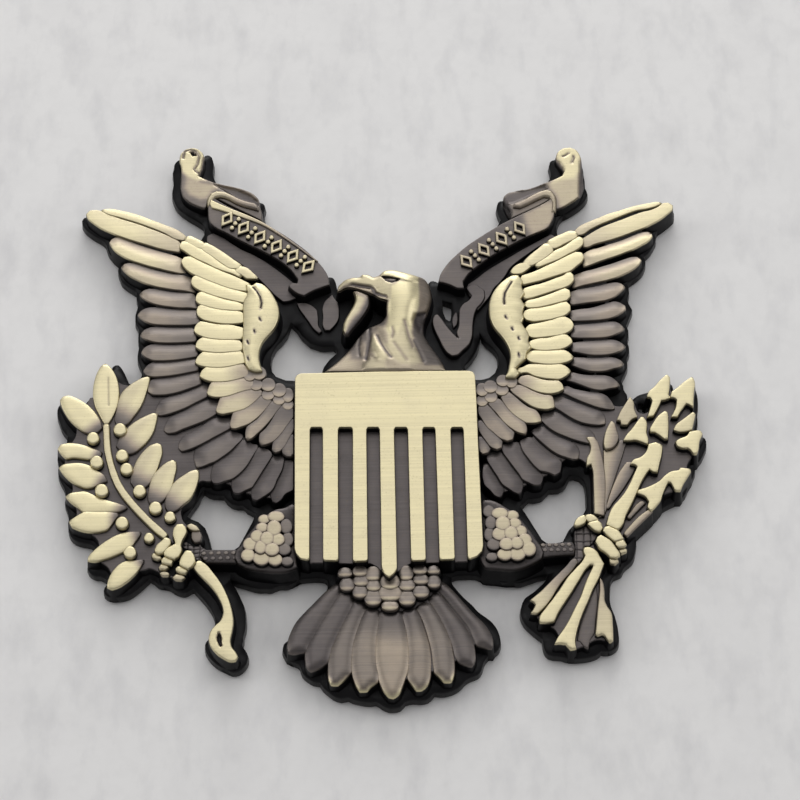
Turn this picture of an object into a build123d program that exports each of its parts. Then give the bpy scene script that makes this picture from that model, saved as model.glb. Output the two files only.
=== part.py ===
from build123d import *
import os

# Cap badge: an eagle with a barred shield, built up from struck relief pieces on a pierced backing plate
# and held to the cap by a screw post, a washer and a thumb nut.
# Frame: millimetres, +X to the badge's right-hand side as seen from the front, +Z to its top, the front
# faces -Y. The origin is on the back face (y = 0), on the axis of the screw post.

# driving dimensions
PLATE_T = 1.2         # backing plate thickness
WEB_TOP = 2.0         # level of the sunk ground inside each relief piece
SHIELD_FLOOR = 3.0    # floor of the slots between the shield's bars
SHIELD_TOP = 3.9      # face of the shield
SCALE_TOP = 4.2       # crest of the feather scales on the thighs

NECK_W = 4.0          # square neck of the screw post, in the plate
NECK_PLAY = 0.02
HEAD_R = 3.5          # flat head of the post, under the shield
HEAD_T = 0.8
POCKET_R = 3.6        # pocket in the back of the shield for the post's head
POCKET_D = 0.9
COLLAR_R = 1.75       # plain collar of the post behind the plate
COLLAR_L = 2.0
THREAD_R = 1.5        # M3 thread, as its major diameter
POST_END = 8.5        # free end of the post behind the back face
POST_CHAMFER = 0.35

PIN_X = 11.0          # two locating pins that stop the badge from turning
PIN_Z = -1.0
PIN_R = 0.6
PIN_L = 3.0
PIN_FOOT_R = 0.8
PIN_FOOT_PLAY = 0.01

WASHER_R = 4.5
WASHER_BORE_R = 1.9
WASHER_T = 0.8
WASHER_Y = 3.0        # inner face of the washer as stored, leaving a gap for the cap's front
NUT_R = 4.6
NUT_T = 3.0
NUT_BORE_R = 1.55
NUT_NECK_R = 3.2      # shoulder of the thumb nut that bears on the washer
NUT_NECK_T = 0.6
KNURL_COUNT = 24
KNURL_R = 0.28

FRONT = Plane.XZ      # sketches look at the front: local x = +X, local y = +Z, extrudes towards -Y



# outline of the backing plate, and the openings pierced through it
PLATE_OUTLINE = [(-0.4,-25.57),(0.6,-25.57),(0.79,-25.46),(1.18,-25.01),(1.63,-24.86),(3.07,-24.89),(3.86,-24.15),(4.48,-24.23),(6.12,-23.65),(6.7,-23.03),(7.8,-22.51),(7.96,-22.37),(8.47,-21.14),(8.8,-20.75),(9.55,-20.3),(9.73,-20.12),(9.91,-19.76),(9.98,-19.2),(9.87,-18.6),(9.79,-18.32),(9.45,-17.7),(7.78,-16.07),(6.76,-14.93),(6.19,-14.18),(5.75,-13.54),(5.68,-12.89),(5.77,-12.74),(6.97,-12.56),(7.51,-12.56),(7.98,-12.63),(8.72,-12.97),(9.74,-13.21),(10.75,-13.4),(11.77,-13.46),(13.7,-12.87),(14.63,-12.69),(14.59,-12.86),(13.36,-14.39),(12.25,-15.32),(12.05,-15.84),(11.98,-16.25),(11.99,-16.78),(12.25,-17.48),(13,-18.35),(13.89,-19.2),(13.9,-19.73),(14.08,-20.45),(14.42,-20.77),(15.43,-20.9),(16.33,-21.14),(17.23,-21.14),(18.48,-20.89),(18.76,-20.75),(19.09,-20.42),(19.75,-20.48),(20.1,-20.41),(20.61,-19.9),(20.74,-19.43),(20.74,-18.65),(20.49,-17.04),(20.2,-16.07),(20.2,-14.21),(20.35,-13.4),(20.62,-13.01),(21.25,-12.74),(21.52,-12.29),(22.47,-11.32),(22.78,-10.31),(22.94,-8.85),(23.38,-8.45),(24.28,-7.31),(25.15,-6.38),(25.94,-5.85),(27.42,-5.05),(27.67,-4.82),(27.91,-4.4),(28.21,-3.56),(28.59,-2.98),(28.83,-2.44),(28.88,-2.22),(28.79,-1.74),(29.55,-0.94),(29.91,-0.16),(30.16,0.85),(30.15,1.14),(29.95,1.42),(29.78,1.47),(29.47,1.21),(29.38,1.57),(29.38,2.47),(29.56,4.21),(29.56,6.49),(29.41,6.7),(29.17,6.82),(28.82,6.81),(27.56,5.82),(27.34,6.13),(27.39,7.14),(27.14,7.34),(26.88,7.13),(26.38,7.03),(25.12,6.25),(23.92,5.83),(23.5,5.47),(23.11,4.99),(23.02,5.17),(22.95,6.06),(22.67,6.56),(22.65,7.02),(22.48,7.51),(23.19,9.26),(23.14,9.91),(23.44,10.81),(23.44,11.35),(23.32,11.95),(23.5,12.67),(23.5,13.15),(23.29,13.69),(24.02,15.44),(23.62,16.57),(23.83,17.83),(23.64,18.48),(25.15,19.72),(25.6,20.65),(25.63,20.89),(25.46,21.52),(26.02,22.03),(26.55,22.88),(26.83,23.56),(26.75,23.95),(26.81,24.12),(27.34,24.85),(28.54,25.87),(29.11,26.89),(28.93,27.07),(28.72,26.89),(28.57,26.86),(26.95,26.98),(25.58,26.73),(24.74,26.49),(21.44,25.35),(20.02,24.73),(18.5,23.85),(17.59,23.23),(17.14,24.31),(17.35,26.02),(17.62,26.41),(19.57,27.76),(20.05,28.3),(20.37,28.99),(20.14,29.65),(20.14,30.79),(19.96,32.35),(19.75,32.92),(19.57,33.22),(19.18,33.61),(18.67,33.82),(17.92,33.67),(17.23,33.07),(16.87,33.49),(16.67,33.25),(16.84,31.75),(16.83,31.28),(16.05,29.72),(15,29.27),(13.99,29.02),(12.92,28.89),(12.2,28.59),(11.88,28.32),(11.58,28.58),(11.32,28.39),(11.26,28.21),(11.66,26.12),(10.53,24.14),(8.32,22.51),(7.27,21.58),(6.19,20.38),(5.57,19.44),(5.31,18.93),(4.98,19.11),(4.58,19.17),(4.31,18.9),(3.94,18.13),(3.01,17.93),(1.68,18.27),(0.43,18.46),(-0.84,17.87),(-1.56,18.09),(-1.91,18.1),(-3.16,17.91),(-4.37,17.59),(-4.63,18.38),(-4.94,19.81),(-5.21,20.05),(-5.45,19.81),(-5.81,20.02),(-6.56,21.01),(-7.79,22.36),(-9.71,24.04),(-10.88,24.85),(-11.75,25.9),(-11.84,26.23),(-11.9,27.55),(-11.66,28.51),(-11.72,28.75),(-11.87,28.87),(-12.18,28.68),(-12.4,28.73),(-12.92,29.17),(-13.64,29.53),(-16.35,30.54),(-16.99,32.06),(-17,33.55),(-17.07,34.02),(-17.27,34.48),(-17.5,34.64),(-18.04,34.26),(-18.6,34.59),(-19.3,34.65),(-19.82,34.45),(-20.18,34.09),(-20.51,33.94),(-20.83,33.6),(-21.02,32.35),(-20.96,32.05),(-20.96,30.55),(-21.01,30.31),(-20.83,29.18),(-20.45,28.42),(-19.61,27.58),(-18.32,26.65),(-17.85,26.22),(-17.67,25.52),(-18.38,23.77),(-18.53,23.74),(-19.3,23.93),(-20.16,24.69),(-21.98,25.63),(-24.38,26.71),(-25.98,27.21),(-27.05,27.46),(-28.25,27.46),(-29.33,27.37),(-29.57,27.49),(-29.81,27.28),(-29.89,27),(-29.89,26.78),(-29.66,26.29),(-28.79,25.42),(-27.53,24.46),(-27.05,23.2),(-26.72,22.75),(-26.03,22.12),(-26,21.85),(-26.12,21.13),(-25.67,19.84),(-25.37,19.54),(-24.21,18.66),(-24.2,17.83),(-24.03,17.23),(-24.26,15.91),(-24.26,15.31),(-23.84,14.11),(-23.9,13.75),(-23.84,12.85),(-23.9,11.05),(-23.42,9.55),(-23.85,8.01),(-24.04,8.03),(-24.65,8.32),(-25.31,9.82),(-25.79,10.42),(-26.06,10.5),(-26.23,10.32),(-26.43,9.68),(-26.92,9.75),(-27.31,9.36),(-27.55,8.94),(-27.79,7.98),(-27.89,6.88),(-28.04,6.68),(-28.25,6.79),(-28.46,6.61),(-28.89,5.73),(-29.58,6.15),(-30.17,6.34),(-30.71,6.28),(-31.06,6.33),(-31.33,6.06),(-31.4,5.47),(-31.03,4.04),(-30.67,3.26),(-30.28,2.76),(-30.39,1.82),(-30.69,1.16),(-30.77,1.09),(-31.06,1.16),(-31.26,0.92),(-31.04,-0.05),(-30.99,-0.65),(-31.03,-1.18),(-30.79,-1.96),(-30.41,-2.72),(-30.32,-3.05),(-30.2,-3.77),(-30.26,-4.31),(-29.81,-6.05),(-29.87,-6.53),(-29.71,-7.48),(-29.6,-7.73),(-29.12,-8.21),(-28.42,-8.47),(-27.72,-8.61),(-27.23,-9.08),(-27.2,-9.35),(-27.45,-10.42),(-27.62,-10.73),(-27.8,-10.74),(-27.95,-10.88),(-27.97,-11.08),(-27.74,-11.45),(-27.32,-11.81),(-27.11,-11.9),(-26.66,-11.93),(-26.08,-12.31),(-26.06,-12.95),(-26.29,-13.26),(-26.3,-13.55),(-26.18,-13.79),(-25.76,-14.09),(-24.89,-14.12),(-23.96,-13.91),(-23.33,-13.4),(-22.12,-12.22),(-21.68,-12.47),(-21.32,-12.83),(-20.28,-13.11),(-19.42,-13.69),(-18.78,-13.75),(-18.26,-13.43),(-18.02,-13.38),(-16.77,-14.94),(-16.29,-15.72),(-15.99,-16.56),(-15.98,-16.85),(-16.23,-17.86),(-16.57,-18.6),(-16.88,-18.95),(-16.87,-19.36),(-16.61,-20.06),(-16.28,-20.51),(-15.62,-21.11),(-15.2,-21.35),(-14.14,-21.79),(-13.94,-21.77),(-13.37,-21.32),(-13.11,-20.92),(-13,-20.28),(-13.52,-19.01),(-13.28,-17.51),(-13.28,-16.07),(-13.35,-15.48),(-13.91,-14.06),(-14.75,-12.59),(-11.92,-13.51),(-11.14,-13.56),(-10.18,-13.23),(-9.36,-13.21),(-8.38,-12.69),(-7.97,-12.62),(-6.41,-12.56),(-5.88,-12.69),(-5.68,-12.94),(-6.11,-14.54),(-8.33,-17.3),(-9.23,-18.8),(-9.71,-19.22),(-9.8,-19.49),(-9.77,-19.94),(-9.53,-20.42),(-9.11,-20.84),(-8.46,-21.09),(-8.3,-21.23),(-8.03,-22.04),(-7.55,-22.52),(-6.92,-22.91),(-6.44,-22.97),(-6.11,-23.48),(-5.75,-23.84),(-4.96,-24.43),(-4.61,-24.56),(-3.89,-24.45),(-3.29,-24.74),(-1.85,-24.98),(-1.38,-24.94)]
PLATE_OPENINGS = [
    [(-14.52,-9.73),(-13.91,-9.26),(-12.71,-6.8),(-12.35,-5.81),(-13.16,-5.33),(-13.56,-4.89),(-14.09,-4.88),(-14.6,-4.73),(-15.02,-4.37),(-15.37,-3.82),(-16.36,-3.73),(-16.76,-3.59),(-17.18,-3.29),(-17.32,-3.27),(-17.59,-3.66),(-17.79,-4.24),(-18.03,-4.66),(-18.85,-5.99),(-18.46,-6.31),(-17.72,-6.65),(-17.09,-7.28),(-16.83,-7.92),(-16.43,-9.56),(-16.35,-9.66),(-15.88,-9.73)],
    [(16.11,-9.46),(16.69,-8.3),(18.07,-6.8),(18.55,-5.9),(18.58,-4.13),(18.52,-3.47),(18.39,-3.06),(18,-2.61),(17.47,-2.42),(17.01,-2.5),(16.59,-3.34),(16.36,-3.59),(15.9,-3.85),(15.04,-3.89),(14.41,-4.58),(14.22,-4.69),(13.68,-4.8),(13.1,-4.77),(12.55,-5.36),(12.2,-5.6),(12.69,-6.3),(14.19,-9.18),(14.78,-9.67)],
    [(24.41,3.78),(24.7,4.21),(24.74,4.85),(24.37,5.08),(24.08,5.07),(23.93,4.93),(23.98,4.33),(24.15,3.78)],
    [(9.13,7.96),(9.88,8.17),(10.45,8.68),(10.84,9.67),(10.84,10.51),(10.75,10.9),(10.33,11.56),(9.76,12.13),(9.37,12.7),(9.13,13.39),(8.98,12.07),(8.71,11.26),(8.23,10.42),(7.54,9.61),(7.69,8.68),(8.23,8.14),(8.48,7.97)],
    [(-8.15,8.26),(-6.32,8.53),(-5.95,9.72),(-5.42,10.51),(-4.73,11.2),(-4.7,11.71),(-4.73,11.86),(-5.04,12.15),(-5.93,12.1),(-6.35,12.16),(-7.28,12.55),(-8.03,13.36),(-8.6,14.29),(-9.17,14.83),(-9.57,13.58),(-10.07,12.82),(-10.61,12.22),(-10.97,11.44),(-11.06,11.11),(-11.12,10.21),(-10.97,9.34),(-10.55,8.74),(-9.64,8.33),(-8.86,8.27)],
    [(6.32,14.61),(6.52,15.55),(6.55,16.63),(5.6,17),(5.57,15.8),(5.89,14.8),(6.2,14.57)],
]

# shield outline and the slots between its bars
SHIELD_OUTLINE = [(-0.04,-13.92),(1.3,-12.71),(2,-12.33),(7.39,-12.26),(8.08,-11.99),(8.53,-11.42),(8.62,-10.97),(8.62,-6.71),(8.56,-6.41),(8.5,5.59),(8.43,7.02),(8.1,7.41),(7.81,7.48),(6.73,7.48),(6.43,7.54),(-5.15,7.6),(-5.45,7.54),(-8.14,7.53),(-8.48,7.27),(-8.6,7.03),(-8.6,4.57),(-8.66,4.27),(-8.66,-10.73),(-8.53,-11.26),(-8.33,-11.6),(-8.06,-11.87),(-7.31,-12.08),(-6.17,-12.08),(-3.71,-12.26),(-1.74,-12.27),(-1.13,-12.62),(-0.77,-12.98),(-0.44,-13.55)]
SHIELD_SLOTS = [
    [(-7.22,1.52),(-7.08,1.73),(-6.15,1.71),(-6.01,1.5),(-6.03,-11.8),(-6.04,-12.71),(-7.29,-12.69),(-7.29,-11.78)],
    [(-4.58,1.46),(-4.44,1.67),(-3.34,1.65),(-3.2,1.43),(-3.31,-11.86),(-3.32,-12.77),(-4.64,-12.74),(-4.64,-11.84)],
    [(-1.91,1.4),(-1.77,1.61),(-0.81,1.59),(-0.68,1.37),(-0.69,-11.92),(-0.7,-12.83),(-1.96,-12.8),(-1.95,-11.89)],
    [(0.67,1.34),(0.82,1.55),(1.83,1.53),(1.97,1.31),(2.01,-11.98),(1.99,-12.89),(0.69,-12.86),(0.71,-11.95)],
    [(3.34,1.28),(3.48,1.49),(4.41,1.47),(4.54,1.25),(4.61,-12.04),(4.59,-12.95),(3.34,-12.92),(3.36,-12.01)],
    [(5.98,1.22),(6.12,1.43),(7.05,1.41),(7.19,1.19),(7.19,-12.1),(7.17,-13.01),(5.98,-12.98),(6.01,-12.07)],
]

# head, neck and tongue: ground outline, holes in the ground, and raised areas as (height, outline)
HEAD_AND_NECK_GROUND = [(2.18,7.61),(5.41,7.6),(5.56,7.63),(5.71,7.81),(5.43,8.46),(4.37,10.22),(3.94,11.29),(4.01,12.54),(4.59,14.24),(4.78,15.13),(4.72,16.15),(4.47,16.92),(3.91,17.62),(3.42,17.85),(2.96,17.81),(0.67,18.34),(0.28,18.31),(-0.84,17.75),(-1.56,17.97),(-1.91,17.98),(-3.16,17.79),(-4,17.55),(-4.55,16.96),(-4.48,16.74),(-4.49,16.12),(-4.31,15.97),(-3.88,16.23),(-3.47,16.3),(-3.2,16.21),(-3.11,15.97),(-3.35,15.22),(-4.07,13.78),(-4.28,13.09),(-4.27,12.32),(-4.09,11.9),(-3.95,11.74),(-3.54,11.69),(-3.29,11.92),(-1.59,14.36),(-1.22,15.19),(-0.9,15.27),(-0.11,14.86),(-0.02,14.59),(-0.08,13.69),(-0.23,13.18),(-0.44,12.85),(-0.86,12.55),(-1.7,12.19),(-2.48,11.41),(-3.05,10.72),(-3.74,9.61),(-5.38,7.84),(-5.24,7.69),(-5.09,7.66),(1.99,7.66)]
HEAD_AND_NECK_HOLES = [
]
HEAD_AND_NECK_RAISED = [
    (4.6, [(2.18,7.61),(5.23,7.6),(5.38,7.63),(5.47,7.75),(5.19,8.4),(4.13,10.16),(3.7,11.23),(3.77,12.6),(4.35,14.3),(4.54,15.19),(4.48,16.09),(4.23,16.86),(3.82,17.41),(3.16,17.71),(2.64,17.91),(0.67,18.34),(0.32,18.33),(-0.62,17.83),(-1.02,17.69),(-1.12,17.69),(-1.62,17.97),(-1.91,17.98),(-2.2,17.91),(-2.46,17.75),(-3.16,17.67),(-3.7,17.49),(-4.22,17.05),(-4.49,16.66),(-4.52,16.39),(-4.43,16.24),(-4.34,16.21),(-3.76,16.53),(-3.35,16.6),(-2.52,16.41),(-0.9,15.63),(-0.32,15.25),(0.12,15.09),(0.19,15.04),(0.22,14.89),(0.16,13.63),(0.09,13.22),(-0.27,12.68),(-0.8,12.31),(-1.64,11.95),(-2.24,11.35),(-2.81,10.66),(-3.15,10.04),(-3.5,9.55),(-4.23,8.72),(-5.12,7.87),(-5.14,7.78),(-5.06,7.69),(-4.91,7.66),(1.99,7.66)]),
    (3.6, [(-3.76,11.93),(-3.62,11.95),(-3.44,12.13),(-2.27,13.72),(-1.83,14.42),(-1.53,15.08),(-1.43,15.76),(-1.62,15.93),(-2.52,16.35),(-2.75,16.39),(-2.87,16.3),(-2.84,15.97),(-3.03,15.32),(-3.83,13.72),(-3.97,13.32),(-4.04,13.03),(-4.04,12.43),(-3.89,12.04)]),
]

# left wing: flight feathers, coverts and shoulder: ground outline, holes in the ground, and raised areas as (height, outline)
LEFT_WING_GROUND = [(-10.42,-5.58),(-9.95,-5.36),(-9.41,-4.76),(-8.93,-4.46),(-8.72,-4.19),(-8.72,4.33),(-8.66,4.63),(-8.72,5.17),(-8.66,5.83),(-8.79,6.24),(-9.02,6.49),(-9.38,6.61),(-9.8,7.03),(-10.34,7.15),(-10.76,7.57),(-11.06,7.69),(-11.24,7.87),(-11.39,8.56),(-11.78,9.07),(-11.84,10.21),(-11.77,10.74),(-11.51,11.38),(-10.53,12.68),(-10.04,13.87),(-9.98,14.35),(-10.04,15.43),(-10.55,16.72),(-11.03,17.5),(-11.45,17.92),(-12.14,18.25),(-12.29,18.4),(-12.31,18.54),(-12.17,18.85),(-12.23,19.06),(-13.19,20.08),(-13.52,20.23),(-15.8,22.15),(-17.16,23.07),(-17.66,23.23),(-18.32,23.65),(-18.53,23.62),(-19.3,23.81),(-20.12,24.55),(-20.58,24.81),(-24.42,26.61),(-25.98,27.09),(-27.05,27.34),(-28.25,27.34),(-29.3,27.25),(-29.45,27.1),(-29.52,26.84),(-29.24,26.11),(-28.04,25.03),(-27,24.45),(-26.81,24.28),(-26.79,24.14),(-27.07,23.53),(-26.95,23.24),(-26.6,22.75),(-25.94,22.15),(-25.85,21.94),(-25.35,21.42),(-25.37,21.28),(-25.73,20.92),(-25.8,20.7),(-25.55,20.14),(-24.98,19.51),(-23.48,18.61),(-23.31,18.42),(-23.33,18.28),(-23.81,17.8),(-23.89,17.48),(-23.69,17.08),(-23.06,16.51),(-23.01,16.34),(-23.24,16.09),(-23.78,15.73),(-24.05,15.25),(-23.84,14.83),(-23.39,14.38),(-23.09,14.2),(-22.95,13.99),(-23,13.87),(-23.57,13.36),(-23.7,13.02),(-23.57,12.64),(-23.09,12.28),(-22.94,12.07),(-22.97,11.92),(-23.41,11.46),(-23.57,11.05),(-23.45,10.72),(-22.76,9.97),(-22.79,9.82),(-23.23,9.3),(-23.33,9.01),(-23.06,8.47),(-22.76,8.24),(-22.62,8.24),(-22.55,8.17),(-22.82,6.85),(-22.79,6.58),(-22.4,6.19),(-21.84,6.09),(-21.63,5.88),(-21.97,5.04),(-22.07,4.45),(-21.5,3.91),(-21.12,3.87),(-20.91,3.66),(-21.2,2.71),(-21.11,2.32),(-20.84,2.05),(-20.62,1.97),(-20.15,1.96),(-19.67,2.13),(-19.46,1.99),(-19.41,1.82),(-19.67,1.36),(-19.82,0.79),(-19.73,0.4),(-19.3,0.05),(-18.59,0.16),(-18.38,0.01),(-18.32,-0.11),(-18.32,-0.71),(-18.19,-1.18),(-18.07,-1.48),(-17.9,-1.67),(-17.69,-1.75),(-16.91,-1.53),(-16.7,-1.67),(-16.64,-1.79),(-16.69,-2.03),(-16.63,-2.92),(-16.55,-3.14),(-16.34,-3.35),(-15.95,-3.44),(-15.23,-3.26),(-15,-3.27),(-14.79,-3.48),(-14.59,-4.18),(-14.36,-4.43),(-13.91,-4.52),(-13.08,-4.29),(-12.87,-4.5),(-12.77,-4.94),(-12.46,-5.23),(-12.18,-5.29),(-11.27,-4.88),(-11,-5.09),(-10.79,-5.42)]
LEFT_WING_HOLES = [
]
LEFT_WING_RAISED = [
    (2.7, [(-19.78,23.63),(-19.52,23.71),(-19.42,23.88),(-20.09,24.52),(-21.98,25.51),(-24.38,26.59),(-24.78,26.73),(-25.98,27.09),(-27.05,27.34),(-27.4,27.33),(-27.52,27.22),(-27.41,27.04),(-27.16,26.87),(-24.72,26.01),(-23.54,25.51),(-21.36,24.45),(-20.3,23.77)]),
    (2.7, [(-20.26,22.31),(-20.06,22.39),(-19.95,22.64),(-19.94,23.05),(-20.03,23.26),(-20.3,23.53),(-21.78,24.39),(-23.78,25.33),(-26.36,26.35),(-28.14,27.21),(-28.9,27.21),(-29.21,26.92),(-29.22,26.84),(-29.05,26.36),(-28.49,25.78),(-27.86,25.27),(-26.98,24.77),(-25.04,23.89),(-22.78,23.03),(-21.76,22.67)]),
    (2.7, [(-19.96,19.97),(-19.73,19.96),(-19.5,20.03),(-19.37,20.17),(-19.67,21.1),(-19.79,21.34),(-20.04,21.57),(-23.6,22.93),(-25.86,24.03),(-26.36,24.01),(-26.71,23.7),(-26.77,23.48),(-26.36,22.75),(-25.82,22.21),(-25.06,21.71),(-24.08,21.25),(-22.78,20.75),(-20.86,20.15)]),
    (2.7, [(-18.76,17.81),(-18.56,17.83),(-18.45,18.01),(-18.61,18.44),(-18.69,19.02),(-18.9,19.23),(-19.4,19.45),(-20.26,19.61),(-22.3,20.15),(-24.42,20.97),(-24.77,21.04),(-25.06,21.03),(-25.28,20.95),(-25.5,20.7),(-25.31,20.32),(-24.83,19.78),(-24.04,19.25),(-23.3,18.85),(-22.06,18.41),(-21.34,18.23),(-20.03,17.98)]),
    (2.7, [(-18.88,15.95),(-18.35,15.94),(-18.17,16.09),(-18.41,16.96),(-18.53,17.26),(-18.66,17.37),(-19.67,17.56),(-20.63,17.62),(-22.49,18.04),(-23,18.01),(-23.36,17.83),(-23.59,17.58),(-23.59,17.48),(-23.45,17.26),(-23.21,17.02),(-22.48,16.55),(-21.76,16.31),(-20.45,16.06)]),
    (2.7, [(-20.44,14.03),(-18.71,14.02),(-18.24,14.09),(-18.08,14.17),(-17.98,14.34),(-18.14,15.01),(-18.15,15.36),(-18.3,15.51),(-19.49,15.58),(-22.55,15.94),(-23.02,15.87),(-23.26,15.75),(-23.51,15.58),(-23.74,15.28),(-23.6,15.01),(-23.21,14.62),(-22.54,14.27),(-21.41,14.08),(-20.63,14.08)]),
    (2.7, [(-21.4,12.11),(-18.77,12.1),(-18.48,12.17),(-18.35,12.28),(-18.32,12.43),(-18.32,12.79),(-18.45,13.38),(-18.59,13.54),(-18.71,13.6),(-20.39,13.6),(-21.59,13.72),(-22.37,13.72),(-22.76,13.63),(-23.06,13.45),(-23.33,13.18),(-23.4,12.98),(-23.3,12.79),(-22.72,12.41),(-22,12.17)]),
    (2.7, [(-21.76,10.13),(-20.81,10.12),(-20.57,10.18),(-19.97,10.18),(-18.36,10.43),(-18.2,10.57),(-18.14,10.69),(-18.33,11.58),(-18.44,11.71),(-18.59,11.74),(-21.23,11.74),(-21.47,11.8),(-22.19,11.8),(-22.66,11.73),(-23.15,11.32),(-23.27,11.08),(-23.23,10.94),(-22.97,10.6),(-22.46,10.27),(-22.19,10.18)]),
    (2.7, [(-22.3,8.39),(-21.35,8.38),(-20.69,8.44),(-18.3,8.87),(-18.14,8.95),(-18.03,9.08),(-18.02,9.49),(-18.09,9.9),(-18.26,10.15),(-18.53,10.18),(-19.97,9.94),(-20.57,9.88),(-21.83,9.88),(-22.42,9.75),(-22.82,9.37),(-23.03,9.01),(-22.79,8.62)]),
    (2.7, [(-21.52,6.36),(-20.87,6.4),(-19.98,6.59),(-18.9,6.95),(-17.88,7.37),(-17.69,7.57),(-17.78,7.99),(-17.81,8.56),(-17.94,8.67),(-18.17,8.68),(-20.75,8.08),(-21.23,8.08),(-22.24,7.89),(-22.51,7.56),(-22.57,6.8),(-22.18,6.41)]),
    (2.7, [(-21.46,4.19),(-20.76,4.25),(-19.88,4.57),(-19.16,4.87),(-17.28,5.93),(-17.15,6.04),(-17.07,6.26),(-17,6.79),(-17.03,7),(-17.16,7.11),(-17.44,7.17),(-18.9,6.53),(-20.74,5.97),(-21.16,5.73),(-21.49,5.4),(-21.67,5.04),(-21.74,4.69),(-21.76,4.42)]),
    (2.7, [(-20.62,2.27),(-20.1,2.27),(-18.32,3.01),(-17.16,3.53),(-16.28,4.09),(-16.17,4.22),(-16.04,4.93),(-16.01,5.44),(-16.19,5.56),(-16.73,5.56),(-17.44,5.43),(-18.1,5.13),(-18.96,4.55),(-19.96,4.05),(-20.36,3.79),(-20.57,3.58),(-20.73,3.26),(-20.9,2.71),(-20.87,2.5)]),
    (2.7, [(-19.24,0.35),(-18.78,0.41),(-18.38,0.55),(-17.46,1.01),(-15.08,2.41),(-14.85,2.66),(-14.87,3.4),(-15,3.51),(-15.95,3.63),(-16.3,3.57),(-16.64,3.43),(-17.72,2.53),(-19.16,1.63),(-19.43,1.18),(-19.52,0.79),(-19.49,0.58)]),
    (2.7, [(-17.68,-1.44),(-17.18,-1.31),(-16.14,-0.85),(-15.23,-0.2),(-14.66,0.31),(-13.79,1.36),(-13.71,1.63),(-13.76,1.75),(-13.92,1.89),(-14.64,2.25),(-15.16,2.13),(-17.12,0.91),(-17.87,0.34),(-18.02,0.07),(-18.02,-0.71),(-17.87,-1.22)]),
    (2.7, [(-16.12,-3.13),(-15.84,-3.13),(-14.7,-2.83),(-14.21,-2.48),(-13.35,-1.54),(-12.31,0.42),(-12.32,0.55),(-13.06,0.95),(-13.46,1.26),(-13.67,1.18),(-13.97,0.88),(-14.6,0.01),(-16.21,-1.38),(-16.39,-2.03),(-16.34,-2.21),(-16.33,-2.92)]),
    (2.7, [(-14.14,-4.21),(-13.91,-4.22),(-13.5,-4.09),(-12.74,-3.71),(-10.97,-0.56),(-10.95,-0.42),(-11.06,-0.23),(-11.3,0.01),(-11.9,0.43),(-12.02,0.43),(-12.29,0.16),(-13.55,-1.94),(-14.47,-2.94),(-14.48,-3.47),(-14.35,-4)]),
    (2.7, [(-12.28,-4.99),(-12.14,-4.97),(-11.48,-4.61),(-10.95,-4.12),(-9.93,-1.78),(-9.8,-0.89),(-9.89,-0.68),(-10.04,-0.54),(-10.54,-0.6),(-10.79,-0.53),(-10.94,-0.65),(-11.39,-1.46),(-11.67,-2.14),(-12.43,-3.48),(-12.55,-3.72),(-12.62,-4.37),(-12.53,-4.76)]),
    (2.7, [(-10.42,-5.28),(-10.13,-5.12),(-9.71,-4.58),(-9.14,-4.25),(-8.97,-4.06),(-8.96,-1.43),(-8.99,-1.28),(-9.12,-1.17),(-9.58,-1.17),(-9.73,-1.32),(-10.05,-2.38),(-10.81,-4.38),(-10.82,-4.61),(-10.69,-5.08),(-10.58,-5.21)]),
    (3.1, [(-17.86,22.44),(-17.69,22.54),(-17.62,22.68),(-17.72,22.87),(-18.08,23.17),(-18.9,23.67),(-19.1,23.65),(-19.3,23.5),(-19.27,23.3),(-19.16,23.17),(-18.28,22.61)]),
    (3.1, [(-14.09,20.05),(-13.97,20.17),(-14.21,20.44),(-15.95,21.88),(-17.34,22.83),(-17.45,22.87),(-17.54,22.81),(-17.56,22.64),(-17.69,22.45),(-17.48,22.09),(-16.73,21.52),(-15.71,20.62),(-14.92,20.09)]),
    (3.1, [(-13.3,18.89),(-12.77,18.88),(-12.59,19.03),(-13.37,19.84),(-13.91,20.02),(-14.18,19.99),(-14.36,19.87),(-14.4,19.76),(-14.27,19.6),(-13.82,19.33),(-13.49,19)]),
    (3.1, [(-15.05,19.63),(-14.93,19.75),(-14.99,19.84),(-15.56,20.17),(-16.13,20.62),(-17.33,21.82),(-18.38,22.63),(-19.26,23.13),(-19.6,23.07),(-19.73,22.96),(-19.82,22.75),(-19.73,22.42),(-18.68,21.55),(-16.42,20.21)]),
    (3.1, [(-13.43,17.47),(-13.29,17.6),(-13.17,17.95),(-13.22,18.07),(-13.44,18.27),(-14.82,19.05),(-16,19.61),(-18.86,21.25),(-19.36,21.27),(-19.51,21.12),(-19.56,20.96),(-19.33,20.3),(-19.16,20.05),(-18.58,19.55),(-17.06,18.73),(-15.62,18.07),(-14.8,17.75)]),
    (3.1, [(-13.78,16.19),(-13.64,16.21),(-13.23,16.58),(-13.29,16.86),(-13.44,17.01),(-15.5,17.77),(-16.9,18.41),(-18.18,19.11),(-18.32,19.09),(-18.53,18.94),(-18.56,18.49),(-18.43,18.14),(-18.23,17.92),(-17.92,17.69),(-16.18,16.91)]),
    (3.1, [(-14.56,15.29),(-13.91,15.28),(-13.73,15.4),(-13.72,15.48),(-13.82,15.73),(-14.24,15.97),(-15.82,16.43),(-17.64,17.25),(-17.9,17.17),(-18.07,16.98),(-18.13,16.52),(-17.99,16.24),(-17.8,16.07),(-16.66,15.65),(-15.94,15.47)]),
    (3.1, [(-15.52,13.85),(-14.27,13.84),(-13.82,13.93),(-13.67,14.08),(-13.58,14.29),(-13.65,14.64),(-13.76,14.77),(-14.16,14.97),(-14.99,15.04),(-16.54,15.35),(-17.64,15.8),(-17.93,15.58),(-18.02,15.19),(-17.95,14.9),(-17.84,14.71),(-17.54,14.41),(-16.96,14.15)]),
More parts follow.
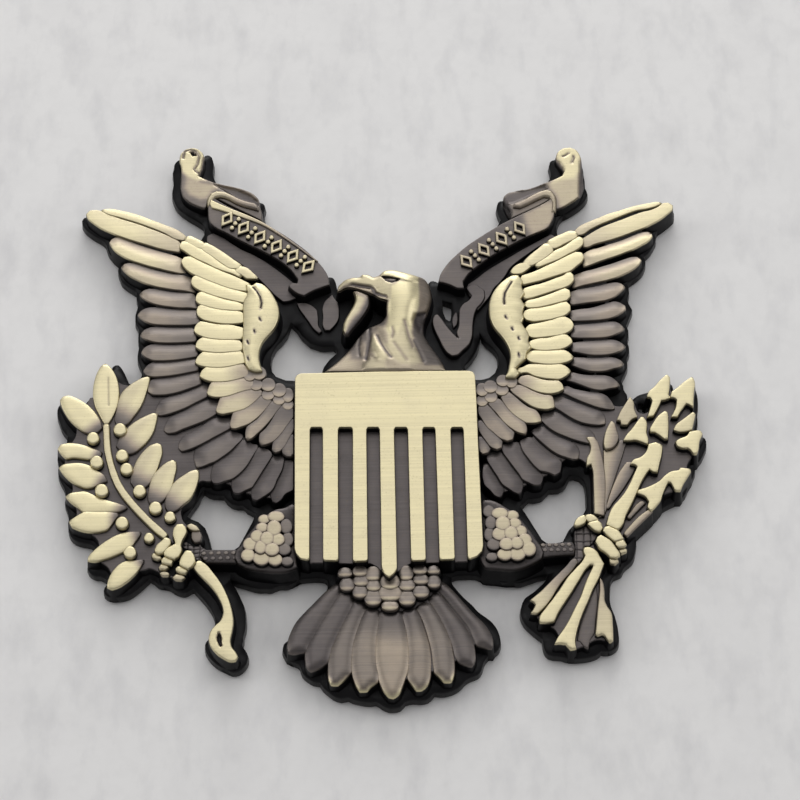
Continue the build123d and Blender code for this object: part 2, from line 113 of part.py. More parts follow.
    (3.1, [(-15.88,12.11),(-13.86,12.11),(-13.71,12.26),(-13.6,12.86),(-13.76,13.09),(-15,13.47),(-16.25,13.54),(-17.63,13.9),(-17.78,13.87),(-18.11,13.54),(-18.22,13.06),(-18.08,12.85),(-17.72,12.55),(-16.78,12.23)]),
    (3.1, [(-16.42,10.67),(-15.23,10.66),(-13.98,10.79),(-13.77,11),(-13.77,11.28),(-13.85,11.44),(-14.06,11.65),(-14.52,11.79),(-16.31,11.86),(-17.56,12.09),(-17.93,11.74),(-18.05,11.38),(-18.02,11.29),(-17.62,10.91)]),
    (3.1, [(-16.72,9.05),(-15.29,9.04),(-13.8,9.35),(-13.58,9.43),(-13.47,9.56),(-13.47,10.02),(-13.85,10.42),(-13.97,10.48),(-14.63,10.48),(-15.35,10.36),(-16.25,10.36),(-17.15,10.48),(-17.44,10.47),(-17.83,10.08),(-18.01,9.72),(-17.95,9.5),(-17.74,9.29),(-17.14,9.11)]),
    (3.1, [(-16.18,7.43),(-15.41,7.42),(-14.69,7.54),(-13.38,7.91),(-13.22,8.11),(-13.29,8.64),(-13.55,8.98),(-13.73,9.04),(-14.15,9.04),(-14.94,8.81),(-15.47,8.74),(-17.14,8.79),(-17.41,8.52),(-17.58,8.1),(-17.57,8.02),(-17.36,7.81),(-16.88,7.57)]),
    (3.1, [(-16.36,5.81),(-15.53,5.8),(-15.06,5.87),(-13.54,6.39),(-12.8,6.55),(-12.59,6.7),(-12.57,6.84),(-12.74,7.15),(-13.07,7.48),(-13.19,7.54),(-13.61,7.54),(-15.17,7.18),(-16.48,7.11),(-16.63,6.96),(-16.87,6.25),(-16.73,5.98)]),
    (3.1, [(-15.58,3.95),(-14.7,4.07),(-13.46,4.45),(-12.83,4.9),(-12.2,5.53),(-11.87,5.92),(-11.87,6.04),(-12.26,6.37),(-12.53,6.4),(-12.94,6.33),(-14.88,5.63),(-15.56,5.47),(-15.73,5.28),(-15.98,4.33),(-15.95,4.18),(-15.83,4.06)]),
    (3.1, [(-14.44,2.39),(-13.98,2.45),(-13.28,2.71),(-12.53,3.22),(-11.96,3.79),(-11.33,4.6),(-11.02,5.12),(-11.06,5.23),(-11.66,5.59),(-11.8,5.61),(-12.98,4.51),(-13.76,4.09),(-14.27,3.88),(-14.47,3.66),(-14.6,3.07),(-14.63,2.62)]),
    (3.1, [(-13,1.19),(-12.83,1.24),(-11.66,2.41),(-11.39,2.74),(-10.07,4.6),(-10.06,4.68),(-10.16,4.81),(-10.73,4.95),(-10.85,4.9),(-11.15,4.6),(-11.51,3.94),(-12.02,3.25),(-13.07,2.32),(-13.16,2.05),(-13.16,1.39)]),
    (3.1, [(-11.69,0.55),(-11.4,0.59),(-10.79,0.88),(-10.13,1.54),(-8.99,3.22),(-8.97,4.08),(-9.36,4.41),(-9.83,4.57),(-10.04,4.39),(-10.83,2.84),(-11.33,2.08),(-11.81,1.6),(-11.9,1.15),(-11.83,0.68)]),
    (3.1, [(-10.48,-0.25),(-10.32,-0.25),(-10.16,-0.17),(-9.77,0.22),(-8.93,1.9),(-8.9,2.05),(-8.96,2.59),(-9.08,2.76),(-9.23,2.68),(-10.01,1.36),(-10.57,0.66),(-10.64,0.43),(-10.64,-0.05)]),
    (3.1, [(-9.34,-0.73),(-9.06,-0.73),(-8.9,-0.53),(-8.9,0.97),(-9.05,1.15),(-9.23,1),(-9.43,0.66),(-9.74,0.01),(-9.65,-0.44)]),
    (3.6, [(-12.46,8.27),(-12.05,8.26),(-11.88,8.38),(-12.07,9.02),(-12.14,9.49),(-12.14,10.21),(-12.07,10.74),(-11.77,11.52),(-10.91,12.64),(-10.67,13.06),(-10.35,13.82),(-10.28,14.35),(-10.28,15.01),(-10.35,15.48),(-10.79,16.54),(-11.27,17.32),(-11.63,17.68),(-11.96,17.89),(-12.36,18.02),(-12.56,17.95),(-12.78,17.75),(-13.06,17.79),(-13.21,17.64),(-13.28,17.41),(-13.19,16.99),(-13.22,16.81),(-13.17,16.58),(-13.45,16.26),(-13.58,15.85),(-13.58,14.65),(-13.52,14.35),(-13.58,13.99),(-13.58,13.09),(-13.54,12.9),(-13.58,12.67),(-13.58,10.69),(-13.52,10.21),(-13.4,9.97),(-13.4,9.49),(-13.33,9.14),(-13.15,8.78),(-12.92,8.47)]),
    (3.2, [(-12.94,7.44),(-12.74,7.51),(-12.63,7.64),(-12.56,7.81),(-12.56,8.11),(-12.65,8.26),(-13.07,8.53),(-13.21,8.4),(-13.17,8.06),(-13.38,7.76),(-13.28,7.63)]),
    (3.2, [(-12.16,7.55),(-11.9,7.57),(-11.63,7.84),(-11.57,8.11),(-11.63,8.32),(-11.72,8.4),(-12,8.21),(-12.34,8.19),(-12.47,8.08),(-12.47,7.78)]),
    (3.2, [(-12.22,6.42),(-12.11,6.46),(-11.97,6.62),(-11.9,6.79),(-11.91,6.96),(-11.99,7.12),(-12.2,7.33),(-12.52,7.35),(-12.66,7.2),(-12.51,6.79),(-12.59,6.61),(-12.5,6.49)]),
    (3.2, [(-11.32,6.29),(-11,6.31),(-10.76,6.55),(-10.7,6.67),(-10.7,6.97),(-10.77,7.14),(-10.94,7.33),(-11.15,7.42),(-11.42,7.39),(-11.66,7.15),(-11.72,7.03),(-11.69,6.58),(-11.48,6.37)]),
    (3.2, [(-11.09,5.35),(-10.79,5.56),(-10.77,5.88),(-10.98,6.15),(-11.15,6.22),(-11.32,6.21),(-11.57,6.04),(-11.65,5.88),(-11.65,5.72),(-11.48,5.53)]),
    (3.2, [(-10.24,5.63),(-10.08,5.63),(-9.89,5.74),(-9.71,5.92),(-9.64,6.2),(-9.71,6.52),(-9.95,6.76),(-10.07,6.82),(-10.3,6.81),(-10.49,6.7),(-10.61,6.58),(-10.7,6.31),(-10.61,5.92),(-10.4,5.71)]),
    (3.2, [(-10.06,4.8),(-9.77,5.02),(-9.75,5.34),(-9.96,5.55),(-10.34,5.58),(-10.57,5.34),(-10.57,5.12),(-10.46,4.99)]),
    (3.2, [(-9.4,5.03),(-9.17,5.08),(-8.96,5.41),(-8.97,5.94),(-9.08,6.13),(-9.29,6.28),(-9.44,6.25),(-9.56,6.13),(-9.68,5.83),(-9.67,5.42),(-9.53,5.14)]),
    (3.2, [(-9.11,4.33),(-8.97,4.46),(-8.99,4.84),(-9.17,4.99),(-9.5,4.98),(-9.67,4.8),(-9.65,4.66)]),
]

# right wing: flight feathers, coverts and shoulder: ground outline, holes in the ground, and raised areas as (height, outline)
RIGHT_WING_GROUND = [(10.28,-5.47),(10.57,-5.36),(10.9,-4.85),(11.11,-4.7),(11.96,-5.11),(12.28,-5.15),(12.55,-4.88),(12.71,-4.26),(12.92,-4.05),(13.69,-4.28),(14.22,-4.21),(14.43,-4),(14.65,-3.38),(14.86,-3.11),(15.12,-3.09),(15.61,-3.29),(15.82,-3.23),(16.18,-2.93),(16.35,-2.56),(16.49,-1.74),(16.66,-1.55),(16.81,-1.52),(17.47,-1.7),(17.7,-1.69),(17.89,-1.58),(18.01,-1.46),(18.1,-1.19),(18.13,-0.08),(18.32,0.09),(18.72,0.05),(18.94,0.25),(19.18,0.31),(19.45,0.67),(19.66,0.79),(19.71,0.96),(19.43,1.52),(19.45,1.72),(19.64,1.89),(20.17,1.9),(20.53,2.02),(20.8,2.35),(20.8,2.95),(20.71,3.4),(20.9,3.57),(21.42,3.59),(21.73,3.88),(21.49,4.66),(20.93,5.53),(21.1,5.77),(21.94,6.01),(22.29,6.32),(22.33,6.43),(22.21,6.76),(21.46,7.51),(21.41,7.68),(21.68,7.95),(22.42,8.17),(22.75,8.5),(22.84,8.71),(22.75,9.04),(22.24,9.49),(22.19,9.61),(22.33,9.82),(22.9,10.21),(23.11,10.63),(23.02,10.87),(22.39,11.38),(22.24,11.59),(22.39,11.86),(23.02,12.31),(23.13,12.61),(22.93,13.06),(22.42,13.51),(22.37,13.68),(23.32,14.53),(23.44,14.83),(23.43,15.06),(23.32,15.25),(23.02,15.55),(22.63,15.76),(22.48,15.97),(22.54,16.15),(23.11,16.66),(23.41,17.08),(23.47,17.29),(23.41,17.5),(22.93,17.98),(22.91,18.18),(23.08,18.37),(24.04,18.91),(25.09,19.84),(25.23,20.23),(25.17,20.46),(24.88,20.77),(24.46,21.01),(24.43,21.22),(24.76,21.49),(25.6,21.97),(26.23,22.54),(26.5,23.11),(26.43,23.52),(26.21,23.78),(26.23,23.92),(26.71,24.28),(27.55,25.18),(28.42,25.87),(28.76,26.42),(28.54,26.71),(27.49,26.86),(26.95,26.86),(25.58,26.61),(24.74,26.37),(21.1,25.09),(19.7,24.45),(17.62,23.12),(17.32,23.29),(16.52,22.89),(15.85,22.48),(13.39,20.14),(12.7,19.81),(12.22,19.33),(12.07,18.97),(12.16,18.67),(12.13,18.52),(11.41,17.98),(10.9,17.47),(10.31,16.62),(9.88,15.43),(9.82,14.29),(9.88,13.69),(10.33,12.34),(11.35,10.72),(11.61,10.02),(11.62,8.95),(11.56,8.53),(11.37,7.76),(11.2,7.57),(10.72,7.45),(10.2,6.95),(9.8,6.99),(9.3,6.71),(8.78,6.63),(8.53,6.4),(8.5,6.25),(8.56,5.65),(8.56,3.25),(8.67,2.89),(8.56,2.59),(8.61,1.15),(8.56,0.91),(8.56,-0.83),(8.71,-1.04),(9.04,-1.25),(9.09,-1.37),(8.87,-1.68),(8.74,-2.15),(8.74,-3.71),(8.98,-4.31),(9.91,-5.3)]
RIGHT_WING_HOLES = [
]
RIGHT_WING_RAISED = [
    (2.7, [(19.03,23.29),(19.44,23.39),(20.3,23.97),(21.34,24.55),(23.38,25.45),(24.26,25.83),(25.16,26.13),(25.86,26.21),(26.88,26.51),(27.04,26.65),(27.06,26.74),(26.9,26.84),(25.34,26.55),(22.76,25.71),(21.1,25.09),(19.7,24.45),(19.15,24.1),(18.72,23.64),(18.76,23.53)]),
    (2.7, [(19.64,21.95),(19.86,21.95),(20.96,22.35),(22.68,22.85),(25.92,24.17),(27.34,25.03),(28.21,25.78),(28.39,25.96),(28.47,26.18),(28.45,26.5),(28.2,26.73),(27.68,26.73),(27.18,26.33),(26.5,25.99),(24.64,25.39),(21.44,24.03),(20.5,23.47),(19.6,22.81),(19.48,22.51),(19.48,22.21),(19.51,22.06)]),
    (2.7, [(19.7,19.8),(22.96,21.01),(24.48,21.65),(25.69,22.42),(26.13,22.88),(26.2,23.05),(26.17,23.26),(26.04,23.37),(25.81,23.44),(25.34,23.37),(23.16,22.43),(20.06,21.39),(19.6,21.07),(19.49,20.76),(19.49,20.12),(19.57,19.9)]),
    (2.7, [(18.5,17.45),(21.24,18.05),(22.54,18.43),(23.32,18.79),(24.22,19.33),(24.73,19.84),(24.91,20.14),(24.93,20.28),(24.66,20.55),(24.14,20.55),(22.44,19.91),(20.4,19.25),(19.76,19.11),(18.62,18.69),(18.43,18.52),(18.28,18.01),(18.35,17.6)]),
    (2.7, [(18.2,15.47),(18.49,15.46),(21.42,15.89),(22.21,16.24),(22.84,16.81),(23.16,17.32),(22.86,17.61),(22.57,17.68),(22.21,17.68),(21.74,17.61),(20.46,17.27),(18.92,17.01),(18.32,16.83),(18.07,16.66),(17.98,16.15),(18.05,15.62)]),
    (2.7, [(18.2,13.61),(19.63,13.6),(19.87,13.66),(20.59,13.66),(21.48,13.79),(22.06,13.99),(22.78,14.41),(23.11,14.74),(23.13,15),(22.87,15.28),(22.62,15.45),(22.03,15.52),(19.86,14.87),(18.26,14.67),(18.01,14.5),(17.93,14.17),(18.05,13.76)]),
    (2.7, [(18.68,11.69),(20.53,11.68),(21.3,11.75),(22.14,12.05),(22.75,12.46),(22.83,12.66),(22.48,13.09),(22.26,13.23),(21.91,13.3),(21.25,13.3),(20.17,13.12),(18.32,12.99),(18.19,12.88),(18.11,12.72),(17.95,11.89),(18.08,11.75)]),
    (2.7, [(20.12,9.77),(20.65,9.76),(21.31,9.82),(21.9,9.95),(22.54,10.27),(22.81,10.63),(22.54,10.93),(22.12,11.17),(21.43,11.32),(18.14,11.07),(17.86,10.87),(17.8,10.69),(17.89,10.42),(18.1,10.21),(19.22,9.89)]),
    (2.7, [(20,7.97),(20.95,8.02),(22.2,8.39),(22.51,8.68),(22.53,8.82),(22.32,9.03),(21.9,9.27),(21.61,9.34),(20.41,9.34),(20.17,9.28),(19.69,9.28),(18.67,9.4),(18.08,9.39),(17.93,9.24),(17.82,8.88),(17.98,8.65),(18.4,8.41),(19.04,8.15)]),
    (2.7, [(20.47,5.95),(21.54,6.17),(21.84,6.29),(21.97,6.4),(21.99,6.49),(21.94,6.61),(21.28,7.21),(20.89,7.36),(20.29,7.42),(19.33,7.42),(18.49,7.54),(17.83,7.72),(17.5,7.69),(17.23,7.24),(17.29,7.12),(17.56,6.97),(19.48,6.13),(19.75,6.04)]),
    (2.7, [(20.78,3.89),(21.24,3.89),(21.39,4.09),(21.15,4.68),(20.7,5.25),(20.22,5.49),(19.45,5.56),(18.14,5.87),(17.22,6.27),(16.94,6.27),(16.81,6.16),(16.75,5.83),(16.78,5.77),(17.66,5.21),(19.42,4.33),(20.24,4.01)]),
    (2.7, [(19.52,2.21),(20.17,2.2),(20.47,2.38),(20.49,3),(20.2,3.49),(18.94,4.09),(18.04,4.45),(16.6,5.17),(16.22,5.13),(16.03,4.96),(15.95,4.8),(15.9,4.28),(16.12,4.03),(17.78,2.81),(18.68,2.39)]),
    (2.7, [(18.86,0.29),(19.18,0.31),(19.39,0.52),(19.42,0.67),(19.39,1),(19.21,1.3),(18.94,1.57),(18.36,1.95),(17.8,2.23),(16.08,3.45),(15.25,3.52),(14.98,3.43),(14.77,3.28),(14.77,2.62),(14.92,2.41),(15.76,1.63),(16.28,1.31),(17.44,0.73),(18.32,0.41)]),
    (2.7, [(17.36,-1.39),(17.64,-1.39),(17.77,-1.28),(17.86,-0.53),(17.67,-0.06),(17.47,0.16),(16.18,0.79),(15.43,1.3),(14.76,1.95),(14.3,1.89),(13.84,1.63),(13.79,1.51),(13.81,1.42),(14.44,0.61),(14.92,0.07),(15.55,-0.5),(16.22,-0.97)]),
    (2.7, [(15.61,-2.99),(15.85,-2.84),(16.05,-2.56),(16.18,-1.85),(16.12,-1.61),(15.19,-1.1),(14.2,-0.11),(13.69,0.64),(13.48,0.85),(13.34,0.87),(13.12,0.79),(12.67,0.52),(12.61,0.43),(12.83,-0.46),(13.9,-2.15),(14.36,-2.59),(14.76,-2.67)]),
    (2.7, [(13.64,-3.97),(13.99,-3.98),(14.14,-3.89),(14.31,-3.58),(14.37,-3.18),(13.07,-1.24),(12.31,0.22),(12.18,0.33),(11.83,0.34),(10.96,0.01),(10.84,-0.17),(10.93,-0.5),(12.67,-3.44),(13.12,-3.77)]),
    (2.7, [(12.13,-4.85),(12.27,-4.72),(12.39,-4.42),(12.52,-3.77),(12.49,-3.62),(11.69,-2.5),(10.72,-0.83),(10.56,-0.69),(10.32,-0.63),(9.88,-0.65),(9.49,-0.98),(9.46,-1.37),(10.13,-2.74),(10.84,-4.01),(11.8,-4.73)]),
    (2.7, [(10.28,-5.16),(10.47,-5.02),(10.69,-4.46),(9.69,-2.46),(9.37,-1.88),(9.25,-1.79),(9.13,-1.88),(9.04,-2.15),(9.05,-3.76),(9.22,-4.13),(10.09,-5.06)]),
    (3.1, [(16.52,21.65),(16.86,21.71),(18.64,22.69),(18.85,22.96),(18.85,23.14),(18.6,23.37),(18.26,23.37),(17.5,23.05),(16.36,22.45),(16.14,22.16),(16.27,21.88)]),
    (3.1, [(14.18,19.73),(14.38,19.75),(15.22,20.23),(16.33,21.16),(16.39,21.31),(16.29,21.6),(15.88,22.02),(15.79,22),(14.77,21.1),(13.81,20.14),(13.75,19.99),(13.78,19.93)]),
    (3.1, [(15.01,19.57),(16.9,20.35),(18.58,21.31),(18.97,21.58),(19.33,22),(19.39,22.48),(19.14,22.65),(18.88,22.57),(17.74,21.67),(16.72,21.13),(16.12,20.59),(14.98,19.87),(14.88,19.7)]),
    (3.1, [(13.51,17.59),(15.12,17.99),(18,19.01),(19.09,19.96),(19.34,20.48),(19.27,20.74),(19.02,20.91),(18.64,20.89),(15.04,18.97),(14.16,18.59),(13.6,18.43),(13.39,18.22),(13.3,18.01),(13.33,17.8)]),
    (3.1, [(13.64,16.01),(14.22,16.07),(17.22,17.09),(17.82,17.39),(18.21,17.84),(18.19,18.46),(17.98,18.66),(17.92,18.66),(17.52,18.35),(16.66,17.95),(15.72,17.57),(13.66,16.93),(13.55,16.8),(13.42,16.45),(13.51,16.12)]),
    (3.1, [(13.88,14.93),(15.18,15.05),(17.4,15.65),(17.68,15.91),(17.77,16.06),(17.79,16.56),(17.68,16.69),(17.44,16.81),(15.72,16.07),(13.88,15.51),(13.57,15.25)]),
    (3.1, [(14.18,13.43),(14.59,13.42),(15.91,13.6),(17.28,14.03),(17.71,14.44),(17.76,14.98),(17.5,15.25),(17.35,15.28),(16.26,14.93),(15.48,14.75),(13.9,14.53),(13.66,14.41),(13.51,14.26),(13.43,14.1),(13.43,13.94),(13.72,13.57)]),
    (3.1, [(14.06,11.63),(14.95,11.62),(15.61,11.68),(16.45,11.8),(17.22,11.99),(17.56,12.19),(17.83,12.46),(17.97,12.74),(17.91,13.02),(17.8,13.21),(17.38,13.57),(16.99,13.6),(16.02,13.25),(13.94,12.81),(13.61,12.48),(13.6,12.07),(13.75,11.86)]),
    (3.1, [(14.9,10.19),(15.97,10.18),(16.8,10.31),(17.41,10.6),(17.71,10.9),(17.73,11.1),(17.62,11.29),(17.32,11.59),(16.99,11.67),(15.54,11.27),(14.83,11.26),(14.3,11.13),(14.08,11.05),(13.84,10.87),(13.8,10.76),(13.87,10.6),(14.14,10.39)]),
    (3.1, [(15.74,8.63),(16.09,8.62),(16.87,8.74),(17.53,8.98),(17.67,9.14),(17.72,9.3),(17.47,9.64),(17.14,9.85),(13.87,9.88),(13.75,9.82),(13.55,9.6),(13.51,9.28),(13.9,8.95),(14.65,8.74)]),
    (3.1, [(15.8,7.01),(16.54,7.03),(17.08,7.33),(17.37,7.64),(17.4,7.78),(17.05,8.14),(16.62,8.37),(15.19,8.32),(14.29,8.44),(13.57,8.38),(12.8,8.07),(12.66,7.92),(12.8,7.73),(13.38,7.77),(14.2,7.39),(14.78,7.19)]),
    (3.1, [(15.38,5.45),(15.67,5.44),(16.26,5.57),(16.6,5.83),(16.66,6.01),(16.59,6.24),(16.32,6.57),(15.61,6.58),(15.14,6.65),(13.45,7.23),(13,7.15),(12.62,6.82),(12.64,6.73),(12.94,6.43),(14.26,5.71),(14.96,5.51)]),
    (3.1, [(14.78,3.77),(15.3,3.77),(15.52,3.85),(15.67,4),(15.7,4.63),(15.61,4.9),(15.52,4.99),(15.08,5.03),(14.44,5.23),(13.64,5.63),(13.02,6.03),(12.72,6.15),(12.2,6.21),(11.9,5.98),(12.04,5.65),(13.24,4.51),(14.08,3.97)]),
    (3.1, [(13.22,2.33),(14.05,2.32),(14.35,2.44),(14.41,2.53),(14.37,2.82),(14.17,3.22),(13.9,3.49),(13.42,3.73),(12.91,4.12),(11.68,5.35),(11.54,5.37),(11.26,5.23),(11.04,4.94),(11.39,4.16),(11.77,3.58),(11.98,3.31),(12.61,2.74)]),
    (3.1, [(12.85,1.21),(12.99,1.34),(13.05,1.69),(12.91,2.14),(11.68,3.31),(10.78,4.57),(10.66,4.69),(10.39,4.77),(9.91,4.54),(9.78,4.38),(9.83,4.22),(10.45,3.46),(11.2,2.35),(11.86,1.69),(12.44,1.31)]),
    (3.1, [(11.18,0.47),(11.52,0.53),(11.68,0.67),(11.79,0.92),(11.83,1.24),(11.32,1.75),(9.52,4.09),(9.34,4.26),(9.28,4.26),(8.83,3.94),(8.8,3.37),(9.47,2),(10.69,0.76)]),
    (3.1, [(10.28,-0.42),(10.48,-0.35),(10.65,-0.16),(10.63,0.34),(9.82,1.21),(9.04,2.23),(8.86,2.34),(8.74,2.17),(8.74,1.69),(9.05,0.98),(9.76,-0.11),(9.92,-0.25)]),
    (3.1, [(8.96,-0.85),(9.12,-0.85),(9.28,-0.77),(9.43,-0.62),(9.5,-0.42),(9.07,0.34),(8.89,0.49),(8.74,0.31),(8.74,-0.53),(8.77,-0.68)]),
    (3.1, [(12.56,18.77),(13.15,18.76),(13.32,18.83),(13.87,19.18),(14.17,19.48),(14.17,19.6),(14.04,19.71),(13.75,19.84),(13.18,19.75),(12.85,19.54),(12.43,19.12),(12.38,18.94)]),
    (3.6, [(12.08,7.01),(12.25,7.06),(12.61,7.48),(12.32,8.08),(13.27,9.04),(13.39,9.7),(13.87,10.27),(13.66,10.87),(13.65,11.82),(13.21,12.64),(13.07,13.03),(13.24,13.51),(13.18,14.11),(13.4,14.96),(13.08,15.72),(13.39,16.24),(13.39,16.57),(13.24,17.05),(13.29,17.76),(13.12,18.07),(12.85,18.28),(12.44,18.27),(11.86,17.95),(11.32,17.47),(10.87,16.96),(10.43,16.2),(10.19,15.48),(10.12,14.77),(10.18,13.69),(10.43,12.86),(10.67,12.32),(11.17,11.62),(11.59,10.9),(11.91,10.02),(11.92,8.89),(11.67,7.64),(11.47,7.21),(11.6,7.07)]),
    (3.2, [(11,6.29),(11.17,6.28),(11.34,6.35),(11.55,6.62),(11.55,6.96),(11.28,7.23),(10.94,7.23),(10.67,6.96),(10.67,6.56),(10.81,6.4)]),
    (3.2, [(11.84,6.11),(12.13,6.22),(12.28,6.49),(12.25,6.82),(11.95,7),(11.78,6.99),(11.65,6.88),(11.56,6.49),(11.59,6.34)]),
    (3.2, [(10.82,5.33),(11.14,5.35),(11.29,5.44),(11.41,5.62),(11.43,5.94),(11.35,6.1),(11.22,6.21),(10.88,6.26),(10.69,6.16),(10.55,6),(10.51,5.83),(10.55,5.6)]),
    (3.2, [(9.8,4.56),(10.18,4.75),(10.36,4.99),(10.35,5.22),(10.27,5.38),(9.97,5.56),(9.8,5.55),(9.61,5.44),(9.46,5.11),(9.49,4.84)]),
    (3.2, [(9.74,5.63),(9.97,5.62),(10.18,5.71),(10.33,5.86),(10.41,6.08),(10.41,6.24),(10.27,6.52),(10.02,6.69),(9.8,6.69),(9.64,6.61),(9.41,6.3),(9.41,5.96)]),
    (3.2, [(8.96,5.27),(9.13,5.26),(9.25,5.32),(9.43,5.5),(9.5,5.72),(9.35,5.96),(9.31,6.28),(9.13,6.4),(8.96,6.39),(8.8,6.25),(8.65,5.83),(8.75,5.48)]),
    (3.2, [(8.96,4.19),(9.22,4.27),(9.46,4.57),(9.45,4.8),(9.37,4.96),(9.07,5.13),(8.83,5.02),(8.62,4.69),(8.71,4.36)]),
]

# fanned tail with the rump scales: ground outline, holes in the ground, and raised areas as (height, outline)
TAIL_FAN_GROUND = [(-0.04,-25.27),(0.28,-25.25),(0.7,-24.89),(1.13,-24),(1.34,-23.79),(1.6,-23.81),(2.17,-24.56),(2.47,-24.67),(2.86,-24.53),(3.22,-24.17),(3.61,-23.3),(3.8,-23.13),(4.06,-23.15),(4.7,-23.83),(5.05,-23.9),(5.38,-23.81),(5.55,-23.62),(5.79,-22.9),(5.8,-22.31),(5.89,-22.16),(6.31,-22.1),(7.04,-22.39),(7.3,-22.37),(7.51,-22.16),(7.71,-21.64),(7.72,-20.69),(7.78,-20.57),(7.88,-20.49),(8.11,-20.48),(8.76,-20.64),(9.07,-20.48),(9.39,-20.08),(9.39,-19.86),(9.07,-18.86),(8.59,-18.08),(7.96,-17.39),(5.74,-14.57),(4.69,-13.58),(4.66,-13.31),(4.77,-12.84),(4.69,-12.62),(4.44,-12.39),(2.06,-12.39),(1.36,-12.77),(0.13,-13.94),(-0.05,-14),(-0.5,-13.61),(-0.83,-13.04),(-1.19,-12.68),(-1.8,-12.33),(-3.17,-12.32),(-3.47,-12.44),(-4.07,-12.26),(-4.48,-12.39),(-4.79,-12.68),(-4.87,-12.9),(-4.76,-13.37),(-4.79,-13.58),(-6.2,-14.81),(-6.98,-15.83),(-7.64,-16.55),(-8.45,-17.66),(-9.25,-18.96),(-9.44,-19.67),(-9.41,-20.42),(-9.08,-20.75),(-8.86,-20.83),(-8.15,-20.78),(-7.97,-20.84),(-7.89,-20.94),(-7.81,-21.58),(-7.63,-22.18),(-7.3,-22.51),(-7.07,-22.52),(-6.66,-22.39),(-6.16,-22.11),(-5.87,-22.16),(-5.78,-22.31),(-5.77,-23.14),(-5.53,-23.74),(-5.36,-23.93),(-5.09,-24.02),(-4.76,-23.93),(-3.92,-23.15),(-3.66,-23.13),(-3.41,-23.48),(-3.19,-24.1),(-2.84,-24.59),(-2.58,-24.66),(-2.16,-24.55),(-1.46,-23.93),(-1.14,-23.91),(-0.99,-24.06),(-0.73,-24.64),(-0.5,-24.95),(-0.26,-25.19)]
TAIL_FAN_HOLES = [
]
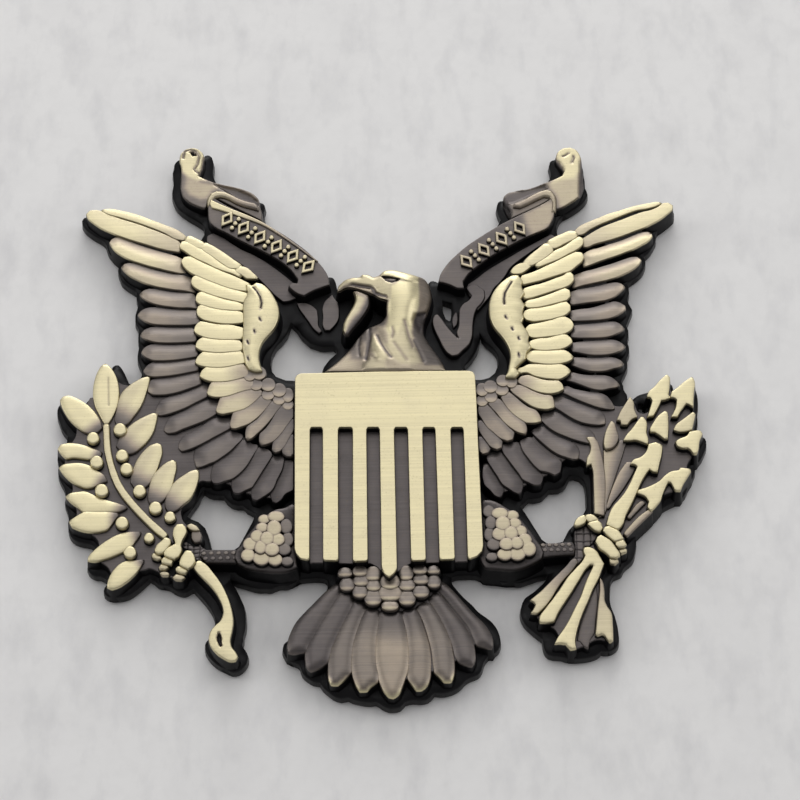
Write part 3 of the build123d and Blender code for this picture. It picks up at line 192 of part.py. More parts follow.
TAIL_FAN_RAISED = [
    (2.7, [(-8.98,-20.53),(-7.91,-20.48),(-7.67,-20.3),(-7.51,-19.92),(-6.27,-17.86),(-4.49,-14.66),(-4.49,-14.42),(-4.61,-14.18),(-4.76,-14.03),(-4.94,-14.03),(-6.26,-15.23),(-6.92,-16.01),(-7.58,-16.67),(-8.33,-17.6),(-8.81,-18.5),(-9.07,-19.26),(-9.18,-20.02),(-9.13,-20.38)]),
    (2.7, [(-7.18,-22.26),(-6.74,-22.13),(-6.2,-21.83),(-5.81,-21.44),(-5.63,-21.08),(-5.39,-20.12),(-5.03,-19.28),(-4.01,-17.24),(-3.45,-15.94),(-3.45,-15.3),(-3.65,-14.96),(-3.9,-14.73),(-4.25,-14.63),(-4.55,-14.9),(-7.37,-19.88),(-7.58,-20.75),(-7.58,-21.11),(-7.52,-21.59),(-7.39,-22.06)]),
    (2.7, [(-5.14,-23.71),(-4.92,-23.71),(-4.73,-23.6),(-4.04,-22.91),(-3.75,-22.54),(-3.62,-20.75),(-3.43,-19.62),(-2.65,-17.22),(-2.31,-16.37),(-2.54,-15.95),(-2.99,-15.65),(-3.29,-15.8),(-3.47,-16.1),(-3.95,-17.24),(-4.57,-18.48),(-5.29,-20.46),(-5.48,-21.53),(-5.48,-23.09),(-5.33,-23.54)]),
    (2.7, [(-2.62,-24.37),(-2.24,-24.29),(-1.9,-23.91),(-1.43,-23.6),(-1.22,-23.09),(-1.4,-22.01),(-1.46,-20.33),(-1.34,-19.01),(-1.1,-17.75),(-1.1,-16.91),(-1.19,-16.7),(-1.49,-16.58),(-2.08,-16.59),(-2.23,-16.74),(-2.59,-17.52),(-3.32,-19.91),(-3.44,-22.19),(-3.25,-23.2),(-3.01,-23.86),(-2.81,-24.2)]),
    (2.7, [(0.13,-25.01),(0.49,-24.74),(0.79,-24.14),(1.41,-22.42),(1.48,-21.77),(1.48,-20.03),(1.36,-19.07),(0.91,-16.94),(0.73,-16.82),(0.49,-16.88),(-0.23,-16.88),(-0.71,-16.82),(-0.89,-16.94),(-0.97,-17.16),(-0.98,-17.63),(-1.22,-19.25),(-1.22,-19.85),(-1.28,-20.09),(-1.28,-21.77),(-1.15,-22.66),(-0.83,-23.78),(-0.49,-24.52),(-0.29,-24.8),(-0.14,-24.95)]),
    (2.7, [(2.42,-24.37),(2.7,-24.31),(2.98,-24.05),(3.27,-23.5),(3.4,-22.79),(3.46,-21.29),(3.27,-19.8),(2.67,-17.58),(2.37,-16.8),(2.11,-16.59),(1.28,-16.77),(1.15,-16.91),(1.41,-17.82),(1.66,-19.43),(1.66,-20.15),(1.72,-20.39),(1.66,-23.33),(1.99,-23.9)]),
    (2.7, [(4.82,-23.59),(5.11,-23.6),(5.26,-23.51),(5.5,-22.91),(5.56,-21.83),(5.44,-20.69),(5.25,-19.62),(4.69,-18.08),(3.87,-16.5),(3.64,-16.25),(3.08,-16),(2.74,-16.19),(2.53,-16.43),(2.83,-17),(3.15,-17.82),(3.63,-19.56),(3.88,-20.87),(4.01,-22.66),(4.12,-22.85)]),
    (2.7, [(6.98,-22.09),(7.21,-22.04),(7.41,-21.7),(7.42,-20.69),(7.29,-19.86),(6.97,-19.04),(6.51,-18.18),(4.69,-15.44),(4.3,-15.11),(4.12,-15.06),(3.67,-15.59),(4.23,-16.56),(4.93,-18.02),(5.73,-20.22),(6.01,-21.38),(6.13,-21.62),(6.34,-21.83)]),
    (2.7, [(8.84,-20.4),(8.95,-20.36),(9.07,-20.18),(9.09,-19.8),(8.83,-18.98),(8.35,-18.2),(7.72,-17.51),(5.5,-14.69),(4.99,-14.18),(4.66,-13.98),(4.49,-14.28),(4.51,-14.6),(5.53,-15.86),(6.75,-17.64),(7.39,-18.74),(7.87,-20.06),(8,-20.17)]),
    (3.2, [(-4.18,-13.39),(-3.95,-13.4),(-3.72,-13.33),(-3.59,-13.22),(-3.51,-13.06),(-3.62,-12.77),(-3.9,-12.57),(-4.13,-12.56),(-4.36,-12.63),(-4.57,-12.84),(-4.55,-13.16),(-4.4,-13.31)]),
    (3.2, [(-3.76,-14.76),(-3.56,-14.69),(-3.39,-14.5),(-3.32,-14.33),(-3.32,-14.03),(-3.38,-13.91),(-3.62,-13.67),(-3.95,-13.58),(-4.16,-13.67),(-4.37,-13.88),(-4.46,-14.27),(-4.22,-14.57)]),
    (3.2, [(-2.86,-13.33),(-2.42,-13.31),(-2.24,-13.19),(-2.13,-13),(-2.13,-12.78),(-2.21,-12.62),(-2.52,-12.39),(-2.9,-12.41),(-3.19,-12.66),(-3.24,-12.84),(-3.19,-13.06),(-3.05,-13.22)]),
    (3.2, [(-2.56,-14.34),(-2.3,-14.27),(-2.12,-14.15),(-2.01,-13.96),(-2.01,-13.74),(-2.12,-13.55),(-2.34,-13.41),(-2.92,-13.41),(-3.13,-13.62),(-3.19,-13.9),(-2.96,-14.21)]),
    (3.2, [(-2.86,-15.49),(-2.48,-15.47),(-2.19,-15.22),(-2.13,-14.82),(-2.21,-14.6),(-2.4,-14.43),(-2.69,-14.36),(-2.92,-14.37),(-3.25,-14.7),(-3.23,-15.14),(-3.05,-15.38)]),
    (3.2, [(-1.6,-13.81),(-1.38,-13.81),(-1.07,-13.64),(-0.93,-13.48),(-0.86,-13.19),(-0.92,-12.95),(-1.22,-12.65),(-1.55,-12.5),(-1.78,-12.57),(-2,-12.77),(-2.12,-13.19),(-2,-13.55)]),
    (3.2, [(-1.6,-14.83),(-1.28,-14.81),(-0.93,-14.5),(-0.93,-14.1),(-1.2,-13.83),(-1.49,-13.88),(-1.72,-13.84),(-1.99,-14.1),(-1.97,-14.54),(-1.76,-14.75)]),
    (3.2, [(-1.66,-16.27),(-1.38,-16.27),(-1.1,-16.13),(-0.87,-15.76),(-0.89,-15.26),(-1.2,-14.91),(-1.76,-14.87),(-2.06,-15.11),(-2.17,-15.3),(-2.21,-15.53),(-2.15,-15.86),(-1.97,-16.1)]),
    (3.2, [(-0.1,-14.71),(0.13,-14.72),(0.4,-14.63),(0.73,-14.36),(0.82,-13.91),(0.75,-13.68),(0.64,-13.55),(0.52,-13.55),(0.13,-13.94),(0.01,-14),(-0.14,-13.97),(-0.5,-13.62),(-0.65,-13.7),(-0.73,-13.97),(-0.65,-14.3),(-0.38,-14.57)]),
    (3.2, [(-0.22,-15.85),(0.3,-15.85),(0.6,-15.73),(0.88,-15.53),(1,-15.11),(0.85,-14.72),(0.61,-14.57),(0.18,-14.77),(-0.05,-14.78),(-0.53,-14.55),(-0.86,-14.81),(-0.95,-15.05),(-0.81,-15.3),(-0.77,-15.56),(-0.64,-15.67)]),
    (3.2, [(-0.22,-16.81),(0.19,-16.82),(0.46,-16.73),(0.61,-16.58),(0.67,-16.4),(0.61,-16.22),(0.4,-16.01),(0.13,-15.92),(-0.16,-15.93),(-0.5,-16.07),(-0.65,-16.34),(-0.61,-16.54),(-0.44,-16.73)]),
    (3.2, [(1.34,-13.81),(1.72,-13.79),(1.9,-13.67),(2.01,-13.48),(2.08,-13.25),(2.07,-12.96),(1.93,-12.68),(1.8,-12.58),(1.36,-12.77),(0.96,-13.14),(1.07,-13.54)]),
    (3.2, [(1.34,-14.83),(1.8,-14.83),(2.02,-14.75),(2.11,-14.66),(2.2,-14.45),(2.19,-14.16),(1.96,-13.91),(1.8,-13.84),(1.27,-13.88),(1.03,-14.06),(0.96,-14.28),(1.01,-14.56),(1.15,-14.72)]),
    (3.2, [(1.4,-16.33),(1.78,-16.31),(1.93,-16.22),(2.19,-15.94),(2.24,-15.7),(2.19,-15.42),(2.02,-15.17),(1.8,-15.03),(1.39,-15.02),(1.22,-15.09),(1.09,-15.2),(0.89,-15.6),(0.97,-15.98),(1.21,-16.22)]),
    (3.2, [(2.72,-13.27),(2.89,-13.28),(3.16,-13.19),(3.33,-12.94),(3.31,-12.68),(3,-12.45),(2.56,-12.47),(2.38,-12.59),(2.27,-12.78),(2.38,-13.07),(2.5,-13.19)]),
    (3.2, [(2.9,-14.29),(3.24,-14.17),(3.4,-14.03),(3.46,-13.73),(3.24,-13.47),(2.83,-13.34),(2.41,-13.52),(2.28,-13.84),(2.5,-14.15)]),
    (3.2, [(2.84,-15.61),(3.28,-15.47),(3.46,-15.17),(3.45,-14.88),(3.37,-14.72),(3.24,-14.61),(2.95,-14.48),(2.72,-14.49),(2.44,-14.63),(2.29,-14.78),(2.22,-15),(2.27,-15.28),(2.41,-15.44)]),
    (3.2, [(3.92,-13.27),(4.14,-13.27),(4.36,-13.19),(4.45,-13.1),(4.47,-12.78),(4.36,-12.65),(4.2,-12.57),(3.91,-12.56),(3.61,-12.74),(3.61,-13.04)]),
    (3.2, [(3.92,-14.65),(4.2,-14.65),(4.36,-14.51),(4.54,-13.97),(4.48,-13.73),(4.3,-13.55),(4.09,-13.46),(3.82,-13.55),(3.58,-13.85),(3.59,-14.32)]),
]

# left leg and claw: ground outline, holes in the ground, and raised areas as (height, outline)
LEFT_LEG_GROUND = [(-19.36,-13.57),(-19.02,-13.57),(-18.56,-13.19),(-18.29,-12.56),(-17.93,-12.26),(-18.01,-11.94),(-17.83,-11.64),(-17.45,-11.33),(-16.78,-11.83),(-14.34,-11.97),(-13.1,-12.71),(-11.69,-13.04),(-10.67,-13.16),(-9.41,-13.1),(-8.48,-12.65),(-8.31,-12.46),(-8.3,-11.87),(-8.57,-11.36),(-8.72,-10.85),(-8.75,-6.08),(-8.9,-5.93),(-9.04,-5.91),(-9.66,-6.25),(-10.4,-6.41),(-11.3,-6.95),(-12.26,-7.85),(-13.31,-9.26),(-13.7,-9.95),(-14.03,-10.1),(-16.37,-10.04),(-16.66,-9.97),(-17.11,-9.58),(-17.16,-9.36),(-17.07,-8.81),(-17.13,-8.58),(-17.39,-8.06),(-17.78,-7.67),(-18.08,-7.49),(-18.29,-7.46),(-18.89,-7.67),(-19.58,-7.67),(-20.03,-8.24),(-20.15,-8.9),(-20.39,-8.99),(-20.56,-8.97),(-20.81,-9.14),(-21.53,-9.86),(-21.75,-10.36),(-22.03,-10.73),(-21.86,-11.15),(-21.33,-11.52),(-21.27,-11.75),(-21.32,-12.05),(-21.2,-12.59),(-20.9,-12.83),(-20.06,-13.07),(-19.82,-13.31)]
LEFT_LEG_HOLES = [
]
LEFT_LEG_RAISED = [
    (3.7, [(-10.72,-12.91),(-10.01,-12.92),(-9.24,-12.85),(-8.72,-12.65),(-8.55,-12.46),(-8.54,-11.45),(-8.72,-10.79),(-8.72,-6.41),(-8.75,-6.26),(-8.88,-6.15),(-8.98,-6.15),(-9.6,-6.49),(-10.3,-6.63),(-10.54,-6.75),(-11.24,-7.19),(-11.69,-7.58),(-12.05,-7.94),(-13.07,-9.32),(-13.59,-10.3),(-13.91,-10.64),(-13.99,-10.8),(-14.06,-11.15),(-14.05,-11.56),(-13.87,-11.92),(-13.7,-12.11),(-13,-12.49),(-11.63,-12.8)]),
    (2.9, [(-14.92,-11.71),(-14.33,-11.72),(-14.15,-11.6),(-14.05,-10.8),(-13.85,-10.49),(-13.94,-10.37),(-14.87,-10.34),(-15.11,-10.28),(-16.91,-10.28),(-17.06,-10.31),(-17.17,-10.44),(-17.34,-10.96),(-16.82,-11.57)]),
    (2.5, [(-17.56,-11.23),(-17.46,-11.23),(-17.34,-11.12),(-17.4,-10.92),(-17.23,-10.44),(-16.96,-10.12),(-17,-10.01),(-17.46,-9.75),(-18.02,-9.65),(-18.71,-9.23),(-19.07,-9.38),(-19.14,-9.52),(-18.98,-9.89),(-18.53,-10.16),(-17.96,-10.91),(-17.72,-11.15)]),
    (3.3, [(-19.42,-10.03),(-19.32,-10.03),(-19.19,-9.92),(-19.13,-9.71),(-19.2,-9.48),(-18.89,-9.14),(-18.68,-8.57),(-18.77,-8.18),(-19.01,-7.94),(-19.13,-7.88),(-19.52,-7.91),(-19.75,-8.22),(-19.82,-8.39),(-19.81,-8.92),(-19.57,-9.88)]),
    (3.3, [(-19.73,-11.33),(-19.55,-11.24),(-19.31,-11),(-19.1,-10.37),(-19.13,-10.22),(-19.22,-10.13),(-19.42,-10.09),(-19.67,-9.93),(-20.3,-10.25),(-20.54,-10.49),(-20.64,-10.68),(-20.59,-10.9),(-20.48,-11.03)]),
    (3.3, [(-21.22,-10.75),(-21.05,-10.76),(-20.78,-10.67),(-20.51,-10.4),(-20.25,-10),(-20.13,-9.76),(-20.12,-9.53),(-20.3,-9.29),(-20.6,-9.23),(-21.31,-9.96),(-21.47,-10.37),(-21.41,-10.58)]),
    (3, [(-21.29,-11.21),(-21.11,-11.12),(-21.06,-11),(-21.24,-10.83),(-21.62,-10.68),(-21.73,-10.8),(-21.71,-10.94),(-21.56,-11.09)]),
    (3.1, [(-20.38,-11.77),(-20.06,-11.75),(-19.95,-11.62),(-19.95,-11.46),(-20.16,-11.25),(-20.66,-11.1),(-20.83,-11.28),(-20.83,-11.5),(-20.68,-11.65)]),
    (2.9, [(-20.86,-12.19),(-20.58,-12.19),(-20.42,-12.05),(-20.4,-11.96),(-20.58,-11.79),(-20.9,-11.76),(-21.06,-11.98)]),
    (3.3, [(-18.41,-12.35),(-18.08,-12.05),(-17.91,-11.8),(-17.84,-11.45),(-17.93,-11.06),(-18.11,-10.76),(-18.24,-10.65),(-18.47,-10.58),(-18.62,-10.61),(-18.74,-10.73),(-19.03,-11.22),(-19.16,-11.81),(-19.13,-11.96),(-19.04,-12.05)]),
    (3.1, [(-18.94,-12.73),(-18.77,-12.74),(-18.65,-12.68),(-18.57,-12.58),(-18.59,-12.44),(-18.74,-12.29),(-18.98,-12.17),(-19.25,-12.08),(-19.4,-12.11),(-19.51,-12.24),(-19.49,-12.38),(-19.22,-12.65)]),
    (2.9, [(-19.3,-13.33),(-19.04,-13.31),(-18.84,-13.1),(-18.84,-13.04),(-19.02,-12.87),(-19.37,-12.8),(-19.58,-12.83),(-19.73,-12.98),(-19.73,-13.1),(-19.58,-13.25)]),
    (3, [(-17.86,-8.35),(-17.72,-8.33),(-17.62,-8.2),(-17.84,-7.91),(-18.23,-7.7),(-18.38,-7.73),(-18.52,-7.88),(-18.5,-7.97),(-18.26,-8.21)]),
    (2.8, [(-17.86,-9.43),(-17.58,-9.43),(-17.37,-9.22),(-17.33,-8.78),(-17.45,-8.48),(-17.63,-8.33),(-17.76,-8.41),(-17.98,-8.38),(-18.13,-8.52),(-18.13,-9.1)]),
]

# right leg and claw: ground outline, holes in the ground, and raised areas as (height, outline)
RIGHT_LEG_GROUND = [(11.6,-13.33),(12.3,-13.21),(12.82,-13.01),(13.84,-12.47),(14.2,-12.05),(14.89,-11.9),(16.08,-11.85),(16.3,-11.93),(16.48,-12.1),(16.63,-12.05),(16.84,-12.35),(17.22,-12.66),(17.59,-12.32),(17.95,-11.66),(17.87,-10.98),(17.98,-10.79),(18.13,-10.76),(18.67,-10.77),(18.94,-10.85),(19.12,-11.15),(19.93,-11.96),(20.14,-12.65),(20.42,-12.85),(20.7,-12.85),(21.13,-12.5),(21.4,-11.81),(21.82,-11.63),(21.97,-11.48),(22.06,-11.21),(21.99,-10.62),(21.57,-9.66),(21.25,-9.26),(21.04,-9.23),(19.9,-8.63),(19.63,-8.36),(19.3,-7.79),(18.79,-7.46),(18.37,-7.46),(17.78,-7.59),(17.14,-8.09),(16.91,-8.58),(16.96,-9.11),(16.89,-9.64),(16.78,-9.89),(16.51,-9.98),(15.85,-10.04),(13.87,-10.13),(13.7,-10.09),(12.61,-8.36),(11.77,-7.28),(10.48,-6.35),(9.7,-5.93),(8.84,-5.85),(8.65,-6.02),(8.62,-6.17),(8.68,-6.65),(8.68,-11.09),(8.59,-11.48),(8.27,-11.94),(8.27,-12.46),(8.53,-12.74),(8.72,-12.85),(10.75,-13.28)]
RIGHT_LEG_HOLES = [
]
RIGHT_LEG_RAISED = [
    (3.7, [(11.12,-13.21),(12.42,-12.91),(13.78,-12.23),(13.93,-12.02),(14.07,-11.62),(14.01,-11.22),(13.93,-11),(12.99,-9.36),(11.86,-7.73),(11.5,-7.37),(10.42,-6.59),(9.84,-6.27),(9.55,-6.14),(8.9,-6.09),(8.74,-6.23),(8.68,-6.35),(8.68,-11.03),(8.5,-11.69),(8.51,-12.4),(8.74,-12.77),(8.96,-12.91),(9.55,-13.04),(9.97,-13.04)]),
    (2.9, [(14.3,-11.71),(16.86,-11.53),(17.02,-11.33),(17.08,-10.85),(17.05,-10.46),(16.9,-10.25),(16.75,-10.22),(14.12,-10.35),(13.97,-10.5),(13.9,-10.85),(14.15,-11.56)]),
    (2.6, [(17.06,-12.54),(17.17,-12.5),(17.74,-11.93),(17.95,-11.66),(17.97,-11.57),(17.87,-11.26),(17.86,-11.03),(18.05,-10.62),(18.55,-10.52),(18.97,-10.04),(19.27,-9.5),(19.24,-9.41),(18.55,-8.72),(18.16,-8.45),(17.36,-8.67),(17.21,-8.82),(17.08,-10.01),(17.14,-10.25),(17.14,-10.85),(17.08,-11.33),(16.99,-11.6),(16.63,-11.99),(16.81,-12.32)]),
    (3.3, [(17.36,-8.59),(17.52,-8.59),(18.07,-8.36),(18.21,-8.14),(18.16,-7.91),(18.01,-7.79),(17.65,-7.94),(17.23,-8.42),(17.24,-8.48)]),
    (3.3, [(18.56,-8.41),(18.72,-8.41),(19.06,-8.27),(19.2,-8.06),(18.97,-7.82),(18.78,-7.71),(18.34,-7.73),(18.24,-7.86),(18.29,-8.14)]),
    (3.3, [(19.39,-9.41),(19.51,-9.32),(19.65,-9.04),(19.54,-8.57),(19.36,-8.39),(19.21,-8.36),(18.8,-8.43),(18.61,-8.54),(18.55,-8.63),(18.58,-8.69),(19.21,-9.32)]),
    (3.3, [(20.77,-10.43),(21.24,-10.33),(21.46,-10.19),(21.49,-10.1),(21.33,-9.72),(21.07,-9.38),(20.58,-9.09),(20.29,-8.96),(20,-9.03),(19.85,-9.18),(19.81,-9.38),(20.08,-9.77)]),
    (3.2, [(21.14,-10.99),(21.54,-10.99),(21.73,-10.82),(21.73,-10.64),(21.52,-10.37),(21.37,-10.34),(21.08,-10.41),(20.9,-10.58),(20.95,-10.82)]),
    (3.3, [(20.66,-12.13),(20.88,-12.07),(21.07,-11.9),(21.1,-11.69),(21.03,-11.52),(20.44,-10.55),(20.11,-10.22),(19.72,-9.95),(19.56,-9.87),(19.42,-9.89),(19.15,-10.16),(19.06,-10.37),(19.07,-10.54),(19.31,-11.02),(20.29,-12.02)]),
    (3, [(20.48,-12.61),(20.74,-12.59),(20.89,-12.44),(20.89,-12.32),(20.8,-12.23),(20.58,-12.15),(20.38,-12.17),(20.27,-12.3),(20.27,-12.4)]),
]

# heads and shafts of the arrows above the claw: ground outline, holes in the ground, and raised areas as (height, outline)
ARROW_BUNDLE_GROUND = [(21.92,-9.97),(22.09,-9.92),(22.72,-9.23),(22.81,-8.84),(23.26,-8.45),(24.58,-6.83),(25.54,-5.93),(25.96,-5.03),(26.17,-4.97),(26.34,-5.01),(26.7,-5.34),(27.34,-4.97),(27.58,-4.73),(27.79,-4.4),(28.09,-3.56),(28.39,-3.08),(28.36,-2.93),(28.12,-2.75),(27.43,-2.66),(27.28,-2.69),(27.06,-2.89),(26.36,-3.03),(25.8,-3.36),(25.49,-3.22),(25.44,-3),(25.9,-1.31),(25.96,-0.83),(25.92,-0.36),(26.02,-0.11),(26.38,0.01),(26.59,0.22),(26.57,0.54),(26.68,0.79),(26.95,0.91),(27.12,0.87),(27.31,0.76),(27.37,0.58),(27.28,0.31),(26.92,0.13),(26.77,-0.05),(27.01,-0.68),(27.16,-0.83),(27.62,-1.03),(28.18,-1.13),(28.64,-1.68),(29.31,-1.06),(29.45,-0.24),(29.8,0.67),(29.68,0.97),(29.11,1.36),(29.02,1.63),(29.32,2.77),(29.11,3.31),(29.2,3.61),(29.2,4.15),(29.44,5.95),(29.43,6.48),(29.22,6.69),(28.78,6.67),(27.6,5.7),(27.17,6.02),(27.1,6.25),(27.16,6.79),(26.98,7.02),(26.42,6.93),(25.9,6.61),(24.62,5.2),(24.87,4.86),(24.85,4.51),(24.91,4.27),(24.49,2.98),(24.18,2.81),(23.9,2.87),(23.77,2.98),(23.62,3.49),(23.53,4.42),(23.23,4.84),(22.96,4.92),(22.69,4.66),(22.01,3.54),(21.55,2.56),(21.1,2.47),(20.83,2.14),(20.47,1.42),(20.2,0.67),(19.93,0.55),(19.6,0.61),(19.24,0.25),(19,0.19),(18.84,-0),(18.88,-0.23),(18.82,-0.77),(18.47,-1.56),(18.4,-2.21),(18.55,-2.48),(18.91,-2.66),(19,-2.93),(18.89,-7.3),(19.16,-7.57),(19.9,-7.91),(20.01,-8.16),(19.97,-8.39),(20.02,-8.51),(20.24,-8.71),(20.9,-9.07),(21.28,-9.17)]
ARROW_BUNDLE_HOLES = [
    [(24.66,-4.33),(25.06,-4.07),(25.15,-3.83),(25.06,-3.59),(24.61,-3.44),(24.22,-3.59),(23.95,-4.19),(24.01,-4.4),(24.25,-4.49)],
    [(23.1,-1.75),(23.58,-1.57),(23.86,-1.31),(24.19,-0.68),(24.1,-0.41),(23.29,-0.08),(22.87,-0.08),(22.57,-0.2),(22.21,-1.4),(22.3,-1.61),(22.88,-1.75)],
    [(25.36,0.07),(25.45,0.31),(25.33,0.58),(24.97,0.73),(24.73,0.64),(24.67,0.43),(24.79,0.1),(25.04,-0.01)],
    [(22.45,0.88),(22.63,1.27),(22.51,1.54),(22.21,1.65),(21.91,1.54),(21.82,1.21),(21.91,0.88),(22.16,0.78)],
    [(27.01,3.34),(27.19,4.03),(27.1,4.27),(26.88,4.34),(26.14,4.09),(25.98,3.78),(26.08,3.49),(26.71,3.19)],
]
ARROW_BUNDLE_RAISED = [
    (2.8, [(19.76,-7.5),(19.9,-7.43),(19.96,-7.31),(20.2,-2.69),(20.08,-1.49),(19.83,-0.12),(19.63,0.34),(19.46,0.44),(19.08,0.06),(19.12,-0.29),(19.06,-0.89),(18.71,-1.62),(18.67,-2.09),(18.79,-2.21),(18.98,-2.14),(19.09,-2.18),(19.24,-2.87),(19.13,-7.18),(19.3,-7.37)]),
    (3, [(22.4,1.85),(22.63,1.9),(23,2.37),(23.38,2.59),(23.55,2.78),(23.38,3.43),(23.31,4.32),(23.17,4.6),(23.05,4.69),(22.93,4.6),(22.25,3.48),(21.83,2.58),(21.85,2.44),(22.05,2.28),(22.15,2.02)]),
    (3, [(20.6,-0.66),(21.1,-0.53),(21.4,-0.23),(21.69,0.56),(21.45,1.98),(21.24,2.18),(21.07,2.08),(20.71,1.36),(20.45,0.54),(20.38,-0.23),(20.45,-0.52)]),
    (3.1, [(24.31,-0.23),(24.43,-0.14),(24.46,0.01),(24.34,0.85),(24.34,2.23),(24.16,2.47),(24.02,2.54),(23.83,2.38),(22.99,1.18),(22.45,0.58),(22.33,0.31),(22.51,0.16),(23.4,0.15)]),
    (3.1, [(26.06,0.23),(26.2,0.25),(26.31,0.38),(26.44,1.33),(26.5,2.89),(26.44,3.01),(26.29,3.13),(26.14,3.07),(25.6,2.59),(24.78,1.32),(24.91,1.06),(25.36,0.85)]),
    (3.1, [(24.86,2.69),(25.02,2.69),(25.15,2.8),(25.53,3.44),(25.93,4.3),(26.44,4.45),(26.76,4.66),(26.68,5.11),(26.86,6.01),(26.92,6.67),(26.89,6.82),(26.74,6.96),(26.47,6.88),(25.84,6.25),(24.79,5.02),(24.8,4.96),(25.05,4.68),(25.18,4.33),(24.72,2.88)]),
    (3.1, [(27.14,2.57),(27.3,2.57),(27.4,2.65),(27.85,3.4),(28.3,3.96),(28.81,3.73),(28.95,3.86),(29.2,6.01),(29.19,6.48),(28.98,6.68),(28.36,6.31),(27.05,5.16),(26.99,4.87),(27.01,4.78),(27.43,4.48),(27.52,4.33),(27.33,3.44),(27,2.76)]),
    (3, [(27.37,1.03),(28.26,1.07),(28.48,1.15),(28.66,1.33),(29.06,2.78),(28.99,2.92),(28.87,2.97),(28.78,2.95),(27.28,1.69),(27.06,1.28),(27.19,1.12)]),
    (3.1, [(28.76,-1.44),(28.9,-1.37),(29.01,-1.18),(29.21,-0.18),(29.55,0.62),(29.49,0.84),(29.34,0.99),(28.48,0.85),(28.12,0.43),(27.46,0.13),(27.12,-0.18),(27.19,-0.44),(27.4,-0.65),(27.73,-0.8),(28.12,-0.78),(28.42,-1.01)]),
    (3.2, [(21.02,-9.13),(21.19,-9.08),(21.55,-8.66),(21.85,-7.82),(22.87,-5.78),(23.17,-5.06),(23.95,-3.56),(24.4,-3),(24.68,-3.19),(24.97,-3.29),(25.15,-3.08),(25.65,-1.3),(25.72,-0.77),(25.66,-0.53),(25.26,-0.27),(25.04,-0.27),(24.61,-0.44),(24.49,-0.56),(24.37,-0.92),(24.07,-1.46),(23.68,-1.79),(23.12,-2.01),(22.88,-2.24),(22.9,-2.33),(23.29,-2.66),(23.29,-2.9),(22.47,-4.66),(21.91,-5.6),(20.75,-7.02),(20.27,-8.16),(20.2,-8.45),(20.23,-8.66)]),
    (3, [(24.31,-7.13),(25.21,-6.2),(25.63,-5.12),(26.07,-4.3),(26.28,-4.29),(26.38,-4.37),(26.65,-5),(26.86,-5.2),(27.04,-5.15),(27.22,-4.97),(27.41,-4.56),(28.21,-3.26),(28.21,-3.14),(28.09,-3.02),(27.43,-2.9),(27.13,-3.14),(26.42,-3.27),(25.93,-3.62),(25.32,-4.21),(24.52,-4.67),(23.38,-5.09),(23.2,-5.21),(23.18,-5.3),(23.26,-5.39),(23.97,-5.82),(24.2,-6.3),(24.06,-6.82),(24.16,-7.01)]),
    (2.8, [(21.97,-9.71),(23.56,-8.09),(24.09,-7.42),(24.13,-7.31),(24.07,-7.22),(23.98,-7.2),(23.35,-7.64),(22.06,-8.99),(21.72,-9.42),(21.76,-9.53)]),
    (2.7, [(22.33,-7.85),(23.56,-6.59),(23.76,-6.32),(23.62,-6.11),(23.54,-6.1),(23.29,-6.26),(22.84,-6.71),(22.39,-7.28),(22.15,-7.67)]),
    (2.6, [(20.23,-5.93),(20.37,-5.8),(22.05,-1.06),(22.39,0.13),(22.2,0.33),(21.97,0.34),(21.85,0.28),(21.51,-0.22),(21.1,-0.59),(20.64,-0.72),(20.47,-0.65),(20.33,-0.78),(20.26,-1.55),(20.26,-3.29),(20.2,-3.53),(20.2,-4.37),(20.14,-4.61),(20.14,-5.51),(20.09,-5.75)]),
    (2.6, [(20.41,-6.71),(20.53,-6.62),(20.77,-6.2),(21.91,-4.7),(22.65,-3.52),(23.09,-2.7),(23.1,-2.6),(22.82,-2.3),(22.88,-2.1),(22.74,-1.95),(22.46,-1.95),(22.33,-2.06),(21.83,-2.76),(21.19,-3.98),(20.69,-5.22),(20.27,-6.48),(20.29,-6.62)]),
]

# arrow shafts and vanes below the claw: ground outline, holes in the ground, and raised areas as (height, outline)
ARROW_TAILS_GROUND = [(16.28,-21.01),(16.74,-21.01),(17.02,-20.75),(17.29,-20.67),(17.72,-20.83),(17.92,-20.81),(18.09,-20.62),(18.31,-19.88),(18.56,-19.78),(19.02,-19.78),(19.24,-19.85),(19.48,-20.21),(19.69,-20.36),(20.1,-20.29),(20.31,-20.08),(20.38,-19.25),(20.32,-17.33),(19.93,-16.58),(19.79,-16.12),(19.78,-14.93),(19.65,-14.04),(19.49,-13.61),(19.89,-12.64),(19.9,-12.47),(19.57,-11.72),(18.7,-10.85),(18.14,-10.83),(17.95,-11),(17.92,-11.15),(18.03,-11.68),(17.65,-12.38),(17.35,-12.68),(17.12,-12.73),(16.6,-12.23),(16.3,-12.17),(14.86,-13.73),(12.59,-15.9),(12.61,-16.04),(12.85,-16.28),(12.91,-16.49),(12.59,-17.26),(12.82,-17.51),(13.21,-17.66),(13.3,-17.93),(13.31,-18.34),(13.57,-18.56),(14.41,-18.56),(14.92,-18.41),(15.09,-18.22),(15.41,-17.52),(16.21,-16.22),(16.45,-16.13),(16.69,-16.22),(16.75,-16.43),(16.71,-16.6),(15.99,-18.04),(14.87,-19.74),(14.57,-20.39),(14.78,-20.65),(15.3,-20.61),(15.72,-20.73),(15.98,-20.95)]
ARROW_TAILS_HOLES = [
]
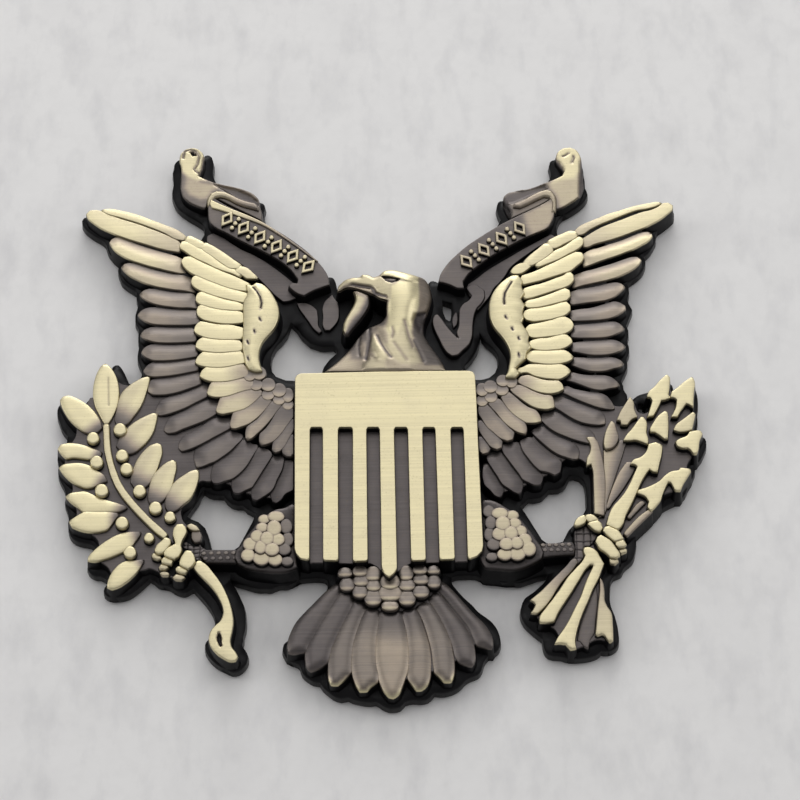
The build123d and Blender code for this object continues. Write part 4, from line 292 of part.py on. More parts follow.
ARROW_TAILS_RAISED = [
    (2.7, [(13.04,-17.29),(13.42,-17.27),(14.14,-16.55),(15.73,-14.18),(16.75,-13.04),(16.93,-12.74),(16.95,-12.6),(16.6,-12.24),(16.42,-12.35),(15.1,-13.79),(13.51,-15.38),(12.91,-15.86),(12.91,-15.98),(13.24,-16.37),(13.21,-16.52),(12.9,-17.1)]),
    (2.9, [(16.27,-20.99),(16.54,-20.93),(16.65,-20.8),(16.66,-19.97),(16.72,-19.61),(17.15,-18.18),(18.37,-15.32),(19.05,-14.02),(19.65,-12.58),(19.57,-12.26),(19.15,-11.36),(18.94,-11.15),(18.58,-10.91),(18.36,-10.83),(18.14,-10.83),(17.93,-11.04),(18.03,-11.68),(17.65,-12.38),(17.02,-13.01),(16.27,-13.88),(15.55,-15.02),(14.11,-16.94),(13.55,-17.82),(13.55,-18.16),(13.7,-18.31),(14.35,-18.32),(14.77,-18.2),(14.91,-18.04),(15.17,-17.46),(15.71,-16.56),(16.51,-15.38),(17.95,-13.04),(18.4,-12.6),(18.73,-12.65),(18.07,-14.06),(17.47,-15.62),(16.23,-18.1),(15.67,-19.04),(15.11,-19.8),(14.94,-20.16),(15.08,-20.35),(15.82,-20.45)]),
    (2.7, [(19.82,-20.22),(19.99,-20.12),(20.08,-19.97),(20.08,-19.43),(20.14,-19.19),(20.08,-17.39),(19.61,-16.42),(19.54,-16.07),(19.54,-14.99),(19.47,-14.58),(19.33,-14.45),(19.18,-14.63),(19.18,-15.23),(18.59,-19.37),(18.74,-19.57),(19.09,-19.47),(19.38,-19.59),(19.69,-20.12)]),
    (2.2, [(17.66,-20.53),(17.76,-20.53),(17.89,-20.42),(18.07,-19.82),(18.45,-19.24),(18.58,-18.59),(19,-15.89),(18.94,-15.65),(18.94,-14.93),(18.79,-14.75),(18.65,-14.88),(18.43,-15.32),(17.77,-16.82),(17.08,-18.71),(16.91,-19.78)]),
]

# olive branch with leaves and berries: ground outline, holes in the ground, and raised areas as (height, outline)
OLIVE_BRANCH_GROUND = [(-25.72,-13.99),(-24.89,-14),(-24.5,-13.79),(-24.05,-13.46),(-23.3,-12.71),(-22.71,-11.86),(-22.43,-11.3),(-22.41,-11.1),(-22.58,-10.91),(-22.97,-10.76),(-23.09,-10.34),(-23.39,-9.98),(-23.47,-9.71),(-23.33,-9.38),(-23.09,-9.29),(-22.92,-9.33),(-22.4,-9.89),(-21.84,-9.91),(-21.53,-9.62),(-21.32,-9.23),(-20.96,-9.17),(-20.62,-8.91),(-20.36,-8.87),(-20.21,-8.72),(-20.19,-8.52),(-20.33,-8.21),(-20.27,-8),(-19.85,-7.76),(-19.53,-7.42),(-19.52,-6.89),(-19.73,-6.44),(-19.69,-6.24),(-18.38,-5.03),(-18.15,-4.66),(-17.67,-3.46),(-17.54,-2.75),(-17.54,-2.15),(-17.69,-1.88),(-18.04,-1.72),(-18.5,-1.85),(-19.14,-2.29),(-19.36,-2.34),(-19.58,-2.27),(-19.7,-1.97),(-19.64,-1.13),(-19.73,-0.86),(-19.88,-0.71),(-20.15,-0.62),(-20.78,-0.89),(-21.02,-0.83),(-21.13,-0.53),(-21.02,0.01),(-21.02,0.49),(-21.11,0.88),(-21.6,1.23),(-21.95,1.15),(-22.19,1.24),(-22.25,1.48),(-21.87,2.36),(-21.58,3.84),(-22.2,4.4),(-23.21,3.97),(-23.42,4.03),(-23.52,4.28),(-22.97,5.56),(-22.77,6.2),(-22.88,6.85),(-22.67,8.02),(-23.06,8.34),(-23.26,8.31),(-23.84,7.88),(-24.08,7.81),(-24.8,7.21),(-25.01,7.15),(-25.18,7.19),(-25.33,7.34),(-25.55,8.26),(-25.83,8.88),(-26.09,9.28),(-26.36,9.54),(-26.81,9.64),(-26.96,9.61),(-27.14,9.43),(-27.43,8.94),(-27.68,7.93),(-27.75,6.92),(-27.98,6.55),(-27.94,5.78),(-28.04,5.53),(-28.28,5.47),(-28.68,5.72),(-28.91,5.59),(-29.58,6.03),(-30.17,6.22),(-30.94,6.15),(-31.15,5.94),(-30.97,5.24),(-30.65,4.54),(-29.99,3.52),(-29.15,2.68),(-28.49,2.2),(-28.37,1.93),(-28.53,1.34),(-28.62,1.25),(-28.79,1.21),(-29.51,1.36),(-30.34,1.35),(-30.74,0.98),(-30.95,0.94),(-31.09,0.73),(-30.91,0.26),(-30.35,-0.38),(-30.29,-0.59),(-30.38,-0.83),(-30.85,-1.26),(-30.77,-1.64),(-30.38,-2.21),(-29.75,-2.84),(-29.15,-3.26),(-29.03,-3.53),(-29.12,-3.77),(-29.72,-3.95),(-30.12,-4.32),(-29.9,-4.79),(-28.88,-5.69),(-28.78,-5.94),(-28.88,-6.23),(-29.69,-6.92),(-29.57,-7.4),(-29.42,-7.61),(-29.12,-7.85),(-28.54,-8.11),(-27.71,-8.3),(-26.64,-8.29),(-25.67,-7.85),(-25.46,-7.91),(-25.35,-8.04),(-25.31,-8.21),(-25.4,-8.45),(-26.3,-9.05),(-27.14,-9.83),(-27.45,-10.66),(-27.77,-11.03),(-27.46,-11.29),(-26.93,-11.3),(-25.5,-10.87),(-24.92,-10.61),(-24.65,-10.7),(-24.57,-10.97),(-24.65,-11.24),(-25.37,-11.9),(-25.75,-12.54),(-25.93,-13.08),(-25.99,-13.72)]
OLIVE_BRANCH_HOLES = [
    [(-22.19,-8.42),(-22.13,-8.21),(-22.19,-8),(-22.52,-7.73),(-23.93,-6.02),(-24.22,-5.92),(-24.71,-6.14),(-24.84,-6.42),(-24.77,-6.68),(-24.3,-6.87),(-24.08,-7.07),(-23.91,-7.32),(-23.75,-7.94),(-23.45,-8.06),(-22.98,-8.07),(-22.79,-8.24),(-22.7,-8.45),(-22.48,-8.52)],
    [(-25.13,-4.88),(-25.07,-4.67),(-25.25,-4.22),(-25.54,-4.12),(-25.79,-4.22),(-25.88,-4.55),(-25.76,-4.85),(-25.37,-4.97)],
]
OLIVE_BRANCH_RAISED = [
    (3.4, [(-23.98,-11.23),(-23.69,-11.24),(-23.48,-11.15),(-23.33,-11),(-23.26,-10.72),(-23.36,-10.37),(-23.6,-10.13),(-23.81,-10.04),(-24.2,-10.19),(-24.38,-10.49),(-24.38,-10.73),(-24.29,-11)]),
    (3.4, [(-22.3,-9.67),(-21.9,-9.67),(-21.77,-9.56),(-21.69,-9.4),(-21.71,-9.02),(-21.92,-8.81),(-22.08,-8.73),(-22.24,-8.73),(-22.4,-8.81),(-22.57,-9.06),(-22.55,-9.38)]),
    (3.4, [(-24.76,-8.23),(-24.48,-8.23),(-24.29,-8.12),(-24.11,-7.82),(-24.08,-7.67),(-24.2,-7.31),(-24.44,-7.07),(-24.72,-7),(-25.07,-7.16),(-25.22,-7.49),(-25.22,-7.73),(-25.15,-7.9),(-24.95,-8.12)]),
    (3.4, [(-20.38,-7.63),(-20.15,-7.64),(-19.98,-7.57),(-19.76,-7.31),(-19.79,-6.86),(-20,-6.65),(-20.21,-6.56),(-20.54,-6.65),(-20.72,-6.95),(-20.69,-7.34)]),
    (3.4, [(-21.58,-6.79),(-21.36,-6.73),(-21.14,-6.53),(-21.03,-6.34),(-21.02,-6.11),(-21.11,-5.84),(-21.38,-5.57),(-21.77,-5.54),(-22.07,-5.72),(-22.19,-6.11),(-22.1,-6.47),(-21.88,-6.67)]),
    (3.4, [(-23.26,-4.93),(-22.88,-4.91),(-22.67,-4.7),(-22.59,-4.54),(-22.61,-4.16),(-22.76,-3.89),(-22.98,-3.75),(-23.27,-3.74),(-23.44,-3.81),(-23.63,-3.98),(-23.71,-4.2),(-23.72,-4.37),(-23.63,-4.64),(-23.42,-4.85)]),
    (3.4, [(-26.74,-4.87),(-26.52,-4.87),(-26.33,-4.76),(-26.15,-4.58),(-26.06,-4.25),(-26.15,-3.92),(-26.45,-3.62),(-26.57,-3.56),(-26.86,-3.57),(-27.05,-3.68),(-27.25,-3.9),(-27.29,-4.19),(-27.14,-4.61)]),
    (3.4, [(-27.4,-1.81),(-27.11,-1.82),(-26.94,-1.75),(-26.75,-1.58),(-26.67,-1.36),(-26.67,-1.14),(-26.79,-0.84),(-27.12,-0.57),(-27.5,-0.59),(-27.77,-0.86),(-27.85,-1.08),(-27.77,-1.52),(-27.56,-1.73)]),
    (3.4, [(-27.82,0.77),(-27.48,0.77),(-27.15,1.1),(-27.17,1.54),(-27.26,1.69),(-27.54,1.95),(-27.86,1.93),(-28.21,1.62),(-28.21,1.16),(-28.01,0.88)]),
    (3.4, [(-24.58,-2.59),(-24.29,-2.6),(-24.08,-2.51),(-23.97,-2.38),(-23.85,-2.08),(-23.99,-1.64),(-24.3,-1.41),(-24.53,-1.4),(-24.7,-1.47),(-24.86,-1.61),(-24.97,-1.8),(-24.95,-2.18),(-24.8,-2.45)]),
    (3.4, [(-25,-1.15),(-24.72,-1.15),(-24.53,-1.04),(-24.39,-0.88),(-24.33,-0.59),(-24.44,-0.23),(-24.62,-0.05),(-24.83,0.04),(-25.06,0.03),(-25.25,-0.08),(-25.46,-0.53),(-25.37,-0.86),(-25.16,-1.07)]),
    (3.4, [(-25.24,1.55),(-25.02,1.55),(-24.83,1.66),(-24.65,1.84),(-24.56,2.17),(-24.68,2.53),(-24.92,2.77),(-25.19,2.86),(-25.43,2.8),(-25.67,2.56),(-25.76,2.29),(-25.75,2.06),(-25.61,1.78)]),
    (2.7, [(-28.12,2.33),(-27.71,2.32),(-27.42,2.39),(-27.08,2.71),(-27.02,2.83),(-27.17,3.46),(-27.71,4.42),(-28.1,4.93),(-28.73,5.5),(-29.54,6.01),(-30.17,6.22),(-30.47,6.22),(-30.68,6.13),(-30.86,5.95),(-30.89,5.86),(-30.71,5.26),(-30.29,4.36),(-29.72,3.55),(-29.09,2.92),(-28.4,2.41)]),
    (2.7, [(-26.51,3.25),(-26.37,3.38),(-26.09,3.94),(-25.77,4.76),(-25.58,5.47),(-25.52,6.73),(-25.71,7.98),(-26.03,8.74),(-26.36,9.25),(-26.72,9.61),(-26.87,9.64),(-27.17,9.4),(-27.43,8.94),(-27.68,7.93),(-27.8,6.73),(-27.74,6.55),(-27.74,6.01),(-27.49,5.06),(-26.77,3.56)]),
    (2.7, [(-25.18,3.05),(-24.8,3.13),(-24.56,3.31),(-24.05,4),(-23.51,4.9),(-23.19,5.66),(-22.89,6.74),(-22.66,7.94),(-22.8,8.13),(-22.97,8.14),(-23.24,8.05),(-23.78,7.75),(-24.29,7.36),(-24.8,6.85),(-25.13,6.4),(-25.4,5.53),(-25.64,3.79),(-25.51,3.32),(-25.37,3.16)]),
    (2.7, [(-24.52,0.05),(-24.29,0.04),(-24,0.11),(-23.6,0.37),(-23.12,0.79),(-22.47,1.64),(-22.11,2.42),(-21.99,2.9),(-21.8,3.91),(-21.83,4.06),(-21.92,4.15),(-22.13,4.18),(-22.4,4.09),(-23.38,3.57),(-23.93,3.16),(-24.53,2.5),(-24.5,2.17),(-24.59,1.84),(-24.86,1.57),(-25.22,1.39),(-25.39,0.91),(-25.19,0.58),(-24.95,0.34)]),
    (2.7, [(-28,-0.43),(-27.18,-0.31),(-27.05,-0.2),(-26.93,0.07),(-27.12,0.27),(-28.4,0.85),(-29.51,1.12),(-30.23,1.12),(-30.62,1.03),(-30.83,0.76),(-30.85,0.62),(-30.53,0.1),(-30.1,-0.31),(-29.09,-0.26)]),
    (2.7, [(-28.24,-3.43),(-27.77,-3.44),(-27.48,-3.37),(-26.45,-2.84),(-26.38,-2.74),(-26.39,-2.66),(-26.51,-2.42),(-26.75,-2.18),(-27.12,-1.89),(-27.4,-1.87),(-27.56,-1.79),(-28.08,-1.23),(-28.62,-1.05),(-28.97,-0.98),(-29.63,-0.98),(-30.34,-1.11),(-30.62,-1.31),(-30.64,-1.4),(-30.35,-1.88),(-29.69,-2.6),(-28.96,-3.13)]),
    (2.7, [(-27.46,-6.07),(-26.15,-6.08),(-25.91,-6.02),(-25.25,-6.02),(-24.84,-5.95),(-24.53,-5.69),(-24.8,-5.45),(-26.16,-4.95),(-26.39,-4.89),(-26.57,-4.94),(-26.78,-4.91),(-27.02,-4.79),(-27.42,-4.41),(-28.32,-3.99),(-29.03,-4.04),(-29.69,-4.22),(-29.87,-4.43),(-29.69,-4.7),(-28.28,-5.99)]),
    (2.7, [(-27.7,-8.05),(-26.75,-8.06),(-26.06,-7.79),(-25.73,-7.4),(-25.23,-6.58),(-25.2,-6.44),(-25.38,-6.27),(-26.51,-6.14),(-28.25,-6.14),(-28.64,-6.35),(-29.24,-6.77),(-29.45,-6.98),(-29.46,-7.06),(-29.35,-7.3),(-29.02,-7.63),(-28.48,-7.87)]),
    (2.7, [(-27.4,-11.05),(-26.99,-11.06),(-26.46,-10.93),(-25.52,-10.61),(-24.44,-10.13),(-23.69,-9.5),(-23.31,-8.92),(-23.1,-8.42),(-23.27,-8.3),(-23.99,-8.3),(-24.76,-8.43),(-25.78,-8.97),(-26.57,-9.56),(-27.29,-10.28),(-27.45,-10.66),(-27.59,-10.85)]),
    (2.7, [(-25.37,-13.91),(-24.86,-13.73),(-24.56,-13.55),(-24.11,-13.22),(-23.54,-12.65),(-23.21,-12.26),(-22.95,-11.8),(-22.73,-11.36),(-22.79,-11.24),(-22.91,-11.18),(-23.15,-11.18),(-23.69,-11.3),(-24.1,-11.26),(-24.74,-11.57),(-25.1,-11.93),(-25.51,-12.6),(-25.7,-13.19),(-25.75,-13.66),(-25.64,-13.79)]),
    (2.7, [(-23.2,-3.67),(-23.03,-3.68),(-22.86,-3.61),(-22.43,-3.26),(-21.95,-2.3),(-21.69,-1.66),(-21.45,-0.88),(-21.26,0.07),(-21.26,0.43),(-21.33,0.72),(-21.62,0.97),(-22.28,0.73),(-22.82,0.19),(-23.29,-0.48),(-23.59,-1.14),(-23.81,-1.88),(-23.79,-2.03),(-23.9,-2.39),(-23.96,-2.93),(-23.75,-3.32),(-23.57,-3.5)]),
    (2.7, [(-21.76,-5.35),(-21.56,-5.33),(-21.08,-5.03),(-20.81,-4.7),(-20.37,-3.94),(-20.19,-3.28),(-19.88,-1.67),(-19.89,-1.08),(-20.12,-0.89),(-20.24,-0.89),(-20.81,-1.22),(-21.56,-1.97),(-21.85,-2.4),(-22.1,-3.17),(-22.28,-4.31),(-22.28,-4.67),(-22.19,-5.06),(-21.98,-5.27)]),
    (2.7, [(-20.26,-6.19),(-19.86,-6.07),(-19.58,-5.87),(-18.51,-4.84),(-18.17,-4.16),(-17.91,-3.4),(-17.78,-2.63),(-17.78,-2.15),(-17.9,-1.97),(-18.4,-2.07),(-19.16,-2.57),(-19.43,-2.78),(-20.05,-3.42),(-20.41,-4.2),(-20.6,-4.85),(-20.59,-5.74),(-20.45,-6.02)]),
    (2.8, [(-20.8,-9),(-20.69,-8.96),(-20.45,-8.72),(-20.45,-8.54),(-21.92,-7.07),(-23.69,-5),(-24.43,-3.94),(-25.01,-2.84),(-25.39,-1.9),(-25.81,-0.52),(-26.06,0.91),(-26.18,2.05),(-26.19,2.76),(-26.27,2.98),(-26.36,3.07),(-26.62,3.09),(-26.77,2.94),(-26.78,2.59),(-26.72,2.35),(-26.72,1.69),(-26.66,1.51),(-26.6,0.43),(-26.05,-1.84),(-25.49,-3.32),(-24.83,-4.52),(-23.36,-6.41),(-22.4,-7.49),(-21.23,-8.66)]),
]

# cut end of the branch below the claw: ground outline, holes in the ground, and raised areas as (height, outline)
BRANCH_STEM_GROUND = [(-14.14,-21.66),(-13.79,-21.44),(-13.64,-20.99),(-13.83,-20.52),(-14.11,-20.14),(-14.3,-19.49),(-14.06,-17.39),(-14.12,-16.79),(-14.37,-15.72),(-14.69,-14.78),(-15.11,-13.88),(-15.89,-12.68),(-16.52,-11.93),(-16.88,-11.87),(-17.45,-11.45),(-17.92,-11.96),(-17.84,-12.17),(-17.92,-12.44),(-16.46,-14.09),(-15.89,-14.9),(-15.57,-15.6),(-15.34,-16.38),(-15.39,-16.9),(-15.63,-17.44),(-16.25,-18.14),(-16.57,-18.78),(-16.51,-19.72),(-16.13,-20.42),(-15.47,-21.08)]
BRANCH_STEM_HOLES = [
]
BRANCH_STEM_RAISED = [
    (2.9, [(-14.38,-21.43),(-14.21,-21.44),(-14.09,-21.38),(-13.95,-21.22),(-13.88,-20.99),(-14.07,-20.58),(-14.41,-20.14),(-14.54,-19.55),(-14.3,-17.45),(-14.36,-16.85),(-14.61,-15.78),(-14.93,-14.84),(-15.41,-13.82),(-16.58,-12.17),(-16.97,-11.78),(-17.45,-11.45),(-17.78,-11.75),(-17.92,-12.02),(-17.81,-12.26),(-17.54,-12.59),(-16.22,-14.03),(-15.65,-14.84),(-15.27,-15.66),(-15.08,-16.37),(-15.15,-17.02),(-15.39,-17.5),(-15.83,-17.96),(-16.27,-18.6),(-16.34,-18.95),(-16.27,-19.66),(-15.89,-20.36),(-15.35,-20.9),(-15.04,-21.13)]),
]

# ribbon at the left of the head: ground outline, holes in the ground, and raised areas as (height, outline)
LEFT_RIBBON_GROUND = [(-6.46,13.07),(-5.86,13.35),(-5.21,13.42),(-4.61,14.14),(-4.28,14.83),(-4.23,15.72),(-4.57,16.1),(-4.64,16.87),(-4.59,17.16),(-5.05,17.84),(-5.19,18.96),(-5.43,19.56),(-6.08,20.17),(-6.68,21.01),(-7.79,22.24),(-9.71,23.92),(-10.91,24.76),(-11.87,25.9),(-11.96,26.23),(-12.02,27.37),(-11.96,27.85),(-12.03,28.26),(-12.14,28.45),(-12.96,29.07),(-13.94,29.53),(-16.36,30.41),(-16.64,30.67),(-17.78,31.33),(-17.87,31.57),(-17.54,32.59),(-17.54,33.49),(-17.75,34),(-17.9,34.14),(-18.04,34.14),(-18.65,34.48),(-19.25,34.54),(-19.78,34.35),(-20.36,33.79),(-20.48,33.55),(-20.48,33.01),(-20.3,31.75),(-20.29,29.54),(-19.99,28.7),(-19.37,28),(-18.64,27.53),(-17.72,27.13),(-17.61,27),(-17.35,25.7),(-17.14,25.22),(-17.21,25),(-17.65,24.6),(-17.63,23.8),(-15.32,21.91),(-14.21,21.1),(-13.25,20.26),(-12.32,19.33),(-11.99,18.82),(-11,17.65),(-10.07,16.72),(-9.47,16.66),(-9.06,16.76),(-8.81,16.66),(-8.57,16.06),(-7.19,13.78)]
LEFT_RIBBON_HOLES = [
    [(-6.23,16.42),(-5.99,17.17),(-6.08,17.41),(-6.3,17.48),(-7.04,17.17),(-7.13,16.93),(-7.07,16.72),(-6.92,16.57),(-6.74,16.39),(-6.52,16.32)],
]
LEFT_RIBBON_RAISED = [
    (2.6, [(-7.84,16.98),(-6.62,17.65),(-5.54,18.07),(-5.37,18.26),(-5.42,18.85),(-5.51,19.18),(-5.93,20.02),(-6.68,21.01),(-7.46,21.91),(-8.63,23.02),(-9.74,23.95),(-10.64,24.55),(-11.12,24.97),(-12.06,25.59),(-15.22,27.41),(-16.16,28.03),(-16.7,28.5),(-17.03,28.36),(-17.17,28.2),(-17.24,27.91),(-17.3,26.65),(-17.09,25.72),(-16.76,25.27),(-16.46,24.97),(-14.08,23.45),(-11.36,21.85),(-9.74,20.65),(-8.93,19.72),(-8.42,18.85),(-8.43,18.62),(-8.53,18.42),(-8.87,18.46),(-9.02,18.43),(-9.28,18.16),(-9.25,18.02),(-9.02,17.71),(-8.54,17.29)]),
    (1.7, [(-9.94,16.91),(-9.42,16.91),(-8.88,17.15),(-8.75,17.26),(-8.75,17.38),(-9.11,17.74),(-9.35,18.13),(-8.99,18.52),(-8.85,18.86),(-8.9,19.03),(-10.43,20.5),(-11.48,21.37),(-12.74,22.27),(-14.3,23.17),(-15.92,24.43),(-16.85,24.91),(-17.33,24.64),(-17.42,24.43),(-17.42,24.01),(-17.36,23.89),(-17.09,23.62),(-15.26,22.15),(-14.15,21.34),(-13.19,20.5),(-12.2,19.45),(-10.76,17.71)]),
    (2.4, [(-12.11,25.87),(-11.96,26.05),(-11.96,26.71),(-12.19,27.56),(-12.27,28.2),(-12.68,28.81),(-12.96,29.07),(-13.64,29.41),(-15.48,30.09),(-16.96,30.53),(-18.02,31.21),(-18.24,31.44),(-17.99,31.96),(-17.79,32.54),(-17.78,33.37),(-18.03,34.08),(-18.14,34.21),(-18.56,34.45),(-19.07,34.54),(-19.3,34.53),(-19.85,34.3),(-20.09,34.06),(-20.17,33.9),(-20.24,33.13),(-20.12,32.59),(-20.12,32.05),(-20.06,31.81),(-20.06,29.65),(-19.7,28.69),(-19.1,28.09),(-18.58,27.77),(-17.75,27.4),(-17.6,27.43),(-17.49,27.56),(-17.27,28.36),(-16.82,28.69),(-15.96,28.23)]),
    (1.6, [(-6.41,13.33),(-6.23,13.42),(-6.16,13.56),(-6.44,14.11),(-6.59,15.88),(-7.04,16.39),(-7.64,16.69),(-8.36,16.69),(-8.46,16.52),(-8.33,16.12),(-6.95,13.84)]),
    (1.6, [(-5.74,13.61),(-5.36,13.63),(-5,13.99),(-4.65,14.54),(-4.52,14.89),(-4.46,15.85),(-4.58,16.15),(-4.59,16.74),(-5.03,17.44),(-5.16,17.54),(-5.33,17.44),(-5.81,16.9),(-6.07,16.08),(-6.02,15.79),(-6.02,14.11),(-5.89,13.76)]),
]

# ribbon at the right of the head: ground outline, holes in the ground, and raised areas as (height, outline)
RIGHT_RIBBON_GROUND = [(6.56,10.31),(6.97,10.36),(7.84,11.23),(8.31,11.84),(8.43,12.08),(8.62,12.91),(8.62,13.99),(8.93,15.12),(9.4,15.55),(10.21,16.6),(10.99,17.98),(11.89,19),(12.49,20.02),(13.27,20.8),(14.2,21.55),(15.16,22.27),(16.36,22.93),(17.14,23.53),(17.17,23.74),(16.72,24.13),(16.61,24.43),(17.17,26.14),(17.62,26.53),(19.24,27.61),(19.63,27.94),(19.93,28.3),(20.14,28.99),(20.02,29.65),(19.96,31.63),(19.83,32.4),(19.63,32.92),(19.42,33.25),(19.14,33.51),(18.67,33.7),(18.14,33.63),(17.92,33.55),(17.17,32.86),(17.15,32.24),(17.77,30.91),(17.71,30.7),(17.56,30.55),(16.46,30.03),(15.94,29.53),(15,29.15),(13.99,28.9),(12.92,28.77),(12.2,28.47),(11.74,28.03),(11.63,27.74),(11.81,26.9),(12.31,25.66),(12.25,25.42),(10.96,24.61),(10.45,23.92),(8.32,22.39),(7.27,21.46),(6.31,20.38),(5.69,19.44),(5.41,18.88),(5.11,18.58),(5.02,18.25),(5.2,18.01),(6.28,17.65),(7.06,17.23),(7.48,17.11),(7.6,16.81),(7.51,16.48),(7.13,16.08),(6.94,15.37),(6.94,14.29),(6.82,13.99),(6.6,13.92),(6.34,13.99),(5.98,14.53),(5.29,15.22),(5.11,15.28),(4.99,15.22),(4.81,14.98),(4.51,13.75),(4.81,12.64),(5.57,11.06),(6.28,10.39)]
RIGHT_RIBBON_HOLES = [
]
RIGHT_RIBBON_RAISED = [
    (2.6, [(7.16,17.45),(7.51,17.44),(7.66,17.53),(7.71,17.65),(7.66,17.83),(7.67,18.3),(8.17,19.06),(9.19,20.02),(9.94,20.65),(11.14,21.49),(13.28,22.77),(14.54,23.43),(15.52,23.83),(15.94,24.07),(16.12,24.25),(16.51,24.88),(16.84,25.81),(16.9,26.29),(16.9,26.89),(16.77,27.48),(16.69,27.58),(16.6,27.6),(15.54,26.87),(13.64,25.89),(11.56,24.73),(10.66,24.13),(10.18,23.71),(8.32,22.39),(7.06,21.25),(6.31,20.38),(5.69,19.44),(5.39,18.84),(5.32,18.43),(5.35,18.28),(5.44,18.19),(6.34,17.89)]),
    (1.7, [(9.02,15.54),(9.16,15.61),(10.15,16.9),(10.63,17.86),(11.65,19.06),(12.34,20.23),(13.21,21.04),(15.1,22.51),(16.26,23.15),(16.75,23.5),(16.87,23.65),(16.63,23.92),(16.45,23.98),(16.28,23.91),(13.76,22.41),(12.04,21.31),(10,19.93),(8.14,18.37),(7.97,18),(7.96,17.83),(8.23,17.2),(8.38,17.05),(9.02,16.79),(9.01,16.66),(8.69,15.97),(8.77,15.76)]),
    (1.7, [(6.62,10.55),(6.84,10.55),(6.94,10.63),(7.6,11.29),(8.05,11.86),(8.17,12.1),(8.38,12.97),(8.39,14.1),(8.63,15.12),(8.89,15.55),(8.69,15.8),(8.63,15.97),(8.94,16.72),(8.82,16.83),(8.35,17.02),(8.17,17.2),(8.05,17.5),(7.87,17.65),(7.75,17.56),(7.72,17.41),(7.89,16.52),(7.37,16.02),(7.18,15.31),(7.12,13.45),(7.05,13.1),(6.87,12.8),(6.8,12.78),(6.67,12.94),(5.77,14.44),(5.23,14.98),(5.08,15.01),(4.78,14.77),(4.72,14.65),(4.73,13.82),(4.91,13.1),(5.29,12.1),(5.86,11.05),(6.34,10.63)]),
    (2.4, [(12.73,25.57),(15.54,26.99),(16.24,27.43),(16.7,27.8),(16.78,27.73),(17.05,26.56),(17.17,26.47),(17.52,26.57),(18.46,27.13),(19.12,27.61),(19.6,28.15),(19.9,28.99),(19.9,29.77),(19.96,30.01),(19.9,31.99),(19.83,32.4),(19.63,32.92),(19.45,33.22),(19.21,33.46),(18.67,33.7),(18.14,33.63),(17.89,33.52),(17.56,33.19),(17.41,32.92),(17.39,32.3),(17.65,31.66),(18.04,30.97),(17.95,30.64),(17.82,30.41),(16.9,29.95),(15.18,29.21),(13.99,28.9),(12.92,28.77),(12.28,28.51),(12.04,28.33),(11.89,27.79),(11.99,27.2),(12.31,26.26),(12.59,25.7)]),
]

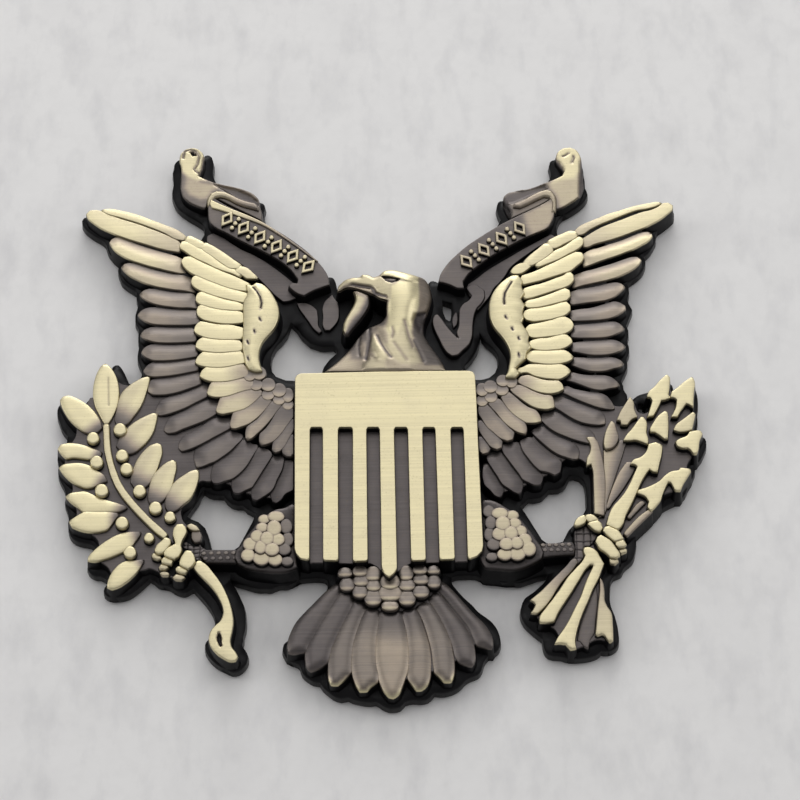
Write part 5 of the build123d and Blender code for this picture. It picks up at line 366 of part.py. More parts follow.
# feather scales on the thigh
LEFT_LEG_SCALES = [
    [(-11.5,-8.29),(-11.34,-8.29),(-11.22,-8.23),(-11.03,-8),(-11.12,-7.79),(-11.34,-7.65),(-11.62,-7.65),(-11.83,-7.86),(-11.81,-8.12),(-11.72,-8.21)],
    [(-10.48,-8.11),(-10.25,-8.12),(-9.92,-8.03),(-9.71,-7.76),(-9.77,-7.58),(-9.96,-7.41),(-10.26,-7.29),(-10.43,-7.28),(-10.76,-7.37),(-10.93,-7.56),(-10.97,-7.76),(-10.82,-7.97)],
    [(-11.74,-9.13),(-11.46,-9.13),(-11.19,-8.86),(-11.21,-8.72),(-11.46,-8.49),(-11.8,-8.49),(-12.06,-8.76),(-11.96,-8.99)],
    [(-10.66,-9.49),(-10.43,-9.5),(-10.22,-9.41),(-10.07,-9.26),(-9.99,-9.04),(-9.98,-8.81),(-10.07,-8.54),(-10.19,-8.36),(-10.38,-8.25),(-10.61,-8.24),(-10.78,-8.31),(-10.94,-8.45),(-11.05,-8.64),(-11.03,-9.08),(-10.88,-9.35)],
    [(-9.52,-9.31),(-9.26,-9.29),(-9.11,-9.14),(-9.02,-8.93),(-9.03,-8.46),(-9.29,-8.18),(-9.41,-8.12),(-9.56,-8.15),(-9.77,-8.36),(-9.85,-8.69),(-9.73,-9.1)],
    [(-12.22,-10.15),(-11.99,-10.16),(-11.78,-10.07),(-11.69,-9.98),(-11.61,-9.76),(-11.61,-9.6),(-11.69,-9.44),(-11.84,-9.29),(-12,-9.21),(-12.22,-9.21),(-12.38,-9.29),(-12.47,-9.38),(-12.55,-9.6),(-12.55,-9.76),(-12.49,-9.88)],
    [(-11.32,-10.45),(-10.94,-10.43),(-10.73,-10.22),(-10.65,-10),(-10.65,-9.84),(-10.73,-9.62),(-10.98,-9.39),(-11.3,-9.35),(-11.53,-9.54),(-11.63,-10.1),(-11.54,-10.25)],
    [(-10.24,-10.51),(-10.07,-10.52),(-9.9,-10.45),(-9.77,-10.34),(-9.69,-10.18),(-9.68,-9.95),(-9.75,-9.78),(-9.86,-9.65),(-10.02,-9.57),(-10.3,-9.57),(-10.57,-9.84),(-10.57,-10.24),(-10.43,-10.4)],
    [(-9.23,-10.61),(-8.99,-10.4),(-8.9,-10.01),(-9.08,-9.59),(-9.18,-9.51),(-9.35,-9.5),(-9.5,-9.59),(-9.61,-9.78),(-9.62,-10.25),(-9.47,-10.52)],
    [(-12.82,-10.99),(-12.5,-10.97),(-12.29,-10.76),(-12.2,-10.55),(-12.29,-10.22),(-12.44,-10.07),(-12.65,-9.98),(-12.88,-9.99),(-13.04,-10.07),(-13.15,-10.2),(-13.22,-10.37),(-13.21,-10.6),(-13.13,-10.76),(-12.98,-10.91)],
    [(-11.86,-11.29),(-11.54,-11.27),(-11.43,-11.14),(-11.36,-10.97),(-11.36,-10.67),(-11.43,-10.5),(-11.54,-10.37),(-11.75,-10.28),(-11.93,-10.34),(-12.11,-10.52),(-12.14,-10.61),(-12.13,-11.02)],
    [(-10.84,-11.53),(-10.61,-11.54),(-10.44,-11.47),(-10.22,-11.27),(-10.16,-11.15),(-10.17,-10.92),(-10.28,-10.73),(-10.67,-10.52),(-11,-10.61),(-11.15,-10.76),(-11.24,-10.97),(-11.23,-11.14),(-11.15,-11.3),(-11,-11.45)],
    [(-9.76,-11.47),(-9.42,-11.47),(-9.15,-11.2),(-9.15,-10.92),(-9.42,-10.65),(-9.76,-10.65),(-9.92,-10.73),(-10.03,-10.86),(-10.03,-11.2)],
    [(-13.06,-12.07),(-12.68,-12.05),(-12.5,-11.93),(-12.39,-11.74),(-12.38,-11.57),(-12.45,-11.4),(-12.72,-11.13),(-13.06,-11.13),(-13.22,-11.21),(-13.33,-11.34),(-13.39,-11.68),(-13.28,-11.87)],
    [(-11.62,-12.49),(-11.52,-12.49),(-11.28,-12.37),(-11.12,-12.23),(-11.01,-12.04),(-11.01,-11.82),(-11.09,-11.6),(-11.36,-11.39),(-11.92,-11.37),(-12.08,-11.45),(-12.23,-11.6),(-12.31,-11.92),(-12.23,-12.14),(-12.05,-12.32),(-11.86,-12.43)],
    [(-10.54,-12.55),(-10.37,-12.56),(-10.1,-12.47),(-9.89,-12.2),(-9.87,-12.06),(-9.95,-11.84),(-10.16,-11.69),(-10.66,-11.67),(-10.93,-11.94),(-10.91,-12.26),(-10.7,-12.47)],
    [(-9.52,-12.55),(-9.08,-12.53),(-8.91,-12.34),(-8.93,-12.2),(-9.08,-12.05),(-9.3,-11.97),(-9.52,-12.03),(-9.68,-12.17),(-9.73,-12.29),(-9.68,-12.41)],
]

# feather scales on the thigh
RIGHT_LEG_SCALES = [
    [(9.14,-8.05),(9.36,-8.05),(9.52,-7.97),(9.61,-7.88),(9.69,-7.66),(9.61,-7.34),(9.42,-7.17),(9.1,-7.19),(8.95,-7.34),(8.87,-7.56),(8.95,-7.88)],
    [(10.04,-8.23),(10.45,-8.24),(10.72,-8.15),(10.89,-7.96),(10.87,-7.64),(10.7,-7.51),(10.39,-7.4),(10.15,-7.4),(9.88,-7.49),(9.77,-7.62),(9.71,-7.96),(9.85,-8.12)],
    [(11.36,-8.41),(11.7,-8.35),(11.83,-8.24),(11.85,-7.92),(11.74,-7.79),(11.41,-7.7),(11.14,-7.79),(11.03,-7.92),(10.98,-8.08),(11.05,-8.24),(11.14,-8.33)],
    [(9.32,-9.31),(9.52,-9.29),(9.7,-9.11),(9.82,-8.81),(9.69,-8.4),(9.58,-8.27),(9.49,-8.24),(9.34,-8.27),(9.16,-8.45),(9.04,-8.69),(9.07,-9.02),(9.16,-9.17)],
    [(10.34,-9.43),(10.72,-9.41),(10.87,-9.32),(11.01,-9.16),(11.08,-8.93),(11.07,-8.64),(10.74,-8.31),(10.3,-8.33),(10.12,-8.45),(10.01,-8.64),(9.96,-8.82),(10.01,-9.1)],
    [(11.48,-9.25),(11.71,-9.26),(11.88,-9.19),(12.01,-9.08),(12.08,-8.92),(11.98,-8.69),(11.7,-8.49),(11.54,-8.49),(11.38,-8.57),(11.17,-8.84),(11.23,-9.08)],
    [(9.2,-10.51),(9.3,-10.51),(9.43,-10.4),(9.58,-9.95),(9.57,-9.72),(9.51,-9.6),(9.37,-9.44),(9.25,-9.39),(9.07,-9.5),(8.92,-9.89),(8.95,-10.22),(9.04,-10.37)],
    [(10.04,-10.45),(10.26,-10.45),(10.54,-10.31),(10.65,-10.18),(10.72,-9.95),(10.65,-9.72),(10.51,-9.56),(10.14,-9.4),(9.79,-9.56),(9.64,-9.83),(9.67,-10.16),(9.88,-10.37)],
    [(11.12,-10.39),(11.34,-10.39),(11.5,-10.31),(11.65,-10.16),(11.73,-9.94),(11.74,-9.77),(11.67,-9.6),(11.4,-9.33),(11.02,-9.35),(10.75,-9.68),(10.81,-10.16),(10.96,-10.31)],
    [(11.96,-10.03),(12.3,-10.03),(12.46,-9.89),(12.55,-9.74),(12.57,-9.6),(12.51,-9.48),(12.28,-9.29),(12.02,-9.27),(11.76,-9.54),(11.81,-9.88)],
    [(12.26,-11.05),(12.66,-11.05),(12.93,-10.78),(12.93,-10.38),(12.66,-10.11),(12.28,-10.13),(12.01,-10.46),(11.98,-10.61),(12.05,-10.84)],
    [(9.5,-11.41),(9.73,-11.42),(9.9,-11.35),(10.03,-11.24),(10.11,-11.08),(10.11,-10.92),(10.03,-10.76),(9.88,-10.61),(9.72,-10.53),(9.52,-10.55),(9.28,-10.67),(9.17,-10.8),(9.19,-11.18),(9.34,-11.33)],
    [(10.58,-11.41),(10.87,-11.42),(11.04,-11.35),(11.23,-11.18),(11.29,-11),(11.2,-10.67),(10.86,-10.47),(10.7,-10.47),(10.48,-10.55),(10.33,-10.7),(10.25,-10.86),(10.24,-11.03),(10.31,-11.2),(10.42,-11.33)],
    [(11.6,-11.35),(11.86,-11.33),(12.01,-11.24),(12.13,-11.09),(11.99,-10.9),(11.89,-10.52),(11.71,-10.4),(11.53,-10.46),(11.35,-10.64),(11.32,-10.73),(11.36,-11.12)],
    [(12.62,-12.07),(13,-12.05),(13.21,-11.84),(13.29,-11.68),(13.27,-11.24),(13.15,-11.06),(12.96,-10.96),(12.72,-11.11),(12.46,-11.15),(12.37,-11.24),(12.29,-11.46),(12.37,-11.84)],
    [(10.4,-12.43),(10.8,-12.43),(10.96,-12.35),(11.11,-12.2),(11.17,-12.02),(11.11,-11.84),(10.96,-11.69),(10.75,-11.6),(10.45,-11.6),(10.24,-11.69),(10.09,-11.84),(10.02,-12),(10.09,-12.26),(10.18,-12.35)],
    [(11.54,-12.49),(11.98,-12.47),(12.22,-12.29),(12.31,-12.14),(12.34,-11.99),(12.25,-11.72),(11.98,-11.51),(11.6,-11.49),(11.38,-11.57),(11.21,-11.76),(11.23,-12.26),(11.38,-12.41)],
    [(9.26,-12.49),(9.58,-12.47),(9.78,-12.26),(9.78,-12.2),(9.6,-12.03),(9.36,-11.98),(9.2,-12.03),(9.01,-12.23)],
]

os.makedirs("parts", exist_ok=True)

# pierced backing plate, with a square hole for the post's neck and two holes for the pins' feet
with BuildPart() as backing_plate:
    with BuildSketch(FRONT) as plate_face:
        with BuildLine():
            Polyline(*PLATE_OUTLINE, close=True)
        make_face()
        for opening in PLATE_OPENINGS:
            with BuildLine():
                Polyline(*opening, close=True)
            make_face(mode=Mode.SUBTRACT)
    extrude(amount=PLATE_T)
    with BuildSketch(FRONT) as post_hole:
        Rectangle(NECK_W + 2 * NECK_PLAY, NECK_W + 2 * NECK_PLAY)
    extrude(amount=PLATE_T, mode=Mode.SUBTRACT)
    with BuildSketch(FRONT) as pin_holes:
        with Locations((-PIN_X, PIN_Z), (PIN_X, PIN_Z)):
            Circle(PIN_FOOT_R + PIN_FOOT_PLAY)
    extrude(amount=PLATE_T, mode=Mode.SUBTRACT)
backing_plate.part.label = "backing_plate"
export_step(backing_plate.part, "parts/backing_plate.step")

# shield: a thick block with six slots sunk between its bars and a pocket behind for the post's head
with BuildPart() as shield:
    with BuildSketch(FRONT.offset(PLATE_T)) as shield_block:
        with BuildLine():
            Polyline(*SHIELD_OUTLINE, close=True)
        make_face()
    extrude(amount=SHIELD_FLOOR - PLATE_T)
    with BuildSketch(FRONT.offset(SHIELD_FLOOR)) as shield_bars:
        with BuildLine():
            Polyline(*SHIELD_OUTLINE, close=True)
        make_face()
        for slot in SHIELD_SLOTS:
            with BuildLine():
                Polyline(*slot, close=True)
            make_face(mode=Mode.SUBTRACT)
    extrude(amount=SHIELD_TOP - SHIELD_FLOOR)
    with BuildSketch(FRONT.offset(PLATE_T)) as head_pocket:
        Circle(POCKET_R)
    extrude(amount=POCKET_D, mode=Mode.SUBTRACT)
shield.part.label = "shield"
export_step(shield.part, "parts/shield.step")

# head, neck and tongue
with BuildPart() as head_and_neck:
    with BuildSketch(FRONT.offset(PLATE_T)) as head_and_neck_ground:
        with BuildLine():
            Polyline(*HEAD_AND_NECK_GROUND, close=True)
        make_face()
    extrude(amount=WEB_TOP - PLATE_T)
    for height in sorted({area[0] for area in HEAD_AND_NECK_RAISED}):
        with BuildSketch(FRONT.offset(WEB_TOP)) as head_and_neck_raised:
            for area in HEAD_AND_NECK_RAISED:
                if area[0] == height:
                    with BuildLine():
                        Polyline(*area[1], close=True)
                    make_face()
        extrude(amount=height - WEB_TOP)
head_and_neck.part.label = "head_and_neck"
export_step(head_and_neck.part, "parts/head_and_neck.step")

# left wing: flight feathers, coverts and shoulder
with BuildPart() as left_wing:
    with BuildSketch(FRONT.offset(PLATE_T)) as left_wing_ground:
        with BuildLine():
            Polyline(*LEFT_WING_GROUND, close=True)
        make_face()
    extrude(amount=WEB_TOP - PLATE_T)
    for height in sorted({area[0] for area in LEFT_WING_RAISED}):
        with BuildSketch(FRONT.offset(WEB_TOP)) as left_wing_raised:
            for area in LEFT_WING_RAISED:
                if area[0] == height:
                    with BuildLine():
                        Polyline(*area[1], close=True)
                    make_face()
        extrude(amount=height - WEB_TOP)
left_wing.part.label = "left_wing"
export_step(left_wing.part, "parts/left_wing.step")

# right wing: flight feathers, coverts and shoulder
with BuildPart() as right_wing:
    with BuildSketch(FRONT.offset(PLATE_T)) as right_wing_ground:
        with BuildLine():
            Polyline(*RIGHT_WING_GROUND, close=True)
        make_face()
    extrude(amount=WEB_TOP - PLATE_T)
    for height in sorted({area[0] for area in RIGHT_WING_RAISED}):
        with BuildSketch(FRONT.offset(WEB_TOP)) as right_wing_raised:
            for area in RIGHT_WING_RAISED:
                if area[0] == height:
                    with BuildLine():
                        Polyline(*area[1], close=True)
                    make_face()
        extrude(amount=height - WEB_TOP)
right_wing.part.label = "right_wing"
export_step(right_wing.part, "parts/right_wing.step")

# fanned tail with the rump scales
with BuildPart() as tail_fan:
    with BuildSketch(FRONT.offset(PLATE_T)) as tail_fan_ground:
        with BuildLine():
            Polyline(*TAIL_FAN_GROUND, close=True)
        make_face()
    extrude(amount=WEB_TOP - PLATE_T)
    for height in sorted({area[0] for area in TAIL_FAN_RAISED}):
        with BuildSketch(FRONT.offset(WEB_TOP)) as tail_fan_raised:
            for area in TAIL_FAN_RAISED:
                if area[0] == height:
                    with BuildLine():
                        Polyline(*area[1], close=True)
                    make_face()
        extrude(amount=height - WEB_TOP)
tail_fan.part.label = "tail_fan"
export_step(tail_fan.part, "parts/tail_fan.step")

# left leg and claw
with BuildPart() as left_leg:
    with BuildSketch(FRONT.offset(PLATE_T)) as left_leg_ground:
        with BuildLine():
            Polyline(*LEFT_LEG_GROUND, close=True)
        make_face()
    extrude(amount=WEB_TOP - PLATE_T)
    for height in sorted({area[0] for area in LEFT_LEG_RAISED}):
        with BuildSketch(FRONT.offset(WEB_TOP)) as left_leg_raised:
            for area in LEFT_LEG_RAISED:
                if area[0] == height:
                    with BuildLine():
                        Polyline(*area[1], close=True)
                    make_face()
        extrude(amount=height - WEB_TOP)
    with BuildSketch(FRONT.offset(WEB_TOP)) as left_leg_scales:
        for scale in LEFT_LEG_SCALES:
            with BuildLine():
                Polyline(*scale, close=True)
            make_face()
    extrude(amount=SCALE_TOP - WEB_TOP)
left_leg.part.label = "left_leg"
export_step(left_leg.part, "parts/left_leg.step")

# right leg and claw
with BuildPart() as right_leg:
    with BuildSketch(FRONT.offset(PLATE_T)) as right_leg_ground:
        with BuildLine():
            Polyline(*RIGHT_LEG_GROUND, close=True)
        make_face()
    extrude(amount=WEB_TOP - PLATE_T)
    for height in sorted({area[0] for area in RIGHT_LEG_RAISED}):
        with BuildSketch(FRONT.offset(WEB_TOP)) as right_leg_raised:
            for area in RIGHT_LEG_RAISED:
                if area[0] == height:
                    with BuildLine():
                        Polyline(*area[1], close=True)
                    make_face()
        extrude(amount=height - WEB_TOP)
    with BuildSketch(FRONT.offset(WEB_TOP)) as right_leg_scales:
        for scale in RIGHT_LEG_SCALES:
            with BuildLine():
                Polyline(*scale, close=True)
            make_face()
    extrude(amount=SCALE_TOP - WEB_TOP)
right_leg.part.label = "right_leg"
export_step(right_leg.part, "parts/right_leg.step")

# heads and shafts of the arrows above the claw
with BuildPart() as arrow_bundle:
    with BuildSketch(FRONT.offset(PLATE_T)) as arrow_bundle_ground:
        with BuildLine():
            Polyline(*ARROW_BUNDLE_GROUND, close=True)
        make_face()
        for hole in ARROW_BUNDLE_HOLES:
            with BuildLine():
                Polyline(*hole, close=True)
            make_face(mode=Mode.SUBTRACT)
    extrude(amount=WEB_TOP - PLATE_T)
    for height in sorted({area[0] for area in ARROW_BUNDLE_RAISED}):
        with BuildSketch(FRONT.offset(WEB_TOP)) as arrow_bundle_raised:
            for area in ARROW_BUNDLE_RAISED:
                if area[0] == height:
                    with BuildLine():
                        Polyline(*area[1], close=True)
                    make_face()
        extrude(amount=height - WEB_TOP)
arrow_bundle.part.label = "arrow_bundle"
export_step(arrow_bundle.part, "parts/arrow_bundle.step")

# arrow shafts and vanes below the claw
with BuildPart() as arrow_tails:
    with BuildSketch(FRONT.offset(PLATE_T)) as arrow_tails_ground:
        with BuildLine():
            Polyline(*ARROW_TAILS_GROUND, close=True)
        make_face()
    extrude(amount=WEB_TOP - PLATE_T)
    for height in sorted({area[0] for area in ARROW_TAILS_RAISED}):
        with BuildSketch(FRONT.offset(WEB_TOP)) as arrow_tails_raised:
            for area in ARROW_TAILS_RAISED:
                if area[0] == height:
                    with BuildLine():
                        Polyline(*area[1], close=True)
                    make_face()
        extrude(amount=height - WEB_TOP)
arrow_tails.part.label = "arrow_tails"
export_step(arrow_tails.part, "parts/arrow_tails.step")

# olive branch with leaves and berries
with BuildPart() as olive_branch:
    with BuildSketch(FRONT.offset(PLATE_T)) as olive_branch_ground:
        with BuildLine():
            Polyline(*OLIVE_BRANCH_GROUND, close=True)
        make_face()
        for hole in OLIVE_BRANCH_HOLES:
            with BuildLine():
                Polyline(*hole, close=True)
            make_face(mode=Mode.SUBTRACT)
    extrude(amount=WEB_TOP - PLATE_T)
    for height in sorted({area[0] for area in OLIVE_BRANCH_RAISED}):
        with BuildSketch(FRONT.offset(WEB_TOP)) as olive_branch_raised:
            for area in OLIVE_BRANCH_RAISED:
                if area[0] == height:
                    with BuildLine():
                        Polyline(*area[1], close=True)
                    make_face()
        extrude(amount=height - WEB_TOP)
olive_branch.part.label = "olive_branch"
export_step(olive_branch.part, "parts/olive_branch.step")

# cut end of the branch below the claw
with BuildPart() as branch_stem:
    with BuildSketch(FRONT.offset(PLATE_T)) as branch_stem_ground:
        with BuildLine():
            Polyline(*BRANCH_STEM_GROUND, close=True)
        make_face()
    extrude(amount=WEB_TOP - PLATE_T)
    for height in sorted({area[0] for area in BRANCH_STEM_RAISED}):
        with BuildSketch(FRONT.offset(WEB_TOP)) as branch_stem_raised:
            for area in BRANCH_STEM_RAISED:
                if area[0] == height:
                    with BuildLine():
                        Polyline(*area[1], close=True)
                    make_face()
        extrude(amount=height - WEB_TOP)
branch_stem.part.label = "branch_stem"
export_step(branch_stem.part, "parts/branch_stem.step")

# ribbon at the left of the head
with BuildPart() as left_ribbon:
    with BuildSketch(FRONT.offset(PLATE_T)) as left_ribbon_ground:
        with BuildLine():
            Polyline(*LEFT_RIBBON_GROUND, close=True)
        make_face()
        for hole in LEFT_RIBBON_HOLES:
            with BuildLine():
                Polyline(*hole, close=True)
            make_face(mode=Mode.SUBTRACT)
    extrude(amount=WEB_TOP - PLATE_T)
    for height in sorted({area[0] for area in LEFT_RIBBON_RAISED}):
        with BuildSketch(FRONT.offset(WEB_TOP)) as left_ribbon_raised:
            for area in LEFT_RIBBON_RAISED:
                if area[0] == height:
                    with BuildLine():
                        Polyline(*area[1], close=True)
                    make_face()
        extrude(amount=height - WEB_TOP)
left_ribbon.part.label = "left_ribbon"
export_step(left_ribbon.part, "parts/left_ribbon.step")

# ribbon at the right of the head
with BuildPart() as right_ribbon:
    with BuildSketch(FRONT.offset(PLATE_T)) as right_ribbon_ground:
        with BuildLine():
            Polyline(*RIGHT_RIBBON_GROUND, close=True)
        make_face()
    extrude(amount=WEB_TOP - PLATE_T)
    for height in sorted({area[0] for area in RIGHT_RIBBON_RAISED}):
        with BuildSketch(FRONT.offset(WEB_TOP)) as right_ribbon_raised:
            for area in RIGHT_RIBBON_RAISED:
                if area[0] == height:
                    with BuildLine():
                        Polyline(*area[1], close=True)
                    make_face()
        extrude(amount=height - WEB_TOP)
right_ribbon.part.label = "right_ribbon"
export_step(right_ribbon.part, "parts/right_ribbon.step")

# screw post: flat head under the shield, square neck in the plate, plain collar, then the thread
with BuildPart() as screw_post:
    with BuildSketch(FRONT.offset(PLATE_T)) as post_head:
        Circle(HEAD_R)
    extrude(amount=HEAD_T)
    with BuildSketch(FRONT) as post_neck:
        Rectangle(NECK_W, NECK_W)
    extrude(amount=PLATE_T)
    with BuildSketch(FRONT) as post_collar:
        Circle(COLLAR_R)
    extrude(amount=-COLLAR_L)
    with BuildSketch(FRONT.offset(-COLLAR_L)) as post_thread:
        Circle(THREAD_R)
    extrude(amount=-(POST_END - COLLAR_L))
    chamfer(screw_post.edges().filter_by(GeomType.CIRCLE).sort_by(Axis.Y)[-1], POST_CHAMFER)
screw_post.part.label = "screw_post"
export_step(screw_post.part, "parts/screw_post.step")

# two locating pins, each with a foot in the plate and a free shank behind it
with BuildPart() as locating_pins:
    with BuildSketch(FRONT) as pin_feet:
        with Locations((-PIN_X, PIN_Z), (PIN_X, PIN_Z)):
            Circle(PIN_FOOT_R)
    extrude(amount=PLATE_T)
    with BuildSketch(FRONT) as pin_shanks:
        with Locations((-PIN_X, PIN_Z), (PIN_X, PIN_Z)):
            Circle(PIN_R)
    extrude(amount=-PIN_L)
    chamfer(locating_pins.edges().filter_by(GeomType.CIRCLE).group_by(Axis.Y)[-1], 0.2)
locating_pins.part.label = "locating_pins"
export_step(locating_pins.part, "parts/locating_pins.step")

# flat washer between the cap and the nut
with BuildPart() as flat_washer:
    with BuildSketch(FRONT.offset(-WASHER_Y)) as washer_ring:
        Circle(WASHER_R)
        Circle(WASHER_BORE_R, mode=Mode.SUBTRACT)
    extrude(amount=-WASHER_T)
    chamfer(flat_washer.edges().filter_by(GeomType.CIRCLE).sort_by(SortBy.RADIUS)[-2:], 0.12)
flat_washer.part.label = "flat_washer"
export_step(flat_washer.part, "parts/flat_washer.step")

# knurled thumb nut with a plain shoulder that bears on the washer
with BuildPart() as thumb_nut:
    with BuildSketch(FRONT.offset(-(WASHER_Y + WASHER_T))) as nut_shoulder:
        Circle(NUT_NECK_R)
        Circle(NUT_BORE_R, mode=Mode.SUBTRACT)
    extrude(amount=-NUT_NECK_T)
    with BuildSketch(FRONT.offset(-(WASHER_Y + WASHER_T + NUT_NECK_T))) as nut_rim:
        Circle(NUT_R)
        Circle(NUT_BORE_R, mode=Mode.SUBTRACT)
        with PolarLocations(NUT_R, KNURL_COUNT):
            Circle(KNURL_R, mode=Mode.SUBTRACT)
    extrude(amount=-(NUT_T - NUT_NECK_T))
thumb_nut.part.label = "thumb_nut"
export_step(thumb_nut.part, "parts/thumb_nut.step")
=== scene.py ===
"""Looks of the cap badge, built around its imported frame. All lengths in the tables are millimetres: x to the wearer's view right, z up, heights forward of the back face."""

import math

import bmesh
import bpy
import numpy as np
from mathutils import Matrix, Vector
from mathutils.geometry import delaunay_2d_cdt


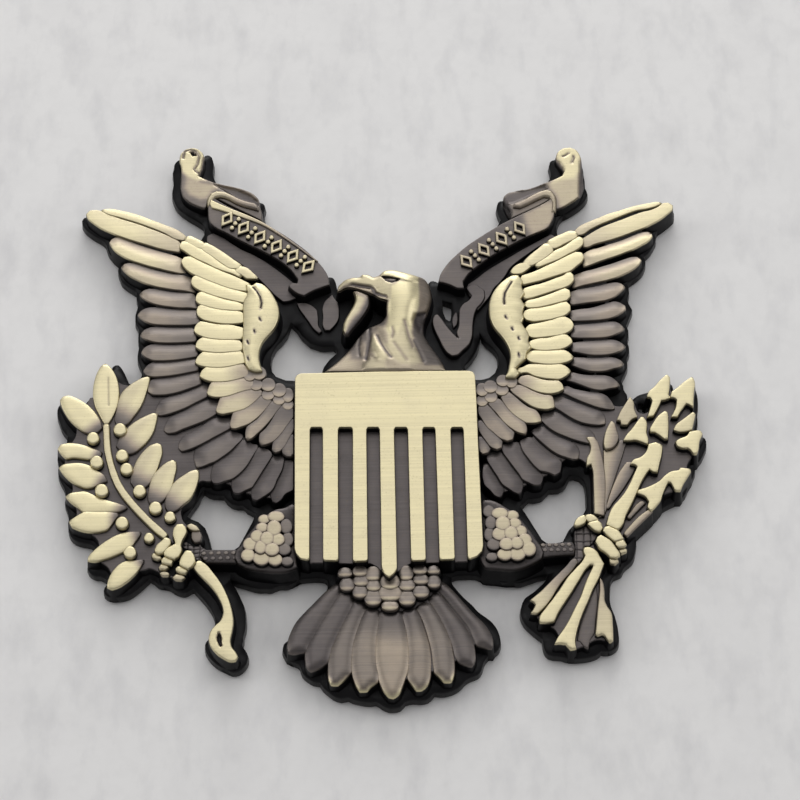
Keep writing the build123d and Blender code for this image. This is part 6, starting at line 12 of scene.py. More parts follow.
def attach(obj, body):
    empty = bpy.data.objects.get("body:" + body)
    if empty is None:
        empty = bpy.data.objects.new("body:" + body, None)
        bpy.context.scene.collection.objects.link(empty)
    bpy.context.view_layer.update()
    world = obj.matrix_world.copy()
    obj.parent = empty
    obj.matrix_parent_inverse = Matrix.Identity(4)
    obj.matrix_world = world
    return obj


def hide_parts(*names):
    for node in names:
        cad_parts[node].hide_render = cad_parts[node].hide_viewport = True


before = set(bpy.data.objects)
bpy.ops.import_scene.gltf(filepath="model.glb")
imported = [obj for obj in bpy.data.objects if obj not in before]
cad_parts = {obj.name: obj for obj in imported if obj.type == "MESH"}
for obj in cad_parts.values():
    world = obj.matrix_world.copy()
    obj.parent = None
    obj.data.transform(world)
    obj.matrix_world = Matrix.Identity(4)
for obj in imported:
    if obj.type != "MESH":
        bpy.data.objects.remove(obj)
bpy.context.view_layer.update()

# ---------------------------------------------------------------- design dimensions, mm
M = {"lwp00":[2.7,[[-19.3,23.82],[-19.6,24.14],[-20.2,24.66],[-21.5,25.33],[-22.99,26.01],[-24.49,26.69],[-25.99,27.14],[-26.98,27.37],[-27.77,27.3],[-27.16,26.87],[-25.96,26.45],[-24.47,25.9],[-22.97,25.25],[-21.48,24.51],[-20.28,23.75],[-19.69,23.62]]],
"lwp01":[2.7,[[-29.24,26.86],[-28.95,27.23],[-28.16,27.22],[-27.56,26.92],[-26.76,26.54],[-25.96,26.17],[-24.96,25.8],[-23.96,25.4],[-22.96,24.93],[-21.97,24.48],[-20.97,23.94],[-20.18,23.44],[-19.92,23.08],[-20.0,22.27],[-20.74,22.41],[-21.92,22.73],[-22.91,23.1],[-23.91,23.47],[-24.9,23.84],[-25.89,24.27],[-26.89,24.72],[-27.9,25.31],[-28.51,25.81],[-29.07,26.39]]],
"lwp02":[2.7,[[-26.8,23.54],[-26.62,23.88],[-26.28,24.05],[-25.89,24.04],[-25.29,23.75],[-24.39,23.28],[-23.4,22.85],[-22.41,22.48],[-21.42,22.11],[-20.43,21.74],[-19.84,21.46],[-19.58,20.88],[-19.32,20.02],[-19.9,19.97],[-20.88,20.17],[-21.87,20.48],[-22.85,20.79],[-23.84,21.16],[-24.83,21.58],[-25.63,22.06],[-26.33,22.69]]],
"lwp03":[2.7,[[-25.53,20.68],[-25.3,20.96],[-24.91,21.05],[-24.22,20.92],[-23.33,20.55],[-22.35,20.18],[-21.36,19.9],[-20.38,19.65],[-19.4,19.45],[-18.72,19.14],[-18.61,18.46],[-18.35,17.77],[-19.37,17.91],[-20.35,18.04],[-21.32,18.24],[-22.3,18.49],[-23.28,18.85],[-23.98,19.21],[-24.77,19.74],[-25.27,20.27]]],
"lwp04":[2.7,[[-23.64,17.55],[-23.4,17.83],[-22.97,18.02],[-22.39,18.02],[-21.51,17.81],[-20.63,17.63],[-19.66,17.54],[-18.58,17.38],[-18.33,16.75],[-18.12,15.89],[-18.85,15.97],[-19.82,15.99],[-20.79,16.13],[-21.76,16.32],[-22.54,16.59],[-23.13,16.97],[-23.48,17.32]]],
"lwp05":[2.7,[[-23.76,15.24],[-23.53,15.57],[-23.1,15.84],[-22.52,15.94],[-21.75,15.87],[-20.78,15.74],[-19.81,15.63],[-18.84,15.54],[-18.16,15.5],[-18.1,14.82],[-17.94,14.15],[-18.81,14.02],[-19.77,14.03],[-20.74,14.06],[-21.7,14.12],[-22.48,14.25],[-23.07,14.51],[-23.51,14.89]]],
"lwp06":[2.7,[[-23.45,12.99],[-23.22,13.34],[-22.75,13.64],[-22.18,13.74],[-21.21,13.68],[-20.24,13.61],[-19.28,13.59],[-18.51,13.57],[-18.35,12.93],[-18.29,12.15],[-19.25,12.1],[-20.21,12.08],[-21.17,12.1],[-22.04,12.19],[-22.72,12.4],[-23.21,12.71]]],
"lwp07":[2.7,[[-23.3,11.04],[-23.07,11.45],[-22.65,11.72],[-22.03,11.81],[-21.16,11.76],[-20.2,11.71],[-19.24,11.72],[-18.38,11.77],[-18.22,11.14],[-18.11,10.48],[-18.73,10.38],[-19.69,10.23],[-20.64,10.15],[-21.6,10.13],[-22.37,10.22],[-22.95,10.59]]],
"lwp08":[2.7,[[-23.05,8.99],[-22.82,9.37],[-22.45,9.73],[-21.88,9.86],[-21.12,9.85],[-20.16,9.93],[-19.21,10.07],[-18.16,10.22],[-18.05,9.59],[-18.04,8.93],[-18.89,8.76],[-19.65,8.61],[-20.6,8.46],[-21.56,8.38],[-22.32,8.39],[-22.8,8.6]]],
"lwp09":[2.7,[[-22.56,6.74],[-22.53,7.5],[-22.31,7.9],[-21.55,8.03],[-20.6,8.11],[-19.65,8.33],[-18.7,8.53],[-18.13,8.69],[-17.74,8.65],[-17.78,8.05],[-17.68,7.5],[-18.0,7.31],[-18.67,7.05],[-19.61,6.7],[-20.56,6.45],[-21.5,6.37],[-22.17,6.4]]],
"lwp10":[2.7,[[-21.79,4.39],[-21.66,5.03],[-21.39,5.59],[-20.73,5.97],[-19.79,6.24],[-18.85,6.54],[-18.09,6.91],[-17.43,7.17],[-16.95,7.1],[-17.04,6.56],[-17.13,6.01],[-17.69,5.7],[-18.44,5.29],[-19.19,4.87],[-20.04,4.51],[-20.79,4.26],[-21.45,4.19]]],
"lwp11":[2.7,[[-20.93,2.54],[-20.76,3.18],[-20.54,3.66],[-19.93,4.08],[-19.0,4.54],[-18.06,5.15],[-17.31,5.48],[-16.55,5.57],[-15.98,5.53],[-16.06,4.91],[-16.19,4.15],[-17.08,3.58],[-17.83,3.22],[-18.58,2.91],[-19.33,2.61],[-20.08,2.28],[-20.65,2.26]]],
"lwp12":[2.7,[[-19.52,0.64],[-19.44,1.17],[-19.17,1.64],[-18.57,2.03],[-17.82,2.47],[-17.07,3.07],[-16.52,3.51],[-15.95,3.63],[-15.38,3.54],[-14.81,3.53],[-14.85,2.99],[-14.85,2.56],[-15.74,2.04],[-16.48,1.61],[-17.23,1.15],[-17.98,0.74],[-18.63,0.46],[-19.28,0.31]]],
"lwp13":[2.7,[[-17.99,-0.78],[-18.05,-0.14],[-17.97,0.25],[-17.32,0.78],[-16.57,1.24],[-15.83,1.69],[-15.27,2.09],[-14.7,2.29],[-14.23,2.01],[-13.66,1.78],[-13.8,1.36],[-14.12,0.97],[-14.68,0.31],[-15.14,-0.12],[-15.7,-0.54],[-16.26,-0.93],[-16.81,-1.16],[-17.37,-1.38],[-17.79,-1.47]]],
"lwp14":[2.7,[[-16.32,-2.93],[-16.38,-1.98],[-16.22,-1.35],[-15.69,-0.94],[-15.14,-0.47],[-14.58,0.04],[-14.21,0.51],[-13.84,1.04],[-13.51,1.3],[-13.09,0.97],[-12.61,0.69],[-12.19,0.63],[-12.51,0.05],[-12.88,-0.69],[-13.34,-1.52],[-13.99,-2.3],[-14.64,-2.81],[-15.29,-2.98],[-15.94,-3.15],[-16.22,-3.11]]],
"lwp15":[2.7,[[-14.47,-3.5],[-14.45,-2.87],[-13.8,-2.28],[-13.16,-1.35],[-12.7,-0.51],[-12.23,0.22],[-11.95,0.46],[-11.57,0.19],[-11.1,-0.14],[-10.91,-0.46],[-11.29,-1.15],[-11.75,-1.93],[-12.3,-2.92],[-12.76,-3.74],[-13.41,-4.04],[-13.97,-4.24],[-14.29,-4.16]]],
"lwp16":[2.7,[[-12.62,-4.38],[-12.57,-3.75],[-12.11,-2.95],[-11.56,-1.91],[-11.19,-0.97],[-10.91,-0.46],[-10.54,-0.6],[-9.97,-0.51],[-9.79,-0.86],[-9.97,-1.91],[-10.43,-2.96],[-10.99,-4.2],[-11.54,-4.64],[-12.19,-5.01],[-12.5,-4.9]]],
"lwp17":[2.7,[[-10.84,-4.52],[-10.43,-3.3],[-9.97,-2.16],[-9.69,-1.13],[-8.94,-1.15],[-8.94,-2.67],[-8.94,-4.14],[-9.68,-4.55],[-10.05,-5.06],[-10.42,-5.31],[-10.65,-5.15]]],
"lwc00":[3.1,[[-19.36,23.57],[-18.97,23.7],[-18.28,23.29],[-17.68,22.87],[-17.53,22.48],[-17.87,22.43],[-18.07,22.49],[-18.76,22.92],[-19.26,23.24]]],
"lwc01":[3.1,[[-17.82,22.61],[-17.49,22.91],[-16.79,22.49],[-16.0,21.91],[-15.21,21.25],[-14.42,20.59],[-13.93,20.21],[-14.08,20.05],[-15.0,20.11],[-15.59,20.54],[-16.28,21.11],[-16.98,21.72],[-17.47,22.08]]],
"lwc02":[3.1,[[-14.46,19.86],[-14.03,20.07],[-13.44,19.89],[-12.85,19.31],[-12.41,18.84],[-13.33,18.89],[-13.87,19.36],[-14.31,19.63]]],
"lwc03":[3.1,[[-19.83,22.71],[-19.69,23.06],[-19.25,23.14],[-18.56,22.76],[-17.86,22.2],[-17.27,21.76],[-16.77,21.29],[-16.18,20.67],[-15.59,20.2],[-15.0,19.85],[-14.51,19.69],[-13.92,19.22],[-14.02,19.09],[-14.8,19.52],[-15.58,19.82],[-16.47,20.24],[-17.35,20.78],[-18.14,21.2],[-18.83,21.67],[-19.43,22.18],[-19.73,22.42]]],
"lwc04":[3.1,[[-19.65,20.92],[-19.41,21.26],[-18.92,21.31],[-18.23,20.87],[-17.44,20.41],[-16.66,19.99],[-15.77,19.49],[-14.99,19.13],[-14.21,18.71],[-13.62,18.36],[-13.13,18.08],[-13.32,17.44],[-14.0,17.56],[-14.78,17.75],[-15.56,18.05],[-16.34,18.41],[-17.12,18.77],[-17.91,19.19],[-18.55,19.52],[-19.09,19.97],[-19.44,20.46]]],
"lwc05":[3.1,[[-18.62,18.55],[-18.54,18.97],[-18.25,19.14],[-17.71,18.84],[-16.92,18.43],[-16.14,18.06],[-15.36,17.72],[-14.58,17.41],[-13.9,17.17],[-13.31,16.99],[-13.21,16.56],[-13.69,16.17],[-14.37,16.36],[-15.15,16.58],[-15.93,16.82],[-16.71,17.12],[-17.39,17.42],[-17.88,17.66],[-18.27,17.95],[-18.52,18.25]]],
"lwc06":[3.1,[[-18.15,16.61],[-18.02,17.12],[-17.68,17.26],[-17.29,17.06],[-16.61,16.77],[-15.83,16.45],[-15.05,16.2],[-14.27,15.99],[-13.79,15.76],[-13.69,15.3],[-14.36,15.29],[-15.13,15.37],[-15.91,15.48],[-16.68,15.67],[-17.36,15.91],[-17.85,16.1],[-18.05,16.33]]],
"lwc07":[3.1,[[-18.03,15.15],[-17.94,15.65],[-17.65,15.81],[-17.16,15.58],[-16.49,15.35],[-15.71,15.17],[-14.94,15.05],[-14.16,14.98],[-13.68,14.74],[-13.58,14.26],[-13.77,13.89],[-14.63,13.83],[-15.4,13.85],[-16.18,13.96],[-16.95,14.16],[-17.53,14.39],[-17.87,14.73]]],
"lwc08":[3.1,[[-18.25,13.08],[-18.09,13.58],[-17.76,13.92],[-17.23,13.79],[-16.46,13.59],[-15.69,13.49],[-14.92,13.45],[-14.14,13.23],[-13.56,13.03],[-13.75,12.11],[-14.71,12.07],[-15.47,12.09],[-16.24,12.15],[-17.01,12.28],[-17.59,12.5],[-17.98,12.71]]],
"lwc09":[3.1,[[-18.07,11.3],[-17.92,11.79],[-17.54,12.12],[-16.91,11.97],[-16.14,11.85],[-15.37,11.81],[-14.61,11.79],[-14.03,11.67],[-13.74,11.25],[-13.83,10.78],[-14.79,10.71],[-15.55,10.65],[-16.32,10.67],[-17.08,10.78],[-17.66,10.93]]],
"lwc10":[3.1,[[-18.07,9.59],[-17.84,10.08],[-17.46,10.51],[-16.89,10.43],[-16.12,10.37],[-15.35,10.37],[-14.59,10.46],[-13.92,10.5],[-13.44,10.03],[-13.43,9.45],[-14.19,9.28],[-14.96,9.1],[-15.72,9.01],[-16.48,9.03],[-17.25,9.14],[-17.82,9.33]]],
"lwc11":[3.1,[[-17.61,8.04],[-17.43,8.51],[-17.1,8.83],[-16.48,8.75],[-15.71,8.73],[-14.95,8.82],[-14.19,9.02],[-13.62,9.06],[-13.28,8.63],[-13.23,7.97],[-13.89,7.75],[-14.65,7.55],[-15.41,7.44],[-16.17,7.44],[-16.84,7.56],[-17.32,7.78]]],
"lwc12":[3.1,[[-16.88,6.22],[-16.73,6.71],[-16.55,7.15],[-15.97,7.15],[-15.21,7.18],[-14.46,7.33],[-13.7,7.51],[-13.13,7.52],[-12.74,7.19],[-12.5,6.72],[-12.83,6.54],[-13.49,6.39],[-14.25,6.14],[-15.01,5.88],[-15.77,5.77],[-16.43,5.83],[-16.76,5.97]]],
"lwc13":[3.1,[[-16.0,4.3],[-15.85,4.84],[-15.66,5.47],[-15.0,5.6],[-14.25,5.86],[-13.59,6.11],[-12.93,6.33],[-12.36,6.41],[-11.97,6.2],[-11.83,6.0],[-12.25,5.49],[-12.82,4.91],[-13.47,4.44],[-14.23,4.19],[-14.98,4.02],[-15.55,3.94],[-15.88,4.05]]],
"lwc14":[3.1,[[-14.63,2.66],[-14.55,3.3],[-14.41,3.85],[-13.85,4.06],[-13.19,4.37],[-12.63,4.79],[-12.16,5.27],[-11.78,5.64],[-11.4,5.44],[-10.97,5.2],[-11.3,4.66],[-11.86,3.92],[-12.52,3.23],[-13.17,2.76],[-13.83,2.5],[-14.39,2.35],[-14.58,2.41]]],
"lwc15":[3.1,[[-13.16,1.24],[-13.17,1.98],[-13.08,2.3],[-12.7,2.64],[-12.14,3.11],[-11.58,3.85],[-11.11,4.65],[-10.83,4.96],[-10.36,4.88],[-9.98,4.74],[-10.45,4.09],[-11.01,3.25],[-11.66,2.41],[-12.32,1.72],[-12.88,1.2],[-13.08,1.14]]],
"lwc16":[3.1,[[-11.84,0.73],[-11.89,1.26],[-11.85,1.55],[-11.38,2.02],[-10.82,2.86],[-10.35,3.82],[-9.93,4.6],[-9.6,4.54],[-8.93,4.14],[-8.93,3.33],[-9.59,2.36],[-10.15,1.52],[-10.81,0.83],[-11.46,0.58],[-11.74,0.53]]],
"lwc17":[3.1,[[-10.66,0.17],[-10.59,0.68],[-10.15,1.14],[-9.59,2.08],[-8.93,3.12],[-8.93,1.89],[-9.3,1.15],[-9.77,0.23],[-10.14,-0.2],[-10.47,-0.29],[-10.63,-0.1]]],
"lwc18":[3.1,[[-9.77,-0.01],[-9.4,0.7],[-8.93,1.46],[-8.93,-0.77],[-9.39,-0.71],[-9.68,-0.44]]],
"lwsh":[3.6,[[-13.39,17.9],[-12.81,17.74],[-12.42,18.05],[-11.84,17.86],[-11.26,17.28],[-10.77,16.48],[-10.38,15.57],[-10.25,14.67],[-10.37,13.77],[-10.75,12.89],[-11.23,12.23],[-11.8,11.47],[-12.08,10.7],[-12.16,9.82],[-12.06,9.05],[-11.82,8.28],[-12.34,8.23],[-12.96,8.47],[-13.3,9.08],[-13.45,9.85],[-13.61,10.96],[-13.58,12.62],[-13.55,14.29],[-13.56,15.98],[-13.19,16.99]]],
"rwp00":[2.7,[[18.7,23.62],[19.32,24.24],[20.33,24.77],[21.34,25.22],[22.34,25.65],[23.35,25.96],[24.35,26.32],[25.36,26.59],[26.36,26.79],[27.05,26.89],[27.44,26.82],[26.83,26.5],[25.83,26.22],[25.13,26.11],[24.33,25.85],[23.32,25.41],[22.3,24.96],[21.3,24.52],[20.29,23.96],[19.37,23.34],[19.02,23.28]]],
"rwp01":[2.7,[[19.54,22.78],[20.45,23.42],[21.47,24.04],[22.48,24.49],[23.48,24.88],[24.49,25.32],[25.5,25.71],[26.5,25.98],[27.21,26.34],[27.68,26.74],[28.13,26.78],[28.51,26.48],[28.43,26.01],[27.85,25.46],[27.23,24.95],[26.41,24.45],[25.69,24.06],[24.69,23.67],[23.68,23.24],[22.68,22.86],[21.68,22.54],[20.69,22.26],[19.79,21.93],[19.5,21.98],[19.47,22.38]]],
"rwp02":[2.7,[[19.55,21.05],[20.16,21.44],[21.15,21.73],[22.15,22.11],[23.14,22.43],[24.15,22.87],[25.16,23.31],[25.75,23.45],[26.19,23.35],[26.22,23.0],[25.9,22.57],[25.28,22.13],[24.47,21.65],[23.67,21.32],[22.77,20.94],[21.87,20.62],[20.87,20.25],[20.08,19.92],[19.53,19.73],[19.5,20.19],[19.48,20.65]]],
"rwp03":[2.7,[[18.45,18.61],[19.45,19.01],[20.43,19.27],[21.42,19.59],[22.42,19.91],[23.41,20.29],[24.21,20.56],[24.7,20.58],[24.97,20.23],[24.65,19.72],[24.03,19.19],[23.33,18.8],[22.53,18.43],[21.64,18.16],[20.75,17.95],[19.87,17.75],[18.98,17.54],[18.39,17.39],[18.27,17.93]]],
"rwp04":[2.7,[[18.07,16.74],[18.96,17.02],[19.93,17.18],[20.92,17.38],[21.7,17.59],[22.49,17.7],[22.92,17.59],[23.19,17.28],[22.82,16.8],[22.11,16.17],[21.42,15.89],[20.54,15.75],[19.66,15.64],[18.79,15.52],[18.1,15.42],[17.99,16.01]]],
"rwp05":[2.7,[[17.97,14.6],[18.84,14.76],[19.82,14.86],[20.8,15.12],[21.58,15.38],[22.17,15.55],[22.65,15.43],[23.11,15.1],[23.14,14.78],[22.79,14.43],[22.28,14.08],[21.59,13.82],[20.72,13.69],[19.75,13.63],[18.79,13.61],[18.11,13.62],[17.94,14.1]]],
"rwp06":[2.7,[[18.18,12.97],[19.05,13.05],[20.01,13.12],[20.89,13.24],[21.66,13.31],[22.23,13.24],[22.61,12.98],[22.87,12.6],[22.57,12.31],[21.97,11.97],[21.29,11.76],[20.42,11.69],[19.46,11.69],[18.5,11.71],[17.93,11.78],[18.05,12.41]]],
"rwp07":[2.7,[[17.89,11.03],[18.85,11.13],[19.82,11.19],[20.68,11.25],[21.45,11.3],[22.12,11.19],[22.58,10.9],[22.86,10.63],[22.55,10.28],[21.95,9.97],[21.18,9.81],[20.32,9.77],[19.36,9.86],[18.61,10.05],[18.04,10.19],[17.78,10.64]]],
"rwp08":[2.7,[[18.0,9.42],[18.96,9.36],[19.81,9.29],[20.68,9.33],[21.44,9.36],[21.91,9.25],[22.38,8.99],[22.6,8.73],[22.25,8.41],[21.57,8.21],[20.89,8.01],[20.03,7.98],[19.18,8.11],[18.43,8.4],[17.78,8.77],[17.9,9.2]]],
"rwp09":[2.7,[[17.18,7.13],[17.49,7.73],[17.83,7.74],[18.48,7.55],[19.34,7.43],[20.19,7.41],[20.95,7.34],[21.42,7.14],[21.78,6.81],[22.07,6.43],[21.75,6.23],[21.17,6.08],[20.49,5.94],[19.65,6.07],[18.81,6.42],[17.97,6.81]]],
"rwp10":[2.7,[[16.73,5.73],[16.8,6.27],[17.18,6.28],[17.74,6.0],[18.59,5.76],[19.43,5.58],[20.18,5.49],[20.74,5.23],[21.18,4.65],[21.47,3.9],[20.86,3.88],[20.11,4.05],[19.27,4.4],[18.44,4.8],[17.7,5.19],[17.06,5.58]]],
"rwp11":[2.7,[[15.9,4.17],[15.93,4.77],[16.13,5.11],[16.56,5.19],[17.3,4.81],[18.14,4.41],[18.97,4.07],[19.71,3.73],[20.27,3.48],[20.48,3.04],[20.49,2.29],[20.01,2.17],[19.35,2.24],[18.61,2.42],[17.78,2.81],[16.95,3.41],[16.22,3.97]]],
"rwp12":[2.7,[[14.75,2.64],[14.73,3.34],[15.26,3.52],[16.06,3.47],[16.93,2.82],[17.75,2.27],[18.48,1.87],[19.12,1.44],[19.42,0.92],[19.44,0.39],[19.06,0.27],[18.41,0.39],[17.58,0.68],[16.75,1.07],[15.92,1.51],[15.2,2.11]]],
"rwp13":[2.7,[[13.71,1.59],[14.24,1.88],[14.76,1.96],[15.44,1.3],[16.26,0.75],[17.0,0.41],[17.55,0.14],[17.85,-0.43],[17.76,-1.38],[17.38,-1.39],[16.83,-1.22],[16.18,-0.94],[15.55,-0.5],[14.92,0.1],[14.38,0.69],[13.93,1.26]]],
"rwp14":[2.7,[[12.59,0.49],[13.07,0.77],[13.5,0.92],[13.98,0.16],[14.61,-0.55],[15.24,-1.13],[15.79,-1.46],[16.2,-1.56],[16.13,-2.08],[16.01,-2.71],[15.62,-3.0],[15.26,-2.83],[14.7,-2.66],[14.33,-2.6],[13.89,-2.12],[13.36,-1.35],[12.83,-0.44]]],
"rwp15":[2.7,[[10.78,-0.05],[11.26,0.15],[11.83,0.35],[12.25,0.36],[12.56,-0.23],[12.99,-1.09],[13.52,-1.95],[14.14,-2.81],[14.4,-3.2],[14.29,-3.62],[14.13,-3.96],[13.71,-4.01],[13.16,-3.78],[12.71,-3.5],[12.45,-3.02],[11.92,-2.17],[11.39,-1.31],[10.95,-0.56]]],
"rwp16":[2.7,[[9.43,-0.98],[9.91,-0.64],[10.62,-0.66],[10.84,-1.04],[11.28,-1.79],[11.72,-2.54],[12.16,-3.13],[12.51,-3.69],[12.39,-4.42],[12.23,-4.9],[11.82,-4.74],[11.28,-4.36],[10.82,-3.98],[10.39,-3.19],[9.86,-2.23],[9.47,-1.4]]],
"rwp17":[2.7,[[9.08,-1.82],[9.31,-1.77],[9.75,-2.6],[10.28,-3.67],[10.71,-4.48],[10.41,-5.19],[10.13,-5.12],[9.59,-4.53],[9.14,-4.03],[9.02,-3.61]]],
"rwc00":[3.1,[[16.07,22.27],[16.87,22.74],[17.57,23.07],[18.27,23.38],[18.67,23.36],[18.92,23.07],[18.73,22.76],[18.13,22.43],[17.43,22.04],[16.83,21.7],[16.43,21.62]]],
"rwc01":[3.1,[[13.63,19.91],[14.24,20.6],[15.05,21.33],[15.87,22.07],[16.33,21.54],[16.42,21.28],[16.01,20.86],[15.3,20.3],[14.8,19.97],[14.3,19.7]]],
"rwc02":[3.1,[[14.79,19.74],[15.29,20.07],[16.09,20.57],[16.8,21.18],[17.5,21.52],[18.21,22.02],[18.82,22.52],[19.12,22.69],[19.41,22.48],[19.33,22.02],[18.97,21.59],[18.57,21.31],[17.96,20.98],[17.16,20.49],[16.36,20.11],[15.57,19.78],[14.98,19.53]]],
"rwc03":[3.1,[[13.47,18.39],[14.16,18.6],[15.05,18.98],[15.75,19.36],[16.54,19.75],[17.34,20.19],[18.14,20.63],[18.74,20.93],[19.23,20.86],[19.35,20.46],[19.08,19.95],[18.57,19.5],[18.07,19.04],[17.37,18.77],[16.58,18.5],[15.79,18.23],[15.01,17.97],[14.22,17.76],[13.44,17.57],[13.26,17.98]]],
"rwc04":[3.1,[[13.61,16.92],[14.39,17.18],[15.18,17.38],[15.96,17.67],[16.75,18.0],[17.55,18.35],[17.95,18.72],[18.23,18.4],[18.25,17.91],[17.89,17.43],[17.3,17.12],[16.51,16.88],[15.72,16.59],[14.94,16.32],[14.15,16.06],[13.57,15.96],[13.39,16.44]]],
"rwc05":[3.1,[[13.84,15.5],[14.62,15.7],[15.4,15.96],[16.19,16.26],[16.98,16.61],[17.48,16.82],[17.8,16.6],[17.83,16.11],[17.52,15.7],[16.83,15.49],[16.05,15.28],[15.27,15.08],[14.49,14.96],[13.82,14.94],[13.54,15.25]]],
"rwc06":[3.1,[[13.6,14.41],[13.99,14.57],[14.77,14.63],[15.55,14.78],[16.33,14.96],[17.01,15.19],[17.5,15.29],[17.77,14.96],[17.75,14.48],[17.34,14.06],[16.66,13.81],[15.88,13.6],[15.01,13.48],[14.24,13.42],[13.66,13.59],[13.39,14.02]]],
"rwc07":[3.1,[[13.92,12.81],[14.7,12.95],[15.47,13.12],[16.25,13.33],[16.84,13.57],[17.32,13.61],[17.79,13.28],[17.99,12.79],[17.74,12.32],[17.25,12.01],[16.47,11.8],[15.7,11.71],[14.83,11.62],[14.07,11.64],[13.6,11.97],[13.62,12.51]]],
"rwc08":[3.1,[[14.14,11.08],[14.82,11.24],[15.59,11.29],[16.36,11.5],[16.94,11.67],[17.32,11.62],[17.69,11.24],[17.77,10.93],[17.37,10.55],[16.79,10.3],[16.02,10.21],[15.25,10.17],[14.58,10.24],[13.92,10.48],[13.75,10.84]]],
"rwc09":[3.1,[[13.61,9.82],[14.19,9.91],[14.95,9.89],[15.71,9.87],[16.48,9.91],[17.05,9.9],[17.42,9.68],[17.79,9.27],[17.48,8.95],[16.9,8.75],[16.14,8.64],[15.28,8.66],[14.52,8.78],[13.86,8.96],[13.49,9.29]]],
"rwc10":[3.1,[[13.06,8.13],[13.55,8.38],[14.31,8.42],[15.07,8.35],[15.84,8.33],[16.6,8.37],[17.07,8.15],[17.46,7.74],[17.12,7.37],[16.54,7.01],[15.78,7.03],[14.93,7.16],[14.18,7.39],[13.52,7.74],[13.15,7.79],[12.76,7.69],[12.58,8.0]]],
"rwc11":[3.1,[[12.58,6.79],[12.93,7.14],[13.5,7.23],[14.25,6.94],[15.0,6.68],[15.76,6.58],[16.33,6.58],[16.6,6.27],[16.7,5.83],[16.28,5.59],[15.71,5.45],[15.04,5.49],[14.29,5.7],[13.55,6.1],[12.9,6.44]]],
"rwc12":[3.1,[[11.84,5.97],[12.23,6.23],[12.89,6.1],[13.63,5.65],[14.37,5.25],[15.12,5.03],[15.59,5.02],[15.71,4.55],[15.73,3.92],[15.25,3.75],[14.59,3.8],[13.94,4.03],[13.3,4.48],[12.66,5.03],[12.11,5.55]]],
"rwc13":[3.1,[[11.0,4.98],[11.24,5.23],[11.63,5.42],[12.18,4.87],[12.81,4.21],[13.46,3.71],[14.01,3.44],[14.32,2.96],[14.44,2.45],[13.96,2.31],[13.21,2.32],[12.57,2.77],[11.93,3.38],[11.39,4.14]]],
"rwc14":[3.1,[[9.7,4.42],[10.38,4.8],[10.7,4.67],[11.11,4.08],[11.65,3.37],[12.28,2.71],[12.92,2.17],[13.04,1.71],[12.97,1.15],[12.42,1.32],[11.78,1.77],[11.14,2.42],[10.51,3.35],[9.97,4.03]]],
"rwc15":[3.1,[[8.79,3.95],[9.32,4.29],[9.77,3.79],[10.31,3.02],[10.86,2.37],[11.4,1.66],[11.85,1.2],[11.69,0.58],[11.26,0.45],[10.7,0.72],[10.16,1.27],[9.52,1.93],[9.08,2.76],[8.77,3.42]]],
"rwc16":[3.1,[[8.74,2.56],[9.24,1.98],[9.78,1.27],[10.33,0.67],[10.69,0.27],[10.62,-0.26],[10.29,-0.44],[9.83,-0.21],[9.38,0.43],[8.93,1.19],[8.71,1.7]]],
"rwc17":[3.1,[[8.73,0.84],[9.18,0.16],[9.54,-0.45],[9.34,-0.77],[8.96,-0.89],[8.73,-0.65]]],
"rwcx":[3.1,[[12.33,18.96],[12.73,19.47],[13.23,19.78],[13.82,19.86],[14.25,19.55],[13.79,19.12],[13.19,18.75],[12.51,18.73]]],
"rwsh":[3.6,[[11.99,18.04],[12.38,18.26],[12.97,18.3],[13.33,17.72],[13.21,17.16],[13.47,16.36],[13.06,15.69],[13.42,15.01],[13.19,14.12],[13.26,13.56],[13.05,13.0],[13.32,12.44],[13.67,11.77],[13.64,10.88],[13.9,10.27],[13.4,9.78],[13.27,9.01],[12.68,8.48],[12.29,8.05],[12.64,7.49],[12.24,7.01],[11.39,7.08],[11.65,7.62],[11.82,8.39],[11.95,9.15],[11.93,9.92],[11.63,10.81],[11.18,11.6],[10.63,12.39],[10.23,13.4],[10.12,14.41],[10.19,15.42],[10.48,16.32],[10.89,16.99],[11.49,17.65]]],
"head":[4.6,[[-4.56,16.12],[-4.51,16.62],[-4.17,17.12],[-3.68,17.51],[-3.1,17.69],[-2.33,17.78],[-2.13,18.0],[-1.65,17.99],[-1.08,17.67],[-0.49,17.89],[-0.01,18.33],[0.77,18.45],[1.54,18.26],[2.31,18.01],[3.17,17.71],[3.84,17.39],[4.26,16.81],[4.48,16.08],[4.54,15.29],[4.35,14.29],[4.04,13.4],[3.78,12.63],[3.7,11.19],[4.06,10.3],[4.61,9.35],[5.25,8.29],[5.74,7.12],[1.34,7.13],[-3.48,7.21],[-5.84,7.26],[-4.99,7.99],[-4.23,8.73],[-3.56,9.48],[-3.17,10.03],[-2.78,10.68],[-2.21,11.38],[-1.63,11.98],[-0.86,12.29],[-0.28,12.66],[0.11,13.27],[0.17,14.16],[0.23,15.05],[-0.43,15.29],[-1.0,15.7],[-1.77,16.05],[-2.54,16.41],[-3.3,16.6],[-3.88,16.5],[-4.27,16.23]]],
"tongue":[3.6,[[-3.04,16.86],[-2.75,16.91],[-2.17,16.73],[-1.5,16.37],[-1.41,15.81],[-1.51,15.13],[-1.81,14.47],[-2.3,13.7],[-2.79,13.04],[-3.27,12.38],[-3.56,11.94],[-3.85,11.95],[-4.04,12.4],[-4.03,13.07],[-3.83,13.73],[-3.44,14.51],[-3.05,15.28],[-2.85,15.95],[-2.9,16.52]]],
"eye":[4.9,[[-0.3,17.47],[0.28,17.54],[0.95,17.46],[1.52,17.17],[1.23,16.93],[0.65,16.77],[0.17,16.87],[-0.21,17.19]]],
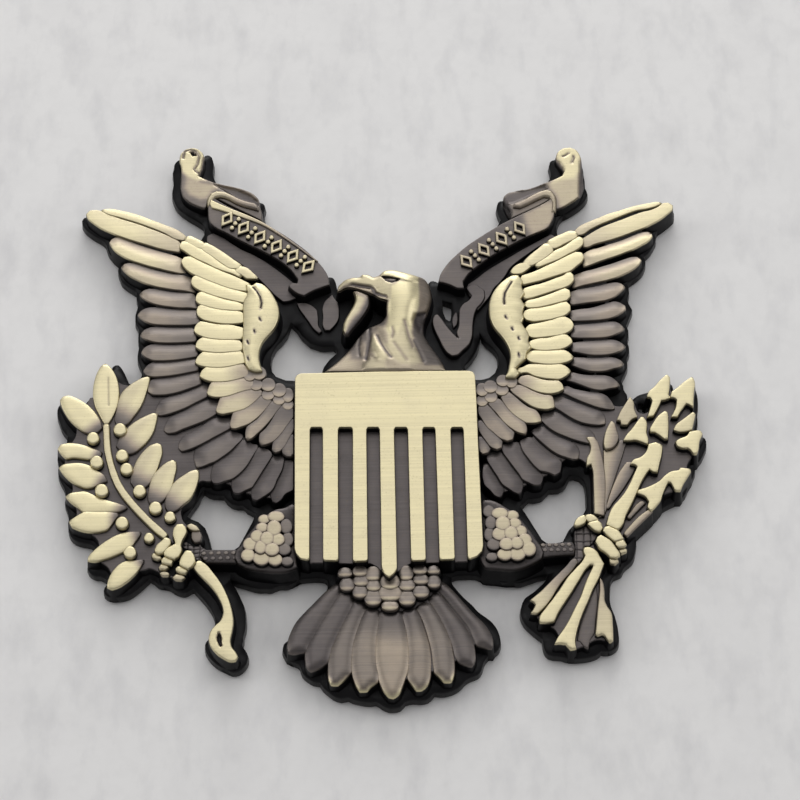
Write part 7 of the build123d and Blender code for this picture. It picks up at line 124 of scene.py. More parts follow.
"shield":[3.9,[[-8.62,7.05],[-8.43,7.41],[-8.05,7.56],[-4.35,7.57],[0.3,7.59],[4.19,7.55],[7.8,7.49],[8.27,7.35],[8.44,6.98],[8.5,4.27],[8.51,-0.01],[8.56,-4.21],[8.61,-8.36],[8.64,-10.91],[8.51,-11.52],[8.04,-12.02],[7.39,-12.25],[6.02,-12.28],[3.46,-12.32],[2.0,-12.34],[1.35,-12.68],[0.75,-13.17],[0.34,-13.66],[-0.03,-13.95],[-0.39,-13.64],[-0.66,-13.14],[-1.11,-12.62],[-1.74,-12.25],[-3.11,-12.27],[-4.48,-12.19],[-6.13,-12.11],[-7.32,-12.08],[-8.14,-11.86],[-8.5,-11.34],[-8.64,-10.83],[-8.64,-5.91],[-8.65,0.39]]],
"slot0":[3.9,[[-7.22,1.52],[-7.08,1.73],[-6.15,1.71],[-6.01,1.5],[-6.03,-11.8],[-6.04,-12.71],[-7.29,-12.69],[-7.29,-11.78]]],
"slot1":[3.9,[[-4.58,1.46],[-4.44,1.67],[-3.34,1.65],[-3.2,1.43],[-3.31,-11.87],[-3.32,-12.77],[-4.64,-12.74],[-4.64,-11.84]]],
"slot2":[3.9,[[-1.92,1.4],[-1.77,1.61],[-0.81,1.59],[-0.68,1.37],[-0.69,-11.92],[-0.7,-12.83],[-1.96,-12.8],[-1.95,-11.89]]],
"slot3":[3.9,[[0.67,1.34],[0.82,1.55],[1.83,1.53],[1.97,1.31],[2.01,-11.98],[1.99,-12.89],[0.69,-12.86],[0.71,-11.95]]],
"slot4":[3.9,[[3.33,1.28],[3.48,1.49],[4.41,1.47],[4.54,1.25],[4.61,-12.04],[4.59,-12.95],[3.34,-12.92],[3.36,-12.01]]],
"slot5":[3.9,[[5.98,1.22],[6.12,1.43],[7.05,1.41],[7.19,1.19],[7.19,-12.1],[7.17,-13.01],[5.98,-12.98],[6.01,-12.07]]],
"tail0":[2.7,[[-4.8,-13.94],[-4.53,-14.3],[-4.44,-14.6],[-4.9,-15.39],[-5.55,-16.58],[-6.28,-17.85],[-7.01,-19.12],[-7.55,-20.0],[-7.69,-20.44],[-8.18,-20.48],[-8.82,-20.56],[-9.11,-20.5],[-9.18,-19.96],[-9.07,-19.28],[-8.8,-18.49],[-8.34,-17.61],[-7.7,-16.83],[-6.88,-15.95],[-6.09,-15.07],[-5.36,-14.38]]],
"tail1":[2.7,[[-4.26,-14.6],[-3.71,-14.82],[-3.44,-15.32],[-3.45,-15.93],[-3.92,-17.01],[-4.47,-18.19],[-5.02,-19.27],[-5.48,-20.34],[-5.62,-21.02],[-5.84,-21.51],[-6.2,-21.84],[-6.74,-22.12],[-7.19,-22.29],[-7.4,-22.06],[-7.54,-21.47],[-7.57,-20.78],[-7.42,-20.0],[-6.95,-18.93],[-6.22,-17.56],[-5.48,-16.28],[-4.77,-15.14]]],
"tail2":[2.7,[[-3.4,-15.83],[-2.99,-15.63],[-2.54,-15.95],[-2.27,-16.35],[-2.65,-17.24],[-3.02,-18.32],[-3.39,-19.5],[-3.58,-20.58],[-3.68,-21.55],[-3.73,-22.53],[-4.14,-23.01],[-4.59,-23.48],[-4.87,-23.7],[-5.29,-23.69],[-5.46,-23.17],[-5.5,-22.3],[-5.45,-21.32],[-5.25,-20.34],[-4.87,-19.27],[-4.4,-18.09],[-3.85,-16.91]]],
"tail3":[2.7,[[-2.14,-16.55],[-1.64,-16.56],[-1.09,-16.68],[-1.11,-17.67],[-1.35,-19.15],[-1.46,-20.62],[-1.39,-22.0],[-1.23,-23.07],[-1.37,-23.55],[-1.91,-23.93],[-2.27,-24.34],[-2.72,-24.36],[-2.98,-23.9],[-3.26,-23.12],[-3.42,-22.24],[-3.41,-21.07],[-3.31,-19.89],[-2.96,-18.62],[-2.56,-17.44]]],
"tail4":[2.7,[[-0.91,-16.78],[-0.01,-16.9],[0.91,-16.82],[1.07,-17.72],[1.32,-18.91],[1.48,-20.2],[1.5,-21.47],[1.39,-22.45],[1.06,-23.41],[0.78,-24.18],[0.5,-24.75],[0.14,-25.02],[-0.13,-24.96],[-0.48,-24.54],[-0.87,-23.66],[-1.16,-22.59],[-1.29,-21.61],[-1.29,-20.43],[-1.18,-19.05],[-1.03,-17.87]]],
"tail5":[2.7,[[1.11,-16.82],[1.64,-16.69],[2.27,-16.55],[2.62,-17.45],[2.96,-18.65],[3.29,-19.94],[3.44,-21.22],[3.41,-22.49],[3.3,-23.46],[3.02,-24.03],[2.65,-24.35],[2.34,-24.38],[1.95,-23.82],[1.67,-23.38],[1.69,-22.16],[1.72,-20.69],[1.62,-19.21],[1.43,-17.92]]],
"tail6":[2.7,[[2.49,-16.36],[3.1,-15.97],[3.74,-16.28],[4.26,-17.19],[4.78,-18.3],[5.2,-19.39],[5.44,-20.77],[5.55,-21.95],[5.5,-22.92],[5.27,-23.62],[4.82,-23.61],[4.47,-23.19],[4.04,-22.75],[3.95,-21.92],[3.85,-20.74],[3.57,-19.36],[3.2,-17.96],[2.77,-16.86]]],
"tail7":[2.7,[[3.66,-15.58],[4.13,-14.99],[4.67,-15.4],[5.19,-16.21],[5.81,-17.13],[6.42,-18.03],[6.93,-18.94],[7.27,-19.83],[7.44,-20.82],[7.44,-21.6],[7.22,-22.15],[6.75,-22.01],[6.22,-21.77],[5.96,-21.27],[5.74,-20.29],[5.34,-19.1],[4.83,-17.8],[4.24,-16.59]]],
"tail8":[2.7,[[4.44,-14.49],[4.61,-13.89],[5.15,-14.31],[5.86,-15.13],[6.65,-16.15],[7.53,-17.26],[8.32,-18.17],[8.83,-18.98],[9.1,-19.87],[9.04,-20.46],[8.52,-20.3],[7.89,-20.14],[7.67,-19.54],[7.35,-18.65],[6.75,-17.64],[6.05,-16.63],[5.35,-15.62]]],
"lthigh":[3.7,[[-8.89,-6.11],[-9.63,-6.51],[-10.37,-6.65],[-11.1,-7.09],[-11.93,-7.8],[-12.56,-8.66],[-13.15,-9.46],[-13.61,-10.32],[-13.97,-10.72],[-14.1,-11.43],[-13.81,-12.04],[-13.08,-12.46],[-11.62,-12.8],[-10.43,-12.93],[-9.24,-12.85],[-8.51,-12.56],[-8.52,-6.33]]],
"lshank":[2.9,[[-17.11,-10.26],[-13.88,-10.33],[-13.69,-11.05],[-13.87,-11.76],[-15.06,-11.68],[-16.81,-11.59],[-17.37,-10.97]]],
"rthigh":[3.7,[[8.87,-6.1],[9.61,-6.17],[10.34,-6.54],[11.06,-7.08],[11.69,-7.5],[12.3,-8.34],[12.99,-9.38],[13.51,-10.31],[13.94,-11.04],[14.1,-11.55],[13.89,-12.15],[13.23,-12.54],[12.39,-12.93],[11.2,-13.2],[10.11,-13.08],[8.83,-12.95],[8.49,-12.34],[8.69,-6.2]]],
"rshank":[2.9,[[13.99,-10.34],[14.82,-10.31],[16.95,-10.2],[17.11,-10.62],[16.97,-11.53],[14.76,-11.68],[14.12,-11.77],[13.87,-11.05]]],
"lc0":[3.3,[[-19.79,-8.25],[-19.52,-7.89],[-19.06,-7.85],[-18.77,-8.17],[-18.67,-8.58],[-18.85,-9.04],[-19.07,-9.49],[-19.2,-10.0],[-19.56,-10.1],[-19.62,-9.58],[-19.82,-8.86]]],
"lc1":[3.3,[[-20.65,-10.68],[-20.47,-10.38],[-20.02,-10.09],[-19.57,-9.86],[-19.2,-9.9],[-19.09,-10.41],[-19.36,-11.12],[-19.72,-11.34],[-20.18,-11.2],[-20.55,-10.99]]],
"lc2":[3.3,[[-21.48,-10.36],[-21.31,-9.95],[-20.86,-9.5],[-20.59,-9.18],[-20.13,-9.37],[-20.12,-9.78],[-20.48,-10.34],[-20.83,-10.71],[-21.2,-10.77],[-21.43,-10.56]]],
"lc3":[3.0,[[-21.78,-10.72],[-21.6,-10.64],[-21.04,-10.94],[-20.94,-11.17],[-21.3,-11.21],[-21.68,-11.05]]],
"lc4":[3.1,[[-20.84,-11.29],[-20.66,-11.06],[-20.1,-11.25],[-19.91,-11.47],[-20.0,-11.82],[-20.46,-11.74],[-20.83,-11.6]]],
"lc5":[2.9,[[-21.11,-12.0],[-20.93,-11.73],[-20.57,-11.78],[-20.28,-12.02],[-20.55,-12.2],[-21.01,-12.16]]],
"lc6":[2.7,[[-21.02,-12.42],[-20.57,-12.38],[-20.2,-12.54],[-20.28,-12.77],[-20.74,-12.76],[-20.93,-12.62]]],
"lc7":[3.3,[[-19.16,-11.73],[-19.07,-11.33],[-18.81,-10.82],[-18.63,-10.55],[-18.17,-10.64],[-17.89,-11.15],[-17.83,-11.66],[-18.14,-12.16],[-18.41,-12.36],[-18.87,-12.16],[-19.15,-11.93]]],
"lc8":[3.1,[[-19.53,-12.24],[-19.35,-12.04],[-18.8,-12.25],[-18.52,-12.49],[-18.69,-12.76],[-19.15,-12.68],[-19.48,-12.44]]],
"lc9":[2.9,[[-19.8,-13.04],[-19.53,-12.78],[-18.98,-12.88],[-18.75,-13.07],[-19.06,-13.34],[-19.52,-13.28]]],
"lca":[3.0,[[-18.62,-7.82],[-18.25,-7.67],[-17.79,-7.94],[-17.5,-8.3],[-17.87,-8.35],[-18.34,-8.18]]],
"lcb":[2.8,[[-18.16,-8.35],[-17.52,-8.31],[-17.32,-8.78],[-17.41,-9.39],[-17.86,-9.48],[-18.15,-9.06]]],
"lcd":[2.5,[[-19.18,-9.41],[-18.72,-9.21],[-18.07,-9.64],[-17.42,-9.75],[-16.86,-10.07],[-16.85,-10.79],[-17.12,-11.29],[-17.76,-11.18],[-18.52,-10.14],[-18.99,-9.92]]],
"rc0":[3.3,[[17.14,-8.66],[17.3,-8.25],[17.68,-7.9],[18.11,-7.73],[18.23,-8.07],[18.07,-8.48],[17.74,-8.71],[17.27,-8.85]]],
"rc1":[3.3,[[18.2,-7.76],[18.71,-7.67],[19.07,-7.88],[19.33,-8.23],[19.05,-8.27],[18.58,-8.46],[18.32,-8.17]]],
"rc2":[3.3,[[18.39,-8.61],[18.86,-8.41],[19.32,-8.34],[19.59,-8.61],[19.66,-9.03],[19.45,-9.43],[19.09,-9.32],[18.73,-9.01]]],
"rc3":[3.3,[[19.78,-9.34],[19.93,-9.03],[20.3,-8.94],[20.66,-9.15],[21.11,-9.4],[21.36,-9.78],[21.52,-10.19],[21.24,-10.32],[20.77,-10.44],[20.42,-10.12],[20.07,-9.75]]],
"rc4":[3.2,[[20.87,-10.48],[21.24,-10.34],[21.61,-10.38],[21.77,-10.76],[21.57,-10.99],[21.11,-11.03],[20.9,-10.74]]],
"rc5":[2.9,[[21.12,-11.21],[21.5,-11.04],[21.82,-11.1],[21.75,-11.38],[21.29,-11.55]]],
"rc6":[3.3,[[19.03,-10.45],[19.19,-10.04],[19.52,-9.84],[19.96,-10.11],[20.4,-10.48],[20.66,-10.89],[20.82,-11.2],[21.07,-11.61],[21.1,-11.92],[20.77,-12.13],[20.32,-12.07],[19.88,-11.58],[19.36,-11.12],[19.19,-10.76]]],
"rc7":[3.0,[[20.24,-12.06],[20.88,-12.07],[20.96,-12.38],[20.67,-12.64],[20.31,-12.55]]],
"rcd":[2.6,[[17.21,-8.73],[17.68,-8.58],[18.15,-8.44],[18.6,-8.76],[19.04,-9.18],[19.3,-9.44],[19.0,-10.0],[18.5,-10.6],[18.04,-10.59],[17.84,-11.1],[17.99,-11.61],[17.5,-12.21],[17.02,-12.61],[16.6,-11.99],[17.03,-11.59],[17.11,-10.78],[17.11,-9.96]]],
"leaf00":[2.7,[[-30.9,5.9],[-30.67,6.2],[-30.2,6.28],[-29.57,6.03],[-28.79,5.54],[-28.11,4.93],[-27.56,4.2],[-27.15,3.43],[-26.99,2.84],[-27.35,2.42],[-27.91,2.29],[-28.39,2.41],[-29.07,2.91],[-29.76,3.6],[-30.31,4.42],[-30.7,5.24]]],
"leaf01":[2.7,[[-26.85,9.72],[-26.46,9.38],[-26.06,8.79],[-25.75,8.07],[-25.57,7.24],[-25.52,6.37],[-25.61,5.39],[-25.86,4.48],[-26.26,3.57],[-26.53,3.15],[-26.78,3.58],[-27.18,4.4],[-27.55,5.22],[-27.75,6.1],[-27.79,7.08],[-27.68,8.06],[-27.43,8.93],[-27.16,9.45]]],
"leaf02":[2.7,[[-22.6,8.19],[-22.73,7.51],[-22.89,6.75],[-23.15,5.77],[-23.55,4.81],[-24.09,3.96],[-24.64,3.21],[-25.1,3.01],[-25.49,3.23],[-25.64,3.67],[-25.53,4.53],[-25.38,5.61],[-25.12,6.44],[-24.48,7.22],[-23.73,7.77],[-23.17,8.09]]],
"leaf03":[2.7,[[-21.78,4.15],[-21.9,3.37],[-22.11,2.4],[-22.51,1.56],[-23.15,0.77],[-23.88,0.15],[-24.44,0.0],[-25.02,0.39],[-25.41,0.88],[-25.24,1.41],[-24.79,2.14],[-24.25,2.88],[-23.51,3.49],[-22.67,3.96],[-22.11,4.21]]],
"leaf04":[2.7,[[-30.89,0.68],[-30.69,1.03],[-30.13,1.14],[-29.28,1.08],[-28.42,0.85],[-27.66,0.51],[-26.89,0.16],[-27.06,-0.29],[-27.9,-0.43],[-28.84,-0.3],[-29.6,-0.23],[-30.11,-0.33],[-30.55,0.14]]],
"leaf05":[2.7,[[-30.68,-1.34],[-30.41,-1.14],[-29.75,-1.01],[-29.0,-0.98],[-28.25,-1.15],[-27.87,-1.32],[-27.19,-1.84],[-26.52,-2.38],[-26.32,-2.81],[-26.87,-3.04],[-27.51,-3.39],[-28.16,-3.46],[-28.92,-3.15],[-29.69,-2.61],[-30.27,-1.98]]],
"leaf06":[2.7,[[-29.94,-4.4],[-29.62,-4.17],[-28.88,-4.03],[-28.32,-3.99],[-27.57,-4.32],[-26.81,-4.73],[-25.86,-5.07],[-24.92,-5.4],[-24.36,-5.67],[-24.9,-5.97],[-26.02,-6.05],[-27.13,-6.06],[-28.25,-6.03],[-28.73,-5.52],[-29.4,-4.99]]],
"leaf07":[2.7,[[-29.5,-7.01],[-29.14,-6.71],[-28.6,-6.33],[-28.24,-6.13],[-27.13,-6.15],[-26.01,-6.18],[-25.08,-6.33],[-25.43,-6.89],[-25.78,-7.46],[-26.05,-7.81],[-26.69,-8.03],[-27.61,-8.06],[-28.54,-7.84],[-29.2,-7.53]]],
"leaf08":[2.7,[[-27.64,-11.0],[-27.56,-10.65],[-27.16,-10.14],[-26.63,-9.62],[-26.0,-9.12],[-25.37,-8.72],[-24.73,-8.43],[-23.9,-8.29],[-22.98,-8.29],[-23.24,-8.8],[-23.51,-9.2],[-23.77,-9.61],[-24.4,-10.11],[-24.95,-10.35],[-25.67,-10.67],[-26.4,-10.91],[-27.13,-11.08]]],
"leaf09":[2.7,[[-25.75,-13.73],[-25.7,-13.22],[-25.51,-12.62],[-25.16,-12.02],[-24.72,-11.54],[-24.09,-11.25],[-23.35,-11.22],[-22.62,-11.13],[-22.88,-11.67],[-23.23,-12.27],[-23.67,-12.79],[-24.21,-13.29],[-24.83,-13.73],[-25.38,-13.92]]],
"leaf10":[2.7,[[-21.65,0.98],[-21.32,0.78],[-21.25,0.14],[-21.42,-0.7],[-21.63,-1.49],[-22.03,-2.48],[-22.47,-3.31],[-23.02,-3.72],[-23.63,-3.5],[-23.95,-2.97],[-23.88,-2.13],[-23.62,-1.24],[-23.27,-0.45],[-22.76,0.26],[-22.21,0.77]]],
"leaf11":[2.7,[[-20.2,-0.86],[-19.91,-0.97],[-19.89,-1.69],[-20.06,-2.53],[-20.19,-3.26],[-20.4,-3.99],[-20.76,-4.61],[-21.21,-5.17],[-21.67,-5.37],[-22.14,-5.2],[-22.29,-4.68],[-22.22,-3.95],[-22.06,-3.01],[-21.8,-2.28],[-21.34,-1.73],[-20.82,-1.21]]],
"leaf12":[2.7,[[-17.78,-1.92],[-17.77,-2.58],[-17.9,-3.31],[-18.16,-4.15],[-18.57,-4.92],[-19.16,-5.48],[-19.8,-6.04],[-20.3,-6.23],[-20.59,-5.76],[-20.63,-4.92],[-20.37,-4.1],[-20.02,-3.37],[-19.56,-2.88],[-19.01,-2.47],[-18.39,-2.06]]],
"stem1":[2.8,[[-26.8,3.1],[-26.7,1.81],[-26.61,0.53],[-26.33,-0.75],[-25.95,-2.13],[-25.45,-3.4],[-24.85,-4.46],[-24.07,-5.52],[-23.2,-6.58],[-22.34,-7.53],[-21.49,-8.43],[-20.73,-9.06],[-20.38,-8.6],[-21.04,-7.92],[-21.89,-7.08],[-22.75,-6.12],[-23.62,-5.07],[-24.35,-4.06],[-24.95,-3.0],[-25.4,-1.83],[-25.77,-0.66],[-26.0,0.52],[-26.14,1.8],[-26.23,3.09]]],
"stem2":[2.9,[[-17.45,-11.38],[-16.89,-11.79],[-16.15,-12.72],[-15.4,-13.85],[-14.93,-14.86],[-14.64,-15.67],[-14.4,-16.67],[-14.3,-17.57],[-14.42,-18.56],[-14.55,-19.44],[-14.4,-20.13],[-14.04,-20.63],[-13.85,-21.03],[-14.03,-21.4],[-14.39,-21.44],[-14.93,-21.2],[-15.48,-20.8],[-15.94,-20.3],[-16.26,-19.7],[-16.36,-19.01],[-16.23,-18.52],[-15.79,-17.93],[-15.43,-17.59],[-15.17,-17.05],[-15.09,-16.36],[-15.28,-15.66],[-15.66,-14.85],[-16.22,-14.03],[-16.96,-13.21],[-17.62,-12.49],[-18.09,-11.87]]],
"knobeye":[2.9,[[-15.6,-18.68],[-15.42,-18.68],[-15.28,-19.03],[-15.27,-19.52],[-15.22,-19.97],[-15.4,-20.01],[-15.63,-19.52],[-15.73,-19.02]]],
"ar00":[2.8,[[18.79,0.67],[19.45,0.65],[19.79,0.01],[19.94,-0.74],[20.08,-1.59],[20.2,-2.86],[19.95,-7.55],[19.13,-7.32],[19.21,-3.89],[19.22,-2.84],[19.07,-2.1],[18.64,-2.3],[18.73,-1.56],[19.04,-0.93],[19.13,-0.08]]],
"ar01":[3.0,[[23.07,4.79],[23.32,4.32],[23.37,3.46],[23.6,2.7],[23.02,2.39],[22.61,1.86],[22.14,1.87],[22.07,2.31],[21.75,2.42],[22.13,3.27],[22.65,4.12]]],
"ar02":[3.0,[[21.17,2.25],[21.44,2.0],[21.55,1.35],[21.69,0.6],[21.46,-0.14],[21.07,-0.55],[20.49,-0.7],[20.38,-0.22],[20.47,0.63],[20.7,1.37]]],
"ar03":[3.1,[[24.15,2.56],[24.37,2.2],[24.34,0.92],[24.47,0.06],[24.4,-0.29],[23.81,-0.01],[23.35,0.16],[22.79,0.13],[22.22,0.14],[22.43,0.53],[23.04,1.26],[23.55,1.98],[23.96,2.53]]],
"ar04":[3.1,[[26.27,3.15],[26.49,2.96],[26.45,1.61],[26.31,0.23],[26.07,0.2],[25.63,0.62],[25.18,0.97],[24.81,0.99],[24.78,1.33],[25.15,1.97],[25.67,2.68]]],
"ar05":[3.1,[[26.71,7.09],[26.93,6.79],[26.82,5.81],[26.67,4.95],[26.84,4.62],[26.35,4.42],[25.97,4.37],[25.53,3.46],[25.11,2.72],[24.63,2.62],[24.86,3.26],[25.21,4.33],[25.04,4.69],[24.73,4.78],[24.81,5.1],[25.49,5.81],[26.11,6.56]]],
"ar06":[3.1,[[29.07,6.78],[29.23,6.41],[29.11,5.33],[28.98,4.25],[28.94,3.6],[28.58,3.88],[28.31,3.99],[27.79,3.3],[27.36,2.56],[26.89,2.57],[27.32,3.42],[27.53,4.39],[27.21,4.64],[26.93,4.67],[27.06,5.19],[27.66,5.66],[28.37,6.3]]],
"ar07":[3.0,[[28.91,3.04],[29.08,2.84],[28.89,2.15],[28.64,1.19],[28.21,1.06],[27.36,1.03],[27.0,1.23],[27.31,1.76],[27.81,2.15],[28.41,2.62]]],
"ar08":[3.1,[[29.41,0.99],[29.58,0.69],[29.25,-0.05],[29.09,-0.9],[28.91,-1.42],[28.68,-1.45],[28.43,-0.99],[28.12,-0.77],[27.7,-0.79],[27.24,-0.59],[27.09,-0.11],[27.48,0.13],[28.16,0.43],[28.46,0.85],[28.94,0.95]]],
"ar09":[3.2,[[25.74,-0.55],[25.64,-1.29],[25.33,-2.45],[25.09,-3.31],[24.77,-3.26],[24.42,-2.95],[23.96,-3.57],[23.44,-4.5],[23.06,-5.33],[22.69,-6.15],[22.27,-6.97],[21.9,-7.69],[21.52,-8.71],[21.12,-9.21],[20.14,-8.68],[20.37,-7.86],[20.79,-6.94],[21.39,-6.23],[21.88,-5.62],[22.5,-4.59],[23.03,-3.45],[23.36,-2.72],[23.09,-2.47],[22.72,-2.39],[23.02,-2.05],[23.7,-1.78],[24.09,-1.42],[24.41,-0.84],[24.53,-0.42],[25.19,-0.24]]],
"ar10":[3.0,[[28.2,-3.01],[28.23,-3.25],[27.77,-3.98],[27.34,-4.7],[27.12,-5.25],[26.71,-5.18],[26.55,-4.68],[26.35,-4.31],[26.07,-4.25],[25.75,-4.87],[25.43,-5.59],[25.2,-6.21],[24.8,-6.72],[24.3,-7.26],[24.05,-6.81],[24.22,-6.29],[23.93,-5.77],[23.48,-5.5],[23.12,-5.36],[23.23,-5.13],[23.89,-4.93],[24.65,-4.61],[25.33,-4.2],[25.83,-3.69],[26.41,-3.28],[27.17,-3.14],[27.37,-2.88]]],
"ar11":[2.8,[[24.24,-7.02],[24.41,-7.26],[23.52,-8.14],[22.64,-9.0],[21.95,-9.75],[21.69,-9.44],[22.48,-8.53],[23.37,-7.62]]],
"ar12":[2.7,[[23.56,-6.08],[23.83,-6.29],[23.03,-7.1],[22.34,-7.86],[22.07,-7.75],[22.57,-7.04],[23.17,-6.33]]],
"ar13":[2.6,[[20.33,-0.64],[20.9,-0.55],[21.48,-0.24],[21.89,0.39],[22.45,0.27],[21.99,-1.21],[21.43,-2.78],[20.88,-4.35],[20.33,-5.9],[20.07,-7.14],[19.58,-7.65],[20.05,-5.89],[20.16,-3.81]]],
"ar14":[2.6,[[22.98,-1.97],[23.23,-2.4],[22.81,-3.24],[22.19,-4.27],[21.48,-5.3],[20.77,-6.22],[20.47,-6.73],[20.19,-6.73],[20.63,-5.39],[21.17,-4.04],[21.8,-2.79],[22.41,-1.96]]],
"fl1":[2.7,[[16.68,-12.04],[17.06,-11.79],[17.32,-12.15],[16.72,-13.05],[15.85,-14.04],[15.27,-14.84],[14.68,-15.82],[14.1,-16.61],[13.62,-17.1],[13.34,-17.32],[12.8,-17.26],[13.09,-16.79],[13.29,-16.39],[13.03,-16.09],[12.8,-15.95],[13.7,-15.2],[14.66,-14.22],[15.62,-13.23],[16.29,-12.54]]],
"fl2":[2.9,[[17.93,-10.84],[18.48,-10.85],[19.1,-11.27],[19.34,-11.79],[19.67,-12.5],[19.36,-13.21],[19.04,-14.01],[18.43,-15.2],[18.02,-16.19],[17.51,-17.28],[17.09,-18.36],[16.77,-19.44],[16.64,-20.12],[16.69,-20.91],[16.24,-21.0],[15.81,-20.45],[15.28,-20.37],[14.82,-20.4],[15.12,-19.8],[15.61,-19.12],[16.2,-18.14],[16.8,-16.96],[17.4,-15.78],[17.82,-14.68],[18.24,-13.69],[18.59,-12.99],[18.75,-12.63],[18.39,-12.58],[18.0,-12.97],[17.3,-14.07],[16.51,-15.36],[15.73,-16.54],[15.14,-17.52],[14.83,-18.21],[14.38,-18.3],[13.56,-18.31],[13.56,-17.79],[14.07,-17.0],[14.75,-16.12],[15.53,-15.03],[16.31,-13.85],[17.09,-12.95],[17.77,-12.16],[18.02,-11.65],[17.88,-11.14]]],
"fl3":[2.7,[[19.25,-13.81],[19.41,-14.12],[19.54,-15.13],[19.53,-16.13],[19.73,-16.73],[20.06,-17.34],[20.12,-18.33],[20.11,-19.32],[20.07,-20.11],[19.8,-20.28],[19.55,-19.9],[19.39,-19.6],[19.13,-19.45],[18.76,-19.59],[18.58,-19.49],[18.73,-18.3],[18.96,-16.62],[19.18,-15.12]]],
"fl4":[2.2,[[18.27,-15.47],[18.88,-14.38],[18.98,-15.89],[18.69,-17.88],[18.44,-19.26],[18.05,-19.84],[17.83,-20.63],[17.48,-20.42],[17.14,-19.92],[16.87,-19.92],[17.11,-18.64],[17.64,-17.06]]],
"lb_front":[2.6,[[-17.26,27.76],[-17.12,28.34],[-16.73,28.51],[-16.13,28.03],[-15.33,27.48],[-14.33,26.92],[-13.14,26.19],[-11.95,25.52],[-10.96,24.85],[-9.78,24.01],[-8.6,23.05],[-7.52,22.04],[-6.64,21.04],[-5.96,20.11],[-5.48,19.12],[-5.34,18.15],[-6.16,17.83],[-6.94,17.5],[-7.82,16.96],[-8.4,17.2],[-8.98,17.67],[-9.32,18.13],[-8.98,18.46],[-8.5,18.39],[-8.4,18.85],[-8.98,19.78],[-9.77,20.66],[-10.75,21.43],[-11.93,22.2],[-13.11,22.87],[-14.29,23.59],[-15.48,24.38],[-16.48,24.98],[-17.08,25.64],[-17.29,26.7]]],
"lb_low":[1.7,[[-17.42,24.59],[-16.83,24.93],[-15.94,24.44],[-14.94,23.66],[-13.95,22.93],[-12.76,22.27],[-11.58,21.43],[-10.5,20.54],[-9.61,19.72],[-8.83,18.95],[-9.12,18.16],[-8.44,17.35],[-9.41,16.92],[-9.89,16.87],[-10.58,17.51],[-11.36,18.44],[-12.15,19.38],[-13.14,20.43],[-14.13,21.32],[-15.32,22.21],[-16.51,23.17],[-17.41,23.89]]],
"lb_back":[2.4,[[-20.1,32.48],[-20.27,33.2],[-20.14,34.04],[-19.74,34.48],[-19.15,34.65],[-18.54,34.55],[-18.03,34.11],[-17.77,33.38],[-17.81,32.54],[-18.04,31.83],[-18.28,31.42],[-17.68,30.98],[-16.97,30.55],[-15.97,30.23],[-14.78,29.9],[-13.58,29.46],[-12.78,28.96],[-12.28,28.24],[-12.18,27.53],[-11.97,26.7],[-11.96,25.76],[-13.15,26.5],[-14.55,27.35],[-15.95,28.21],[-16.84,28.71],[-17.29,28.36],[-17.47,27.54],[-17.71,27.37],[-18.41,27.68],[-19.21,28.17],[-19.77,28.78],[-20.04,29.61],[-20.07,31.04]]],
"lb_f1":[1.6,[[-8.54,16.73],[-7.66,16.71],[-7.08,16.41],[-6.59,15.89],[-6.5,14.98],[-6.45,14.08],[-6.12,13.51],[-6.41,13.29],[-6.89,13.76],[-7.37,14.55],[-7.86,15.35],[-8.34,16.16]]],
"lb_f2":[1.6,[[-5.13,17.61],[-4.84,17.1],[-4.55,16.75],[-4.46,15.73],[-4.56,14.71],[-4.95,14.05],[-5.34,13.61],[-5.83,13.62],[-6.02,14.07],[-6.01,15.2],[-6.06,16.1],[-5.81,16.89],[-5.42,17.34]]],
"rb_front":[2.6,[[5.26,18.24],[5.43,18.98],[5.84,19.77],[6.45,20.62],[7.25,21.46],[8.15,22.31],[9.26,23.15],[10.46,23.99],[11.57,24.72],[12.68,25.34],[13.69,25.9],[14.69,26.41],[15.6,26.91],[16.31,27.37],[16.72,27.71],[16.93,26.7],[16.84,25.77],[16.5,24.84],[16.07,24.15],[15.47,23.82],[14.57,23.43],[13.37,22.82],[12.16,22.1],[10.96,21.37],[9.96,20.65],[8.96,19.81],[8.15,19.03],[7.65,18.24],[7.72,17.45],[7.14,17.46],[6.37,17.87],[5.7,18.12]]],
"rb_low":[1.7,[[7.94,17.87],[8.15,18.44],[8.85,18.94],[9.95,19.89],[11.16,20.72],[12.36,21.5],[13.57,22.28],[14.78,23.01],[15.89,23.68],[16.5,24.02],[16.97,23.66],[16.26,23.15],[15.15,22.54],[14.04,21.69],[13.12,20.96],[12.31,20.18],[11.79,19.27],[11.28,18.59],[10.67,17.92],[10.15,16.91],[9.64,16.24],[9.03,15.46],[8.66,15.93],[9.07,16.82],[8.3,17.07]]],
"rb_s":[1.7,[[7.64,17.77],[8.33,18.09],[9.12,18.3],[9.68,17.61],[9.65,16.7],[9.14,15.91],[8.63,15.13],[8.41,14.13],[8.37,13.01],[8.15,12.0],[7.55,11.24],[6.86,10.53],[6.38,10.6],[5.81,11.11],[5.35,11.96],[4.99,12.86],[4.72,13.88],[4.75,14.78],[5.14,15.05],[5.71,14.53],[6.26,13.61],[6.82,12.71],[7.07,13.15],[7.15,14.15],[7.18,15.28],[7.4,16.07],[7.9,16.51],[7.82,17.08]]],
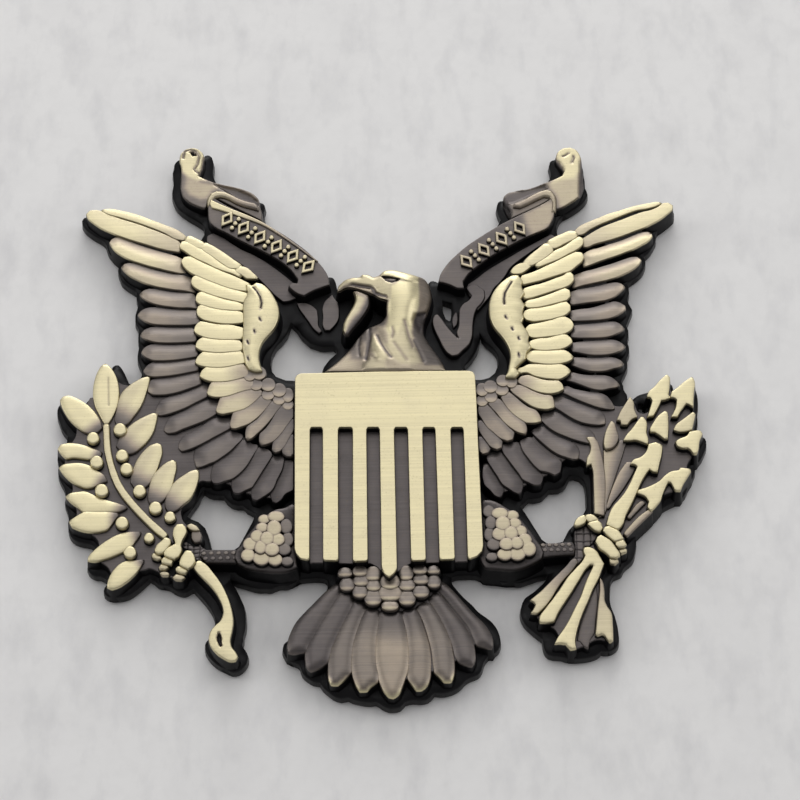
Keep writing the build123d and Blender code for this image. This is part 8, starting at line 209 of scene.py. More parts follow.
"rb_back":[2.4,[[17.36,32.77],[17.58,33.31],[18.1,33.72],[18.81,33.82],[19.39,33.51],[19.76,32.84],[19.91,31.87],[19.94,30.44],[19.92,29.01],[19.63,28.19],[19.1,27.61],[18.39,27.09],[17.57,26.59],[17.07,26.42],[16.95,26.95],[16.74,27.84],[16.33,27.5],[15.62,27.04],[14.7,26.54],[13.7,26.03],[12.69,25.53],[12.32,26.24],[12.05,26.95],[11.88,27.78],[12.0,28.31],[12.41,28.71],[13.11,28.88],[14.11,28.97],[15.11,29.24],[16.12,29.64],[16.93,29.97],[17.85,30.43],[18.07,30.96],[17.7,31.57],[17.39,32.29]]],
"tsc00":[3.2,[[-3.5,-12.99],[-3.56,-13.18],[-3.71,-13.32],[-3.93,-13.4],[-4.18,-13.39],[-4.4,-13.3],[-4.55,-13.15],[-4.6,-12.97],[-4.54,-12.79],[-4.39,-12.64],[-4.17,-12.56],[-3.93,-12.57],[-3.71,-12.66],[-3.56,-12.81]]],
"tsc01":[3.2,[[-3.29,-14.21],[-3.35,-14.47],[-3.52,-14.67],[-3.75,-14.78],[-4.01,-14.78],[-4.25,-14.66],[-4.41,-14.44],[-4.46,-14.18],[-4.4,-13.92],[-4.24,-13.71],[-4.0,-13.6],[-3.74,-13.61],[-3.51,-13.73],[-3.35,-13.94]]],
"tsc02":[3.2,[[-2.11,-12.87],[-2.17,-13.09],[-2.33,-13.26],[-2.56,-13.35],[-2.81,-13.35],[-3.04,-13.25],[-3.19,-13.07],[-3.25,-12.85],[-3.19,-12.63],[-3.03,-12.46],[-2.8,-12.36],[-2.55,-12.37],[-2.32,-12.47],[-2.17,-12.65]]],
"tsc03":[3.2,[[-2.0,-13.85],[-2.06,-14.07],[-2.23,-14.24],[-2.47,-14.33],[-2.74,-14.33],[-2.98,-14.22],[-3.14,-14.04],[-3.2,-13.83],[-3.14,-13.61],[-2.97,-13.44],[-2.73,-13.35],[-2.46,-13.35],[-2.22,-13.45],[-2.05,-13.63]]],
"tsc04":[3.2,[[-2.12,-14.94],[-2.18,-15.19],[-2.34,-15.4],[-2.58,-15.51],[-2.84,-15.5],[-3.07,-15.38],[-3.23,-15.17],[-3.28,-14.91],[-3.22,-14.65],[-3.06,-14.44],[-2.82,-14.33],[-2.56,-14.34],[-2.33,-14.46],[-2.17,-14.67]]],
"tsc05":[3.2,[[-0.85,-13.17],[-0.92,-13.46],[-1.1,-13.69],[-1.36,-13.81],[-1.64,-13.8],[-1.9,-13.67],[-2.07,-13.43],[-2.13,-13.14],[-2.07,-12.86],[-1.89,-12.63],[-1.63,-12.51],[-1.34,-12.51],[-1.09,-12.65],[-0.91,-12.88]]],
"tsc06":[3.2,[[-0.9,-14.31],[-0.96,-14.55],[-1.12,-14.74],[-1.34,-14.85],[-1.59,-14.84],[-1.82,-14.73],[-1.98,-14.53],[-2.03,-14.28],[-1.97,-14.04],[-1.81,-13.85],[-1.58,-13.74],[-1.33,-13.75],[-1.1,-13.86],[-0.95,-14.06]]],
"tsc07":[3.2,[[-0.83,-15.56],[-0.91,-15.88],[-1.1,-16.14],[-1.38,-16.27],[-1.69,-16.27],[-1.96,-16.12],[-2.15,-15.86],[-2.21,-15.53],[-2.14,-15.21],[-1.95,-14.96],[-1.67,-14.82],[-1.36,-14.83],[-1.08,-14.98],[-0.9,-15.24]]],
"tsc08":[3.2,[[0.83,-14.0],[0.75,-14.32],[0.53,-14.57],[0.21,-14.71],[-0.14,-14.7],[-0.45,-14.55],[-0.66,-14.29],[-0.74,-13.96],[-0.66,-13.64],[-0.43,-13.38],[-0.12,-13.25],[0.23,-13.26],[0.55,-13.41],[0.76,-13.67]]],
"tsc09":[3.2,[[1.03,-15.15],[0.93,-15.47],[0.64,-15.72],[0.24,-15.86],[-0.2,-15.85],[-0.6,-15.7],[-0.88,-15.43],[-0.97,-15.11],[-0.87,-14.79],[-0.59,-14.54],[-0.18,-14.4],[0.26,-14.41],[0.66,-14.57],[0.94,-14.83]]],
"tsc10":[3.2,[[0.68,-16.39],[0.61,-16.59],[0.42,-16.75],[0.15,-16.83],[-0.15,-16.82],[-0.41,-16.73],[-0.6,-16.57],[-0.66,-16.37],[-0.59,-16.17],[-0.4,-16.01],[-0.13,-15.93],[0.17,-15.94],[0.43,-16.03],[0.62,-16.2]]],
"tsc11":[3.2,[[2.09,-13.17],[2.03,-13.47],[1.86,-13.71],[1.64,-13.85],[1.38,-13.84],[1.16,-13.7],[1.01,-13.45],[0.96,-13.14],[1.02,-12.84],[1.18,-12.59],[1.41,-12.46],[1.66,-12.47],[1.89,-12.61],[2.04,-12.86]]],
"tsc12":[3.2,[[2.23,-14.35],[2.16,-14.58],[1.98,-14.77],[1.72,-14.87],[1.44,-14.86],[1.19,-14.75],[1.01,-14.56],[0.95,-14.32],[1.02,-14.09],[1.2,-13.9],[1.46,-13.8],[1.74,-13.81],[2.0,-13.92],[2.17,-14.11]]],
"tsc13":[3.2,[[2.24,-15.68],[2.17,-15.97],[1.98,-16.21],[1.7,-16.33],[1.41,-16.32],[1.14,-16.19],[0.96,-15.95],[0.89,-15.65],[0.97,-15.36],[1.16,-15.12],[1.43,-15.0],[1.73,-15.01],[2.0,-15.14],[2.18,-15.38]]],
"tsc14":[3.2,[[3.36,-12.86],[3.3,-13.04],[3.14,-13.19],[2.92,-13.27],[2.68,-13.26],[2.46,-13.17],[2.31,-13.02],[2.26,-12.84],[2.32,-12.65],[2.47,-12.51],[2.69,-12.43],[2.94,-12.44],[3.16,-12.53],[3.31,-12.68]]],
"tsc15":[3.2,[[3.48,-13.83],[3.42,-14.03],[3.25,-14.19],[3.0,-14.27],[2.74,-14.27],[2.5,-14.17],[2.33,-14.01],[2.28,-13.81],[2.34,-13.61],[2.51,-13.45],[2.75,-13.37],[3.02,-13.37],[3.26,-13.47],[3.43,-13.63]]],
"tsc16":[3.2,[[3.49,-15.06],[3.42,-15.3],[3.24,-15.49],[2.98,-15.59],[2.7,-15.59],[2.45,-15.47],[2.27,-15.28],[2.22,-15.03],[2.28,-14.79],[2.46,-14.6],[2.72,-14.49],[3.01,-14.5],[3.26,-14.61],[3.43,-14.81]]],
"tsc17":[3.2,[[4.52,-12.92],[4.47,-13.07],[4.33,-13.2],[4.14,-13.26],[3.93,-13.26],[3.74,-13.19],[3.61,-13.05],[3.57,-12.9],[3.62,-12.74],[3.75,-12.62],[3.94,-12.55],[4.16,-12.55],[4.34,-12.63],[4.47,-12.76]]],
"tsc18":[3.2,[[4.57,-14.08],[4.51,-14.34],[4.37,-14.54],[4.16,-14.66],[3.93,-14.65],[3.73,-14.53],[3.59,-14.32],[3.55,-14.06],[3.61,-13.79],[3.75,-13.59],[3.96,-13.48],[4.19,-13.48],[4.39,-13.6],[4.53,-13.81]]],
"lsc00":[3.2,[[-12.54,7.97],[-12.59,7.73],[-12.71,7.53],[-12.88,7.43],[-13.07,7.43],[-13.25,7.54],[-13.37,7.75],[-13.42,7.99],[-13.38,8.24],[-13.26,8.44],[-13.09,8.54],[-12.89,8.54],[-12.71,8.42],[-12.59,8.22]]],
"lsc01":[3.2,[[-11.56,8.12],[-11.61,7.86],[-11.76,7.66],[-11.96,7.55],[-12.19,7.55],[-12.4,7.67],[-12.54,7.88],[-12.59,8.14],[-12.54,8.39],[-12.4,8.6],[-12.2,8.71],[-11.97,8.7],[-11.76,8.58],[-11.62,8.37]]],
"lsc02":[3.2,[[-11.9,6.87],[-11.94,6.65],[-12.07,6.48],[-12.25,6.39],[-12.45,6.39],[-12.63,6.49],[-12.76,6.67],[-12.81,6.89],[-12.77,7.1],[-12.64,7.28],[-12.46,7.37],[-12.26,7.36],[-12.07,7.26],[-11.95,7.08]]],
"lsc03":[3.2,[[-10.68,6.84],[-10.73,6.58],[-10.88,6.38],[-11.09,6.28],[-11.33,6.28],[-11.54,6.4],[-11.69,6.61],[-11.75,6.86],[-11.7,7.12],[-11.55,7.32],[-11.34,7.43],[-11.1,7.42],[-10.88,7.3],[-10.74,7.09]]],
"lsc04":[3.2,[[-10.75,5.75],[-10.8,5.56],[-10.92,5.4],[-11.1,5.32],[-11.31,5.32],[-11.49,5.41],[-11.62,5.58],[-11.66,5.77],[-11.62,5.97],[-11.49,6.13],[-11.31,6.21],[-11.11,6.21],[-10.93,6.11],[-10.8,5.95]]],
"lsc05":[3.2,[[-9.63,6.22],[-9.69,5.95],[-9.83,5.75],[-10.05,5.63],[-10.28,5.64],[-10.5,5.76],[-10.64,5.97],[-10.7,6.24],[-10.65,6.5],[-10.5,6.71],[-10.29,6.83],[-10.05,6.82],[-9.84,6.7],[-9.69,6.48]]],
"lsc06":[3.2,[[-9.73,5.19],[-9.77,5.0],[-9.89,4.85],[-10.06,4.77],[-10.26,4.78],[-10.43,4.87],[-10.55,5.02],[-10.6,5.21],[-10.56,5.39],[-10.44,5.54],[-10.26,5.62],[-10.07,5.62],[-9.89,5.53],[-9.77,5.38]]],
"lsc07":[3.2,[[-8.93,5.66],[-8.97,5.38],[-9.07,5.15],[-9.22,5.03],[-9.39,5.03],[-9.55,5.16],[-9.65,5.39],[-9.69,5.67],[-9.65,5.96],[-9.55,6.18],[-9.4,6.3],[-9.23,6.3],[-9.08,6.17],[-8.97,5.94]]],
"lsc08":[3.2,[[-8.93,4.63],[-8.97,4.44],[-9.07,4.29],[-9.22,4.21],[-9.39,4.22],[-9.54,4.3],[-9.65,4.46],[-9.69,4.64],[-9.65,4.83],[-9.54,4.98],[-9.39,5.06],[-9.22,5.06],[-9.07,4.97],[-8.97,4.82]]],
"rsc00":[3.2,[[11.58,6.76],[11.53,6.55],[11.39,6.37],[11.2,6.28],[10.98,6.29],[10.8,6.39],[10.67,6.57],[10.63,6.78],[10.69,7.0],[10.82,7.17],[11.02,7.26],[11.23,7.26],[11.42,7.16],[11.54,6.98]]],
"rsc01":[3.2,[[12.31,6.64],[12.26,6.4],[12.14,6.21],[11.98,6.11],[11.8,6.12],[11.65,6.23],[11.54,6.42],[11.51,6.66],[11.56,6.89],[11.68,7.08],[11.84,7.18],[12.02,7.17],[12.18,7.07],[12.28,6.87]]],
"rsc02":[3.2,[[11.45,5.79],[11.4,5.57],[11.26,5.4],[11.06,5.31],[10.86,5.31],[10.67,5.41],[10.54,5.59],[10.5,5.81],[10.56,6.02],[10.7,6.19],[10.89,6.29],[11.1,6.28],[11.29,6.18],[11.41,6.0]]],
"rsc03":[3.2,[[10.36,5.05],[10.31,4.83],[10.18,4.65],[9.99,4.55],[9.79,4.56],[9.61,4.66],[9.49,4.84],[9.46,5.07],[9.51,5.3],[9.64,5.47],[9.83,5.57],[10.03,5.57],[10.21,5.46],[10.33,5.28]]],
"rsc04":[3.2,[[10.41,6.13],[10.35,5.9],[10.2,5.71],[9.99,5.62],[9.77,5.62],[9.57,5.73],[9.43,5.92],[9.39,6.16],[9.45,6.39],[9.59,6.58],[9.8,6.68],[10.03,6.67],[10.23,6.57],[10.37,6.37]]],
"rsc05":[3.2,[[9.52,5.83],[9.47,5.58],[9.34,5.38],[9.16,5.27],[8.97,5.27],[8.8,5.39],[8.68,5.59],[8.65,5.85],[8.7,6.1],[8.82,6.3],[9.0,6.41],[9.2,6.41],[9.37,6.29],[9.48,6.08]]],
"rsc06":[3.2,[[9.46,4.64],[9.41,4.43],[9.29,4.27],[9.12,4.18],[8.94,4.19],[8.77,4.28],[8.66,4.45],[8.63,4.66],[8.68,4.86],[8.8,5.03],[8.97,5.11],[9.15,5.11],[9.32,5.01],[9.43,4.85]]],
"ber00":[3.4,[[-24.57,2.19],[-24.62,1.9],[-24.78,1.68],[-25.01,1.55],[-25.28,1.56],[-25.53,1.69],[-25.7,1.93],[-25.77,2.22],[-25.72,2.5],[-25.56,2.73],[-25.32,2.86],[-25.05,2.85],[-24.81,2.71],[-24.63,2.48]]],
"ber01":[3.4,[[-24.33,-0.58],[-24.38,-0.85],[-24.52,-1.06],[-24.75,-1.17],[-25.0,-1.17],[-25.23,-1.04],[-25.39,-0.83],[-25.45,-0.56],[-25.41,-0.29],[-25.26,-0.08],[-25.04,0.04],[-24.78,0.03],[-24.55,-0.1],[-24.39,-0.31]]],
"ber02":[3.4,[[-23.85,-2.02],[-23.9,-2.29],[-24.05,-2.5],[-24.28,-2.62],[-24.53,-2.61],[-24.76,-2.48],[-24.93,-2.27],[-24.99,-1.99],[-24.95,-1.72],[-24.8,-1.51],[-24.57,-1.4],[-24.32,-1.4],[-24.08,-1.53],[-23.92,-1.75]]],
"ber03":[3.4,[[-27.11,1.34],[-27.16,1.07],[-27.31,0.86],[-27.53,0.74],[-27.78,0.75],[-28.01,0.88],[-28.18,1.09],[-28.24,1.37],[-28.2,1.63],[-28.05,1.85],[-27.83,1.96],[-27.58,1.96],[-27.34,1.83],[-27.18,1.61]]],
"ber04":[3.4,[[-26.66,-1.22],[-26.7,-1.5],[-26.86,-1.73],[-27.1,-1.85],[-27.36,-1.84],[-27.61,-1.71],[-27.78,-1.48],[-27.85,-1.19],[-27.81,-0.91],[-27.65,-0.68],[-27.41,-0.56],[-27.14,-0.57],[-26.9,-0.7],[-26.73,-0.93]]],
"ber05":[3.4,[[-26.06,-4.22],[-26.11,-4.51],[-26.28,-4.74],[-26.52,-4.86],[-26.79,-4.86],[-27.04,-4.72],[-27.22,-4.49],[-27.29,-4.2],[-27.24,-3.91],[-27.08,-3.68],[-26.84,-3.55],[-26.57,-3.56],[-26.31,-3.69],[-26.14,-3.93]]],
"ber06":[3.4,[[-22.56,-4.35],[-22.61,-4.62],[-22.77,-4.84],[-22.99,-4.96],[-23.25,-4.95],[-23.48,-4.82],[-23.65,-4.6],[-23.72,-4.33],[-23.67,-4.06],[-23.52,-3.84],[-23.29,-3.73],[-23.03,-3.73],[-22.8,-3.86],[-22.63,-4.08]]],
"ber07":[3.4,[[-21.01,-6.16],[-21.06,-6.43],[-21.22,-6.66],[-21.46,-6.77],[-21.72,-6.77],[-21.96,-6.64],[-22.13,-6.41],[-22.2,-6.13],[-22.15,-5.85],[-21.99,-5.63],[-21.75,-5.51],[-21.49,-5.52],[-21.25,-5.65],[-21.08,-5.88]]],
"ber08":[3.4,[[-19.73,-7.12],[-19.77,-7.36],[-19.91,-7.54],[-20.11,-7.64],[-20.34,-7.64],[-20.55,-7.53],[-20.69,-7.33],[-20.75,-7.09],[-20.7,-6.86],[-20.57,-6.67],[-20.36,-6.57],[-20.14,-6.57],[-19.93,-6.68],[-19.79,-6.88]]],
"ber09":[3.4,[[-24.08,-7.64],[-24.13,-7.91],[-24.28,-8.12],[-24.51,-8.24],[-24.77,-8.24],[-25.01,-8.11],[-25.18,-7.89],[-25.24,-7.61],[-25.2,-7.34],[-25.04,-7.12],[-24.81,-7.01],[-24.55,-7.01],[-24.31,-7.14],[-24.14,-7.36]]],
"ber10":[3.4,[[-21.66,-9.23],[-21.7,-9.45],[-21.82,-9.62],[-22.01,-9.71],[-22.21,-9.7],[-22.4,-9.6],[-22.53,-9.43],[-22.58,-9.21],[-22.54,-9.0],[-22.42,-8.83],[-22.24,-8.73],[-22.03,-8.74],[-21.85,-8.84],[-21.71,-9.02]]],
"ber11":[3.4,[[-23.26,-10.68],[-23.31,-10.94],[-23.46,-11.15],[-23.68,-11.27],[-23.94,-11.26],[-24.17,-11.14],[-24.33,-10.92],[-24.4,-10.65],[-24.35,-10.39],[-24.2,-10.18],[-23.97,-10.06],[-23.72,-10.07],[-23.49,-10.19],[-23.32,-10.41]]],
"lpb00":[4.2,[[-11.03,-7.97],[-11.07,-8.11],[-11.18,-8.22],[-11.35,-8.28],[-11.54,-8.28],[-11.71,-8.21],[-11.83,-8.09],[-11.87,-7.95],[-11.83,-7.81],[-11.71,-7.7],[-11.55,-7.63],[-11.36,-7.64],[-11.19,-7.71],[-11.07,-7.82]]],
"lpb01":[4.2,[[-9.7,-7.72],[-9.76,-7.9],[-9.94,-8.04],[-10.2,-8.11],[-10.49,-8.1],[-10.75,-8.02],[-10.93,-7.87],[-10.99,-7.69],[-10.93,-7.51],[-10.75,-7.37],[-10.49,-7.3],[-10.2,-7.31],[-9.95,-7.39],[-9.77,-7.54]]],
"lpb02":[4.2,[[-11.19,-8.81],[-11.23,-8.97],[-11.35,-9.08],[-11.53,-9.15],[-11.72,-9.14],[-11.9,-9.07],[-12.02,-8.95],[-12.07,-8.8],[-12.03,-8.65],[-11.9,-8.53],[-11.73,-8.46],[-11.53,-8.47],[-11.35,-8.54],[-11.23,-8.66]]],
"lpb03":[4.2,[[-9.97,-8.88],[-10.03,-9.17],[-10.18,-9.39],[-10.4,-9.51],[-10.64,-9.51],[-10.87,-9.38],[-11.02,-9.14],[-11.07,-8.86],[-11.02,-8.58],[-10.87,-8.35],[-10.65,-8.23],[-10.4,-8.23],[-10.18,-8.37],[-10.03,-8.6]]],
"lpb04":[4.2,[[-9.0,-8.73],[-9.04,-9.0],[-9.16,-9.21],[-9.33,-9.32],[-9.51,-9.32],[-9.68,-9.2],[-9.8,-8.98],[-9.84,-8.71],[-9.8,-8.45],[-9.69,-8.23],[-9.52,-8.12],[-9.33,-8.12],[-9.16,-8.25],[-9.04,-8.46]]],
"lpb05":[4.2,[[-11.6,-9.7],[-11.65,-9.91],[-11.78,-10.07],[-11.97,-10.16],[-12.18,-10.16],[-12.37,-10.06],[-12.51,-9.89],[-12.56,-9.67],[-12.51,-9.46],[-12.38,-9.29],[-12.19,-9.2],[-11.98,-9.21],[-11.79,-9.31],[-11.65,-9.48]]],
"lpb06":[4.2,[[-10.65,-9.92],[-10.7,-10.17],[-10.84,-10.36],[-11.04,-10.47],[-11.27,-10.46],[-11.48,-10.35],[-11.62,-10.15],[-11.67,-9.9],[-11.62,-9.65],[-11.48,-9.46],[-11.28,-9.35],[-11.05,-9.36],[-10.84,-9.47],[-10.7,-9.67]]],
"lpb07":[4.2,[[-9.67,-10.04],[-9.72,-10.26],[-9.85,-10.42],[-10.04,-10.51],[-10.26,-10.51],[-10.45,-10.41],[-10.58,-10.24],[-10.63,-10.02],[-10.58,-9.81],[-10.45,-9.64],[-10.26,-9.55],[-10.05,-9.56],[-9.86,-9.66],[-9.72,-9.83]]],
"lpb08":[4.2,[[-8.91,-10.06],[-8.95,-10.31],[-9.05,-10.5],[-9.2,-10.61],[-9.36,-10.61],[-9.51,-10.49],[-9.61,-10.29],[-9.65,-10.04],[-9.61,-9.8],[-9.51,-9.6],[-9.36,-9.49],[-9.2,-9.5],[-9.05,-9.61],[-8.95,-9.81]]],
"lpb09":[4.2,[[-12.2,-10.5],[-12.25,-10.73],[-12.39,-10.91],[-12.6,-11.0],[-12.82,-11.0],[-13.03,-10.89],[-13.18,-10.71],[-13.23,-10.47],[-13.18,-10.25],[-13.04,-10.06],[-12.83,-9.97],[-12.61,-9.97],[-12.4,-10.08],[-12.25,-10.27]]],
"lpb10":[4.2,[[-11.33,-10.82],[-11.37,-11.05],[-11.48,-11.23],[-11.65,-11.33],[-11.84,-11.32],[-12.01,-11.22],[-12.13,-11.03],[-12.17,-10.8],[-12.13,-10.57],[-12.02,-10.39],[-11.85,-10.29],[-11.66,-10.3],[-11.49,-10.4],[-11.37,-10.59]]],
"lpb11":[4.2,[[-10.15,-11.05],[-10.2,-11.27],[-10.35,-11.44],[-10.57,-11.54],[-10.81,-11.53],[-11.04,-11.43],[-11.19,-11.25],[-11.24,-11.03],[-11.19,-10.81],[-11.04,-10.63],[-10.82,-10.54],[-10.58,-10.55],[-10.36,-10.65],[-10.2,-10.83]]],
"lpb12":[4.2,[[-9.12,-11.07],[-9.17,-11.27],[-9.3,-11.42],[-9.49,-11.5],[-9.7,-11.5],[-9.89,-11.41],[-10.03,-11.25],[-10.07,-11.05],[-10.03,-10.86],[-9.9,-10.71],[-9.71,-10.62],[-9.49,-10.63],[-9.3,-10.72],[-9.17,-10.88]]],
"lpb13":[4.2,[[-12.38,-11.61],[-12.42,-11.83],[-12.56,-12.0],[-12.77,-12.09],[-13.0,-12.09],[-13.2,-11.99],[-13.35,-11.81],[-13.4,-11.59],[-13.35,-11.37],[-13.21,-11.2],[-13.01,-11.1],[-12.78,-11.11],[-12.57,-11.21],[-12.43,-11.39]]],
"lpb14":[4.2,[[-10.99,-11.91],[-11.06,-12.17],[-11.24,-12.37],[-11.5,-12.47],[-11.79,-12.47],[-12.06,-12.35],[-12.24,-12.14],[-12.31,-11.88],[-12.25,-11.63],[-12.06,-11.43],[-11.8,-11.32],[-11.51,-11.33],[-11.24,-11.45],[-11.06,-11.66]]],
"lpb15":[4.2,[[-9.87,-12.1],[-9.92,-12.3],[-10.07,-12.46],[-10.29,-12.54],[-10.54,-12.54],[-10.76,-12.44],[-10.91,-12.28],[-10.96,-12.08],[-10.91,-11.88],[-10.76,-11.72],[-10.54,-11.63],[-10.3,-11.64],[-10.08,-11.73],[-9.92,-11.9]]],
"lpb16":[4.2,[[-8.9,-12.29],[-8.94,-12.43],[-9.06,-12.53],[-9.22,-12.58],[-9.41,-12.58],[-9.58,-12.52],[-9.7,-12.41],[-9.74,-12.28],[-9.7,-12.14],[-9.58,-12.04],[-9.41,-11.99],[-9.23,-11.99],[-9.06,-12.05],[-8.94,-12.16]]],
"rpb00":[4.2,[[9.69,-7.61],[9.64,-7.81],[9.52,-7.97],[9.36,-8.06],[9.18,-8.06],[9.02,-7.96],[8.91,-7.8],[8.88,-7.59],[8.92,-7.39],[9.04,-7.22],[9.21,-7.14],[9.39,-7.14],[9.54,-7.24],[9.65,-7.4]]],
"rpb01":[4.2,[[10.93,-7.84],[10.86,-8.03],[10.68,-8.18],[10.41,-8.25],[10.13,-8.25],[9.87,-8.16],[9.7,-8.0],[9.64,-7.81],[9.71,-7.63],[9.9,-7.48],[10.16,-7.4],[10.44,-7.41],[10.7,-7.5],[10.87,-7.65]]],
"rpb02":[4.2,[[11.89,-8.07],[11.84,-8.22],[11.71,-8.34],[11.52,-8.4],[11.31,-8.4],[11.13,-8.33],[11.01,-8.2],[10.97,-8.05],[11.02,-7.9],[11.15,-7.78],[11.34,-7.72],[11.54,-7.72],[11.72,-7.79],[11.85,-7.92]]],
"rpb03":[4.2,[[9.81,-8.79],[9.76,-9.03],[9.65,-9.22],[9.49,-9.32],[9.32,-9.32],[9.17,-9.21],[9.07,-9.02],[9.04,-8.78],[9.09,-8.54],[9.2,-8.35],[9.36,-8.24],[9.53,-8.25],[9.68,-8.36],[9.78,-8.55]]],
"rpb04":[4.2,[[11.09,-8.87],[11.03,-9.13],[10.86,-9.33],[10.63,-9.44],[10.38,-9.44],[10.15,-9.32],[10.0,-9.11],[9.96,-8.85],[10.02,-8.59],[10.19,-8.39],[10.42,-8.28],[10.67,-8.28],[10.9,-8.4],[11.05,-8.61]]],
"rpb05":[4.2,[[12.09,-8.9],[12.03,-9.06],[11.9,-9.2],[11.71,-9.27],[11.51,-9.26],[11.33,-9.18],[11.21,-9.04],[11.17,-8.88],[11.22,-8.71],[11.35,-8.57],[11.54,-8.5],[11.74,-8.51],[11.93,-8.59],[12.05,-8.73]]],
"rpb06":[4.2,[[9.58,-9.96],[9.54,-10.21],[9.44,-10.41],[9.3,-10.52],[9.15,-10.51],[9.03,-10.4],[8.94,-10.2],[8.92,-9.95],[8.96,-9.7],[9.06,-9.51],[9.19,-9.4],[9.34,-9.4],[9.47,-9.52],[9.55,-9.72]]],
"rpb07":[4.2,[[10.71,-9.94],[10.65,-10.17],[10.49,-10.35],[10.27,-10.45],[10.03,-10.44],[9.81,-10.33],[9.66,-10.14],[9.62,-9.91],[9.68,-9.69],[9.84,-9.5],[10.06,-9.41],[10.31,-9.41],[10.52,-9.52],[10.67,-9.71]]],
"rpb08":[4.2,[[11.74,-9.86],[11.68,-10.1],[11.53,-10.29],[11.32,-10.39],[11.09,-10.38],[10.89,-10.27],[10.75,-10.08],[10.71,-9.84],[10.77,-9.6],[10.92,-9.41],[11.13,-9.31],[11.36,-9.31],[11.56,-9.42],[11.7,-9.62]]],
"rpb09":[4.2,[[12.57,-9.67],[12.52,-9.85],[12.4,-9.99],[12.23,-10.06],[12.04,-10.06],[11.87,-9.98],[11.76,-9.83],[11.73,-9.65],[11.78,-9.48],[11.9,-9.34],[12.07,-9.26],[12.26,-9.27],[12.42,-9.35],[12.54,-9.5]]],
"rpb10":[4.2,[[12.97,-10.6],[12.91,-10.82],[12.77,-10.99],[12.57,-11.09],[12.35,-11.08],[12.15,-10.98],[12.02,-10.8],[11.98,-10.58],[12.04,-10.36],[12.19,-10.19],[12.39,-10.09],[12.61,-10.1],[12.8,-10.2],[12.93,-10.38]]],
"rpb11":[4.2,[[10.12,-10.99],[10.06,-11.19],[9.92,-11.34],[9.72,-11.42],[9.5,-11.42],[9.3,-11.33],[9.17,-11.17],[9.13,-10.97],[9.19,-10.78],[9.33,-10.63],[9.53,-10.54],[9.75,-10.55],[9.95,-10.64],[10.08,-10.8]]],
"rpb12":[4.2,[[11.3,-10.97],[11.24,-11.18],[11.09,-11.35],[10.87,-11.44],[10.63,-11.43],[10.43,-11.33],[10.28,-11.16],[10.24,-10.95],[10.3,-10.74],[10.45,-10.57],[10.67,-10.48],[10.9,-10.48],[11.12,-10.58],[11.26,-10.76]]],
"rpb13":[4.2,[[12.19,-10.89],[12.14,-11.1],[12.0,-11.27],[11.82,-11.36],[11.61,-11.35],[11.43,-11.25],[11.31,-11.08],[11.28,-10.87],[11.33,-10.66],[11.46,-10.49],[11.65,-10.4],[11.85,-10.4],[12.03,-10.5],[12.15,-10.68]]],
"rpb14":[4.2,[[13.32,-11.52],[13.26,-11.79],[13.11,-11.99],[12.9,-12.11],[12.67,-12.1],[12.47,-11.98],[12.34,-11.77],[12.29,-11.5],[12.36,-11.24],[12.51,-11.03],[12.72,-10.91],[12.95,-10.92],[13.14,-11.04],[13.28,-11.26]]],
"rpb15":[4.2,[[11.18,-12.03],[11.11,-12.22],[10.95,-12.38],[10.71,-12.46],[10.45,-12.45],[10.22,-12.36],[10.06,-12.2],[10.01,-12.01],[10.07,-11.81],[10.24,-11.66],[10.48,-11.58],[10.74,-11.59],[10.97,-11.68],[11.13,-11.84]]],
"rpb16":[4.2,[[12.36,-12.01],[12.29,-12.23],[12.11,-12.41],[11.86,-12.51],[11.58,-12.5],[11.33,-12.4],[11.17,-12.21],[11.12,-11.98],[11.19,-11.75],[11.37,-11.57],[11.62,-11.48],[11.89,-11.48],[12.14,-11.59],[12.3,-11.78]]],
"rpb17":[4.2,[[9.8,-12.26],[9.76,-12.37],[9.64,-12.46],[9.48,-12.5],[9.3,-12.5],[9.14,-12.45],[9.03,-12.35],[9.0,-12.24],[9.04,-12.12],[9.15,-12.04],[9.32,-11.99],[9.5,-11.99],[9.66,-12.05],[9.76,-12.14]]]}
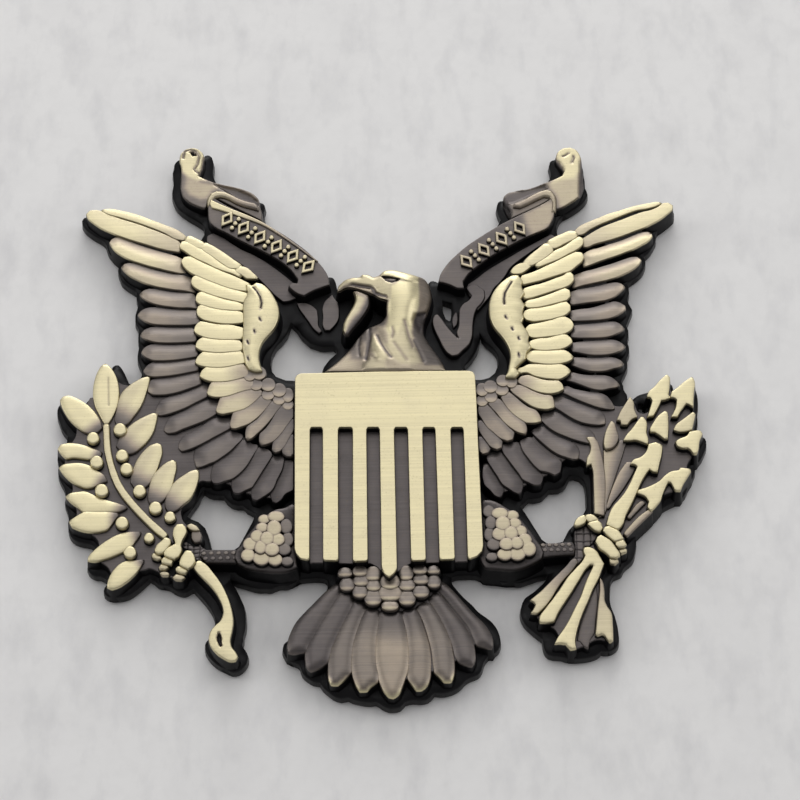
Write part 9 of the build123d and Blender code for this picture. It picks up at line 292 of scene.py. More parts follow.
D = {"hd_face":[[0.69,16.73],[1.13,16.9],[1.52,17.18],[1.91,17.15],[3.26,17.35],[3.31,16.1],[3.28,14.42],[3.08,13.53],[2.78,12.76],[2.53,12.1],[2.32,11.22],[2.09,11.67],[1.72,12.45],[1.43,12.02],[1.22,11.14],[0.99,11.58],[0.71,11.81],[0.42,11.37],[0.18,11.71],[0.34,12.6],[0.26,13.49],[0.27,14.49],[0.57,15.27]],
"hd_crown":[[-0.32,17.85],[-0.25,18.37],[0.29,18.6],[1.06,18.59],[1.83,18.34],[2.6,18.0],[3.36,17.56],[3.25,17.02],[2.29,17.15],[1.62,17.41],[0.76,17.72],[0.18,17.82]],
"hd_cheek":[[-1.76,17.71],[-0.99,17.58],[-0.31,17.62],[-0.03,17.33],[0.65,17.03],[0.57,15.51],[0.33,15.24],[-0.44,15.48],[-0.82,15.71],[-1.1,16.17],[-1.77,16.47],[-1.77,17.14]],
"hd_beak":[[-4.68,16.44],[-4.43,17.11],[-3.99,17.72],[-3.31,18.11],[-2.34,18.14],[-2.19,18.65],[-1.95,18.7],[-1.57,18.4],[-1.09,18.08],[-1.0,17.26],[-1.39,16.76],[-2.16,16.89],[-3.13,17.14],[-3.8,17.04],[-4.29,16.6]],
"hd_under":[[-3.13,17.02],[-2.16,16.83],[-1.39,16.7],[-1.01,16.47],[-0.77,16.01],[-0.25,15.7],[0.23,15.58],[0.23,15.31],[-1.02,15.68],[-1.3,16.3],[-2.36,16.55],[-3.32,16.8]],
"hd_sideR":[[3.39,18.19],[4.23,17.66],[4.88,16.51],[4.76,15.61],[4.35,14.27],[3.94,13.33],[2.88,13.24],[3.15,14.3],[3.37,15.64]],
"hd_sideR2":[[2.93,13.42],[3.94,13.56],[3.87,12.39],[3.32,11.4],[2.9,12.08],[2.73,12.86]],
"hd_neckR":[[2.77,12.36],[3.28,11.46],[3.82,12.34],[4.0,11.67],[4.44,10.22],[5.36,8.77],[6.0,7.76],[3.72,7.82],[3.36,8.92],[2.87,10.26],[2.6,11.37]],
"hd_neckC":[[0.29,12.83],[2.78,12.78],[2.61,11.56],[2.78,10.23],[3.08,9.01],[3.26,8.13],[2.3,7.77],[1.26,7.85],[0.23,8.97],[-0.12,10.63],[0.04,11.95]],
"hd_L1":[[-1.55,12.8],[-1.02,12.45],[-1.23,11.35],[-1.53,10.14],[-1.88,8.6],[-3.31,8.58],[-3.45,9.52],[-3.1,10.73],[-2.42,12.04]],
"hd_L1b":[[-2.34,10.49],[-1.96,10.48],[-1.82,9.7],[-1.88,8.82],[-2.31,8.83],[-2.59,9.61]],
"hd_L2":[[-1.32,10.94],[-1.08,11.21],[-0.7,10.37],[-0.19,9.48],[0.22,8.7],[-0.07,8.33],[-0.78,8.45],[-1.19,9.34],[-1.37,10.28]],
"hd_L3":[[-0.73,12.03],[-0.11,12.13],[0.26,11.24],[0.3,10.24],[-0.09,10.3],[-0.55,11.2]],
"hd_L4":[[-1.21,12.22],[-0.68,12.21],[-0.84,11.55],[-1.22,11.39]],
"hd_L5":[[-2.07,8.1],[-1.49,8.75],[-0.73,8.56],[-0.02,8.27],[0.11,7.45],[-2.17,7.5]],
"hd_L6":[[0.06,7.4],[0.17,8.54],[0.6,8.75],[1.26,8.02],[1.44,7.36]],
"hd_L7":[[1.48,7.31],[1.35,7.91],[2.3,7.83],[2.67,7.5],[2.67,7.28]],
"hd_throat":[[-0.07,14.36],[0.22,14.47],[0.3,13.57],[0.39,13.01],[-0.01,12.13],[-0.68,12.14],[-0.96,12.6],[-0.28,13.25]],
"hd_eye":[[-0.27,17.76],[0.37,17.72],[0.95,17.57],[1.56,17.41],[1.23,17.16],[0.69,17.0],[0.17,17.2]],
"hd_eyeball":[[-0.02,17.48],[0.56,17.51],[1.23,17.37],[0.94,17.15],[0.6,17.09],[0.22,17.25]],
"hd_eyelid":[[-0.35,17.81],[0.37,17.78],[0.95,17.64],[1.62,17.42]],
"hd_g1":[[1.87,12.74],[2.05,11.96],[2.27,10.96],[2.63,9.84]],
"hd_g2":[[0.69,12.05],[0.78,11.49],[0.64,10.94]],
"hd_g3":[[-0.79,11.2],[-0.47,10.31],[0.05,9.42],[0.51,8.75]],
"hd_g4":[[0.82,10.33],[1.38,9.44],[2.03,8.44]],
"hd_g5":[[2.73,10.57],[3.19,9.46],[3.64,8.24]],
"hd_g6":[[-2.43,10.93],[-2.58,10.16],[-2.5,9.06]],
"hd_g7":[[-1.55,12.07],[-1.47,10.85],[-1.68,9.64],[-1.88,8.55]],
"hd_cere":[[-2.54,18.03],[-2.24,18.59],[-1.9,18.64],[-1.76,18.23],[-2.05,17.84]],
"tg_dark":[[-1.21,15.92],[-1.52,14.8],[-2.21,13.25],[-3.18,11.93],[-3.95,11.29],[-4.04,11.95],[-3.16,13.49],[-2.48,14.26],[-1.99,15.26],[-1.69,16.04]],
"tg_top":[[-3.13,17.2],[-1.3,16.59],[-1.21,16.03],[-1.98,15.99],[-2.75,16.4]],
"tg_edge":[[-2.85,16.07],[-3.05,15.4],[-3.54,14.4],[-3.93,13.4],[-3.99,12.51]],
"lb_lip_out":[[-17.26,27.64],[-17.37,28.53],[-16.94,29.11],[-16.25,29.27],[-15.35,29.01],[-14.35,28.34],[-13.35,27.84],[-12.46,27.58]],
"lb_lip_in":[[-16.97,28.16],[-16.02,27.55],[-14.83,26.99],[-13.54,26.38],[-11.95,25.46],[-10.17,24.25],[-8.21,22.52],[-6.45,20.75]],
"lb_in":[[-16.83,28.4],[-16.23,28.58],[-15.54,28.31],[-14.54,27.75],[-13.55,27.32],[-12.56,27.12],[-12.16,26.58],[-12.35,25.88],[-13.34,26.55],[-14.53,27.1],[-15.73,27.66]],
"lb_rim":[[-16.92,28.04],[-15.92,27.49],[-14.73,26.87],[-13.34,26.2],[-11.95,25.34],[-10.17,24.02],[-8.21,22.35],[-6.64,20.81],[-5.67,19.24]],
"lb_face_c":[[-15.8,26.02],[-14.11,24.93],[-12.13,23.54],[-10.16,22.22],[-8.21,20.79],[-7.03,19.73]],
"lb_face_l":[[-17.32,28.23],[-16.82,27.87],[-16.01,26.9],[-15.89,25.14],[-17.18,25.64]],
"lbk_dark":[[-16.77,30.25],[-14.58,29.66],[-13.18,28.91],[-12.38,28.13],[-12.27,27.65],[-13.37,28.03],[-14.36,28.53],[-15.57,29.39]],
"lbk_tan":[[-19.47,31.03],[-18.17,30.64],[-16.97,30.31],[-15.97,29.99],[-16.96,29.42],[-17.44,28.48],[-18.13,28.44],[-19.13,29.0],[-19.65,29.84]],
"lbk_top":[[-18.17,30.58],[-16.77,30.25],[-14.58,29.66],[-13.18,28.97],[-12.38,28.24]],
"lbk_cresc":[[-17.87,33.38],[-17.32,33.61],[-16.61,32.87],[-16.59,31.67],[-16.88,30.61],[-17.68,30.92],[-18.28,31.3],[-18.0,32.19]],
"lbk_hole":[[-19.29,34.2],[-18.94,34.25],[-18.63,34.01],[-18.58,33.64],[-18.98,33.71]],
"lbk_spiral":[[-19.92,33.43],[-19.84,34.22],[-19.24,34.44],[-18.64,34.25],[-18.32,33.58],[-18.46,32.68],[-18.8,32.15],[-18.49,31.72],[-17.88,31.29]],
"lbk_bright":[[-26.34,36.98],[-16.77,36.75],[-17.82,33.38],[-18.0,32.19],[-18.28,31.3],[-17.57,30.74],[-18.17,30.52],[-19.37,31.14],[-20.4,32.24],[-26.18,32.14]],
"rb_lip":[[12.94,27.04],[13.94,27.31],[15.05,27.99],[16.07,28.52],[16.66,28.42],[17.02,27.76],[17.02,26.7],[16.81,25.3]],
"rb_in":[[12.75,27.16],[13.96,27.84],[15.17,28.4],[16.19,29.03],[16.47,28.6],[15.56,28.27],[14.34,27.53],[13.44,27.08]],
"rb_in2":[[13.52,26.73],[14.52,27.06],[15.54,27.68],[16.34,27.96],[16.52,27.48],[15.71,27.21],[14.51,26.7],[13.71,26.43]],
"rb_rim":[[5.43,18.98],[6.14,20.22],[7.45,21.8],[9.26,23.27],[11.48,24.78],[13.68,25.9],[15.5,26.8]],
"rb_face_c":[[7.6,19.96],[9.0,21.02],[10.4,22.02],[11.91,23.09],[13.31,23.98],[13.82,24.32]],
"rb_tan":[[13.69,26.08],[15.51,26.97],[16.71,27.42],[17.07,26.7],[16.79,24.83],[15.86,23.81],[14.55,23.02],[14.02,24.43]],
"rb_grey":[[4.42,17.3],[5.07,20.48],[7.49,22.96],[11.51,25.78],[13.92,26.89],[14.43,24.89],[14.12,22.11],[5.36,16.14]],
"rbk_dark":[[11.63,29.09],[13.81,28.86],[16.11,29.4],[16.39,28.98],[15.38,28.53],[13.97,27.85],[12.76,27.29],[11.87,27.31]],
"rbk_tan":[[16.41,29.45],[17.44,30.14],[18.85,30.58],[19.54,30.45],[19.39,27.48],[18.46,26.68],[17.48,26.7],[17.24,28.01],[16.69,28.91]],
"rbk_bright":[[17.35,34.71],[20.35,34.63],[19.83,32.23],[19.66,30.8],[19.03,30.1],[17.63,29.9],[16.82,29.56],[16.44,30.16],[17.87,30.84],[17.9,31.56],[17.35,32.53]],
"rbk_black":[[16.27,32.92],[17.05,32.66],[17.53,32.11],[17.99,31.32],[18.07,30.96],[17.36,30.62],[16.75,30.27],[16.19,31.12]],
"rbk_side":[[19.83,32.23],[20.5,31.62],[20.65,26.86],[19.99,27.47],[19.47,27.95],[19.62,30.09]],
"rbk_top":[[11.89,28.02],[12.31,28.66],[13.61,28.83],[15.11,29.07],[16.22,29.51],[17.24,30.14]],
"rbk_s1":[[18.01,32.7],[18.36,32.87],[18.68,33.16]],
"rbk_s2":[[19.11,32.79],[19.14,32.49],[18.87,31.9]],
"rbk_low":[[10.57,27.11],[11.9,28.14],[12.17,27.42],[12.64,26.7],[12.6,25.65],[11.49,25.09],[10.84,26.28]],
"sl1":[[-12.71,17.54],[-12.32,16.97],[-12.02,16.39],[-11.87,15.71],[-11.97,14.93]],
"sr1":[[12.31,17.52],[11.94,16.85],[11.63,16.29],[11.51,15.62],[11.53,14.83]],
"lipL":[[-17.3,27.41],[-17.44,28.35],[-17.13,29.05],[-16.54,29.37],[-15.75,29.28],[-14.95,28.88],[-14.15,28.39],[-13.26,28.02],[-12.56,27.79],[-12.21,27.34],[-12.31,26.93],[-13.05,27.19],[-13.84,27.46],[-14.64,27.86],[-15.34,28.33],[-16.04,28.58],[-16.58,28.51],[-16.87,28.16],[-17.06,27.75]],
"lipL2":[[-17.16,27.87],[-17.02,28.28],[-15.92,27.67],[-14.73,27.05],[-13.44,26.43],[-11.95,25.58],[-10.17,24.25],[-8.21,22.58],[-6.45,20.92],[-6.54,20.75],[-8.3,22.32],[-10.27,23.96],[-12.05,25.22],[-13.53,25.91],[-14.82,26.47],[-16.01,26.96],[-16.91,27.28]],
"lipR":[[17.02,26.0],[17.15,27.05],[17.11,27.94],[16.76,28.56],[16.23,28.78],[15.57,28.59],[14.66,28.1],[13.75,27.53],[12.89,27.15],[12.78,26.75],[13.52,26.61],[14.42,27.06],[15.23,27.51],[15.94,27.87],[16.43,27.8],[16.64,27.36],[16.63,26.71],[16.5,26.01]],
"rb_hook":[[9.73,17.6],[9.75,16.8],[9.44,16.13],[8.93,15.52],[8.67,14.79],[8.49,13.67],[8.38,12.44],[8.09,11.61],[7.44,10.9],[6.85,10.36],[6.37,10.28],[5.9,10.66],[5.48,11.39],[5.12,12.29],[4.8,13.08],[4.58,13.87],[4.63,14.66],[4.85,14.99],[5.14,14.95],[5.46,14.53],[5.88,13.79],[6.35,13.07],[6.72,12.59],[7.06,12.25],[6.88,12.87],[7.08,13.59],[7.15,14.6],[7.27,15.61],[7.59,16.11],[8.19,16.55],[8.44,17.0],[8.12,17.52],[7.89,17.98],[8.34,18.28],[9.02,18.24]],
"rb_sliv":[[6.95,15.52],[7.07,14.73],[6.9,13.94],[6.6,13.61],[6.48,14.29],[6.64,15.08]],
"shankL_a":[[-18.58,-10.23],[-18.02,-10.7],[-17.28,-10.92],[-16.45,-10.99],[-15.35,-10.96],[-14.62,-10.73],[-14.07,-10.23]]}
HEAD_H = [[2.02,18.54,4.0],[2.0,17.32,4.5],[1.98,16.13,4.6],[1.95,14.45,4.6],[1.92,12.87,4.45],[1.4,10.78,4.25],[1.36,8.45,4.1],[-0.01,18.59,4.0],[0.06,16.39,4.25],[-0.8,17.24,4.0],[-2.15,17.82,3.85],[-3.32,17.86,3.65],[-4.3,17.35,3.4],[0.83,16.0,4.5],[2.92,15.08,4.45],[3.92,16.64,3.7],[4.49,16.42,3.1],[4.07,14.68,3.2],[3.45,12.96,3.3],[3.7,11.4,3.1],[4.71,9.5,2.9],[5.55,8.44,2.8],[2.93,10.95,3.9],[3.18,9.19,3.7],[0.22,14.23,4.1],[-0.1,12.69,3.9],[-1.27,11.84,3.5],[-2.43,10.96,3.15],[-3.12,9.44,2.95],[-1.0,9.39,3.9],[-1.88,9.26,3.2],[-1.69,8.1,3.7],[0.4,7.9,3.95],[2.3,7.86,3.95]]
DASH_L = [[-12.0, 13.81], [-12.52, 12.49], [-13.18, 11.39], [-13.7, 10.13], [-13.12, 9.57]]
DASH_R = [[11.63, 13.48], [12.2, 12.19], [12.78, 11.12], [12.72, 9.36]]
GROUND = {"shield":[[[-0.04,-13.92],[1.3,-12.71],[2.0,-12.33],[7.39,-12.26],[8.08,-11.99],[8.53,-11.42],[8.62,-10.97],[8.62,-6.71],[8.56,-6.41],[8.5,5.59],[8.43,7.02],[8.1,7.41],[7.81,7.48],[6.73,7.48],[6.43,7.54],[-5.15,7.6],[-5.45,7.54],[-8.14,7.53],[-8.48,7.27],[-8.6,7.03],[-8.6,4.57],[-8.66,4.27],[-8.66,-10.73],[-8.53,-11.26],[-8.33,-11.6],[-8.06,-11.87],[-7.31,-12.08],[-6.17,-12.08],[-3.71,-12.26],[-1.74,-12.27],[-1.13,-12.62],[-0.77,-12.98],[-0.44,-13.55]]],
"head_and_neck":[[[2.18,7.61],[5.41,7.6],[5.56,7.63],[5.71,7.81],[5.43,8.46],[4.37,10.22],[3.94,11.29],[4.01,12.54],[4.59,14.24],[4.78,15.13],[4.72,16.15],[4.47,16.92],[3.91,17.62],[3.42,17.85],[2.96,17.81],[0.67,18.34],[0.28,18.31],[-0.84,17.75],[-1.56,17.97],[-1.91,17.98],[-3.16,17.79],[-4.0,17.55],[-4.55,16.96],[-4.48,16.74],[-4.49,16.12],[-4.31,15.97],[-3.88,16.23],[-3.47,16.3],[-3.2,16.21],[-3.11,15.97],[-3.35,15.22],[-4.07,13.78],[-4.28,13.09],[-4.27,12.32],[-4.09,11.9],[-3.95,11.74],[-3.54,11.69],[-3.29,11.92],[-1.59,14.36],[-1.22,15.19],[-0.9,15.27],[-0.11,14.86],[-0.02,14.59],[-0.08,13.69],[-0.23,13.18],[-0.44,12.85],[-0.86,12.55],[-1.7,12.19],[-2.48,11.41],[-3.05,10.72],[-3.74,9.61],[-5.38,7.84],[-5.24,7.69],[-5.09,7.66],[1.99,7.66]]],
"left_leg":[[[-19.36,-13.57],[-19.02,-13.57],[-18.56,-13.19],[-18.29,-12.56],[-17.93,-12.26],[-18.01,-11.94],[-17.83,-11.64],[-17.45,-11.33],[-16.78,-11.83],[-14.34,-11.97],[-13.1,-12.71],[-11.69,-13.04],[-10.67,-13.16],[-9.41,-13.1],[-8.48,-12.65],[-8.31,-12.46],[-8.3,-11.87],[-8.57,-11.36],[-8.72,-10.85],[-8.75,-6.08],[-8.9,-5.93],[-9.04,-5.91],[-9.66,-6.25],[-10.4,-6.41],[-11.3,-6.95],[-12.26,-7.85],[-13.31,-9.26],[-13.7,-9.95],[-14.03,-10.1],[-16.37,-10.04],[-16.66,-9.97],[-17.11,-9.58],[-17.16,-9.36],[-17.07,-8.81],[-17.13,-8.58],[-17.39,-8.06],[-17.78,-7.67],[-18.08,-7.49],[-18.29,-7.46],[-18.89,-7.67],[-19.58,-7.67],[-20.03,-8.24],[-20.15,-8.9],[-20.39,-8.99],[-20.56,-8.97],[-20.81,-9.14],[-21.53,-9.86],[-21.75,-10.36],[-22.03,-10.73],[-21.86,-11.15],[-21.33,-11.52],[-21.27,-11.75],[-21.32,-12.05],[-21.2,-12.59],[-20.9,-12.83],[-20.06,-13.07],[-19.82,-13.31]]],
"right_leg":[[[11.6,-13.33],[12.3,-13.21],[12.82,-13.01],[13.84,-12.47],[14.2,-12.05],[14.89,-11.9],[16.08,-11.85],[16.3,-11.93],[16.48,-12.1],[16.63,-12.05],[16.84,-12.35],[17.22,-12.66],[17.59,-12.32],[17.95,-11.66],[17.87,-10.98],[17.98,-10.79],[18.13,-10.76],[18.67,-10.77],[18.94,-10.85],[19.12,-11.15],[19.93,-11.96],[20.14,-12.65],[20.42,-12.85],[20.7,-12.85],[21.13,-12.5],[21.4,-11.81],[21.82,-11.63],[21.97,-11.48],[22.06,-11.21],[21.99,-10.62],[21.57,-9.66],[21.25,-9.26],[21.04,-9.23],[19.9,-8.63],[19.63,-8.36],[19.3,-7.79],[18.79,-7.46],[18.37,-7.46],[17.78,-7.59],[17.14,-8.09],[16.91,-8.58],[16.96,-9.11],[16.89,-9.64],[16.78,-9.89],[16.51,-9.98],[15.85,-10.04],[13.87,-10.13],[13.7,-10.09],[12.61,-8.36],[11.77,-7.28],[10.48,-6.35],[9.7,-5.93],[8.84,-5.85],[8.65,-6.02],[8.62,-6.17],[8.68,-6.65],[8.68,-11.09],[8.59,-11.48],[8.27,-11.94],[8.27,-12.46],[8.53,-12.74],[8.72,-12.85],[10.75,-13.28]]],
"tail_fan":[[[-0.04,-25.27],[0.28,-25.25],[0.7,-24.89],[1.13,-24.0],[1.34,-23.79],[1.6,-23.81],[2.17,-24.56],[2.47,-24.67],[2.86,-24.53],[3.22,-24.17],[3.61,-23.3],[3.8,-23.13],[4.06,-23.15],[4.7,-23.83],[5.05,-23.9],[5.38,-23.81],[5.55,-23.62],[5.79,-22.9],[5.8,-22.31],[5.89,-22.16],[6.31,-22.1],[7.04,-22.39],[7.3,-22.37],[7.51,-22.16],[7.71,-21.64],[7.72,-20.69],[7.78,-20.57],[7.88,-20.49],[8.11,-20.48],[8.76,-20.64],[9.07,-20.48],[9.39,-20.08],[9.39,-19.86],[9.07,-18.86],[8.59,-18.08],[7.96,-17.39],[5.74,-14.57],[4.69,-13.58],[4.66,-13.31],[4.77,-12.84],[4.69,-12.62],[4.44,-12.39],[2.06,-12.39],[1.36,-12.77],[0.13,-13.94],[-0.05,-14.0],[-0.5,-13.61],[-0.83,-13.04],[-1.19,-12.68],[-1.8,-12.33],[-3.17,-12.32],[-3.47,-12.44],[-4.07,-12.26],[-4.48,-12.39],[-4.79,-12.68],[-4.87,-12.9],[-4.76,-13.37],[-4.79,-13.58],[-6.2,-14.81],[-6.98,-15.83],[-7.64,-16.55],[-8.45,-17.66],[-9.25,-18.96],[-9.44,-19.67],[-9.41,-20.42],[-9.08,-20.75],[-8.86,-20.83],[-8.15,-20.78],[-7.97,-20.84],[-7.89,-20.94],[-7.81,-21.58],[-7.63,-22.18],[-7.3,-22.51],[-7.07,-22.52],[-6.66,-22.39],[-6.16,-22.11],[-5.87,-22.16],[-5.78,-22.31],[-5.77,-23.14],[-5.53,-23.74],[-5.36,-23.93],[-5.09,-24.02],[-4.76,-23.93],[-3.92,-23.15],[-3.66,-23.13],[-3.41,-23.48],[-3.19,-24.1],[-2.84,-24.59],[-2.58,-24.66],[-2.16,-24.55],[-1.46,-23.93],[-1.14,-23.91],[-0.99,-24.06],[-0.73,-24.64],[-0.5,-24.95],[-0.26,-25.19]]],
"left_wing":[[[-10.42,-5.58],[-9.95,-5.36],[-9.41,-4.76],[-8.93,-4.46],[-8.72,-4.19],[-8.72,4.33],[-8.66,4.63],[-8.72,5.17],[-8.66,5.83],[-8.79,6.24],[-9.02,6.49],[-9.38,6.61],[-9.8,7.03],[-10.34,7.15],[-10.76,7.57],[-11.06,7.69],[-11.24,7.87],[-11.39,8.56],[-11.78,9.07],[-11.84,10.21],[-11.77,10.74],[-11.51,11.38],[-10.53,12.68],[-10.04,13.87],[-9.98,14.35],[-10.04,15.43],[-10.55,16.72],[-11.03,17.5],[-11.45,17.92],[-12.14,18.25],[-12.29,18.4],[-12.31,18.54],[-12.17,18.85],[-12.23,19.06],[-13.19,20.08],[-13.52,20.23],[-15.8,22.15],[-17.16,23.07],[-17.66,23.23],[-18.32,23.65],[-18.53,23.62],[-19.3,23.81],[-20.12,24.55],[-20.58,24.81],[-24.42,26.61],[-25.98,27.09],[-27.05,27.34],[-28.25,27.34],[-29.3,27.25],[-29.45,27.1],[-29.52,26.84],[-29.24,26.11],[-28.04,25.03],[-27.0,24.45],[-26.81,24.28],[-26.79,24.14],[-27.07,23.53],[-26.95,23.24],[-26.6,22.75],[-25.94,22.15],[-25.85,21.94],[-25.35,21.42],[-25.37,21.28],[-25.73,20.92],[-25.8,20.7],[-25.55,20.14],[-24.98,19.51],[-23.48,18.61],[-23.31,18.42],[-23.33,18.28],[-23.81,17.8],[-23.89,17.48],[-23.69,17.08],[-23.06,16.51],[-23.01,16.34],[-23.24,16.09],[-23.78,15.73],[-24.05,15.25],[-23.84,14.83],[-23.39,14.38],[-23.09,14.2],[-22.95,13.99],[-23.0,13.87],[-23.57,13.36],[-23.7,13.02],[-23.57,12.64],[-23.09,12.28],[-22.94,12.07],[-22.97,11.92],[-23.41,11.46],[-23.57,11.05],[-23.45,10.72],[-22.76,9.97],[-22.79,9.82],[-23.23,9.3],[-23.33,9.01],[-23.06,8.47],[-22.76,8.24],[-22.62,8.24],[-22.55,8.17],[-22.82,6.85],[-22.79,6.58],[-22.4,6.19],[-21.84,6.09],[-21.63,5.88],[-21.97,5.04],[-22.07,4.45],[-21.5,3.91],[-21.12,3.87],[-20.91,3.66],[-21.2,2.71],[-21.11,2.32],[-20.84,2.05],[-20.62,1.97],[-20.15,1.96],[-19.67,2.13],[-19.46,1.99],[-19.41,1.82],[-19.67,1.36],[-19.82,0.79],[-19.73,0.4],[-19.3,0.05],[-18.59,0.16],[-18.38,0.01],[-18.32,-0.11],[-18.32,-0.71],[-18.19,-1.18],[-18.07,-1.48],[-17.9,-1.67],[-17.69,-1.75],[-16.91,-1.53],[-16.7,-1.67],[-16.64,-1.79],[-16.69,-2.03],[-16.63,-2.92],[-16.55,-3.14],[-16.34,-3.35],[-15.95,-3.44],[-15.23,-3.26],[-15.0,-3.27],[-14.79,-3.48],[-14.59,-4.18],[-14.36,-4.43],[-13.91,-4.52],[-13.08,-4.29],[-12.87,-4.5],[-12.77,-4.94],[-12.46,-5.23],[-12.18,-5.29],[-11.27,-4.88],[-11.0,-5.09],[-10.79,-5.42]]],
"right_wing":[[[10.28,-5.47],[10.57,-5.36],[10.9,-4.85],[11.11,-4.7],[11.96,-5.11],[12.28,-5.15],[12.55,-4.88],[12.71,-4.26],[12.92,-4.05],[13.69,-4.28],[14.22,-4.21],[14.43,-4.0],[14.65,-3.38],[14.86,-3.11],[15.12,-3.09],[15.61,-3.29],[15.82,-3.23],[16.18,-2.93],[16.35,-2.56],[16.49,-1.74],[16.66,-1.55],[16.81,-1.52],[17.47,-1.7],[17.7,-1.69],[17.89,-1.58],[18.01,-1.46],[18.1,-1.19],[18.13,-0.08],[18.32,0.09],[18.72,0.05],[18.94,0.25],[19.18,0.31],[19.45,0.67],[19.66,0.79],[19.71,0.96],[19.43,1.52],[19.45,1.72],[19.64,1.89],[20.17,1.9],[20.53,2.02],[20.8,2.35],[20.8,2.95],[20.71,3.4],[20.9,3.57],[21.42,3.59],[21.73,3.88],[21.49,4.66],[20.93,5.53],[21.1,5.77],[21.94,6.01],[22.29,6.32],[22.33,6.43],[22.21,6.76],[21.46,7.51],[21.41,7.68],[21.68,7.95],[22.42,8.17],[22.75,8.5],[22.84,8.71],[22.75,9.04],[22.24,9.49],[22.19,9.61],[22.33,9.82],[22.9,10.21],[23.11,10.63],[23.02,10.87],[22.39,11.38],[22.24,11.59],[22.39,11.86],[23.02,12.31],[23.13,12.61],[22.93,13.06],[22.42,13.51],[22.37,13.68],[23.32,14.53],[23.44,14.83],[23.43,15.06],[23.32,15.25],[23.02,15.55],[22.63,15.76],[22.48,15.97],[22.54,16.15],[23.11,16.66],[23.41,17.08],[23.47,17.29],[23.41,17.5],[22.93,17.98],[22.91,18.18],[23.08,18.37],[24.04,18.91],[25.09,19.84],[25.23,20.23],[25.17,20.46],[24.88,20.77],[24.46,21.01],[24.43,21.22],[24.76,21.49],[25.6,21.97],[26.23,22.54],[26.5,23.11],[26.43,23.52],[26.21,23.78],[26.23,23.92],[26.71,24.28],[27.55,25.18],[28.42,25.87],[28.76,26.42],[28.54,26.71],[27.49,26.86],[26.95,26.86],[25.58,26.61],[24.74,26.37],[21.1,25.09],[19.7,24.45],[17.62,23.12],[17.32,23.29],[16.52,22.89],[15.85,22.48],[13.39,20.14],[12.7,19.81],[12.22,19.33],[12.07,18.97],[12.16,18.67],[12.13,18.52],[11.41,17.98],[10.9,17.47],[10.31,16.62],[9.88,15.43],[9.82,14.29],[9.88,13.69],[10.33,12.34],[11.35,10.72],[11.61,10.02],[11.62,8.95],[11.56,8.53],[11.37,7.76],[11.2,7.57],[10.72,7.45],[10.2,6.95],[9.8,6.99],[9.3,6.71],[8.78,6.63],[8.53,6.4],[8.5,6.25],[8.56,5.65],[8.56,3.25],[8.67,2.89],[8.56,2.59],[8.61,1.15],[8.56,0.91],[8.56,-0.83],[8.71,-1.04],[9.04,-1.25],[9.09,-1.37],[8.87,-1.68],[8.74,-2.15],[8.74,-3.71],[8.98,-4.31],[9.91,-5.3]]],
"left_ribbon":[[[-6.46,13.07],[-5.86,13.35],[-5.21,13.42],[-4.61,14.14],[-4.28,14.83],[-4.23,15.72],[-4.57,16.1],[-4.64,16.87],[-4.59,17.16],[-5.05,17.84],[-5.19,18.96],[-5.43,19.56],[-6.08,20.17],[-6.68,21.01],[-7.79,22.24],[-9.71,23.92],[-10.91,24.76],[-11.87,25.9],[-11.96,26.23],[-12.02,27.37],[-11.96,27.85],[-12.03,28.26],[-12.14,28.45],[-12.96,29.07],[-13.94,29.53],[-16.36,30.41],[-16.64,30.67],[-17.78,31.33],[-17.87,31.57],[-17.54,32.59],[-17.54,33.49],[-17.75,34.0],[-17.9,34.14],[-18.04,34.14],[-18.65,34.48],[-19.25,34.54],[-19.78,34.35],[-20.36,33.79],[-20.48,33.55],[-20.48,33.01],[-20.3,31.75],[-20.29,29.54],[-19.99,28.7],[-19.37,28.0],[-18.64,27.53],[-17.72,27.13],[-17.61,27.0],[-17.35,25.7],[-17.14,25.22],[-17.21,25.0],[-17.65,24.6],[-17.63,23.8],[-15.32,21.91],[-14.21,21.1],[-13.25,20.26],[-12.32,19.33],[-11.99,18.82],[-11.0,17.65],[-10.07,16.72],[-9.47,16.66],[-9.06,16.76],[-8.81,16.66],[-8.57,16.06],[-7.19,13.78]],[[-6.52,16.32],[-6.74,16.39],[-6.92,16.57],[-7.07,16.72],[-7.13,16.93],[-7.04,17.17],[-6.3,17.48],[-6.08,17.41],[-5.99,17.17],[-6.23,16.42]]],
"right_ribbon":[[[6.56,10.31],[6.97,10.36],[7.84,11.23],[8.31,11.84],[8.43,12.08],[8.62,12.91],[8.62,13.99],[8.93,15.12],[9.4,15.55],[10.21,16.6],[10.99,17.98],[11.89,19.0],[12.49,20.02],[13.27,20.8],[14.2,21.55],[15.16,22.27],[16.36,22.93],[17.14,23.53],[17.17,23.74],[16.72,24.13],[16.61,24.43],[17.17,26.14],[17.62,26.53],[19.24,27.61],[19.63,27.94],[19.93,28.3],[20.14,28.99],[20.02,29.65],[19.96,31.63],[19.83,32.4],[19.63,32.92],[19.42,33.25],[19.14,33.51],[18.67,33.7],[18.14,33.63],[17.92,33.55],[17.17,32.86],[17.15,32.24],[17.77,30.91],[17.71,30.7],[17.56,30.55],[16.46,30.03],[15.94,29.53],[15.0,29.15],[13.99,28.9],[12.92,28.77],[12.2,28.47],[11.74,28.03],[11.63,27.74],[11.81,26.9],[12.31,25.66],[12.25,25.42],[10.96,24.61],[10.45,23.92],[8.32,22.39],[7.27,21.46],[6.31,20.38],[5.69,19.44],[5.41,18.88],[5.11,18.58],[5.02,18.25],[5.2,18.01],[6.28,17.65],[7.06,17.23],[7.48,17.11],[7.6,16.81],[7.51,16.48],[7.13,16.08],[6.94,15.37],[6.94,14.29],[6.82,13.99],[6.6,13.92],[6.34,13.99],[5.98,14.53],[5.29,15.22],[5.11,15.28],[4.99,15.22],[4.81,14.98],[4.51,13.75],[4.81,12.64],[5.57,11.06],[6.28,10.39]]],
